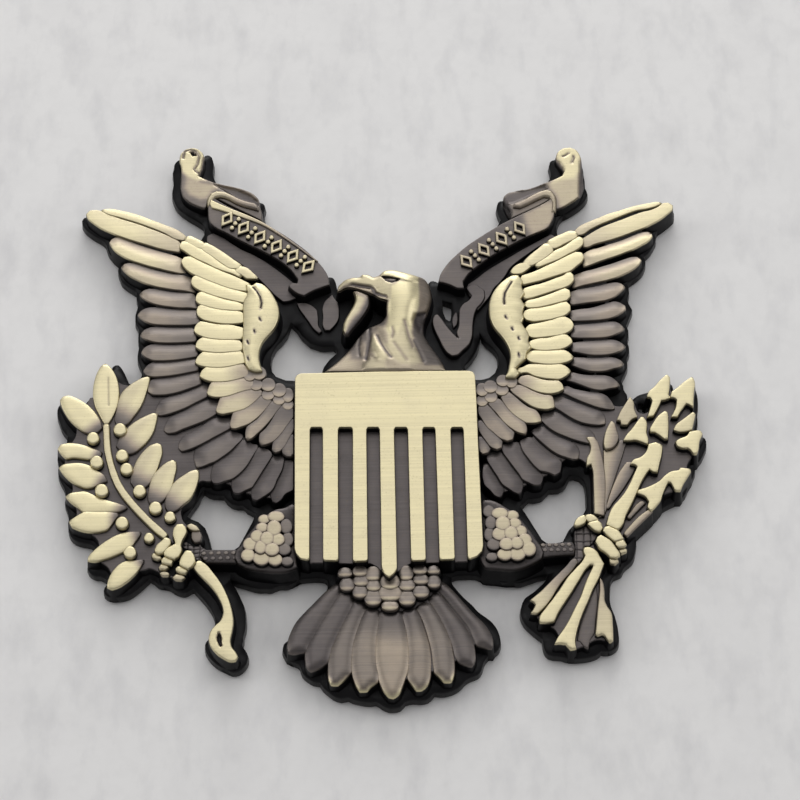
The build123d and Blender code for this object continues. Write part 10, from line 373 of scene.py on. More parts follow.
"arrow_bundle":[[[21.92,-9.97],[22.09,-9.92],[22.72,-9.23],[22.81,-8.84],[23.26,-8.45],[24.58,-6.83],[25.54,-5.93],[25.96,-5.03],[26.17,-4.97],[26.34,-5.01],[26.7,-5.34],[27.34,-4.97],[27.58,-4.73],[27.79,-4.4],[28.09,-3.56],[28.39,-3.08],[28.36,-2.93],[28.12,-2.75],[27.43,-2.66],[27.28,-2.69],[27.06,-2.89],[26.36,-3.03],[25.8,-3.36],[25.49,-3.22],[25.44,-3.0],[25.9,-1.31],[25.96,-0.83],[25.92,-0.36],[26.02,-0.11],[26.38,0.01],[26.59,0.22],[26.57,0.54],[26.68,0.79],[26.95,0.91],[27.12,0.87],[27.31,0.76],[27.37,0.58],[27.28,0.31],[26.92,0.13],[26.77,-0.05],[27.01,-0.68],[27.16,-0.83],[27.62,-1.03],[28.18,-1.13],[28.64,-1.68],[29.31,-1.06],[29.45,-0.24],[29.8,0.67],[29.68,0.97],[29.11,1.36],[29.02,1.63],[29.32,2.77],[29.11,3.31],[29.2,3.61],[29.2,4.15],[29.44,5.95],[29.43,6.48],[29.22,6.69],[28.78,6.67],[27.6,5.7],[27.17,6.02],[27.1,6.25],[27.16,6.79],[26.98,7.02],[26.42,6.93],[25.9,6.61],[24.62,5.2],[24.87,4.86],[24.85,4.51],[24.91,4.27],[24.49,2.98],[24.18,2.81],[23.9,2.87],[23.77,2.98],[23.62,3.49],[23.53,4.42],[23.23,4.84],[22.96,4.92],[22.69,4.66],[22.01,3.54],[21.55,2.56],[21.1,2.47],[20.83,2.14],[20.47,1.42],[20.2,0.67],[19.93,0.55],[19.6,0.61],[19.24,0.25],[19.0,0.19],[18.84,-0.0],[18.88,-0.23],[18.82,-0.77],[18.47,-1.56],[18.4,-2.21],[18.55,-2.48],[18.91,-2.66],[19.0,-2.93],[18.89,-7.3],[19.16,-7.57],[19.9,-7.91],[20.01,-8.16],[19.97,-8.39],[20.02,-8.51],[20.24,-8.71],[20.9,-9.07],[21.28,-9.17]],[[24.25,-4.49],[24.01,-4.4],[23.95,-4.19],[24.22,-3.59],[24.61,-3.44],[25.06,-3.59],[25.15,-3.83],[25.06,-4.07],[24.66,-4.33]],[[22.88,-1.75],[22.3,-1.61],[22.21,-1.4],[22.57,-0.2],[22.87,-0.08],[23.29,-0.08],[24.1,-0.41],[24.19,-0.68],[23.86,-1.31],[23.58,-1.57],[23.1,-1.75]],[[25.04,-0.01],[24.79,0.1],[24.67,0.43],[24.73,0.64],[24.97,0.73],[25.33,0.58],[25.45,0.31],[25.36,0.07]],[[22.16,0.78],[21.91,0.88],[21.82,1.21],[21.91,1.54],[22.21,1.65],[22.51,1.54],[22.63,1.27],[22.45,0.88]],[[26.71,3.19],[26.08,3.49],[25.98,3.78],[26.14,4.09],[26.88,4.34],[27.1,4.27],[27.19,4.03],[27.01,3.34]]],
"arrow_tails":[[[16.28,-21.01],[16.74,-21.01],[17.02,-20.75],[17.29,-20.67],[17.72,-20.83],[17.92,-20.81],[18.09,-20.62],[18.31,-19.88],[18.56,-19.78],[19.02,-19.78],[19.24,-19.85],[19.48,-20.21],[19.69,-20.36],[20.1,-20.29],[20.31,-20.08],[20.38,-19.25],[20.32,-17.33],[19.93,-16.58],[19.79,-16.12],[19.78,-14.93],[19.65,-14.04],[19.49,-13.61],[19.89,-12.64],[19.9,-12.47],[19.57,-11.72],[18.7,-10.85],[18.14,-10.83],[17.95,-11.0],[17.92,-11.15],[18.03,-11.68],[17.65,-12.38],[17.35,-12.68],[17.12,-12.73],[16.6,-12.23],[16.3,-12.17],[14.86,-13.73],[12.59,-15.9],[12.61,-16.04],[12.85,-16.28],[12.91,-16.49],[12.59,-17.26],[12.82,-17.51],[13.21,-17.66],[13.3,-17.93],[13.31,-18.34],[13.57,-18.56],[14.41,-18.56],[14.92,-18.41],[15.09,-18.22],[15.41,-17.52],[16.21,-16.22],[16.45,-16.13],[16.69,-16.22],[16.75,-16.43],[16.71,-16.6],[15.99,-18.04],[14.87,-19.74],[14.57,-20.39],[14.78,-20.65],[15.3,-20.61],[15.72,-20.73],[15.98,-20.95]]],
"olive_branch":[[[-25.72,-13.99],[-24.89,-14.0],[-24.5,-13.79],[-24.05,-13.46],[-23.3,-12.71],[-22.71,-11.86],[-22.43,-11.3],[-22.41,-11.1],[-22.58,-10.91],[-22.97,-10.76],[-23.09,-10.34],[-23.39,-9.98],[-23.47,-9.71],[-23.33,-9.38],[-23.09,-9.29],[-22.92,-9.33],[-22.4,-9.89],[-21.84,-9.91],[-21.53,-9.62],[-21.32,-9.23],[-20.96,-9.17],[-20.62,-8.91],[-20.36,-8.87],[-20.21,-8.72],[-20.19,-8.52],[-20.33,-8.21],[-20.27,-8.0],[-19.85,-7.76],[-19.53,-7.42],[-19.52,-6.89],[-19.73,-6.44],[-19.69,-6.24],[-18.38,-5.03],[-18.15,-4.66],[-17.67,-3.46],[-17.54,-2.75],[-17.54,-2.15],[-17.69,-1.88],[-18.04,-1.72],[-18.5,-1.85],[-19.14,-2.29],[-19.36,-2.34],[-19.58,-2.27],[-19.7,-1.97],[-19.64,-1.13],[-19.73,-0.86],[-19.88,-0.71],[-20.15,-0.62],[-20.78,-0.89],[-21.02,-0.83],[-21.13,-0.53],[-21.02,0.01],[-21.02,0.49],[-21.11,0.88],[-21.6,1.23],[-21.95,1.15],[-22.19,1.24],[-22.25,1.48],[-21.87,2.36],[-21.58,3.84],[-22.2,4.4],[-23.21,3.97],[-23.42,4.03],[-23.52,4.28],[-22.97,5.56],[-22.77,6.2],[-22.88,6.85],[-22.67,8.02],[-23.06,8.34],[-23.26,8.31],[-23.84,7.88],[-24.08,7.81],[-24.8,7.21],[-25.01,7.15],[-25.18,7.19],[-25.33,7.34],[-25.55,8.26],[-25.83,8.88],[-26.09,9.28],[-26.36,9.54],[-26.81,9.64],[-26.96,9.61],[-27.14,9.43],[-27.43,8.94],[-27.68,7.93],[-27.75,6.92],[-27.98,6.55],[-27.94,5.78],[-28.04,5.53],[-28.28,5.47],[-28.68,5.72],[-28.91,5.59],[-29.58,6.03],[-30.17,6.22],[-30.94,6.15],[-31.15,5.94],[-30.97,5.24],[-30.65,4.54],[-29.99,3.52],[-29.15,2.68],[-28.49,2.2],[-28.37,1.93],[-28.53,1.34],[-28.62,1.25],[-28.79,1.21],[-29.51,1.36],[-30.34,1.35],[-30.74,0.98],[-30.95,0.94],[-31.09,0.73],[-30.91,0.26],[-30.35,-0.38],[-30.29,-0.59],[-30.38,-0.83],[-30.85,-1.26],[-30.77,-1.64],[-30.38,-2.21],[-29.75,-2.84],[-29.15,-3.26],[-29.03,-3.53],[-29.12,-3.77],[-29.72,-3.95],[-30.12,-4.32],[-29.9,-4.79],[-28.88,-5.69],[-28.78,-5.94],[-28.88,-6.23],[-29.69,-6.92],[-29.57,-7.4],[-29.42,-7.61],[-29.12,-7.85],[-28.54,-8.11],[-27.71,-8.3],[-26.64,-8.29],[-25.67,-7.85],[-25.46,-7.91],[-25.35,-8.04],[-25.31,-8.21],[-25.4,-8.45],[-26.3,-9.05],[-27.14,-9.83],[-27.45,-10.66],[-27.77,-11.03],[-27.46,-11.29],[-26.93,-11.3],[-25.5,-10.87],[-24.92,-10.61],[-24.65,-10.7],[-24.57,-10.97],[-24.65,-11.24],[-25.37,-11.9],[-25.75,-12.54],[-25.93,-13.08],[-25.99,-13.72]],[[-22.48,-8.52],[-22.7,-8.45],[-22.79,-8.24],[-22.98,-8.07],[-23.45,-8.06],[-23.75,-7.94],[-23.91,-7.32],[-24.08,-7.07],[-24.3,-6.87],[-24.77,-6.68],[-24.84,-6.42],[-24.71,-6.14],[-24.22,-5.92],[-23.93,-6.02],[-22.52,-7.73],[-22.19,-8.0],[-22.13,-8.21],[-22.19,-8.42]],[[-25.37,-4.97],[-25.76,-4.85],[-25.88,-4.55],[-25.79,-4.22],[-25.54,-4.12],[-25.25,-4.22],[-25.07,-4.67],[-25.13,-4.88]]],
"branch_stem":[[[-14.14,-21.66],[-13.79,-21.44],[-13.64,-20.99],[-13.83,-20.52],[-14.11,-20.14],[-14.3,-19.49],[-14.06,-17.39],[-14.12,-16.79],[-14.37,-15.72],[-14.69,-14.78],[-15.11,-13.88],[-15.89,-12.68],[-16.52,-11.93],[-16.88,-11.87],[-17.45,-11.45],[-17.92,-11.96],[-17.84,-12.17],[-17.92,-12.44],[-16.46,-14.09],[-15.89,-14.9],[-15.57,-15.6],[-15.34,-16.38],[-15.39,-16.9],[-15.63,-17.44],[-16.25,-18.14],[-16.57,-18.78],[-16.51,-19.72],[-16.13,-20.42],[-15.47,-21.08]]]}
WEBS = {"left_wing":[[[[-10.48,-5.11],[-10.22,-5.03],[-9.77,-4.46],[-9.12,-4.09],[-9.08,-4.01],[-9.08,-1.43],[-9.14,-0.95],[-9.02,-0.53],[-9.02,1.21],[-9.14,1.69],[-9.02,2.11],[-9.14,3.07],[-9.08,3.43],[-9.08,4.03],[-9.14,4.27],[-9.08,4.69],[-9.19,4.94],[-9.2,5.11],[-9.08,5.47],[-9.08,5.77],[-9.11,5.92],[-9.23,6.1],[-9.62,6.19],[-10.04,6.67],[-10.64,6.73],[-11.0,7.21],[-11.16,7.29],[-11.5,7.31],[-11.72,7.51],[-11.78,7.69],[-11.72,7.99],[-11.73,8.28],[-11.81,8.44],[-12.07,8.66],[-12.2,9.01],[-12.26,9.49],[-12.26,10.27],[-12.13,10.98],[-11.87,11.62],[-10.89,12.92],[-10.46,13.93],[-10.4,14.41],[-10.4,14.95],[-10.46,15.37],[-10.91,16.48],[-11.42,17.29],[-11.9,17.71],[-12.35,17.86],[-12.5,17.83],[-12.66,17.69],[-13.0,17.69],[-13.32,18.03],[-14.12,18.49],[-14.27,18.64],[-14.29,19.02],[-14.02,19.29],[-13.62,19.29],[-13.24,19.01],[-12.77,19.03],[-13.43,19.72],[-13.82,19.87],[-14.27,20.32],[-16.01,21.76],[-17.1,22.53],[-17.4,22.71],[-17.84,22.81],[-18.32,23.17],[-18.96,23.54],[-19.25,23.5],[-19.52,23.59],[-19.67,23.77],[-19.56,23.86],[-19.56,23.92],[-20.22,24.51],[-21.8,25.33],[-24.44,26.53],[-26.04,27.03],[-26.93,27.22],[-27.33,27.21],[-27.34,27.16],[-27.23,27.07],[-27.29,27.04],[-28.01,27.04],[-28.31,27.1],[-28.89,27.08],[-29.06,26.83],[-28.97,26.5],[-28.88,26.35],[-28.43,25.9],[-27.8,25.39],[-26.4,24.63],[-26.21,24.46],[-26.19,24.08],[-26.53,23.76],[-26.63,23.56],[-26.53,23.3],[-26.27,22.84],[-25.79,22.36],[-25.34,22.03],[-24.8,21.73],[-24.63,21.54],[-24.62,21.25],[-24.68,21.13],[-24.86,20.95],[-25.22,20.83],[-25.33,20.7],[-25.33,20.6],[-25.19,20.38],[-24.74,19.87],[-23.44,19.07],[-22.68,18.75],[-22.47,18.54],[-22.46,18.25],[-22.52,18.13],[-22.7,17.95],[-23.31,17.72],[-23.45,17.53],[-23.15,17.14],[-22.22,16.51],[-22.16,16.39],[-22.17,16.1],[-22.44,15.83],[-22.96,15.75],[-23.2,15.63],[-23.45,15.46],[-23.57,15.25],[-23.48,15.07],[-23.15,14.74],[-22.4,14.35],[-22.23,14.16],[-22.22,13.87],[-22.28,13.75],[-22.46,13.57],[-22.78,13.47],[-23.14,13.23],[-23.24,13.03],[-23.18,12.85],[-22.78,12.59],[-22.4,12.43],[-22.25,12.28],[-22.22,12.19],[-22.22,11.95],[-22.28,11.83],[-22.46,11.65],[-22.96,11.37],[-23.11,11.1],[-23.09,10.96],[-22.91,10.72],[-22.43,10.42],[-22.25,10.24],[-22.22,10.15],[-22.25,9.76],[-22.7,9.31],[-22.87,9.01],[-22.7,8.71],[-22.34,8.53],[-22.11,8.28],[-22.11,7.94],[-22.39,7.5],[-22.45,6.91],[-22.43,6.82],[-22.12,6.53],[-21.0,6.51],[-20.73,6.24],[-20.75,5.86],[-20.9,5.71],[-21.31,5.46],[-21.55,4.98],[-21.62,4.57],[-21.58,4.43],[-21.4,4.31],[-20.51,4.42],[-20.39,4.36],[-20.19,4.14],[-20.19,3.8],[-20.45,3.52],[-20.63,3.16],[-20.77,2.7],[-20.75,2.56],[-20.56,2.39],[-20.16,2.39],[-18.1,3.27],[-17.87,3.34],[-17.6,3.31],[-17.37,3.06],[-17.39,2.68],[-17.66,2.41],[-19.07,1.54],[-19.31,1.12],[-19.39,0.78],[-19.39,0.68],[-19.27,0.5],[-19.14,0.47],[-18.23,0.7],[-18.08,0.67],[-17.9,0.49],[-17.84,0.31],[-17.9,0.01],[-17.9,-0.65],[-17.69,-1.31],[-17.28,-1.21],[-16.73,-0.98],[-16.44,-0.99],[-16.22,-1.19],[-16.16,-1.37],[-16.16,-1.67],[-16.25,-2.03],[-16.22,-2.81],[-16.11,-3.0],[-15.9,-3.01],[-15.05,-2.78],[-14.64,-2.79],[-14.37,-3.06],[-14.36,-3.41],[-14.23,-3.94],[-14.12,-4.07],[-13.92,-4.09],[-13.12,-3.75],[-12.78,-3.75],[-12.51,-4.02],[-12.43,-4.66],[-12.3,-4.83],[-12.2,-4.85],[-11.88,-4.69],[-11.32,-4.29],[-11.03,-4.28],[-10.94,-4.31],[-10.73,-4.52],[-10.57,-5.02]]],[[[-11.14,-0.25],[-11.48,-0.05],[-11.63,0.1],[-11.65,0.48],[-11.45,0.7],[-11.3,0.79],[-11.03,0.88],[-10.8,0.87],[-10.53,0.6],[-10.53,0.02],[-10.8,-0.25]],[[-12.52,0.53],[-12.82,0.65],[-13.01,0.82],[-13.03,1.2],[-12.5,1.75],[-12.29,1.84],[-12.06,1.83],[-11.79,1.56],[-11.73,0.8],[-12.0,0.53]],[[-13.66,1.61],[-14.02,1.79],[-14.21,1.96],[-14.23,2.34],[-13.96,2.61],[-13.55,2.74],[-13.26,2.73],[-12.99,2.46],[-12.98,2.17],[-13.05,1.88],[-13.32,1.61]],[[-17.68,8.45],[-17.95,8.72],[-17.95,9.06],[-17.68,9.33],[-17.4,9.33],[-17.24,9.25],[-17.09,9.1],[-17.07,8.72],[-17.34,8.45]],[[-17.98,10.13],[-18.25,10.4],[-18.25,10.8],[-17.98,11.07],[-17.64,11.07],[-17.37,10.8],[-17.37,10.4],[-17.64,10.13]],[[-18.16,11.69],[-18.43,11.96],[-18.43,12.54],[-18.16,12.81],[-17.88,12.81],[-17.69,12.7],[-17.45,12.46],[-17.43,12.08],[-17.78,11.71]],[[-14.08,13.07],[-14.24,13.15],[-14.45,13.36],[-14.47,13.74],[-14.33,13.9],[-14.14,14.01],[-13.74,14.01],[-13.47,13.74],[-13.47,13.34],[-13.74,13.07]],[[-18.4,16.91],[-18.56,17.05],[-18.67,17.24],[-18.67,17.64],[-18.4,17.91],[-18.0,17.91],[-17.67,17.58],[-17.67,17.24],[-17.87,17.02],[-18.02,16.93]],[[-19.72,21.11],[-19.98,21.39],[-20.44,21.59],[-20.63,21.76],[-20.65,22.14],[-20.42,22.39],[-20.03,22.48],[-19.62,22.47],[-19.43,22.36],[-18.83,21.82],[-18.81,21.44],[-19.04,21.19],[-19.43,21.1]]]],
"right_wing":[[[[10.33,-5.03],[10.57,-4.4],[10.82,-4.17],[11.26,-4.19],[11.86,-4.61],[12.12,-4.68],[12.27,-4.36],[12.35,-3.78],[12.58,-3.53],[12.96,-3.51],[13.22,-3.67],[13.7,-3.85],[13.98,-3.85],[14.05,-3.8],[14.17,-3.56],[14.24,-3.28],[14.21,-2.82],[14.44,-2.57],[14.82,-2.55],[15.6,-2.82],[15.82,-2.69],[15.93,-2.5],[16.06,-1.79],[16.03,-1.64],[15.7,-1.55],[15.13,-1.22],[14.08,-0.17],[13.67,0.38],[13.56,0.69],[13.39,0.76],[13.16,0.75],[12.88,0.49],[12.48,0.23],[11.95,0.22],[11.8,0.31],[11.63,0.5],[11.62,0.85],[11.71,1.24],[11.95,1.48],[12.07,1.54],[12.31,1.54],[12.68,1.37],[12.83,1.38],[12.91,1.69],[12.89,2.16],[13.09,2.38],[13.27,2.44],[13.98,2.43],[14.2,2.23],[14.26,2.11],[14.23,1.78],[13.93,1.51],[14.05,1.3],[14.1,1.11],[14.26,1.03],[14.44,0.85],[15.01,0.16],[15.61,-0.38],[16.36,-0.95],[17.42,-1.27],[17.58,-1.27],[17.67,-1.18],[17.68,-0.71],[17.73,-0.53],[17.55,-0.12],[17.39,0.08],[17.38,0.37],[17.44,0.49],[17.62,0.67],[17.77,0.7],[18.97,0.4],[19.25,0.48],[19.3,0.55],[19.29,0.9],[19.05,1.32],[18.58,1.63],[18.37,1.84],[18.34,2.11],[18.37,2.26],[18.58,2.47],[18.67,2.5],[18.85,2.5],[19.63,2.32],[20.11,2.32],[20.33,2.4],[20.38,2.47],[20.38,2.89],[20.15,3.44],[20.17,3.82],[20.42,4.05],[20.71,4.06],[20.95,4.0],[21.26,4.04],[21.03,4.62],[20.71,5.08],[20.32,5.29],[20.17,5.44],[20.15,5.82],[20.42,6.09],[21.48,6.29],[21.78,6.41],[21.85,6.49],[21.69,6.72],[21.3,7.05],[20.88,7.23],[20.47,7.24],[20.26,7.33],[20.09,7.52],[20.08,7.81],[20.14,7.93],[20.36,8.13],[20.89,8.14],[21.78,8.39],[22.18,8.53],[22.38,8.74],[22.38,8.8],[22.26,8.91],[21.49,9.28],[21.35,9.44],[21.34,9.73],[21.4,9.85],[21.58,10.03],[21.88,10.09],[22.48,10.39],[22.59,10.52],[22.62,10.66],[22.26,10.95],[21.55,11.2],[21.35,11.42],[21.34,11.71],[21.52,11.95],[21.96,12.11],[22.42,12.37],[22.69,12.61],[22.54,12.85],[22.24,13.09],[21.73,13.24],[21.53,13.46],[21.52,13.75],[21.55,13.84],[21.7,13.99],[22.32,14.27],[22.72,14.53],[22.96,14.77],[23.02,14.89],[22.98,15.03],[22.6,15.31],[21.94,15.43],[21.73,15.64],[21.7,15.79],[21.7,15.97],[21.76,16.09],[22.15,16.36],[22.72,16.87],[22.95,17.18],[22.98,17.32],[22.8,17.49],[22.51,17.56],[22.03,17.5],[21.82,17.53],[21.59,17.78],[21.59,18.12],[21.73,18.28],[21.88,18.37],[22.48,18.55],[23.92,19.27],[24.58,19.87],[24.79,20.23],[24.6,20.43],[24.2,20.43],[22.14,19.67],[19.28,18.81],[18.49,18.46],[18.2,18.47],[17.98,18.67],[17.92,18.79],[17.95,19.12],[19.04,20.07],[19.44,20.07],[19.6,19.93],[19.72,19.93],[20.78,20.37],[22.9,21.13],[24.34,21.73],[25.36,22.33],[25.83,22.7],[26.01,22.94],[26.08,23.11],[26.03,23.24],[25.6,23.35],[25.39,23.56],[25.36,23.83],[25.39,23.98],[25.58,24.15],[26.4,24.59],[27.28,25.15],[28.15,25.9],[28.29,26.06],[28.36,26.35],[28.33,26.44],[28.12,26.64],[27.74,26.61],[27.61,26.53],[26.95,26.56],[26.35,26.44],[26.31,26.49],[26.86,26.65],[26.89,26.71],[26.77,26.74],[24.98,26.37],[22.18,25.45],[20.68,24.79],[19.52,24.21],[19.27,24.04],[18.58,23.29],[18.14,23.19],[17.56,22.93],[16.76,22.53],[16.24,22.21],[14.83,20.98],[13.96,20.11],[13.69,19.78],[13.5,19.67],[13.28,19.65],[12.91,19.42],[12.53,19.02],[12.53,18.92],[12.7,18.67],[12.67,18.34],[12.46,18.13],[12.14,17.97],[11.65,17.62],[10.99,16.9],[10.67,16.38],[10.3,15.37],[10.24,14.35],[10.3,14.11],[10.3,13.75],[10.37,13.4],[10.69,12.58],[11.71,10.96],[11.97,10.26],[12.04,9.97],[12.04,8.83],[11.79,7.58],[11.67,7.34],[11.53,7.18],[11.41,7.12],[10.96,7.09],[10.81,6.94],[10.75,6.7],[10.5,6.47],[10.21,6.46],[9.86,6.57],[9.48,6.29],[9.02,6.27],[8.89,6.16],[8.81,6.0],[8.8,5.71],[8.97,5.4],[8.98,5.05],[8.76,4.68],[8.81,4.46],[8.97,4.26],[8.92,3.43],[9.16,2.83],[9.13,2.62],[8.89,2.38],[8.86,2.29],[8.86,1.75],[9.1,1.09],[9.09,0.92],[8.86,0.61],[8.86,-0.53],[8.98,-0.71],[9.37,-0.8],[9.55,-0.98],[9.58,-1.13],[9.57,-1.66],[9.24,-1.99],[9.16,-2.21],[9.16,-3.65],[9.34,-4.07],[10.15,-4.94]]],[[[14.24,2.99],[13.97,3.26],[13.9,3.43],[13.9,3.67],[13.93,3.76],[14.14,3.97],[14.41,4.0],[14.68,3.91],[14.86,3.73],[14.92,3.61],[14.92,3.37],[14.83,3.16],[14.68,3.01]],[[10.52,4.61],[10.25,4.88],[10.25,5.22],[10.52,5.49],[10.8,5.49],[10.96,5.41],[11.11,5.26],[11.13,4.88],[10.86,4.61]],[[18.8,5.57],[17.72,5.87],[17.16,6.15],[16.54,6.19],[16.19,6.56],[16.21,6.94],[16.36,7.09],[16.82,7.35],[17.11,7.36],[19.2,6.39],[19.41,6.18],[19.41,5.84],[19.14,5.57]],[[19.22,7.31],[18.38,7.43],[17.83,7.6],[17.38,7.63],[16.69,8.26],[16.66,8.53],[16.69,8.68],[16.94,8.91],[17.35,9.04],[17.65,9.04],[18.46,8.53],[19.28,8.21],[19.56,8.19],[19.68,8.13],[19.89,7.92],[19.87,7.54],[19.62,7.31]],[[13.1,8.15],[12.85,8.38],[12.82,8.71],[12.88,8.83],[13.18,9.13],[13.39,9.22],[13.74,9.21],[14.11,8.92],[14.13,8.54],[13.9,8.29],[13.58,8.25],[13.33,8.14]],[[17.72,9.23],[17.38,9.55],[16.93,9.82],[16.78,10.03],[16.78,10.27],[16.84,10.39],[16.96,10.51],[17.42,10.77],[17.76,10.77],[17.92,10.63],[18.15,10.32],[19.0,10.09],[19.15,10.0],[19.29,9.84],[19.29,9.5],[19.02,9.23],[18.25,9.28],[18.01,9.22]],[[17.78,10.91],[17.62,11.05],[17.15,11.66],[17.15,12.0],[17.42,12.27],[17.76,12.27],[18.1,11.89],[18.66,11.85],[18.85,11.74],[18.99,11.58],[18.99,11.24],[18.76,10.99],[18.07,10.9]],[[13.34,12.41],[13.09,12.64],[12.94,13.03],[13.09,13.48],[13.27,13.72],[13.39,13.78],[13.68,13.77],[13.82,13.67],[14.2,13.57],[14.44,13.39],[14.5,13.27],[14.5,13.03],[14.35,12.82],[13.96,12.67],[13.68,12.41]],[[17.54,13.31],[17.38,13.39],[17.17,13.6],[17.15,14.04],[17.48,14.37],[17.82,14.37],[18.09,14.1],[18.16,13.87],[18.15,13.58],[17.88,13.31]],[[17.96,14.51],[17.71,14.74],[17.59,15.04],[17.33,15.32],[17.33,15.66],[17.6,15.93],[17.94,15.93],[18.22,15.61],[18.31,15.58],[20.89,15.94],[21.1,15.91],[21.33,15.66],[21.31,15.28],[21.16,15.13],[21.0,15.05],[19.87,14.74],[19.09,14.68],[18.19,14.5]],[[13.28,15.17],[13.12,15.31],[13.03,15.46],[13.01,15.84],[13.28,16.11],[13.62,16.11],[13.89,15.84],[13.89,15.44],[13.62,15.17]],[[17.66,16.55],[17.47,16.66],[17.33,16.82],[17.35,17.2],[17.56,17.41],[17.96,17.67],[18.34,17.65],[18.63,17.34],[18.61,16.9],[18.42,16.73],[18.06,16.55]],[[13.4,16.79],[13.15,17.02],[13.12,17.17],[13.13,17.46],[13.36,17.71],[14.23,17.86],[14.32,17.83],[14.53,17.62],[14.55,17.24],[14.38,17.05],[13.68,16.79]],[[13.88,18.47],[13.61,18.74],[13.63,19.12],[14.32,19.87],[14.53,19.96],[14.8,19.93],[15.25,19.48],[15.28,19.33],[15.25,19.06],[15.04,18.85],[14.68,18.67],[14.22,18.47]],[[19.04,20.75],[18.82,20.83],[18.61,21.04],[18.58,21.37],[18.64,21.49],[18.91,21.7],[19.24,22.09],[19.45,22.12],[19.69,22.06],[20.04,22.07],[20.32,22.27],[21.19,22.54],[21.46,22.51],[21.67,22.3],[21.69,21.92],[21.48,21.71],[20.58,21.41],[20.24,21.39],[19.48,20.77]],[[19.16,22.49],[19.0,22.57],[18.79,22.78],[18.77,23.16],[19.04,23.43],[19.5,23.43],[19.77,23.16],[19.77,22.82],[19.48,22.51]]]],
"tail_fan":[[[[-0.04,-24.85],[0.12,-24.85],[0.37,-24.68],[0.91,-23.54],[1.22,-23.37],[1.57,-23.36],[1.86,-23.49],[2.39,-24.22],[2.47,-24.25],[2.64,-24.19],[2.95,-23.9],[3.37,-22.82],[3.68,-22.65],[3.97,-22.64],[4.14,-22.71],[4.72,-23.27],[4.84,-23.45],[5.15,-23.46],[5.37,-22.9],[5.39,-22.26],[5.62,-21.77],[5.9,-21.63],[6.19,-21.62],[6.86,-21.91],[7.13,-21.96],[7.3,-21.59],[7.3,-20.57],[7.45,-20.24],[7.76,-20.07],[8.05,-20.06],[8.89,-20.27],[8.97,-20.08],[8.97,-19.86],[8.71,-19.04],[8.23,-18.26],[7.6,-17.57],[5.38,-14.75],[4.93,-14.3],[4.57,-14.06],[4.33,-13.76],[4.25,-13.6],[4.24,-13.31],[4.36,-12.89],[4.3,-12.77],[4.14,-12.69],[3.92,-12.69],[3.67,-12.8],[3.37,-12.8],[2.98,-12.59],[2.77,-12.56],[2.62,-12.59],[2.28,-12.79],[2.05,-12.8],[1.9,-12.77],[1.52,-12.58],[1.25,-12.72],[0.94,-13.31],[0.55,-13.46],[0.13,-13.4],[-0.35,-13.46],[-0.62,-13.43],[-0.89,-13.28],[-1.16,-12.77],[-1.43,-12.62],[-1.6,-12.63],[-1.85,-12.74],[-2.09,-12.74],[-2.69,-12.5],[-2.92,-12.57],[-3.14,-12.77],[-3.35,-12.86],[-3.64,-12.85],[-4.01,-12.68],[-4.3,-12.75],[-4.43,-12.86],[-4.46,-12.95],[-4.34,-13.31],[-4.34,-13.55],[-4.49,-13.94],[-4.88,-14.15],[-5.75,-14.9],[-6.68,-15.89],[-6.8,-16.07],[-7.46,-16.73],[-8.21,-17.66],[-8.71,-18.6],[-8.95,-19.32],[-9.02,-19.67],[-9.0,-20.37],[-8.93,-20.42],[-8.63,-20.42],[-8.39,-20.36],[-7.97,-20.36],[-7.64,-20.51],[-7.47,-20.82],[-7.39,-21.58],[-7.27,-22.0],[-7.18,-22.09],[-7.02,-22.09],[-6.8,-22.01],[-6.17,-21.68],[-5.82,-21.69],[-5.54,-21.83],[-5.36,-22.19],[-5.35,-23.14],[-5.13,-23.58],[-4.98,-23.59],[-4.82,-23.51],[-4.06,-22.77],[-3.89,-22.7],[-3.6,-22.71],[-3.23,-22.94],[-3.05,-23.3],[-2.87,-23.84],[-2.62,-24.24],[-2.3,-24.17],[-2.0,-23.81],[-1.52,-23.51],[-1.08,-23.49],[-0.71,-23.72],[-0.37,-24.46]]],[]],
"left_leg":[[[[-19.24,-13.21],[-19.1,-13.19],[-18.89,-12.98],[-18.83,-12.74],[-18.59,-12.32],[-18.2,-11.99],[-17.84,-11.39],[-17.45,-11.18],[-17.1,-11.19],[-16.67,-11.48],[-14.1,-11.61],[-13.82,-11.75],[-13.64,-11.99],[-12.98,-12.35],[-11.57,-12.68],[-10.61,-12.8],[-10.01,-12.8],[-9.83,-12.74],[-9.3,-12.73],[-8.7,-12.49],[-8.66,-12.35],[-8.66,-6.53],[-8.69,-6.38],[-8.92,-6.28],[-9.54,-6.61],[-10.24,-6.75],[-11.18,-7.31],[-11.93,-8.0],[-13.07,-9.56],[-13.43,-10.28],[-13.79,-10.46],[-14.87,-10.46],[-15.17,-10.4],[-16.7,-10.37],[-16.94,-10.25],[-17.41,-9.88],[-17.54,-9.59],[-17.54,-9.29],[-17.48,-9.05],[-17.49,-8.7],[-17.63,-8.36],[-17.87,-8.06],[-18.24,-7.84],[-18.71,-8.0],[-19.46,-8.03],[-19.69,-8.4],[-19.71,-8.92],[-19.85,-9.2],[-20.16,-9.37],[-20.51,-9.38],[-20.63,-9.44],[-21.17,-9.98],[-21.6,-10.84],[-21.51,-10.98],[-21.11,-11.18],[-20.93,-11.48],[-20.9,-12.35],[-20.8,-12.55],[-20.63,-12.62],[-20.0,-12.65],[-19.76,-12.77],[-19.52,-13.13]]],[]],
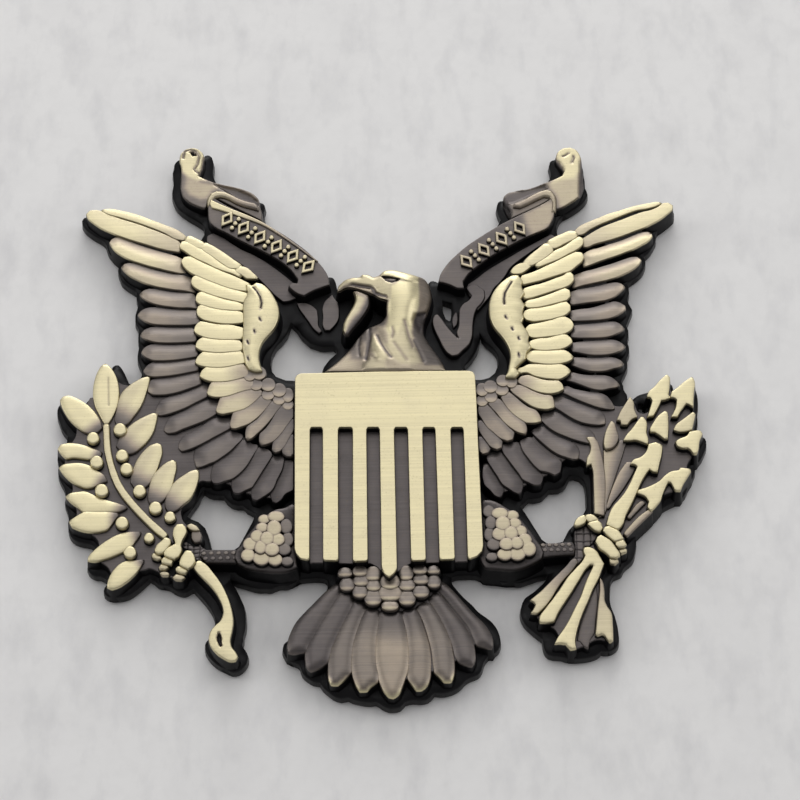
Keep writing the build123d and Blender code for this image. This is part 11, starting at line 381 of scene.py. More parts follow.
"right_leg":[[[[11.17,-13.07],[12.18,-12.85],[12.7,-12.65],[13.72,-12.11],[13.87,-11.84],[14.0,-11.73],[14.24,-11.61],[14.77,-11.54],[15.37,-11.54],[15.61,-11.48],[16.26,-11.49],[16.6,-11.69],[16.93,-12.26],[17.1,-12.36],[17.43,-12.1],[17.82,-11.6],[17.74,-11.27],[17.74,-10.97],[17.89,-10.64],[18.2,-10.47],[18.55,-10.4],[18.9,-10.41],[19.21,-10.58],[19.48,-11.03],[20.29,-11.84],[20.37,-12.0],[20.41,-12.38],[20.54,-12.49],[20.64,-12.49],[20.79,-12.34],[20.89,-12.02],[21.13,-11.54],[21.62,-11.25],[21.63,-10.74],[21.25,-9.86],[21.01,-9.5],[20.32,-9.11],[19.88,-9.07],[19.6,-8.93],[19.0,-8.03],[18.84,-7.89],[18.61,-7.82],[18.13,-7.88],[17.86,-7.97],[17.71,-8.06],[17.41,-8.36],[17.32,-8.57],[17.32,-9.17],[17.26,-9.41],[17.25,-9.88],[17.04,-10.21],[16.75,-10.34],[16.15,-10.34],[15.97,-10.4],[15.01,-10.4],[14.71,-10.46],[13.64,-10.45],[13.33,-10.28],[12.85,-9.38],[12.25,-8.48],[11.58,-7.59],[10.36,-6.71],[9.78,-6.39],[9.49,-6.26],[8.92,-6.23],[8.8,-6.35],[8.8,-7.19],[8.74,-7.49],[8.74,-9.05],[8.68,-9.35],[8.68,-10.91],[8.62,-11.21],[8.63,-12.34],[8.89,-12.8],[8.96,-12.85],[9.43,-12.86],[9.61,-12.92]]],[]],
"olive_branch":[[[[-25.42,-13.75],[-25.26,-13.75],[-24.92,-13.61],[-24.62,-13.43],[-24.17,-13.1],[-23.39,-12.32],[-23.14,-12.15],[-22.66,-11.97],[-22.44,-11.95],[-22.12,-11.8],[-21.9,-11.85],[-21.3,-12.15],[-20.74,-12.55],[-20.0,-12.77],[-19.36,-13.15],[-19.08,-13.15],[-18.89,-12.98],[-18.59,-12.38],[-18.14,-11.87],[-17.69,-11.42],[-17.21,-11.12],[-17.06,-10.79],[-17.06,-10.19],[-17.27,-9.8],[-17.41,-9.4],[-17.51,-8.72],[-17.72,-8.27],[-18.02,-7.97],[-18.47,-7.7],[-18.86,-7.31],[-19.03,-7.06],[-19.21,-6.58],[-19.27,-5.94],[-19.03,-5.28],[-18.63,-4.78],[-18.23,-3.92],[-17.75,-3.14],[-17.54,-2.93],[-17.32,-2.85],[-16.91,-2.96],[-16.36,-2.91],[-16.34,-2.27],[-16.39,-2.03],[-16.27,-1.5],[-16.19,-1.34],[-15.29,-0.62],[-14.6,0.01],[-13.97,0.88],[-13.61,1.27],[-13.67,1.42],[-13.75,1.43],[-14.75,0.22],[-15.26,-0.23],[-16.1,-0.83],[-17.22,-1.33],[-17.64,-1.45],[-17.78,-1.43],[-18.02,-0.71],[-18.02,0.07],[-17.93,0.28],[-17.3,0.79],[-15.28,2.07],[-14.65,2.27],[-14.69,2.44],[-14.84,2.58],[-17.46,1.01],[-18.38,0.55],[-18.78,0.41],[-19.19,0.34],[-19.37,0.4],[-19.52,0.67],[-19.45,1.14],[-19.13,1.66],[-17.72,2.53],[-16.6,3.45],[-15.95,3.63],[-15.35,3.53],[-15.29,3.55],[-15.77,4.0],[-15.95,4.3],[-16.05,4.61],[-16.13,4.54],[-16.17,4.22],[-16.25,4.12],[-17.16,3.53],[-20.06,2.29],[-20.62,2.27],[-20.87,2.5],[-20.9,2.71],[-20.75,3.22],[-20.53,3.66],[-19.96,4.05],[-18.96,4.55],[-18.1,5.13],[-17.48,5.41],[-17.21,5.5],[-16.39,5.57],[-16.38,5.62],[-16.7,5.95],[-16.87,6.2],[-17.01,6.59],[-17.05,6.59],[-17.06,6.31],[-17.16,5.99],[-19.46,4.75],[-20.81,4.24],[-21.46,4.19],[-21.76,4.37],[-21.78,4.44],[-21.67,5.04],[-21.38,5.59],[-20.74,5.97],[-18.9,6.53],[-17.96,6.97],[-17.35,7.19],[-17.34,7.24],[-17.57,7.54],[-17.63,7.57],[-18.08,7.27],[-19.56,6.71],[-20.46,6.47],[-21.48,6.36],[-22.18,6.41],[-22.54,6.71],[-22.58,6.79],[-22.52,7.51],[-22.35,7.82],[-22.39,7.94],[-22.61,8.02],[-22.96,8.01],[-23.88,7.55],[-24.36,7.5],[-24.82,7.55],[-25.18,7.67],[-25.55,7.9],[-25.94,8.29],[-26.45,9.16],[-26.75,9.46],[-26.86,9.5],[-27.09,9.32],[-27.31,8.88],[-27.49,8.28],[-27.68,7.09],[-27.63,6.56],[-27.86,6.31],[-28.21,6.24],[-28.53,5.54],[-28.67,5.38],[-28.76,5.36],[-29.52,5.85],[-30.24,6.14],[-30.57,6.08],[-30.73,5.88],[-30.61,5.36],[-30.19,4.46],[-29.51,3.46],[-29.37,3.06],[-29.33,2.65],[-29.37,2.24],[-29.51,1.84],[-29.69,1.54],[-30.05,1.18],[-30.32,0.97],[-30.61,0.9],[-30.71,0.67],[-30.45,0.24],[-30.32,-0.17],[-30.29,-0.53],[-30.32,-0.89],[-30.47,-1.4],[-30.23,-1.82],[-29.67,-2.52],[-29.48,-3.05],[-29.45,-3.41],[-29.48,-3.77],[-29.7,-4.42],[-29.19,-5.1],[-29.0,-5.63],[-28.97,-5.99],[-29.0,-6.35],[-29.15,-6.8],[-29.29,-7.02],[-29.29,-7.12],[-29.04,-7.47],[-28.42,-7.75],[-28.04,-7.85],[-27.74,-8.03],[-26.87,-8.9],[-26.78,-9.29],[-26.91,-9.94],[-26.99,-10.16],[-27.37,-10.62],[-27.43,-10.84],[-27.34,-10.93],[-26.94,-10.95],[-26.46,-11.13],[-26.21,-11.3],[-25.85,-11.66],[-25.67,-11.96],[-25.53,-12.36],[-25.48,-12.82],[-25.61,-13.61]],[[-10.78,-4.83],[-10.81,-4.38],[-9.87,-1.84],[-9.79,-1.44],[-9.65,-1.1],[-9.74,-1.01],[-9.79,-1.03],[-9.85,-1.14],[-9.92,-1.73],[-10.01,-2.0],[-10.95,-4.12],[-11.15,-4.34],[-11.57,-4.67],[-11.5,-4.75],[-11.21,-4.76],[-10.85,-4.87]],[[-12.59,-4.55],[-12.62,-4.13],[-12.55,-3.72],[-11.57,-1.94],[-11.38,-1.42],[-11.39,-1.37],[-11.65,-1.74],[-12.71,-3.68],[-12.84,-3.79],[-13.43,-4.07],[-13.36,-4.15],[-12.96,-4.29]],[[-14.49,-3.51],[-14.46,-2.89],[-13.76,-2.21],[-13.43,-1.76],[-13.43,-1.67],[-13.98,-2.29],[-14.54,-2.75],[-15.34,-3.02],[-15.33,-3.07],[-14.94,-3.21],[-14.54,-3.52]],[[-13.07,-1.13],[-12.17,0.28],[-12.16,0.36],[-12.2,0.43],[-12.31,0.42],[-12.55,-0.0],[-13.07,-1.04]]],[]],
"arrow_bundle":[[[[20.49,-12.42],[20.64,-12.43],[20.8,-12.29],[21.13,-11.66],[21.62,-11.25],[21.58,-10.31],[21.79,-9.74],[22.12,-9.35],[24.1,-7.37],[24.11,-7.3],[24.04,-7.31],[23.53,-7.66],[23.92,-7.13],[24.19,-6.89],[24.34,-7.0],[24.7,-6.65],[25.09,-6.14],[25.19,-5.82],[25.33,-5.6],[25.78,-5.21],[26.35,-5.0],[26.77,-4.97],[26.92,-5.09],[27.03,-5.08],[27.29,-4.5],[28.09,-3.2],[28.03,-3.11],[28.0,-2.45],[28.13,-1.98],[28.36,-1.61],[28.87,-1.16],[29.01,-0.7],[29.09,-0.12],[29.41,0.67],[29.35,0.82],[29.11,1.0],[28.93,1.36],[28.78,1.81],[28.78,2.23],[28.9,2.71],[28.78,3.19],[28.78,3.79],[29.08,6.07],[29.08,6.37],[28.99,6.55],[28.42,6.19],[27.55,5.41],[27.31,5.5],[27.01,5.86],[26.92,6.13],[26.97,6.54],[26.73,6.84],[26.62,6.85],[26.21,6.48],[25.54,5.65],[24.97,5.08],[24.9,4.88],[25.12,4.81],[25.18,4.69],[25.05,3.98],[24.67,3.46],[24.37,3.34],[23.96,3.41],[23.8,3.55],[23.63,3.98],[23.54,4.37],[23.22,4.53],[23.06,4.53],[22.72,4.33],[22.27,4.18],[21.86,4.19],[21.31,4.39],[21.44,3.92],[21.37,3.88],[20.83,3.88],[20.24,4.01],[19.42,4.33],[18.32,4.85],[17.22,5.49],[16.84,5.64],[16.58,5.26],[16.6,5.17],[18.04,4.45],[20.26,3.49],[20.47,3.04],[20.5,2.41],[20.45,2.28],[20.17,2.2],[19.57,2.2],[18.68,2.39],[17.78,2.81],[16.06,4.08],[15.97,4.06],[15.62,3.58],[15.63,3.53],[15.74,3.47],[16.12,3.43],[16.9,2.83],[17.8,2.23],[18.36,1.95],[19.12,1.45],[19.39,1.0],[19.42,0.85],[19.39,0.4],[19.14,0.29],[18.91,0.28],[18.56,0.35],[17.78,0.59],[16.28,1.31],[15.43,1.9],[14.86,2.46],[14.81,2.45],[14.59,2.02],[14.61,1.97],[14.83,1.9],[15.46,1.27],[16.18,0.79],[17.55,0.12],[17.85,-0.42],[17.8,-0.83],[17.83,-1.28],[18.16,-1.43],[18.52,-1.73],[18.79,-2.18],[19.23,-2.7],[19.36,-3.05],[19.36,-3.89],[19.3,-4.19],[19.3,-6.29],[19.23,-6.88],[19.11,-7.18],[18.79,-7.58],[18.46,-7.79],[17.8,-8.03],[17.47,-8.3],[17.35,-8.54],[17.32,-9.77],[17.26,-10.01],[17.32,-10.25],[17.32,-10.61],[17.26,-11.15],[17.11,-11.6],[16.87,-11.96],[16.85,-12.1],[17.03,-12.33],[17.08,-12.34],[17.35,-12.14],[18.01,-11.42],[18.26,-11.25],[18.74,-11.07],[19.15,-11.06],[19.68,-11.25],[20.08,-11.57],[20.29,-11.9]],[[10.7,-4.68],[11.39,-4.51],[11.4,-4.46],[10.81,-3.98],[9.59,-1.66],[9.5,-1.6],[9.37,-1.76],[9.37,-1.88],[10.67,-4.42]],[[12.43,-4.25],[12.8,-3.99],[13.21,-3.83],[12.67,-3.44],[11.09,-0.82],[10.87,-0.32],[10.78,-0.3],[10.39,-0.65],[10.61,-0.7],[10.75,-0.86],[11.69,-2.5],[12.49,-3.62],[12.51,-3.71]],[[14.41,-3.23],[14.8,-2.99],[15.11,-2.88],[15.14,-2.82],[14.32,-2.57],[13.9,-2.15],[13.25,-1.18],[12.85,-0.5],[12.63,0.29],[12.4,0.25],[12.36,0.14],[13.07,-1.24]],[[16.21,-1.73],[16.64,-1.41],[16.85,-1.32],[16.88,-1.26],[16.18,-0.95],[15.55,-0.5],[14.92,0.07],[13.89,1.31],[13.84,1.32],[13.56,0.86],[13.93,0.22],[14.2,-0.11],[15.19,-1.1],[15.76,-1.43],[16.13,-1.54]]],[]],
"arrow_tails":[[[[16.29,-20.82],[16.49,-20.82],[16.82,-20.61],[17.24,-20.43],[17.7,-20.41],[18.16,-19.97],[18.62,-19.77],[19.2,-19.77],[19.81,-20.06],[19.91,-20.04],[19.96,-19.97],[19.96,-19.37],[20.02,-19.13],[19.96,-17.45],[19.57,-16.7],[19.43,-16.24],[19.42,-15.05],[19.18,-13.85],[19.19,-13.26],[19.52,-12.48],[19.03,-11.42],[18.88,-11.27],[18.36,-10.95],[18.09,-10.96],[17.91,-11.32],[17.7,-11.59],[17.46,-11.77],[16.76,-12.15],[16.42,-12.59],[15.34,-13.67],[15.22,-13.85],[13.06,-15.95],[13.12,-16.25],[13.12,-16.85],[13.03,-17.15],[13.32,-17.37],[13.51,-17.6],[13.65,-17.88],[13.68,-18.15],[14.34,-18.27],[14.62,-18.41],[14.85,-18.6],[15.03,-18.84],[15.22,-19.31],[15.22,-19.85],[15.07,-20.21],[15.42,-20.25],[15.84,-20.43],[16.15,-20.66]]],[]]}
SHIELD_BARS = [[-8.619,7.05],[-8.429,7.406],[-8.05,7.56],[-4.349,7.573],[0.301,7.586],[4.192,7.551],[7.796,7.489],[8.266,7.347],[8.444,6.984],[8.502,4.273],[8.508,-0.005],[8.561,-4.215],[8.613,-8.358],[8.64,-10.913],[8.51,-11.52],[8.038,-12.016],[7.391,-12.254],[7.414,-12.246],[7.244,-12.187],[7.194,-11.987],[7.186,1.194],[7.052,1.411],[6.124,1.432],[5.978,1.222],[6.007,-12.005],[5.957,-12.205],[5.787,-12.279],[4.83,-12.295],[4.66,-12.229],[4.61,-12.029],[4.544,1.255],[4.408,1.471],[3.48,1.492],[3.335,1.282],[3.359,-12.05],[3.309,-12.25],[3.139,-12.323],[2.227,-12.334],[2.057,-12.267],[2.007,-12.067],[1.967,1.313],[1.83,1.53],[0.817,1.553],[0.673,1.343],[0.71,-12.948],[0.66,-13.148],[0.49,-13.478],[0.335,-13.661],[-0.034,-13.954],[-0.394,-13.645],[-0.66,-13.136],[-0.468,-13.503],[-0.638,-13.034],[-0.688,-12.834],[-0.677,1.374],[-0.815,1.59],[-1.772,1.612],[-1.915,1.402],[-1.949,-11.987],[-1.999,-12.187],[-2.169,-12.26],[-3.114,-12.274],[-3.091,-12.274],[-3.261,-12.192],[-3.311,-11.992],[-3.199,1.431],[-3.338,1.648],[-4.436,1.673],[-4.578,1.463],[-4.636,-11.915],[-4.686,-12.115],[-4.856,-12.173],[-5.814,-12.123],[-5.984,-12.041],[-6.034,-11.841],[-6.013,1.495],[-6.153,1.712],[-7.082,1.733],[-7.223,1.523],[-7.287,-11.81],[-7.337,-12.01],[-7.507,-12.028],[-8.137,-11.859],[-8.503,-11.344],[-8.641,-10.833],[-8.639,-5.908],[-8.648,0.385]]
OUTLINE = [[-0.34,-25.57],[0.43,-25.58],[0.72,-25.51],[1.18,-25.01],[1.58,-24.87],[3.0,-24.85],[3.22,-24.77],[3.86,-24.15],[4.48,-24.23],[6.12,-23.65],[6.7,-23.03],[7.24,-22.73],[7.8,-22.51],[7.96,-22.37],[8.47,-21.14],[8.8,-20.75],[9.55,-20.3],[9.73,-20.12],[9.85,-19.88],[9.94,-19.61],[9.98,-19.2],[9.87,-18.6],[9.75,-18.24],[9.45,-17.7],[7.78,-16.07],[7.66,-15.89],[6.76,-14.93],[6.01,-13.94],[5.75,-13.54],[5.68,-13.19],[5.68,-12.89],[5.7,-12.79],[5.77,-12.74],[6.97,-12.56],[7.51,-12.56],[7.98,-12.63],[8.72,-12.97],[9.74,-13.21],[10.75,-13.4],[11.47,-13.4],[11.77,-13.46],[12.72,-13.21],[13.7,-12.87],[14.63,-12.69],[14.59,-12.86],[13.36,-14.39],[12.25,-15.32],[12.05,-15.84],[11.98,-16.25],[11.99,-16.78],[12.25,-17.48],[12.94,-18.29],[13.87,-19.16],[13.97,-20.08],[14.14,-20.51],[14.32,-20.69],[14.72,-20.83],[15.43,-20.9],[15.92,-21.07],[16.33,-21.14],[17.23,-21.14],[18.06,-21.01],[18.48,-20.89],[18.76,-20.75],[19.09,-20.42],[19.33,-20.48],[19.75,-20.48],[20.04,-20.41],[20.23,-20.3],[20.59,-19.94],[20.74,-19.43],[20.74,-18.65],[20.49,-17.04],[20.2,-16.07],[20.2,-14.21],[20.35,-13.4],[20.62,-13.01],[21.25,-12.74],[21.37,-12.62],[21.52,-12.29],[22.47,-11.32],[22.78,-10.31],[22.9,-9.59],[22.9,-8.93],[22.94,-8.85],[23.38,-8.45],[24.28,-7.31],[25.15,-6.38],[25.94,-5.85],[27.42,-5.05],[27.67,-4.82],[27.91,-4.4],[28.21,-3.56],[28.59,-2.98],[28.83,-2.44],[28.88,-2.22],[28.79,-1.74],[29.55,-0.94],[29.79,-0.46],[30.14,0.8],[30.07,1.06],[29.92,1.21],[29.71,1.27],[29.45,1.23],[29.38,1.57],[29.38,2.47],[29.44,2.65],[29.5,3.97],[29.56,4.21],[29.56,6.25],[29.49,6.54],[29.35,6.7],[29.05,6.82],[28.76,6.75],[27.64,5.83],[27.56,5.82],[27.35,6.08],[27.4,6.61],[27.31,6.94],[27.16,7.09],[26.98,7.15],[26.72,7.11],[26.12,6.87],[25.12,6.25],[23.92,5.83],[23.5,5.47],[23.11,4.99],[23.02,5.17],[22.95,6.0],[22.67,6.56],[22.65,7.02],[22.48,7.51],[22.57,7.84],[22.87,8.44],[23.19,9.32],[23.14,9.91],[23.44,10.81],[23.44,11.35],[23.32,11.71],[23.32,11.95],[23.5,12.67],[23.5,13.09],[23.29,13.69],[24.01,15.43],[23.62,16.57],[23.8,17.35],[23.83,17.83],[23.64,18.48],[24.91,19.48],[25.17,19.76],[25.51,20.44],[25.63,20.89],[25.46,21.52],[26.02,22.03],[26.55,22.88],[26.83,23.56],[26.75,23.95],[26.81,24.12],[27.34,24.85],[27.55,25.06],[28.27,25.6],[28.57,25.9],[28.81,26.38],[28.77,26.58],[28.6,26.77],[28.38,26.85],[28.03,26.86],[27.43,26.98],[26.95,26.98],[25.34,26.67],[22.76,25.83],[21.1,25.21],[19.7,24.57],[18.5,23.85],[17.59,23.23],[17.14,24.31],[17.35,26.02],[17.62,26.41],[18.4,26.89],[19.57,27.76],[19.93,28.12],[20.25,28.64],[20.36,28.94],[20.14,29.65],[20.14,30.73],[20.08,30.97],[20.08,31.63],[19.95,32.34],[19.75,32.92],[19.54,33.25],[19.14,33.63],[18.61,33.81],[18.14,33.75],[17.92,33.67],[17.26,33.08],[17.0,33.03],[16.81,32.86],[16.72,32.53],[16.84,31.75],[16.83,31.28],[16.02,29.69],[15.0,29.27],[13.99,29.02],[12.98,28.89],[12.62,28.77],[12.2,28.59],[11.92,28.33],[11.6,28.29],[11.44,28.15],[11.33,27.85],[11.66,26.12],[10.51,24.1],[8.32,22.51],[7.27,21.58],[6.19,20.38],[5.57,19.44],[5.31,18.93],[5.26,18.91],[4.74,19.16],[4.52,19.11],[4.31,18.9],[3.94,18.13],[3.01,17.93],[1.68,18.27],[0.49,18.46],[0.16,18.37],[-0.84,17.87],[-1.56,18.09],[-1.91,18.1],[-3.16,17.91],[-4.37,17.59],[-4.63,18.38],[-4.83,19.38],[-4.94,19.63],[-5.1,19.77],[-5.33,19.83],[-5.48,19.81],[-5.81,20.02],[-5.99,20.2],[-6.56,21.01],[-7.79,22.36],[-7.97,22.48],[-8.63,23.14],[-9.71,24.04],[-10.88,24.85],[-11.75,25.9],[-11.84,26.23],[-11.84,27.07],[-11.9,27.37],[-11.9,27.61],[-11.75,28.21],[-11.84,28.45],[-12.0,28.59],[-12.44,28.75],[-12.96,29.19],[-13.64,29.53],[-14.98,29.99],[-16.39,30.56],[-16.99,32.06],[-17.0,33.55],[-17.07,34.02],[-17.15,34.24],[-17.36,34.45],[-17.57,34.51],[-17.78,34.45],[-17.96,34.27],[-18.04,34.26],[-18.36,34.47],[-18.66,34.59],[-19.07,34.66],[-19.3,34.65],[-19.82,34.45],[-20.18,34.09],[-20.51,33.94],[-20.81,33.58],[-20.9,33.31],[-20.9,33.01],[-21.02,32.41],[-20.96,32.05],[-20.96,30.55],[-21.01,30.31],[-20.83,29.24],[-20.45,28.42],[-19.61,27.58],[-18.32,26.65],[-17.85,26.22],[-17.67,25.52],[-18.38,23.77],[-18.53,23.74],[-19.3,23.93],[-20.16,24.69],[-21.98,25.63],[-24.38,26.71],[-25.98,27.21],[-27.11,27.46],[-28.25,27.46],[-28.49,27.4],[-29.44,27.38],[-29.66,27.31],[-29.78,27.19],[-29.89,26.94],[-29.77,26.48],[-29.66,26.29],[-28.79,25.42],[-27.53,24.46],[-27.05,23.2],[-26.72,22.75],[-26.01,22.08],[-26.0,21.85],[-26.12,21.13],[-25.93,20.48],[-25.67,19.84],[-25.37,19.54],[-24.21,18.66],[-24.2,17.83],[-24.03,17.23],[-24.26,15.91],[-24.26,15.31],[-23.84,14.11],[-23.9,13.75],[-23.9,13.09],[-23.84,12.85],[-23.9,11.05],[-23.42,9.55],[-23.85,8.01],[-24.04,8.03],[-24.65,8.32],[-25.07,9.34],[-25.29,9.78],[-25.58,10.21],[-25.7,10.33],[-25.88,10.39],[-26.08,10.35],[-26.27,10.18],[-26.43,9.68],[-26.5,9.66],[-26.76,9.74],[-26.98,9.69],[-27.31,9.36],[-27.55,8.88],[-27.79,7.98],[-27.89,6.88],[-28.04,6.68],[-28.36,6.63],[-28.52,6.49],[-28.89,5.73],[-28.94,5.72],[-29.58,6.15],[-30.17,6.34],[-30.88,6.27],[-31.1,6.19],[-31.27,6.0],[-31.4,5.47],[-31.03,4.04],[-30.91,3.68],[-30.67,3.26],[-30.28,2.76],[-30.41,1.78],[-30.71,1.12],[-30.92,1.03],[-31.07,0.88],[-31.16,0.55],[-30.99,-0.65],[-31.04,-0.83],[-31.03,-1.18],[-30.77,-2.0],[-30.39,-2.76],[-30.2,-3.71],[-30.26,-4.31],[-30.03,-5.04],[-29.81,-6.05],[-29.87,-6.53],[-29.84,-6.95],[-29.71,-7.48],[-29.6,-7.73],[-29.12,-8.21],[-28.42,-8.47],[-27.72,-8.61],[-27.23,-9.08],[-27.2,-9.35],[-27.39,-10.24],[-27.57,-10.66],[-27.79,-10.92],[-27.85,-11.2],[-27.74,-11.45],[-27.32,-11.81],[-27.05,-11.9],[-26.66,-11.93],[-26.08,-12.31],[-26.06,-12.95],[-26.23,-13.2],[-26.3,-13.49],[-26.21,-13.76],[-26.02,-13.93],[-25.55,-14.12],[-24.95,-14.12],[-24.02,-13.91],[-23.33,-13.4],[-22.12,-12.22],[-21.68,-12.47],[-21.32,-12.83],[-20.28,-13.11],[-19.6,-13.57],[-19.3,-13.69],[-19.01,-13.76],[-18.84,-13.75],[-18.62,-13.67],[-18.26,-13.43],[-18.02,-13.38],[-16.77,-14.94],[-16.29,-15.72],[-15.99,-16.56],[-15.98,-16.85],[-16.23,-17.86],[-16.59,-18.64],[-16.79,-18.86],[-16.88,-19.13],[-16.87,-19.36],[-16.61,-20.06],[-16.28,-20.51],[-15.62,-21.11],[-15.2,-21.35],[-14.12,-21.77],[-13.8,-21.67],[-13.37,-21.32],[-13.17,-21.04],[-13.0,-20.32],[-13.52,-19.01],[-13.46,-18.77],[-13.46,-18.35],[-13.28,-17.57],[-13.28,-16.01],[-13.35,-15.48],[-13.67,-14.6],[-14.07,-13.74],[-14.75,-12.59],[-14.66,-12.59],[-14.08,-12.85],[-13.36,-13.09],[-11.92,-13.51],[-11.27,-13.52],[-11.14,-13.56],[-10.18,-13.23],[-9.36,-13.21],[-8.7,-12.91],[-8.33,-12.68],[-7.43,-12.56],[-6.35,-12.56],[-5.96,-12.65],[-5.72,-12.83],[-5.68,-12.94],[-6.11,-14.54],[-6.86,-15.53],[-7.76,-16.55],[-8.33,-17.3],[-9.23,-18.8],[-9.71,-19.22],[-9.8,-19.55],[-9.8,-19.79],[-9.71,-20.06],[-9.53,-20.42],[-9.11,-20.84],[-8.46,-21.09],[-8.3,-21.23],[-8.19,-21.42],[-7.99,-22.06],[-7.55,-22.52],[-7.04,-22.85],[-6.44,-22.97],[-6.11,-23.48],[-5.75,-23.84],[-4.96,-24.43],[-4.55,-24.56],[-3.89,-24.45],[-3.5,-24.65],[-3.23,-24.74],[-1.85,-24.98],[-1.38,-24.94],[-0.82,-25.33]]
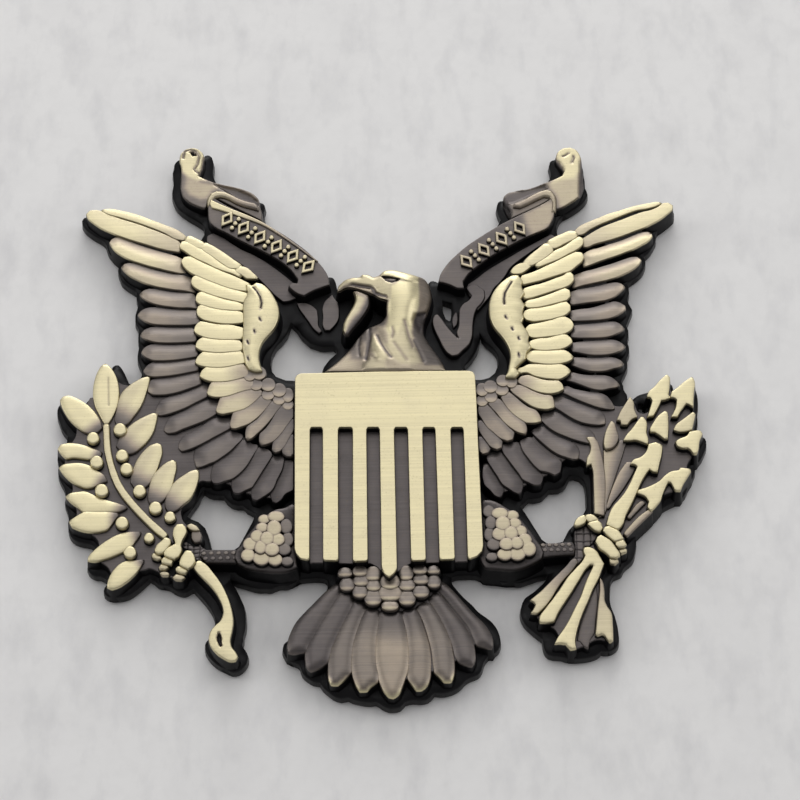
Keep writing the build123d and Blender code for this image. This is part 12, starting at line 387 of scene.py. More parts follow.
PLATE = [[[-0.4,-25.57],[0.6,-25.57],[0.79,-25.46],[1.18,-25.01],[1.63,-24.86],[3.07,-24.89],[3.86,-24.15],[4.48,-24.23],[6.12,-23.65],[6.7,-23.03],[7.8,-22.51],[7.96,-22.37],[8.47,-21.14],[8.8,-20.75],[9.55,-20.3],[9.73,-20.12],[9.91,-19.76],[9.98,-19.2],[9.87,-18.6],[9.79,-18.32],[9.45,-17.7],[7.78,-16.07],[6.76,-14.93],[6.19,-14.18],[5.75,-13.54],[5.68,-12.89],[5.77,-12.74],[6.97,-12.56],[7.51,-12.56],[7.98,-12.63],[8.72,-12.97],[9.74,-13.21],[10.75,-13.4],[11.77,-13.46],[13.7,-12.87],[14.63,-12.69],[14.59,-12.86],[13.36,-14.39],[12.25,-15.32],[12.05,-15.84],[11.98,-16.25],[11.99,-16.78],[12.25,-17.48],[13.0,-18.35],[13.89,-19.2],[13.9,-19.73],[14.08,-20.45],[14.42,-20.77],[15.43,-20.9],[16.33,-21.14],[17.23,-21.14],[18.48,-20.89],[18.76,-20.75],[19.09,-20.42],[19.75,-20.48],[20.1,-20.41],[20.61,-19.9],[20.74,-19.43],[20.74,-18.65],[20.49,-17.04],[20.2,-16.07],[20.2,-14.21],[20.35,-13.4],[20.62,-13.01],[21.25,-12.74],[21.52,-12.29],[22.47,-11.32],[22.78,-10.31],[22.94,-8.85],[23.38,-8.45],[24.28,-7.31],[25.15,-6.38],[25.94,-5.85],[27.42,-5.05],[27.67,-4.82],[27.91,-4.4],[28.21,-3.56],[28.59,-2.98],[28.83,-2.44],[28.88,-2.22],[28.79,-1.74],[29.55,-0.94],[29.91,-0.16],[30.16,0.85],[30.15,1.14],[29.95,1.42],[29.78,1.47],[29.47,1.21],[29.38,1.57],[29.38,2.47],[29.56,4.21],[29.56,6.49],[29.41,6.7],[29.17,6.82],[28.82,6.81],[27.56,5.82],[27.34,6.13],[27.39,7.14],[27.14,7.34],[26.88,7.13],[26.38,7.03],[25.12,6.25],[23.92,5.83],[23.5,5.47],[23.11,4.99],[23.02,5.17],[22.95,6.06],[22.67,6.56],[22.65,7.02],[22.48,7.51],[23.19,9.26],[23.14,9.91],[23.44,10.81],[23.44,11.35],[23.32,11.95],[23.5,12.67],[23.5,13.15],[23.29,13.69],[24.02,15.44],[23.62,16.57],[23.83,17.83],[23.64,18.48],[25.15,19.72],[25.6,20.65],[25.63,20.89],[25.46,21.52],[26.02,22.03],[26.55,22.88],[26.83,23.56],[26.75,23.95],[26.81,24.12],[27.34,24.85],[28.54,25.87],[29.11,26.89],[28.93,27.07],[28.72,26.89],[28.57,26.86],[26.95,26.98],[25.58,26.73],[24.74,26.49],[21.44,25.35],[20.02,24.73],[18.5,23.85],[17.59,23.23],[17.14,24.31],[17.35,26.02],[17.62,26.41],[19.57,27.76],[20.05,28.3],[20.37,28.99],[20.14,29.65],[20.14,30.79],[19.96,32.35],[19.75,32.92],[19.57,33.22],[19.18,33.61],[18.67,33.82],[17.92,33.67],[17.23,33.07],[16.87,33.49],[16.67,33.25],[16.84,31.75],[16.83,31.28],[16.05,29.72],[15.0,29.27],[13.99,29.02],[12.92,28.89],[12.2,28.59],[11.88,28.32],[11.58,28.58],[11.32,28.39],[11.26,28.21],[11.66,26.12],[10.53,24.14],[8.32,22.51],[7.27,21.58],[6.19,20.38],[5.57,19.44],[5.31,18.93],[4.98,19.11],[4.58,19.17],[4.31,18.9],[3.94,18.13],[3.01,17.93],[1.68,18.27],[0.43,18.46],[-0.84,17.87],[-1.56,18.09],[-1.91,18.1],[-3.16,17.91],[-4.37,17.59],[-4.63,18.38],[-4.94,19.81],[-5.21,20.05],[-5.45,19.81],[-5.81,20.02],[-6.56,21.01],[-7.79,22.36],[-9.71,24.04],[-10.88,24.85],[-11.75,25.9],[-11.84,26.23],[-11.9,27.55],[-11.66,28.51],[-11.72,28.75],[-11.87,28.87],[-12.18,28.68],[-12.4,28.73],[-12.92,29.17],[-13.64,29.53],[-16.35,30.54],[-16.99,32.06],[-17.0,33.55],[-17.07,34.02],[-17.27,34.48],[-17.5,34.64],[-18.04,34.26],[-18.6,34.59],[-19.3,34.65],[-19.82,34.45],[-20.18,34.09],[-20.51,33.94],[-20.83,33.6],[-21.02,32.35],[-20.96,32.05],[-20.96,30.55],[-21.01,30.31],[-20.83,29.18],[-20.45,28.42],[-19.61,27.58],[-18.32,26.65],[-17.85,26.22],[-17.67,25.52],[-18.38,23.77],[-18.53,23.74],[-19.3,23.93],[-20.16,24.69],[-21.98,25.63],[-24.38,26.71],[-25.98,27.21],[-27.05,27.46],[-28.25,27.46],[-29.33,27.37],[-29.57,27.49],[-29.81,27.28],[-29.89,27.0],[-29.89,26.78],[-29.66,26.29],[-28.79,25.42],[-27.53,24.46],[-27.05,23.2],[-26.72,22.75],[-26.03,22.12],[-26.0,21.85],[-26.12,21.13],[-25.67,19.84],[-25.37,19.54],[-24.21,18.66],[-24.2,17.83],[-24.03,17.23],[-24.26,15.91],[-24.26,15.31],[-23.84,14.11],[-23.9,13.75],[-23.84,12.85],[-23.9,11.05],[-23.42,9.55],[-23.85,8.01],[-24.04,8.03],[-24.65,8.32],[-25.31,9.82],[-25.79,10.42],[-26.06,10.5],[-26.23,10.32],[-26.43,9.68],[-26.92,9.75],[-27.31,9.36],[-27.55,8.94],[-27.79,7.98],[-27.89,6.88],[-28.04,6.68],[-28.25,6.79],[-28.46,6.61],[-28.89,5.73],[-29.58,6.15],[-30.17,6.34],[-30.71,6.28],[-31.06,6.33],[-31.33,6.06],[-31.4,5.47],[-31.03,4.04],[-30.67,3.26],[-30.28,2.76],[-30.39,1.82],[-30.69,1.16],[-30.77,1.09],[-31.06,1.16],[-31.26,0.92],[-31.04,-0.05],[-30.99,-0.65],[-31.03,-1.18],[-30.79,-1.96],[-30.41,-2.72],[-30.32,-3.05],[-30.2,-3.77],[-30.26,-4.31],[-29.81,-6.05],[-29.87,-6.53],[-29.71,-7.48],[-29.6,-7.73],[-29.12,-8.21],[-28.42,-8.47],[-27.72,-8.61],[-27.23,-9.08],[-27.2,-9.35],[-27.45,-10.42],[-27.62,-10.73],[-27.8,-10.74],[-27.95,-10.88],[-27.97,-11.08],[-27.74,-11.45],[-27.32,-11.81],[-27.11,-11.9],[-26.66,-11.93],[-26.08,-12.31],[-26.06,-12.95],[-26.29,-13.26],[-26.3,-13.55],[-26.18,-13.79],[-25.76,-14.09],[-24.89,-14.12],[-23.96,-13.91],[-23.33,-13.4],[-22.12,-12.22],[-21.68,-12.47],[-21.32,-12.83],[-20.28,-13.11],[-19.42,-13.69],[-18.78,-13.75],[-18.26,-13.43],[-18.02,-13.38],[-16.77,-14.94],[-16.29,-15.72],[-15.99,-16.56],[-15.98,-16.85],[-16.23,-17.86],[-16.57,-18.6],[-16.88,-18.95],[-16.87,-19.36],[-16.61,-20.06],[-16.28,-20.51],[-15.62,-21.11],[-15.2,-21.35],[-14.14,-21.79],[-13.94,-21.77],[-13.37,-21.32],[-13.11,-20.92],[-13.0,-20.28],[-13.52,-19.01],[-13.28,-17.51],[-13.28,-16.07],[-13.35,-15.48],[-13.91,-14.06],[-14.75,-12.59],[-11.92,-13.51],[-11.14,-13.56],[-10.18,-13.23],[-9.36,-13.21],[-8.38,-12.69],[-7.97,-12.62],[-6.41,-12.56],[-5.88,-12.69],[-5.68,-12.94],[-6.11,-14.54],[-8.33,-17.3],[-9.23,-18.8],[-9.71,-19.22],[-9.8,-19.49],[-9.77,-19.94],[-9.53,-20.42],[-9.11,-20.84],[-8.46,-21.09],[-8.3,-21.23],[-8.03,-22.04],[-7.55,-22.52],[-6.92,-22.91],[-6.44,-22.97],[-6.11,-23.48],[-5.75,-23.84],[-4.96,-24.43],[-4.61,-24.56],[-3.89,-24.45],[-3.29,-24.74],[-1.85,-24.98],[-1.38,-24.94]],[[-15.88,-9.73],[-16.35,-9.66],[-16.43,-9.56],[-16.83,-7.92],[-17.09,-7.28],[-17.72,-6.65],[-18.46,-6.31],[-18.85,-5.99],[-18.03,-4.66],[-17.79,-4.24],[-17.59,-3.66],[-17.32,-3.27],[-17.18,-3.29],[-16.76,-3.59],[-16.36,-3.73],[-15.37,-3.82],[-15.02,-4.37],[-14.6,-4.73],[-14.09,-4.88],[-13.56,-4.89],[-13.16,-5.33],[-12.35,-5.81],[-12.71,-6.8],[-13.91,-9.26],[-14.52,-9.73]],[[14.78,-9.67],[14.19,-9.18],[12.69,-6.3],[12.2,-5.6],[12.55,-5.36],[13.1,-4.77],[13.68,-4.8],[14.22,-4.69],[14.41,-4.58],[15.04,-3.89],[15.9,-3.85],[16.36,-3.59],[16.59,-3.34],[17.01,-2.5],[17.47,-2.42],[18.0,-2.61],[18.39,-3.06],[18.52,-3.47],[18.58,-4.13],[18.55,-5.9],[18.07,-6.8],[16.69,-8.3],[16.11,-9.46]],[[24.15,3.78],[23.98,4.33],[23.93,4.93],[24.08,5.07],[24.37,5.08],[24.74,4.85],[24.7,4.21],[24.41,3.78]],[[8.48,7.97],[8.23,8.14],[7.69,8.68],[7.54,9.61],[8.23,10.42],[8.71,11.26],[8.98,12.07],[9.13,13.39],[9.37,12.7],[9.76,12.13],[10.33,11.56],[10.75,10.9],[10.84,10.51],[10.84,9.67],[10.45,8.68],[9.88,8.17],[9.13,7.96]],[[-8.86,8.27],[-9.64,8.33],[-10.55,8.74],[-10.97,9.34],[-11.12,10.21],[-11.06,11.11],[-10.97,11.44],[-10.61,12.22],[-10.07,12.82],[-9.57,13.58],[-9.17,14.83],[-8.6,14.29],[-8.03,13.36],[-7.28,12.55],[-6.35,12.16],[-5.93,12.1],[-5.04,12.15],[-4.73,11.86],[-4.7,11.71],[-4.73,11.2],[-5.42,10.51],[-5.95,9.72],[-6.32,8.53],[-8.15,8.26]],[[6.2,14.57],[5.89,14.8],[5.57,15.8],[5.6,17.0],[6.55,16.63],[6.52,15.55],[6.32,14.61]]]

# ---------------------------------------------------------------- helpers
MM = 0.001


def ring_area(p):
    x, z = p[:, 0], p[:, 1]
    return 0.5 * float((x * np.roll(z, -1) - z * np.roll(x, -1)).sum())


def smooth_ring(pts, step, corner=46.0):
    """A closed outline, resampled at about step, smooth except at its sharp corners, counter-clockwise."""
    P = np.array([p[:2] for p in pts], float)
    keep = [0]
    for i in range(1, len(P)):
        if np.hypot(*(P[i] - P[keep[-1]])) > 0.04:
            keep.append(i)
    if len(keep) > 3 and np.hypot(*(P[keep[-1]] - P[keep[0]])) < 0.04:
        keep.pop()
    P = P[keep]
    if ring_area(P) < 0:
        P = P[::-1]
    n = len(P)
    a = P - np.roll(P, 1, 0)
    b = np.roll(P, -1, 0) - P
    la = np.hypot(a[:, 0], a[:, 1])[:, None]
    lb = np.hypot(b[:, 0], b[:, 1])[:, None]
    cosang = ((a * b).sum(1, keepdims=True) / (la * lb)).clip(-1, 1)
    sharp = np.degrees(np.arccos(cosang))[:, 0] > corner
    t = a / la * lb + b / lb * la
    t /= np.hypot(t[:, 0], t[:, 1])[:, None] + 1e-12
    out = []
    for i in range(n):
        j = (i + 1) % n
        L = lb[i, 0]
        d = P[j] - P[i]
        t1 = d if sharp[i] else t[i] * L
        t2 = d if sharp[j] else t[j] * L
        m = max(1, int(round(L / step)))
        for k in range(m):
            u = k / m
            h1 = 2 * u**3 - 3 * u**2 + 1
            h2 = u**3 - 2 * u**2 + u
            h3 = -2 * u**3 + 3 * u**2
            h4 = u**3 - u**2
            out.append(h1 * P[i] + h2 * t1 + h3 * P[j] + h4 * t2)
    return np.array(out)


def straight_ring(pts, step):
    P = np.array([p[:2] for p in pts], float)
    if ring_area(P) < 0:
        P = P[::-1]
    out = []
    for a, b in zip(P, np.roll(P, -1, 0)):
        m = max(1, int(round(np.hypot(*(b - a)) / step)))
        out += [a + (b - a) * k / m for k in range(m)]
    return np.array(out)


def ring_normals(B):
    d = np.roll(B, -1, 0) - np.roll(B, 1, 0)
    n = np.stack([d[:, 1], -d[:, 0]], 1)
    return n / (np.hypot(n[:, 0], n[:, 1])[:, None] + 1e-12)


def line_dist(Q, A, Bn):
    """Distance of each point of Q to the segments A-Bn."""
    D = Bn - A
    L2 = (D**2).sum(1) + 1e-12
    res = np.empty(len(Q))
    for s in range(0, len(Q), 3000):
        q = Q[s : s + 3000]
        w = ((q[:, None, :] - A[None]) * D[None]).sum(2) / L2
        w = w.clip(0, 1)
        dx = q[:, None, 0] - A[None, :, 0] - w * D[None, :, 0]
        dz = q[:, None, 1] - A[None, :, 1] - w * D[None, :, 1]
        res[s : s + 3000] = np.sqrt((dx * dx + dz * dz).min(1))
    return res


def ring_dist(Q, rings):
    d = np.full(len(Q), 1e9)
    for B in rings:
        d = np.minimum(d, line_dist(Q, B, np.roll(B, -1, 0)))
    return d


def path_dist(Q, path):
    P = np.array(path, float)
    return line_dist(Q, P[:-1], P[1:])


def inside(Q, rings):
    c = np.zeros(len(Q), bool)
    for B in rings:
        A, C = B, np.roll(B, -1, 0)
        for s in range(0, len(Q), 4000):
            q = Q[s : s + 4000]
            z = q[:, 1][:, None]
            cross = ((A[None, :, 1] <= z) & (C[None, :, 1] > z)) | ((C[None, :, 1] <= z) & (A[None, :, 1] > z))
            dz = C[:, 1] - A[:, 1]
            dz = np.where(np.abs(dz) < 1e-12, 1e-12, dz)
            xc = A[None, :, 0] + (z - A[None, :, 1]) * ((C[:, 0] - A[:, 0]) / dz)[None]
            c[s : s + 4000] ^= ((cross & (xc > q[:, 0][:, None])).sum(1) % 2).astype(bool)
    return c


def triangulate(rings, extra):
    pts = [Vector(map(float, p)) for B in rings for p in B]
    edges = []
    k = 0
    for B in rings:
        n = len(B)
        edges += [(k + i, k + (i + 1) % n) for i in range(n)]
        k += n
    pts += [Vector(map(float, p)) for p in extra]
    v, e, f, _, _, _ = delaunay_2d_cdt(pts, edges, [], 0, 1e-5)
    V = np.array([tuple(p) for p in v], float)
    T = np.array([t for t in f if len(t) == 3], int)
    if not len(T):
        return V, T
    c = V[T].mean(1)
    T = T[inside(c, rings)]
    a = V[T]
    ar = (a[:, 1, 0] - a[:, 0, 0]) * (a[:, 2, 1] - a[:, 0, 1]) - (a[:, 1, 1] - a[:, 0, 1]) * (a[:, 2, 0] - a[:, 0, 0])
    T = T[np.abs(ar) > 1e-9]
    ar = ar[np.abs(ar) > 1e-9]
    T[ar < 0] = T[ar < 0][:, ::-1]
    return V, T


class Builder:
    """Collects the triangles of one piece, with its tone and wear at each point. Heights are above the back face."""

    def __init__(self):
        self.co, self.tone, self.crest, self.tri, self.n = [], [], [], [], 0

    def add(self, xz, h, tone, crest, tri):
        co = np.empty((len(xz), 3))
        co[:, 0], co[:, 1], co[:, 2] = xz[:, 0], -np.asarray(h, float), xz[:, 1]
        self.co.append(co)
        self.tone.append(np.broadcast_to(np.asarray(tone, float), (len(xz),)).copy())
        self.crest.append(np.broadcast_to(np.asarray(crest, float), (len(xz),)).copy())
        self.tri.append(np.asarray(tri, int).reshape(-1, 3) + self.n)
        self.n += len(xz)

    def make(self, name, node, body, mat, slot):
        co = np.vstack(self.co) * MM
        tri = np.vstack(self.tri)
        me = bpy.data.meshes.new(name)
        me.from_pydata([tuple(c) for c in co], [], [tuple(int(i) for i in t) for t in tri])
        for key, val in (("tone", self.tone), ("crest", self.crest)):
            at = me.attributes.new(key, "FLOAT", "POINT")
            at.data.foreach_set("value", np.concatenate(val).astype(np.float32))
        bm = bmesh.new()
        bm.from_mesh(me)
        bmesh.ops.remove_doubles(bm, verts=bm.verts, dist=2e-7)
        bmesh.ops.dissolve_degenerate(bm, edges=bm.edges, dist=1e-7)
        bm.to_mesh(me)
        bm.free()
        me.shade_smooth()
        me.materials.append(mat)
        ob = bpy.data.objects.new(name, me)
        bpy.context.scene.collection.objects.link(ob)
        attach(ob, body)
        if node:
            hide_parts(node)
        return ob


def island(bd, pts, top, base=1.3, rb=0.12, dome=0.0, dw=1.0, tone=1.0, draft=0.10, grid=0.3, step=0.16,
           hfn=None, tfn=None, extra=(), corner=34.0, holes=(), smooth=True, wall_crest=0.0, grow=0.0, shear=0.0, shift=0.0):
    """A raised area: a domed top with a rounded edge, and walls that flare out a little towards the ground."""
    rings = [smooth_ring(pts, step, corner) if smooth else straight_ring(pts, step)]
    if grow:
        rings[0] = rings[0] + ring_normals(rings[0]) * grow
    if shift:
        rings[0] = rings[0] + np.array([0.0, shift])
    for hpts in holes:
        r = smooth_ring(hpts, step, corner) if smooth else straight_ring(hpts, step)
        rings.append(r[::-1] if ring_area(r) > 0 else r)
    inner = []
    offs = sorted({round(rb * 0.3, 3), round(rb * 0.75, 3), round(rb * 1.15, 3)}) if rb > 0.02 else []
    if offs:
        for B in rings:
            nrm = ring_normals(B)
            for k, o in enumerate(offs):
                Q = (B - nrm * o)[k % 2 :: 1 if o < 0.5 else 2]
                inner.append(Q)
    lo, hi = rings[0].min(0), rings[0].max(0)
    gx = np.arange(lo[0] + grid * 0.5, hi[0], grid)
    gz = np.arange(lo[1] + grid * 0.5, hi[1], grid * 0.87)
    GX, GZ = np.meshgrid(gx, gz)
    GX = GX + (np.arange(len(gz)) % 2)[:, None] * grid * 0.5
    G = np.stack([GX.ravel(), GZ.ravel()], 1)
    pts_in = []
    if inner:
        for k, Q in enumerate(inner):
            o = offs[k % len(offs)]
            Q = Q[inside(Q, rings)]
            if len(Q):
                pts_in.append(Q[ring_dist(Q, rings) > o * 0.88])
    if len(G):
        G = G[inside(G, rings)]
        if len(G):
            G = G[ring_dist(G, rings) > (offs[-1] if offs else 0) + 0.45 * grid]
            pts_in.append(G)
    if len(extra):
        E = np.array(extra, float)
        E = E[inside(E, rings)]
        if len(E):
            E = E[ring_dist(E, rings) > 0.05]
            pts_in.append(E)
    allp = np.vstack(pts_in) if pts_in and sum(len(p) for p in pts_in) else np.zeros((0, 2))
    if len(allp) > 1:
        allp = np.unique(np.round(allp, 4), axis=0)
    V, T = triangulate(rings, allp)
    if not len(T):
        return
    d = ring_dist(V, rings)
    d[d < 1e-4] = 0.0
    h = np.full(len(V), float(top))
    if dome:
        h -= dome * (1 - (d / dw).clip(0, 1)) ** 2
    tn = np.full(len(V), float(tone))
    if hfn is not None:
        h = hfn(V, d, h)
    if rb > 0:
        u = 1 - (d / rb).clip(0, 1)
        h = h - rb * (1 - np.sqrt((1 - u * u).clip(0, 1)))
    if tfn is not None:
        tn = tfn(V, d, h, tn)
    dz = (top - h) * shear
    bd.add(V + np.stack([np.zeros(len(V)), dz], 1) if shear else V, h, tn, np.ones(len(V)), T)
    # walls, one ring at a time; the height of the top at the edge is looked up from the surface itself
    key = {(round(p[0], 4), round(p[1], 4)): i for i, p in enumerate(V)}
    for B in rings:
        n = len(B)
        nrm = ring_normals(B)
        he = np.empty(n)
        te = np.empty(n)
        ze = np.zeros(n)
        for i, p in enumerate(B):
            j = key.get((round(p[0], 4), round(p[1], 4)))
            if j is None:
                j = int(((V - p) ** 2).sum(1).argmin())
            he[i] = h[j]
            te[i] = tn[j]
            ze[i] = dz[j]
        B = B + np.stack([np.zeros(n), ze], 1)
        steps = [0.0, 0.10, 0.28, 0.62, 1.0]
        co, hh, tt, cc = [], [], [], []
        for s in steps:
            drop = (he - base).clip(0.02) * s
            co.append(B + nrm * (draft * drop)[:, None])
            hh.append(he - drop)
            tt.append(te)
            cc.append(np.full(n, 1.0 if s == 0 else (0.35 if s == 0.10 else wall_crest)))
        m = len(steps)
        tri = []
        for k in range(m - 1):
            for i in range(n):
                j = (i + 1) % n
                a, b_, c, e = k * n + i, k * n + j, (k + 1) * n + j, (k + 1) * n + i
                tri += [(a, e, c), (a, c, b_)]
        bd.add(np.vstack(co), np.concatenate(hh), np.concatenate(tt), np.concatenate(cc), tri)
    # closed underside
    low = [B + ring_normals(B) * (draft * (top - base)) for B in rings]
    foot = [B for B in low]
    Vb, Tb = triangulate([foot[0]] + foot[1:], np.zeros((0, 2)))
    if len(Tb):
        bd.add(Vb, np.full(len(Vb), base), 0.2, 0.0, Tb[:, ::-1])


def ell(cx, cz, rx, rz, n=22, rot=0.0):
    t = np.arange(n) * 2 * math.pi / n
    x, z = rx * np.cos(t), rz * np.sin(t)
    c, s = math.cos(rot), math.sin(rot)
    return [(cx + a * c - b * s, cz + a * s + b * c) for a, b in zip(x, z)]


def along(path, step=0.12, offs=(0.0,)):
    P = np.array(path, float)
    out = []
    for a, b in zip(P[:-1], P[1:]):
        L = float(np.hypot(*(b - a))) or 1e-9
        n = np.array([-(b - a)[1], (b - a)[0]]) / L
        for k in range(max(1, int(L / step))):
            q = a + (b - a) * k * step / L
            for o in offs:
                out.append(q + n * o)
    return out


def groove(path, w, depth, dark=0.0):
    """Points to refine the mesh with, and functions that sink a line into the surface and darken it."""
    pts = along(path, 0.1, (0.0, -w * 0.55, w * 0.55, -w * 1.1, w * 1.1))

    def hf(V, d, h):
        q = path_dist(V, path)
        return h - depth * np.exp(-((q / w) ** 2))

    def tf(V, tn):
        q = path_dist(V, path)
        return tn * (1 - (1 - dark) * np.exp(-((q / w) ** 2)))

    return pts, hf, tf


def chain(*grooves):
    pts = [p for g in grooves for p in g[0]]

    def hf(V, d, h):
        for g in grooves:
            h = g[1](V, d, h)
        return h

    def tf(V, d, h, tn):
        for g in grooves:
            tn = g[2](V, tn)
        return tn

    return pts, hf, tf


def grad(a, ta, b, tb):
    """Tone that runs from ta at point a to tb at point b."""
    a, b = np.array(a, float), np.array(b, float)
    D = b - a
    L2 = float((D * D).sum())

    def tf(V, d, h, tn):
        s = (((V - a) @ D) / L2).clip(0, 1)
        s = s * s * (3 - 2 * s)
        return ta + (tb - ta) * s

    return tf


# ---------------------------------------------------------------- materials
def node_mat(name):
    m = bpy.data.materials.new(name)
    m.use_nodes = True
    nt = m.node_tree
    nt.nodes.clear()
    return m, nt


def N(nt, kind, **kw):
    n = nt.nodes.new(kind)
    for k, v in kw.items():
        if k.startswith("in_"):
            n.inputs[k[3:].replace("_", " ")].default_value = v
        else:
            setattr(n, k, v)
    return n


def math_node(nt, op, a, b=None, clamp=False):
    n = nt.nodes.new("ShaderNodeMath")
    n.operation = op
    n.use_clamp = clamp
    for i, v in enumerate((a, b)):
        if v is None:
            continue
        if isinstance(v, (int, float)):
            n.inputs[i].default_value = v
        else:
            nt.links.new(v, n.inputs[i])
    return n.outputs[0]


def mix_col(nt, fac, a, b, mode="MIX"):
    n = nt.nodes.new("ShaderNodeMix")
    n.data_type = "RGBA"
    n.blend_type = mode
    for s, v in ((n.inputs[0], fac), (n.inputs[6], a), (n.inputs[7], b)):
        if isinstance(v, (int, float)):
            s.default_value = v
        elif isinstance(v, tuple):
            s.default_value = v
        else:
            nt.links.new(v, s)
    return n.outputs[2]


def noise(nt, co, scale, detail=2.0, rough=0.5, vec_scale=None):
    src = co
    if vec_scale:
        mp = nt.nodes.new("ShaderNodeMapping")
        mp.inputs["Scale"].default_value = vec_scale
        nt.links.new(co, mp.inputs["Vector"])
        src = mp.outputs["Vector"]
    n = nt.nodes.new("ShaderNodeTexNoise")
    n.inputs["Scale"].default_value = scale
    n.inputs["Detail"].default_value = detail
    n.inputs["Roughness"].default_value = rough
    nt.links.new(src, n.inputs["Vector"])
    return n.outputs["Fac"]


def ranged(nt, v, a, b, c, d):
    n = nt.nodes.new("ShaderNodeMapRange")
    n.inputs["From Min"].default_value = a
    n.inputs["From Max"].default_value = b
    n.inputs["To Min"].default_value = c
    n.inputs["To Max"].default_value = d
    nt.links.new(v, n.inputs["Value"])
    return n.outputs["Result"]


def antique_brass():
    m, nt = node_mat("antique_brass")
    tc = N(nt, "ShaderNodeTexCoord")
    co = tc.outputs["Object"]
    tone = N(nt, "ShaderNodeAttribute", attribute_name="tone").outputs["Fac"]
    crest = N(nt, "ShaderNodeAttribute", attribute_name="crest").outputs["Fac"]
    brush = noise(nt, co, 1100.0, 3.0, 0.6, (0.10, 1.0, 9.0))
    brush2 = noise(nt, co, 900.0, 2.0, 0.5, (0.06, 1.0, 8.0))
    blotch = noise(nt, co, 420.0, 3.0, 0.55)
    speck = noise(nt, co, 5200.0, 2.0, 0.6)
    # tone shifts with the brushing and with cloudy wear
    t = math_node(nt, "ADD", tone, ranged(nt, brush, 0.3, 0.7, -0.035, 0.035))
    t = math_node(nt, "ADD", t, ranged(nt, blotch, 0.25, 0.75, -0.045, 0.045))
    ramp = N(nt, "ShaderNodeValToRGB")
    el = ramp.color_ramp.elements
    stops = TONES
    el[0].position, el[0].color = stops[0]
    el[1].position, el[1].color = stops[-1]
    for p, c in stops[1:-1]:
        e = el.new(p)
        e.color = c
    nt.links.new(t, ramp.inputs["Fac"])
    metal = ramp.outputs["Color"]
    metal = mix_col(nt, ranged(nt, brush2, 0.35, 0.65, 0.0, 0.10), metal, (0.0, 0.0, 0.0, 1.0), "MIX")
    metal = mix_col(nt, ranged(nt, speck, 0.60, 0.78, 0.0, 0.30), metal, (0.16, 0.12, 0.07, 1.0), "MIX")
    worn = math_node(nt, "ADD", crest, ranged(nt, blotch, 0.2, 0.8, -0.18, 0.10))
    worn = math_node(nt, "ADD", worn, ranged(nt, speck, 0.3, 0.7, -0.08, 0.08))
    worn = ranged(nt, worn, 0.35, 0.85, 0.0, 1.0)
    colour = mix_col(nt, worn, (0.0045, 0.0042, 0.0048, 1.0), metal)
    bsdf = N(nt, "ShaderNodeBsdfPrincipled")
    nt.links.new(colour, bsdf.inputs["Base Color"])
    nt.links.new(ranged(nt, worn, 0.0, 1.0, 0.0, 1.0), bsdf.inputs["Metallic"])
    r = math_node(nt, "ADD", ranged(nt, brush, 0.3, 0.7, -0.05, 0.06), ranged(nt, tone, 0.2, 1.0, 0.42, 0.36))
    r = math_node(nt, "ADD", r, ranged(nt, blotch, 0.3, 0.7, -0.03, 0.03))
    nt.links.new(r, bsdf.inputs["Roughness"])
    nt.links.new(ranged(nt, worn, 0.0, 1.0, 0.10, 0.5), bsdf.inputs["Specular IOR Level"])
    bump = N(nt, "ShaderNodeBump")
    bump.inputs["Strength"].default_value = 0.35
    bump.inputs["Distance"].default_value = 0.00002
    hgt = math_node(nt, "ADD", brush, math_node(nt, "MULTIPLY", speck, 0.35))
    nt.links.new(hgt, bump.inputs["Height"])
    nt.links.new(bump.outputs["Normal"], bsdf.inputs["Normal"])
    out = N(nt, "ShaderNodeOutputMaterial")
    nt.links.new(bsdf.outputs[0], out.inputs["Surface"])
    return m


def plain_metal(name, light, dark, rough, metallic=1.0, scale=1500.0, stretch=(1.0, 1.0, 1.0), bump_d=0.00001, spec=0.5):
    m, nt = node_mat(name)
    tc = N(nt, "ShaderNodeTexCoord")
    co = tc.outputs["Object"]
    fine = noise(nt, co, scale, 3.0, 0.6, stretch)
    cloud = noise(nt, co, 500.0, 3.0, 0.5)
    speck = noise(nt, co, 5000.0, 2.0, 0.6)
    c = mix_col(nt, ranged(nt, cloud, 0.3, 0.7, 0.0, 1.0), dark, light)
    c = mix_col(nt, ranged(nt, speck, 0.62, 0.8, 0.0, 0.35), c, (dark[0] * 0.4, dark[1] * 0.4, dark[2] * 0.4, 1.0))
    bsdf = N(nt, "ShaderNodeBsdfPrincipled")
    nt.links.new(c, bsdf.inputs["Base Color"])
    bsdf.inputs["Metallic"].default_value = metallic
    bsdf.inputs["Specular IOR Level"].default_value = spec
    r = math_node(nt, "ADD", ranged(nt, fine, 0.3, 0.7, rough - 0.06, rough + 0.07), ranged(nt, cloud, 0.3, 0.7, -0.04, 0.04))
    nt.links.new(r, bsdf.inputs["Roughness"])
    bump = N(nt, "ShaderNodeBump")
    bump.inputs["Strength"].default_value = 0.4
    bump.inputs["Distance"].default_value = bump_d
    nt.links.new(math_node(nt, "ADD", fine, math_node(nt, "MULTIPLY", cloud, 0.8)), bump.inputs["Height"])
    nt.links.new(bump.outputs["Normal"], bsdf.inputs["Normal"])
    out = N(nt, "ShaderNodeOutputMaterial")
    nt.links.new(bsdf.outputs[0], out.inputs["Surface"])
    return m


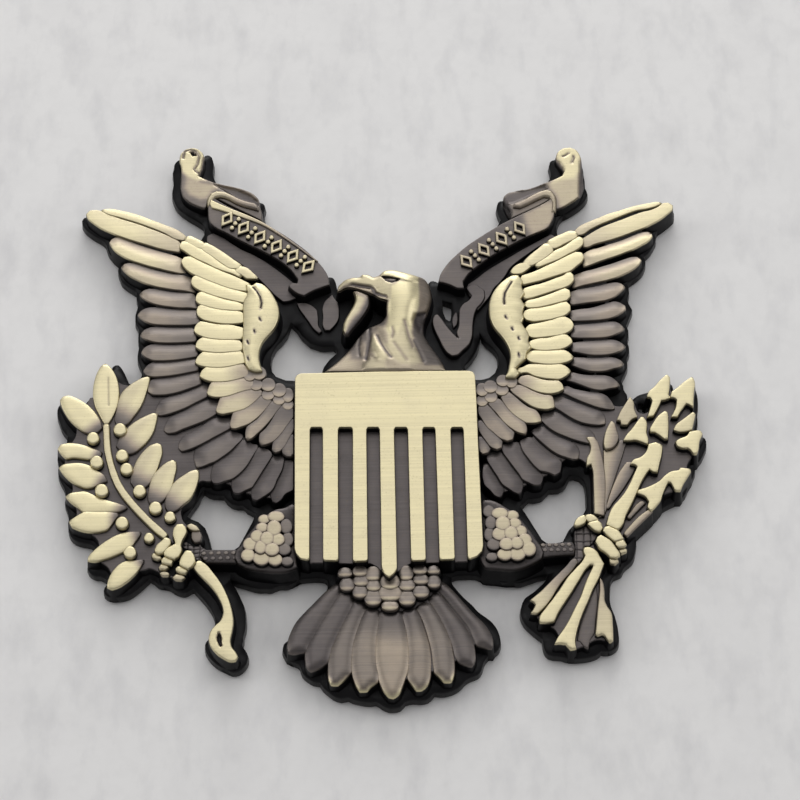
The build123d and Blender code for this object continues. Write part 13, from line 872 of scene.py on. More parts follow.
TONES = [
    (0.0, (0.010, 0.0095, 0.0095, 1.0)),
    (0.25, (0.118, 0.105, 0.102, 1.0)),
    (0.42, (0.195, 0.170, 0.150, 1.0)),
    (0.58, (0.340, 0.285, 0.225, 1.0)),
    (0.78, (0.490, 0.430, 0.300, 1.0)),
    (1.0, (0.660, 0.590, 0.375, 1.0)),
]
BRASS = antique_brass()
BRIGHT = plain_metal("turned_brass", (0.80, 0.62, 0.30, 1.0), (0.66, 0.49, 0.22, 1.0), 0.28, scale=2500.0, stretch=(1.0, 8.0, 1.0))
ZINC = plain_metal("zinc_plate", (0.70, 0.71, 0.72, 1.0), (0.56, 0.57, 0.59, 1.0), 0.32)
BLACK = plain_metal("black_oxide", (0.0075, 0.007, 0.0075, 1.0), (0.0040, 0.0038, 0.0042, 1.0), 0.42, metallic=0.0, scale=1800.0, bump_d=0.000015, spec=0.16)


def lighten_back_painted_light(m):
    """Faces of the plate that point backwards get a lighter, grainy dark grey so the back reads: painted light on the
    back side of the black plate.
    """
    nt = m.node_tree
    bsdf = next(n for n in nt.nodes if n.type == "BSDF_PRINCIPLED")
    src = bsdf.inputs["Base Color"].links[0].from_socket
    g = N(nt, "ShaderNodeNewGeometry")
    sep = N(nt, "ShaderNodeSeparateXYZ")
    nt.links.new(g.outputs["Normal"], sep.inputs[0])
    # mask of the backward-facing faces that get the painted light
    f = ranged(nt, sep.outputs["Y"], 0.6, 0.9, 0.0, 1.0)
    tc = N(nt, "ShaderNodeTexCoord")
    cloud = noise(nt, tc.outputs["Object"], 260.0, 4.0, 0.6)
    grain = noise(nt, tc.outputs["Object"], 1300.0, 3.0, 0.6)
    b = mix_col(nt, ranged(nt, cloud, 0.35, 0.65, 0.0, 1.0), (0.070, 0.066, 0.064, 1.0), (0.040, 0.038, 0.038, 1.0))
    b = mix_col(nt, ranged(nt, grain, 0.55, 0.75, 0.0, 0.5), b, (0.105, 0.094, 0.080, 1.0))
    nt.links.new(mix_col(nt, f, src, b), bsdf.inputs["Base Color"])
    nt.links.new(ranged(nt, f, 0.0, 1.0, 0.16, 0.5), bsdf.inputs["Specular IOR Level"])


# painted light: the plate's backward-facing side is coloured lighter
lighten_back_painted_light(BLACK)

# ---------------------------------------------------------------- paint and sculpt
def ss(x):
    x = np.clip(x, 0, 1)
    return x * x * (3 - 2 * x)


def sdist(V, ring):
    R = [np.array([p[:2] for p in ring], float)]
    d = ring_dist(V, R)
    return np.where(inside(V, R), d, -d)


def paints(items):
    """items: (ring or path, tone, softness[, 'line', width]). Later ones go over earlier ones."""

    def tf(V, d, h, tn):
        for it in items:
            if len(it) == 3:
                k = ss(sdist(V, it[0]) / it[2] + 0.5)
            else:
                k = np.exp(-((path_dist(V, it[0]) / it[4]) ** 2))
            tn = tn + (it[1] - tn) * k
        return tn

    return tf


def sculpt(items):
    """items: (ring, rise, softness) or (path, rise, 'line', width)."""

    def hf(V, d, h):
        for it in items:
            if it[2] == "line":
                h = h + it[1] * np.exp(-((path_dist(V, it[0]) / it[3]) ** 2))
            else:
                h = h + it[1] * ss(sdist(V, it[0]) / it[2] + 0.5)
        return h

    return hf


def refine(rings=(), lines=(), w=0.06):
    pts = []
    for r in rings:
        r = [tuple(p[:2]) for p in r]
        pts += along(r + [r[0]], 0.12, (-w, w))
    for l in lines:
        pts += along(l, 0.12, (-w, 0.0, w))
    return pts


class Part:
    def __init__(self, node, web_top=None, web_tone=0.2, web_crest=0.0, key=None):
        self.node, self.b = node, Builder()
        if web_top:
            outers, holes = WEBS[key or node]
            for o in outers:
                A_ = [np.array(o, float)]
                hs = [q for q in holes if inside(np.array([q[0]], float), A_)[0]]
                k = len(self.b.crest)
                island(self.b, o, web_top, base=0.3, rb=0.05, tone=web_tone, grid=0.6, step=0.2, holes=hs, draft=0.12)
                self.b.crest[k] = np.full(len(self.b.crest[k]), float(web_crest))

    def __call__(self, key, top=None, **kw):
        rec = M[key] if key in M else D_[key]
        kw.setdefault("base", 0.3)
        kw.setdefault("draft", 0.12)
        if top is not None:
            kw.setdefault("shift", (rec[0] - top) * 0.554)
        island(self.b, rec[1], rec[0] if top is None else top, **kw)

    def done(self, body="badge", mat=None, slot="antique_brass"):
        return self.b.make(self.node + "_relief", self.node, body, mat or BRASS, slot)


D_ = {k: [2.6, v] for k, v in D.items()}


def pick(vals, i):
    return vals[min(i, len(vals) - 1)]


def feather(P, key, toward, tone, tuck_shade_t, tuck_h, root, root_t=None, tip=0.0, grow=0.09, rb=0.07, dome=0.03, wid=0.6, grid=0.24, **kw):
    """A feather whose edge on the toward side slips under its neighbour, with painted shade in its tone along that
    edge; root is a point near its inner end; tip adds a painted highlight at the outer end.
    """
    pts = M[key][1]
    A_ = np.array(pts, float)
    c = A_.mean(0)
    w, v = np.linalg.eigh(np.cov((A_ - c).T))
    ax = v[:, 1]
    s = (A_ - c) @ ax
    e1, e2 = c + ax * s.max(), c + ax * s.min()
    if np.hypot(*(e1 - root)) < np.hypot(*(e2 - root)):
        e1, e2 = e2, e1
    perp = np.array([-ax[1], ax[0]])
    if perp @ (np.array(toward) - c) < 0:
        perp = -perp
    B = smooth_ring(pts, 0.16, 34.0)
    B = B + ring_normals(B) * grow
    sel = ring_normals(B) @ perp > 0.45
    Aa, Bb = B[sel], np.roll(B, -1, 0)[sel]
    width = float(np.ptp((A_ - c) @ perp))

    def kk(V):
        return ss(1 - line_dist(V, Aa, Bb) / (wid * width))

    def hf(V, d, h):
        return h - tuck_h * kk(V)

    def tf(V, d, h, tn):
        # painted shade: the tone darkens towards the edge that slips under the neighbour
        t = tone + (tuck_shade_t - tone) * kk(V)
        if root_t is not None:
            L_ = float(np.hypot(*(e1 - e2)))
            r = ss(1 - np.hypot(V[:, 0] - e2[0], V[:, 1] - e2[1]) / (0.6 * L_))
            t = t + (root_t - t) * r
        # painted highlight: the tone is lifted near the outer tip
        if tip:
            t = t + tip * ss(1 - np.hypot(V[:, 0] - e1[0], V[:, 1] - e1[1]) / 0.9)
        return t

    P(key, rb=rb, dome=dome, dw=0.6, tone=tone, grid=grid, grow=grow, hfn=hf, tfn=tf, **kw)


def centre(key):
    return np.array(M[key][1], float).mean(0)


# ---------------------------------------------------------------- wings
def wing(node, pri, cov, sh, ptone, ctone, scales, line, dashes, sgn, ncov, extra_cov=()):
    P = Part(node, 2.42, 0.05, 0.6)
    root = np.array([sgn * 9.0, 9.0])
    for i in range(18):
        t = pick(ptone, i)
        prev = centre(f"{pri}{i - 1:02d}") if i else centre(f"{pri}00") + np.array([0.0, 2.0])
        deep = i >= 2
        # the tucked-edge tone (t * 0.50 or t * 0.93) is painted shade, and tip is a painted highlight at the outer end
        feather(P, f"{pri}{i:02d}", prev, t, t * 0.50 if deep else t * 0.93, 0.22 if deep else 0.08, root,
                root_t=t * 0.72, tip=0.22 if 2 < i < 14 else 0.06, wid=0.75, grow=0.16 if deep else 0.10)
    for i in range(ncov):
        t = pick(ctone, i)
        prev = centre(f"{cov}{max(i - 1, 3):02d}") if i > 3 else centre(f"{cov}{i:02d}") + np.array([0.0, 2.0])
        # the coverts get the same tucked-edge painted shade and tip painted highlight
        feather(P, f"{cov}{i:02d}", prev, t, t * 0.96 if i < 12 else t * 0.7, 0.05, root,
                root_t=None if i < 11 else t * 0.6, tip=0.04 if i < 12 else 0.12, wid=0.5, grow=0.16)
    for k, t in extra_cov:
        P(k, rb=0.07, dome=0.03, tone=t, grid=0.26, grow=0.08)
    segs = []
    for p in dashes:
        segs.append([(p[0] - 0.05, p[1] + 0.17), (p[0] + 0.05, p[1] - 0.17)])
    gs = [groove(line, 0.08, 0.16, 0.05)] + [groove(s_, 0.09, 0.14, 0.05) for s_ in segs]
    ex, hf, tf = chain(*gs)
    P(sh, rb=0.12, dome=0.28, dw=1.5, tone=0.98, grid=0.2, extra=ex, hfn=hf, tfn=tf, grow=0.08)
    for k in sorted(M):
        if k.startswith(scales):
            P(k, 3.15, rb=0.05, dome=0.03, dw=0.4, tone=0.46, grid=0.18, step=0.12, grow=0.18,
              hfn=lambda V, d, h: h - 0.12 * ss((V[:, 1] - V[:, 1].min()) / 1.1),
              tfn=lambda V, d, h, tn: 0.36 + 0.26 * ss(1 - (V[:, 1] - V[:, 1].min()) / 0.9))
    return P.done()


# primary tones darken down the wing: partly the antique finish, partly painted reflection, the lower feathers darkened
# as if reflecting a darker surround
PT = [0.97, 0.95, 0.93, 0.72, 0.56, 0.51, 0.48, 0.46, 0.45, 0.43, 0.42, 0.40, 0.38, 0.36, 0.33, 0.30, 0.28, 0.27]
wing("left_wing", "lwp", "lwc", "lwsh", PT,
     [0.95, 0.93, 0.9, 0.98, 1.0, 1.0, 1.0, 1.0, 0.98, 0.97, 0.96, 0.93, 0.88, 0.8, 0.66, 0.55, 0.46, 0.4, 0.36],
     "lsc", D["sl1"], DASH_L, -1, 19)
wing("right_wing", "rwp", "rwc", "rwsh", PT,
     [0.94, 0.92, 0.98, 1.0, 1.0, 1.0, 1.0, 1.0, 0.98, 0.97, 0.95, 0.88, 0.8, 0.7, 0.6, 0.5, 0.42, 0.38],
     "rsc", D["sr1"], DASH_R, 1, 18, extra_cov=[("rwcx", 0.95)])

# ---------------------------------------------------------------- head
P = Part("head_and_neck")
HC = np.array(HEAD_H)
HC[:, 2] += 0.0


def plate_fit(C):
    n_ = len(C)
    r = np.hypot(C[:, None, 0] - C[None, :, 0], C[:, None, 1] - C[None, :, 1])
    K_ = r ** 2 * np.log(r + 1e-9) + np.eye(n_) * 1.5
    A_ = np.zeros((n_ + 3, n_ + 3))
    A_[:n_, :n_] = K_
    A_[:n_, n_:] = A_[n_:, :n_].T
    Q = np.column_stack([np.ones(n_), C[:, 0], C[:, 1]])
    A_[:n_, n_:] = Q
    A_[n_:, :n_] = Q.T
    return np.linalg.solve(A_, np.concatenate([C[:, 2], [0, 0, 0]]))


HW = plate_fit(HC)


def head_height(V, d, h):
    r = np.hypot(V[:, None, 0] - HC[None, :, 0], V[:, None, 1] - HC[None, :, 1])
    n_ = len(HC)
    h = (r ** 2 * np.log(r + 1e-9)) @ HW[:n_] + HW[n_] + V @ HW[n_ + 1:]
    h = h.clip(2.7, 4.7)
    h = h - 0.12 * (1 - (d / 0.4).clip(0, 1)) ** 2
    s_ = sculpt([
        (D["hd_crown"], 0.10, 0.2), (D["hd_beak"], 0.05, 0.5), (D["hd_cere"], 0.10, 0.4), (D["hd_under"], -0.25, 0.4),
        (D["hd_eye"], -0.22, 0.12), (D["hd_eyeball"], 0.2, 0.2), (D["hd_sideR2"], -0.2, 0.6),
        (D["hd_L1b"], 0.08, 0.5), (D["hd_L2"], 0.10, 0.6), (D["hd_L3"], 0.06, 0.5),
        (D["hd_L5"], 0.08, 0.4), (D["hd_L6"], 0.08, 0.4), (D["hd_L7"], 0.06, 0.4),
        (D["hd_g1"], -0.07, "line", 0.2), (D["hd_g2"], -0.06, "line", 0.14), (D["hd_g3"], -0.12, "line", 0.16),
        (D["hd_g4"], -0.06, "line", 0.18), (D["hd_g5"], -0.08, "line", 0.18), (D["hd_g6"], -0.1, "line", 0.14),
        (D["hd_g7"], -0.14, "line", 0.15)])
    return s_(V, d, h)


hp = paints([
    (D["hd_cheek"], 0.84, 0.6), (D["hd_beak"], 0.86, 0.35), (D["hd_cere"], 0.97, 0.35), (D["hd_under"], 0.3, 0.25),
    (D["hd_throat"], 0.42, 0.4), (D["hd_neckC"], 0.84, 0.8), (D["hd_neckR"], 0.36, 0.4), (D["hd_sideR"], 0.50, 0.4),
    (D["hd_sideR2"], 0.17, 0.4), (D["hd_L1"], 0.42, 0.6), (D["hd_L1b"], 0.60, 0.7), (D["hd_L4"], 0.52, 0.6),
    (D["hd_L3"], 0.62, 0.35), (D["hd_L2"], 0.88, 0.5), (D["hd_L5"], 0.80, 0.8), (D["hd_L6"], 0.66, 0.8), (D["hd_L7"], 0.64, 0.8),
    (D["hd_face"], 0.97, 0.3), (D["hd_crown"], 0.98, 0.15),
    (D["hd_g1"], 0.5, "line", 0.2, 0.16), (D["hd_g2"], 0.55, "line", 0.2, 0.12), (D["hd_g3"], 0.34, "line", 0.2, 0.12),
    (D["hd_g4"], 0.62, "line", 0.2, 0.15), (D["hd_g5"], 0.3, "line", 0.2, 0.12), (D["hd_g6"], 0.28, "line", 0.2, 0.1),
    (D["hd_g7"], 0.24, "line", 0.2, 0.12),
    (D["hd_eye"], 0.02, 0.08), (D["hd_eyeball"], 0.33, 0.1)])
P("head", 4.6, rb=0.10, tone=0.62, grid=0.13, step=0.12, hfn=head_height, tfn=hp, shear=0.554, corner=46,
  extra=refine([D["hd_eye"], D["hd_crown"], D["hd_eyeball"]], [D["hd_eyelid"]], 0.05))
P("tongue", 3.6, rb=0.25, dome=0.12, dw=0.8, tone=0.80, grid=0.15, step=0.12, corner=46,
  tfn=paints([(D["tg_dark"], 0.24, 0.8), (D["tg_top"], 0.5, 0.4), (D["tg_edge"], 0.98, "line", 0.2, 0.3)]))
P.done()

# ---------------------------------------------------------------- shield
P = Part("shield")
sh = M["shield"][1]
island(P.b, [(p[0] * 0.99, p[1] + (0.15 if p[1] < -9 else -0.1)) for p in sh], 3.0, base=0.3, rb=0.04, tone=0.245, grid=0.6,
       step=0.2, draft=0.05, smooth=False)
island(P.b, SHIELD_BARS, 3.9, base=0.9, rb=0.06, tone=0.985, grid=0.35, step=0.16, draft=0.06, smooth=False)
P.done()

# ---------------------------------------------------------------- tail
P = Part("tail_fan", 2.35, 0.2, 0.8)
TT = [0.26, 0.26, 0.40, 0.46, 0.54, 0.46, 0.42, 0.28, 0.26]
for i in range(9):
    r = np.array(M[f"tail{i}"][1])
    zlo = r[:, 1].min()
    t = TT[i]
    tip = 0.92 if 2 <= i <= 6 else t

    def tfn(V, d, h, tn, zlo=zlo, t=t, tip=tip):
        k = ss(1 - (V[:, 1] - zlo) / 1.1) * ss(1 - (d - 0.04) / 0.30)
        up = ss((V[:, 1] - zlo - 4.5) / 3.5)
        return t + (0.27 - t) * up + (tip - t) * k + 0.07 * ss(1 - d / 0.2)

    P(f"tail{i}", rb=0.05, dome=0.32, dw=0.9, tone=t, grid=0.22, tfn=tfn, grow=0.2)
for k in sorted(M):
    if k.startswith("tsc"):
        c = centre(k)
        t0 = 0.5 - 0.035 * abs(c[0])
        P(k, 3.2, rb=0.08, dome=0.12, dw=0.45, tone=t0, grid=0.14, step=0.1, grow=0.15,
          hfn=lambda V, d, h: h - 0.14 * ss((V[:, 1] - V[:, 1].min()) / 1.2),
          tfn=lambda V, d, h, tn, t0=t0: tn * (0.8 + 0.2 * ss(d / 0.2)) + 0.28 * ss(1 - abs((V[:, 1] - V[:, 1].min()) - 0.25) / 0.3))
P.done()

# ---------------------------------------------------------------- legs
def leg(node, thigh, shank, cells, claws, pad, inner):
    P = Part(node, 2.3, 0.16, 0.0)
    sg = 1.0 if inner > 0 else -1.0
    P(thigh, 3.5, rb=0.15, dome=0.3, dw=1.6, tone=0.10, grid=0.25, grow=0.1,
      tfn=lambda V, d, h, tn: 0.10 + 0.16 * ss(1 - abs(d - 0.22) / 0.2))
    for k in sorted(M):
        if k.startswith(cells):
            c = centre(k)
            near = abs(c[0] - inner) < 1.1
            t = 0.38 if near else 0.74
            e = float(ring_dist(np.array([c]), [np.array(M[thigh][1])])[0])
            top = 3.75 + 0.4 * min(1.0, e / 1.8)
            island(P.b, M[k][1], top, base=2.6, rb=0.06, dome=0.04, dw=0.4, tone=t, grid=0.14, step=0.1, draft=0.1, grow=0.15,
                   shift=(4.2 - top) * 0.554,
                   tfn=lambda V, d, h, tn, t=t: t * (0.72 + 0.28 * ss(d / 0.22)))
    P(shank, rb=0.12, dome=0.1, tone=0.14, grid=0.16)
    r = np.array(M[shank][1])
    x0, x1 = r[:, 0].min(), r[:, 0].max()
    zc = r[:, 1].mean()
    for i in range(5):
        for j in range(2):
            x = x0 + (x1 - x0) * (i + 0.5 + 0.25 * j) / 5.4
            z = zc + 0.38 - 0.52 * j
            island(P.b, ell(x, z, 0.24, 0.19, 12), 2.98, base=2.4, rb=0.07, dome=0.05, tone=0.30 if j else 0.40, grid=0.12, step=0.08, draft=0.1)
    for k, t in claws:
        P(k, rb=0.09, dome=0.06, dw=0.4, tone=t, grid=0.15, step=0.1, grow=0.07)
    r = np.array(M[pad][1])
    gs = []
    x0, x1, z0, z1 = r[:, 0].min(), r[:, 0].max(), r[:, 1].min(), r[:, 1].max()
    for i in range(1, 5):
        zz = z0 + (z1 - z0) * i / 5
        gs.append(groove([(x0, zz + 0.05), ((x0 + x1) / 2, zz - 0.08), (x1, zz + 0.05)], 0.05, 0.05, 0.35))
    for i in range(1, 4):
        xx = x0 + (x1 - x0) * i / 4
        gs.append(groove([(xx - 0.05, z0), (xx + 0.05, z1)], 0.05, 0.05, 0.35))
    ex, hf, tf = chain(*gs)
    P(pad, rb=0.1, dome=0.06, tone=0.27, grid=0.16, step=0.12, extra=ex, hfn=hf, tfn=tf)
    P.done()


leg("left_leg", "lthigh", "lshank", "lpb",
    [("lc0", 0.97), ("lc1", 0.96), ("lc2", 0.95), ("lc3", 0.85), ("lc4", 0.9), ("lc5", 0.8), ("lc6", 0.75), ("lc7", 0.97),
     ("lc8", 0.92), ("lc9", 0.8), ("lca", 0.75), ("lcb", 0.4)], "lcd", -8.6)
leg("right_leg", "rthigh", "rshank", "rpb",
    [("rc0", 0.97), ("rc1", 0.96), ("rc2", 0.97), ("rc3", 0.97), ("rc4", 0.92), ("rc5", 0.85), ("rc6", 0.97), ("rc7", 0.85)],
    "rcd", 8.6)

# ---------------------------------------------------------------- olive branch
def axis_ends(pts):
    A_ = np.array(pts, float)
    c = A_.mean(0)
    w, v = np.linalg.eigh(np.cov((A_ - c).T))
    ax = v[:, 1]
    s_ = (A_ - c) @ ax
    return c + ax * s_.max(), c + ax * s_.min(), ax, c


P = Part("olive_branch", 2.28, 0.215, 1.0)
spine = np.array(M["stem1"][1])
LT = [0.99, 0.99, 0.95, 0.96, 0.98, 0.98, 0.99, 0.99, 0.99, 0.98, 0.93, 0.95, 0.94]
for i in range(13):
    key = f"leaf{i:02d}"
    pts = M[key][1]
    a, b, ax, c = axis_ends(pts)
    da, db = np.min(np.hypot(*(spine - a).T)), np.min(np.hypot(*(spine - b).T))
    if da < db:
        a, b = b, a
    edge = i in (2, 3, 10, 11, 12)
    tf0 = grad(b, 0.9 if i == 1 else 0.30, b + (a - b) * (0.35 if i == 1 else 0.50 if edge else 0.30), LT[i])
    perp = np.array([-ax[1], ax[0]])
    if perp[0] < 0:
        perp = -perp
    g = None
    if i == 1:
        g = groove([tuple(b + (a - b) * s_ + perp * 0.22) for s_ in (0.3, 0.8)], 0.06, 0.04, 0.8)

    def tfn(V, d, h, tn, tf0=tf0, g=g, edge=edge, c=c, perp=perp):
        t = tf0(V, d, h, tn)
        if edge:
            t = t * (0.88 + 0.12 * ss((((V - c) @ perp) + 0.3) / 0.8))
        return g[2](V, t) if g else t

    P(key, rb=0.09, dome=0.10, dw=0.7, tone=LT[i], grid=0.2, tfn=tfn, hfn=g[1] if g else None, extra=g[0] if g else (), grow=0.12)
P("stem1", rb=0.12, dome=0.05, tone=0.9, grid=0.2, grow=0.03)
for k in sorted(M):
    if k.startswith("ber"):
        P(k, 2.95, rb=0.15, dome=0.04, dw=0.4, tone=0.97, grid=0.15, step=0.1, grow=0.03)
P.done()
P = Part("branch_stem")
ke = M["knobeye"][1]
P("stem2", rb=0.10, dome=0.08, tone=0.96, grid=0.18, grow=0.08, hfn=sculpt([(ke, -0.5, 0.12)]),
  tfn=paints([(ke, 0.04, 0.1)]), extra=refine([ke]))
P.done()

# ---------------------------------------------------------------- arrows
P = Part("arrow_bundle", 2.28, 0.25, 1.0)
AT = {0: 0.66, 1: 0.74, 2: 0.62, 3: 0.96, 4: 0.96, 5: 0.99, 6: 0.99, 7: 0.9, 8: 0.97, 9: 0.98, 10: 0.97, 11: 0.62, 12: 0.5, 13: 0.5, 14: 0.46}
low = np.array([20.5, -8.0])
for i, t in AT.items():
    key = f"ar{i:02d}"
    tfn = None
    if i in (0, 2, 11, 12, 13, 14):
        a, b, ax, c = axis_ends(M[key][1])
        if np.hypot(*(a - low)) < np.hypot(*(b - low)):
            a, b = b, a
        perp = np.array([-ax[1], ax[0]])
        if perp[0] > 0:
            perp = -perp
        # painted light and shade: each shaft is made lighter on one side and darker on the other, as if lit across a
        # round rod
        tfn = lambda V, d, h, tn, c=c, perp=perp, t=t: t + 0.16 * np.clip(((V - c) @ perp) / 0.5, -1, 1)
    P(key, rb=0.08, dome=0.05, dw=0.4, tone=t, grid=0.2, step=0.12, grow=0.06, tfn=tfn)
P.done()
P = Part("arrow_tails", 2.1, 0.22, 1.0)
for k, t in (("fl4", 0.3), ("fl1", 0.66), ("fl3", 0.72), ("fl2", 0.96)):
    tfn = None
    if k in ("fl1", "fl3"):
        tfn = grad((16.5, -12.0), 0.4, (14.0, -17.0) if k == "fl1" else (19.5, -19.5), 0.85)
    P(k, rb=0.09, dome=0.06, dw=0.4, tone=t, grid=0.2, grow=0.04, tfn=tfn)
P.done()

# ---------------------------------------------------------------- ribbons
def motif(P, path, n, top, tone, start=0.0, end=1.0):
    """A running row of raised lozenges and beads along the middle of the ribbon."""
    C = np.array(path, float)
    seg = np.hypot(*(C[1:] - C[:-1]).T)
    cum = np.concatenate([[0], np.cumsum(seg)])
    for i in range(n):
        s_ = cum[-1] * (start + (end - start) * (i + 0.5) / n)
        k = min(int(np.searchsorted(cum, s_, side="right")) - 1, len(seg) - 1)
        t = (s_ - cum[k]) / seg[k]
        c = C[k] + (C[k + 1] - C[k]) * t
        u = (C[k + 1] - C[k]) / seg[k]
        v = np.array([-u[1], u[0]])
        if i % 2 == 0:
            L_, W = 1.0, 0.66
            ring = [c + v * L_, c + u * W, c - v * L_, c - u * W]
            hole = [c + v * 0.52, c + u * 0.33, c - v * 0.52, c - u * 0.33]
            island(P.b, [tuple(p) for p in ring], top, base=2.2, rb=0.07, tone=tone, grid=0.14, step=0.09,
                   holes=[[tuple(p) for p in hole]], smooth=False, draft=0.08)
        else:
            for o in (-0.6, 0.0, 0.6):
                island(P.b, ell(*(c + v * o), 0.24, 0.24, 14), top, base=2.2, rb=0.1, tone=tone,
                       grid=0.12, step=0.1, draft=0.08)


P = Part("left_ribbon")
P("lb_low", 1.7, rb=0.06, tone=0.25, grid=0.4, corner=30)
P("lb_f1", 1.6, rb=0.06, tone=0.23, grid=0.3)
P("lb_f2", 1.6, rb=0.06, tone=0.27, grid=0.3)
P("lb_back", rb=0.14, tone=0.36, grid=0.2, step=0.14,
  hfn=sculpt([(D["lbk_dark"], -0.3, 0.3), (D["lbk_cresc"], -0.8, 0.2), (D["lbk_hole"], -0.5, 0.12), (D["lbk_spiral"], -0.14, "line", 0.09)]),
  tfn=paints([(D["lbk_tan"], 0.66, 0.8), (D["lbk_bright"], 0.93, 0.6), (D["lbk_dark"], 0.24, 0.3), (D["lbk_top"], 0.5, "line", 0.2, 0.16),
              (D["lbk_cresc"], 0.13, 0.15), (D["lbk_spiral"], 0.42, "line", 0.1, 0.09), (D["lbk_hole"], 0.06, 0.1)]),
  extra=refine([D["lbk_dark"], D["lbk_cresc"], D["lbk_hole"]], [D["lbk_spiral"], D["lbk_top"]]))
P("lb_front", rb=0.10, tone=0.27, grid=0.2, step=0.14,
  tfn=paints([(D["lb_face_l"], 0.33, 0.4), (D["lb_in"], 0.22, 0.15)]))
P("lipL", 2.75, rb=0.28, tone=0.6, grid=0.12, step=0.1, base=2.0, tfn=grad(D["lipL"][1], 0.78, D["lipL"][8], 0.5))
P("lipL2", 2.78, rb=0.12, tone=0.8, grid=0.12, step=0.1, base=2.0, tfn=grad(D["lipL2"][1], 0.95, D["lipL2"][7], 0.5))
motif(P, D["lb_face_c"], 11, 2.98, 0.86, 0.0, 1.0)
P.done()
P = Part("right_ribbon")
P("rb_low", 1.7, rb=0.06, tone=0.25, grid=0.4, corner=30)
P("rb_hook", 1.9, rb=0.12, tone=0.27, grid=0.2, shift=0.0,
  tfn=grad(D["rb_hook"][2], 0.24, D["rb_hook"][13], 0.31))
P("rb_sliv", 1.5, rb=0.08, tone=0.2, grid=0.2, shift=0.0)
P("rb_back", rb=0.14, tone=0.42, grid=0.2, step=0.14,
  hfn=sculpt([(D["rbk_dark"], -0.3, 0.3), (D["rbk_black"], -0.9, 0.2), (D["rbk_low"], -0.8, 0.2), (D["rbk_s1"], -0.12, "line", 0.08), (D["rbk_s2"], -0.12, "line", 0.08), (D["rbk_side"], -0.4, 0.3)]),
  tfn=paints([(D["rbk_tan"], 0.72, 0.6), (D["rbk_bright"], 0.96, 0.7), (D["rbk_dark"], 0.27, 0.3), (D["rbk_top"], 0.45, "line", 0.2, 0.12),
              (D["rbk_side"], 0.24, 0.3), (D["rbk_black"], 0.05, 0.1), (D["rbk_low"], 0.06, 0.1),
              (D["rbk_s1"], 0.4, "line", 0.1, 0.09), (D["rbk_s2"], 0.4, "line", 0.1, 0.09)]),
  extra=refine([D["rbk_dark"], D["rbk_black"]], [D["rbk_s1"], D["rbk_s2"]]))
P("rb_front", rb=0.10, tone=0.28, grid=0.2, step=0.14,
  tfn=paints([(D["rb_tan"], 0.62, 1.2), (D["rb_rim"], 0.38, "line", 0.2, 0.14), (D["rb_in2"], 0.36, 0.3)]))
P("lipR", 2.75, rb=0.28, tone=0.62, grid=0.12, step=0.1, base=2.0, tfn=grad(D["lipR"][3], 0.68, D["lipR"][8], 0.5))
motif(P, D["rb_face_c"], 7, 2.98, 0.72, 0.0, 1.0)
P.done()

# ---------------------------------------------------------------- backing plate
bd = Builder()
rings = [smooth_ring(OUTLINE, 0.3, 40)]
if ring_area(rings[0]) < 0:
    rings[0] = rings[0][::-1]
HOLES = []
for r in PLATE[1:]:
    q = np.array(r, float)
    HOLES.append(q if ring_area(q) < 0 else q[::-1])


def ring_square(s):
    return np.array([(-s, -s), (-s, s), (s, s), (s, -s)], float)


def ring_circle(cx, cz, r, n=32):
    t = -np.arange(n) * 2 * math.pi / n
    return np.stack([cx + r * np.cos(t), cz + r * np.sin(t)], 1)


all_rings = [rings[0]] + HOLES
lo, hi = rings[0].min(0), rings[0].max(0)
GX, GZ = np.meshgrid(np.arange(lo[0], hi[0], 1.2), np.arange(lo[1], hi[1], 1.1))
Gp = np.stack([GX.ravel(), GZ.ravel()], 1)
Gp = Gp[inside(Gp, all_rings)]
Gp = Gp[ring_dist(Gp, all_rings) > 0.4]
V, T = triangulate(all_rings, Gp)
bd.add(V, np.full(len(V), 1.2), 0.16, 0.0, T)
levels = [(1.2, 0.0, 0.0), (0.9, 0.03, 0.0), (0.12, 0.10, 0.0), (0.03, 0.07, 0.1), (0.0, -0.02, 0.3)]
low = []
for B in all_rings:
    n = len(B)
    nr = ring_normals(B)
    co = [B + nr * o for _, o, _ in levels]
    tri = []
    for k in range(len(levels) - 1):
        for i in range(n):
            j = (i + 1) % n
            a, b_, c, e = k * n + i, k * n + j, (k + 1) * n + j, (k + 1) * n + i
            tri += [(a, e, c), (a, c, b_)]
    bd.add(np.vstack(co), np.repeat([l[0] for l in levels], n), 0.2, np.repeat([l[2] for l in levels], n), tri)
    low.append(co[-1])
Gb = Gp[ring_dist(Gp, low) > 0.3]
V, T = triangulate(low, Gb)
bd.add(V, np.zeros(len(V)), 0.2, 0.0, T[:, ::-1])
bd.make("cast_plate", "backing_plate", "badge", BLACK, "blackened_ground")


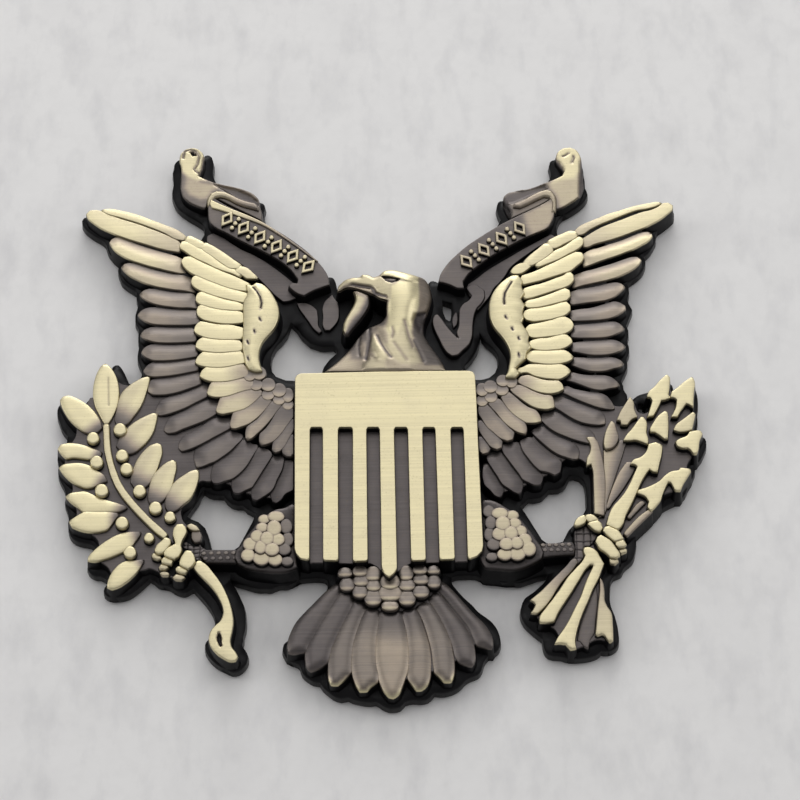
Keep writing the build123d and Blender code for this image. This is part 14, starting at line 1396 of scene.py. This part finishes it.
# ---------------------------------------------------------------- turned parts on the back
def lathe(name, node, body, mat, rows, n=64, centre=(0.0, 0.0), cap=(True, True), rfun=None):
    """rows: (radius, y) from one end to the other, in mm, about the axis x, z = centre. rfun(radius, y, angle) may change the radius."""
    co, tri = [], []
    for k, (r, y) in enumerate(rows):
        for i in range(n):
            a = 2 * math.pi * i / n
            rr = rfun(r, y, a) if rfun else r
            co.append((centre[0] + rr * math.sin(a), y, centre[1] + rr * math.cos(a)))
    for k in range(len(rows) - 1):
        for i in range(n):
            j = (i + 1) % n
            tri += [(k * n + i, (k + 1) * n + i, (k + 1) * n + j), (k * n + i, (k + 1) * n + j, k * n + j)]
    m = len(rows)
    if cap[0]:
        co.append((centre[0], rows[0][1], centre[1]))
        c = len(co) - 1
        tri += [(c, i, (i + 1) % n) for i in range(n)]
    if cap[1]:
        co.append((centre[0], rows[-1][1], centre[1]))
        c = len(co) - 1
        tri += [(c, (m - 1) * n + (i + 1) % n, (m - 1) * n + i) for i in range(n)]
    if not cap[0] and not cap[1]:
        for i in range(n):
            j = (i + 1) % n
            tri += [((m - 1) * n + i, i, j), ((m - 1) * n + i, j, (m - 1) * n + j)]
    me = bpy.data.meshes.new(name)
    me.from_pydata([tuple(v * MM for v in c) for c in co], [], tri)
    me.update()
    bm = bmesh.new()
    bm.from_mesh(me)
    bmesh.ops.recalc_face_normals(bm, faces=bm.faces)
    bm.to_mesh(me)
    bm.free()
    me.shade_smooth()
    me.set_sharp_from_angle(angle=math.radians(35))
    me.materials.append(mat)
    ob = bpy.data.objects.new(name, me)
    bpy.context.scene.collection.objects.link(ob)
    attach(ob, body)
    if node:
        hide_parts(node)
    return ob


PITCH = 0.5


def thread(r, y, a):
    if y < 2.3 or y > 8.35 or r < 1.3:
        return r
    f = (y / PITCH - a / (2 * math.pi)) % 1.0
    t = abs(f - 0.5) * 2
    grow = min(1.0, (y - 2.3) / 0.4, (8.35 - y) / 0.3)
    return r - 0.27 * min(1.0, max(0.0, 1.15 * t - 0.08)) * grow


rows = [(0.9, -2.0), (3.3, -2.0), (3.45, -1.95), (3.5, -1.85), (3.5, -1.3), (3.4, -1.2), (1.95, -1.2), (1.95, -0.2), (1.95, 0.0),
        (1.75, 0.0), (1.75, 1.85), (1.7, 1.95), (1.6, 2.0), (1.5, 2.0), (1.42, 2.05), (1.42, 2.2)]
y = 2.3
while y <= 8.2:
    rows.append((1.5, round(y, 4)))
    y += 0.0625
rows += [(1.45, 8.32), (1.3, 8.42), (1.15, 8.5)]
lathe("threaded_post", "screw_post", "badge", BRIGHT, rows, 48, rfun=thread)

prow = [(0.8, -1.2), (0.8, -0.05), (0.8, 0.0), (0.6, 0.0), (0.6, 2.55), (0.56, 2.75), (0.45, 2.9), (0.25, 2.97), (0.1, 3.0)]
pins = []
for sx in (-11.0, 11.0):
    pins.append(lathe(f"pin_{'left' if sx < 0 else 'right'}", "locating_pins", "badge", BRIGHT, prow, 32, (sx, -1.0)))

wrow = [(1.9, 3.08), (1.98, 3.0), (4.4, 3.0), (4.47, 3.03), (4.5, 3.1), (4.5, 3.7), (4.46, 3.77), (4.38, 3.8), (1.98, 3.8), (1.9, 3.72)]
lathe("washer_ring", "flat_washer", "washer", ZINC, wrow, 96, cap=(False, False))


def knurl(r, y, a):
    if r < 4.2:
        return r
    f = (a / (2 * math.pi) * 24) % 1.0
    t = abs(f - 0.5) * 2
    edge = min(1.0, max(0.0, (y - 4.5) / 0.25), max(0.0, (6.75 - y) / 0.25))
    return r - 0.28 * math.exp(-((t / 0.28) ** 2)) * edge


nrow = [(1.56, 4.0), (1.75, 3.8), (3.1, 3.8), (3.18, 3.84), (3.2, 3.92), (3.2, 4.36), (3.26, 4.4), (4.35, 4.4), (4.52, 4.48), (4.6, 4.62),
        (4.6, 4.9), (4.6, 5.3), (4.6, 5.7), (4.6, 6.1), (4.6, 6.5), (4.55, 6.64), (4.42, 6.76), (4.3, 6.8), (3.5, 6.8), (3.4, 6.74),
        (2.5, 6.70), (2.35, 6.74), (1.8, 6.8), (1.56, 6.6)]
lathe("knurled_nut", "thumb_nut", "nut", BRIGHT, nrow, 192, cap=(False, False), rfun=knurl)

# ---------------------------------------------------------------- stage, light, camera
def board_mat():
    m, nt = node_mat("pale_board")
    tc = N(nt, "ShaderNodeTexCoord")
    co = tc.outputs["Object"]
    big = noise(nt, co, 110.0, 4.0, 0.6)
    small = noise(nt, co, 700.0, 3.0, 0.6)
    streak = noise(nt, co, 330.0, 4.0, 0.6, (1.0, 1.0, 0.45))
    c = mix_col(nt, ranged(nt, big, 0.45, 0.75, 0.0, 0.16), (0.80, 0.79, 0.775, 1.0), (0.52, 0.51, 0.515, 1.0))
    c = mix_col(nt, ranged(nt, streak, 0.48, 0.72, 0.0, 0.30), c, (0.50, 0.495, 0.505, 1.0))
    c = mix_col(nt, ranged(nt, small, 0.45, 0.75, 0.0, 0.10), c, (0.55, 0.54, 0.53, 1.0))
    d = N(nt, "ShaderNodeBsdfDiffuse")
    nt.links.new(c, d.inputs["Color"])
    t = N(nt, "ShaderNodeBsdfTransparent")
    g = N(nt, "ShaderNodeNewGeometry")
    mx = N(nt, "ShaderNodeMixShader")
    nt.links.new(g.outputs["Backfacing"], mx.inputs[0])
    nt.links.new(d.outputs[0], mx.inputs[1])
    nt.links.new(t.outputs[0], mx.inputs[2])
    out = N(nt, "ShaderNodeOutputMaterial")
    nt.links.new(mx.outputs[0], out.inputs["Surface"])
    return m


bm = bmesh.new()
S_ = 0.35
n = 8
grid = [[bm.verts.new((-S_ + 2 * S_ * i / n, 0.0002, -S_ + 2 * S_ * j / n)) for i in range(n + 1)] for j in range(n + 1)]
for j in range(n):
    for i in range(n):
        bm.faces.new((grid[j][i], grid[j][i + 1], grid[j + 1][i + 1], grid[j + 1][i]))
me = bpy.data.meshes.new("board")
bm.to_mesh(me)
bm.free()
me.materials.append(board_mat())
board = bpy.data.objects.new("board", me)
bpy.context.scene.collection.objects.link(board)
# the board is only a backdrop, so the lights behind it still reach the back of the badge
board.visible_shadow = False

TH, ROLL = math.radians(29.0), math.radians(1.15)
L = Vector((1.29 * MM, 0.0, 6.6 * MM))
fwd = Vector((0.0, math.cos(TH), math.sin(TH)))
right = Vector((1.0, 0.0, 0.0))
up = Vector((0.0, -math.sin(TH), math.cos(TH)))
loc = L - fwd * 0.259117
c, s = math.cos(ROLL), math.sin(ROLL)
rx = right * c - up * s
uy = right * s + up * c
cam = bpy.data.objects.new("camera", bpy.data.cameras.new("camera"))
cam.matrix_world = Matrix(((rx.x, uy.x, -fwd.x, loc.x), (rx.y, uy.y, -fwd.y, loc.y), (rx.z, uy.z, -fwd.z, loc.z), (0, 0, 0, 1)))
cam.data.sensor_width = 36.0
cam.data.lens = 121.5
cam.data.clip_start = 0.01
cam.data.clip_end = 5.0
bpy.context.scene.collection.objects.link(cam)
bpy.context.scene.camera = cam


def area(name, place, target, size, power, colour=(1, 1, 1), size_y=None):
    ld = bpy.data.lights.new(name, "AREA")
    ld.energy = power
    ld.color = colour
    ld.shape = "RECTANGLE" if size_y else "SQUARE"
    ld.size = size
    if size_y:
        ld.size_y = size_y
    ob = bpy.data.objects.new(name, ld)
    ob.location = place
    d = (Vector(target) - Vector(place)).normalized()
    ob.rotation_euler = d.to_track_quat("-Z", "Y").to_euler()
    bpy.context.scene.collection.objects.link(ob)
    return ob


def for_radiance(rad, w, h=None):
    return rad * math.pi * w * (h or w)


mir = Vector((0.0, -math.cos(TH), math.sin(TH)))
area("softbox", L + mir * 0.55, L, 0.62, for_radiance(0.92, 0.62))
area("top_fill", L + Vector((0.0, -0.25, 0.75)), L, 0.5, for_radiance(3.2, 0.5))
area("left_fill", L + Vector((-0.7, -0.45, 0.15)), L, 0.4, for_radiance(2.0, 0.4))
area("right_fill", L + Vector((0.7, -0.45, 0.15)), L, 0.4, for_radiance(1.9, 0.4))
area("back_fill", L + Vector((0.25, 0.6, 0.35)), L, 0.45, for_radiance(3.0, 0.45))
w = bpy.data.worlds.new("studio")
w.use_nodes = True
bg = w.node_tree.nodes["Background"]
bg.inputs["Color"].default_value = (0.80, 0.80, 0.82, 1.0)
bg.inputs["Strength"].default_value = 0.45
bpy.context.scene.world = w
bpy.context.scene.view_settings.view_transform = "Standard"
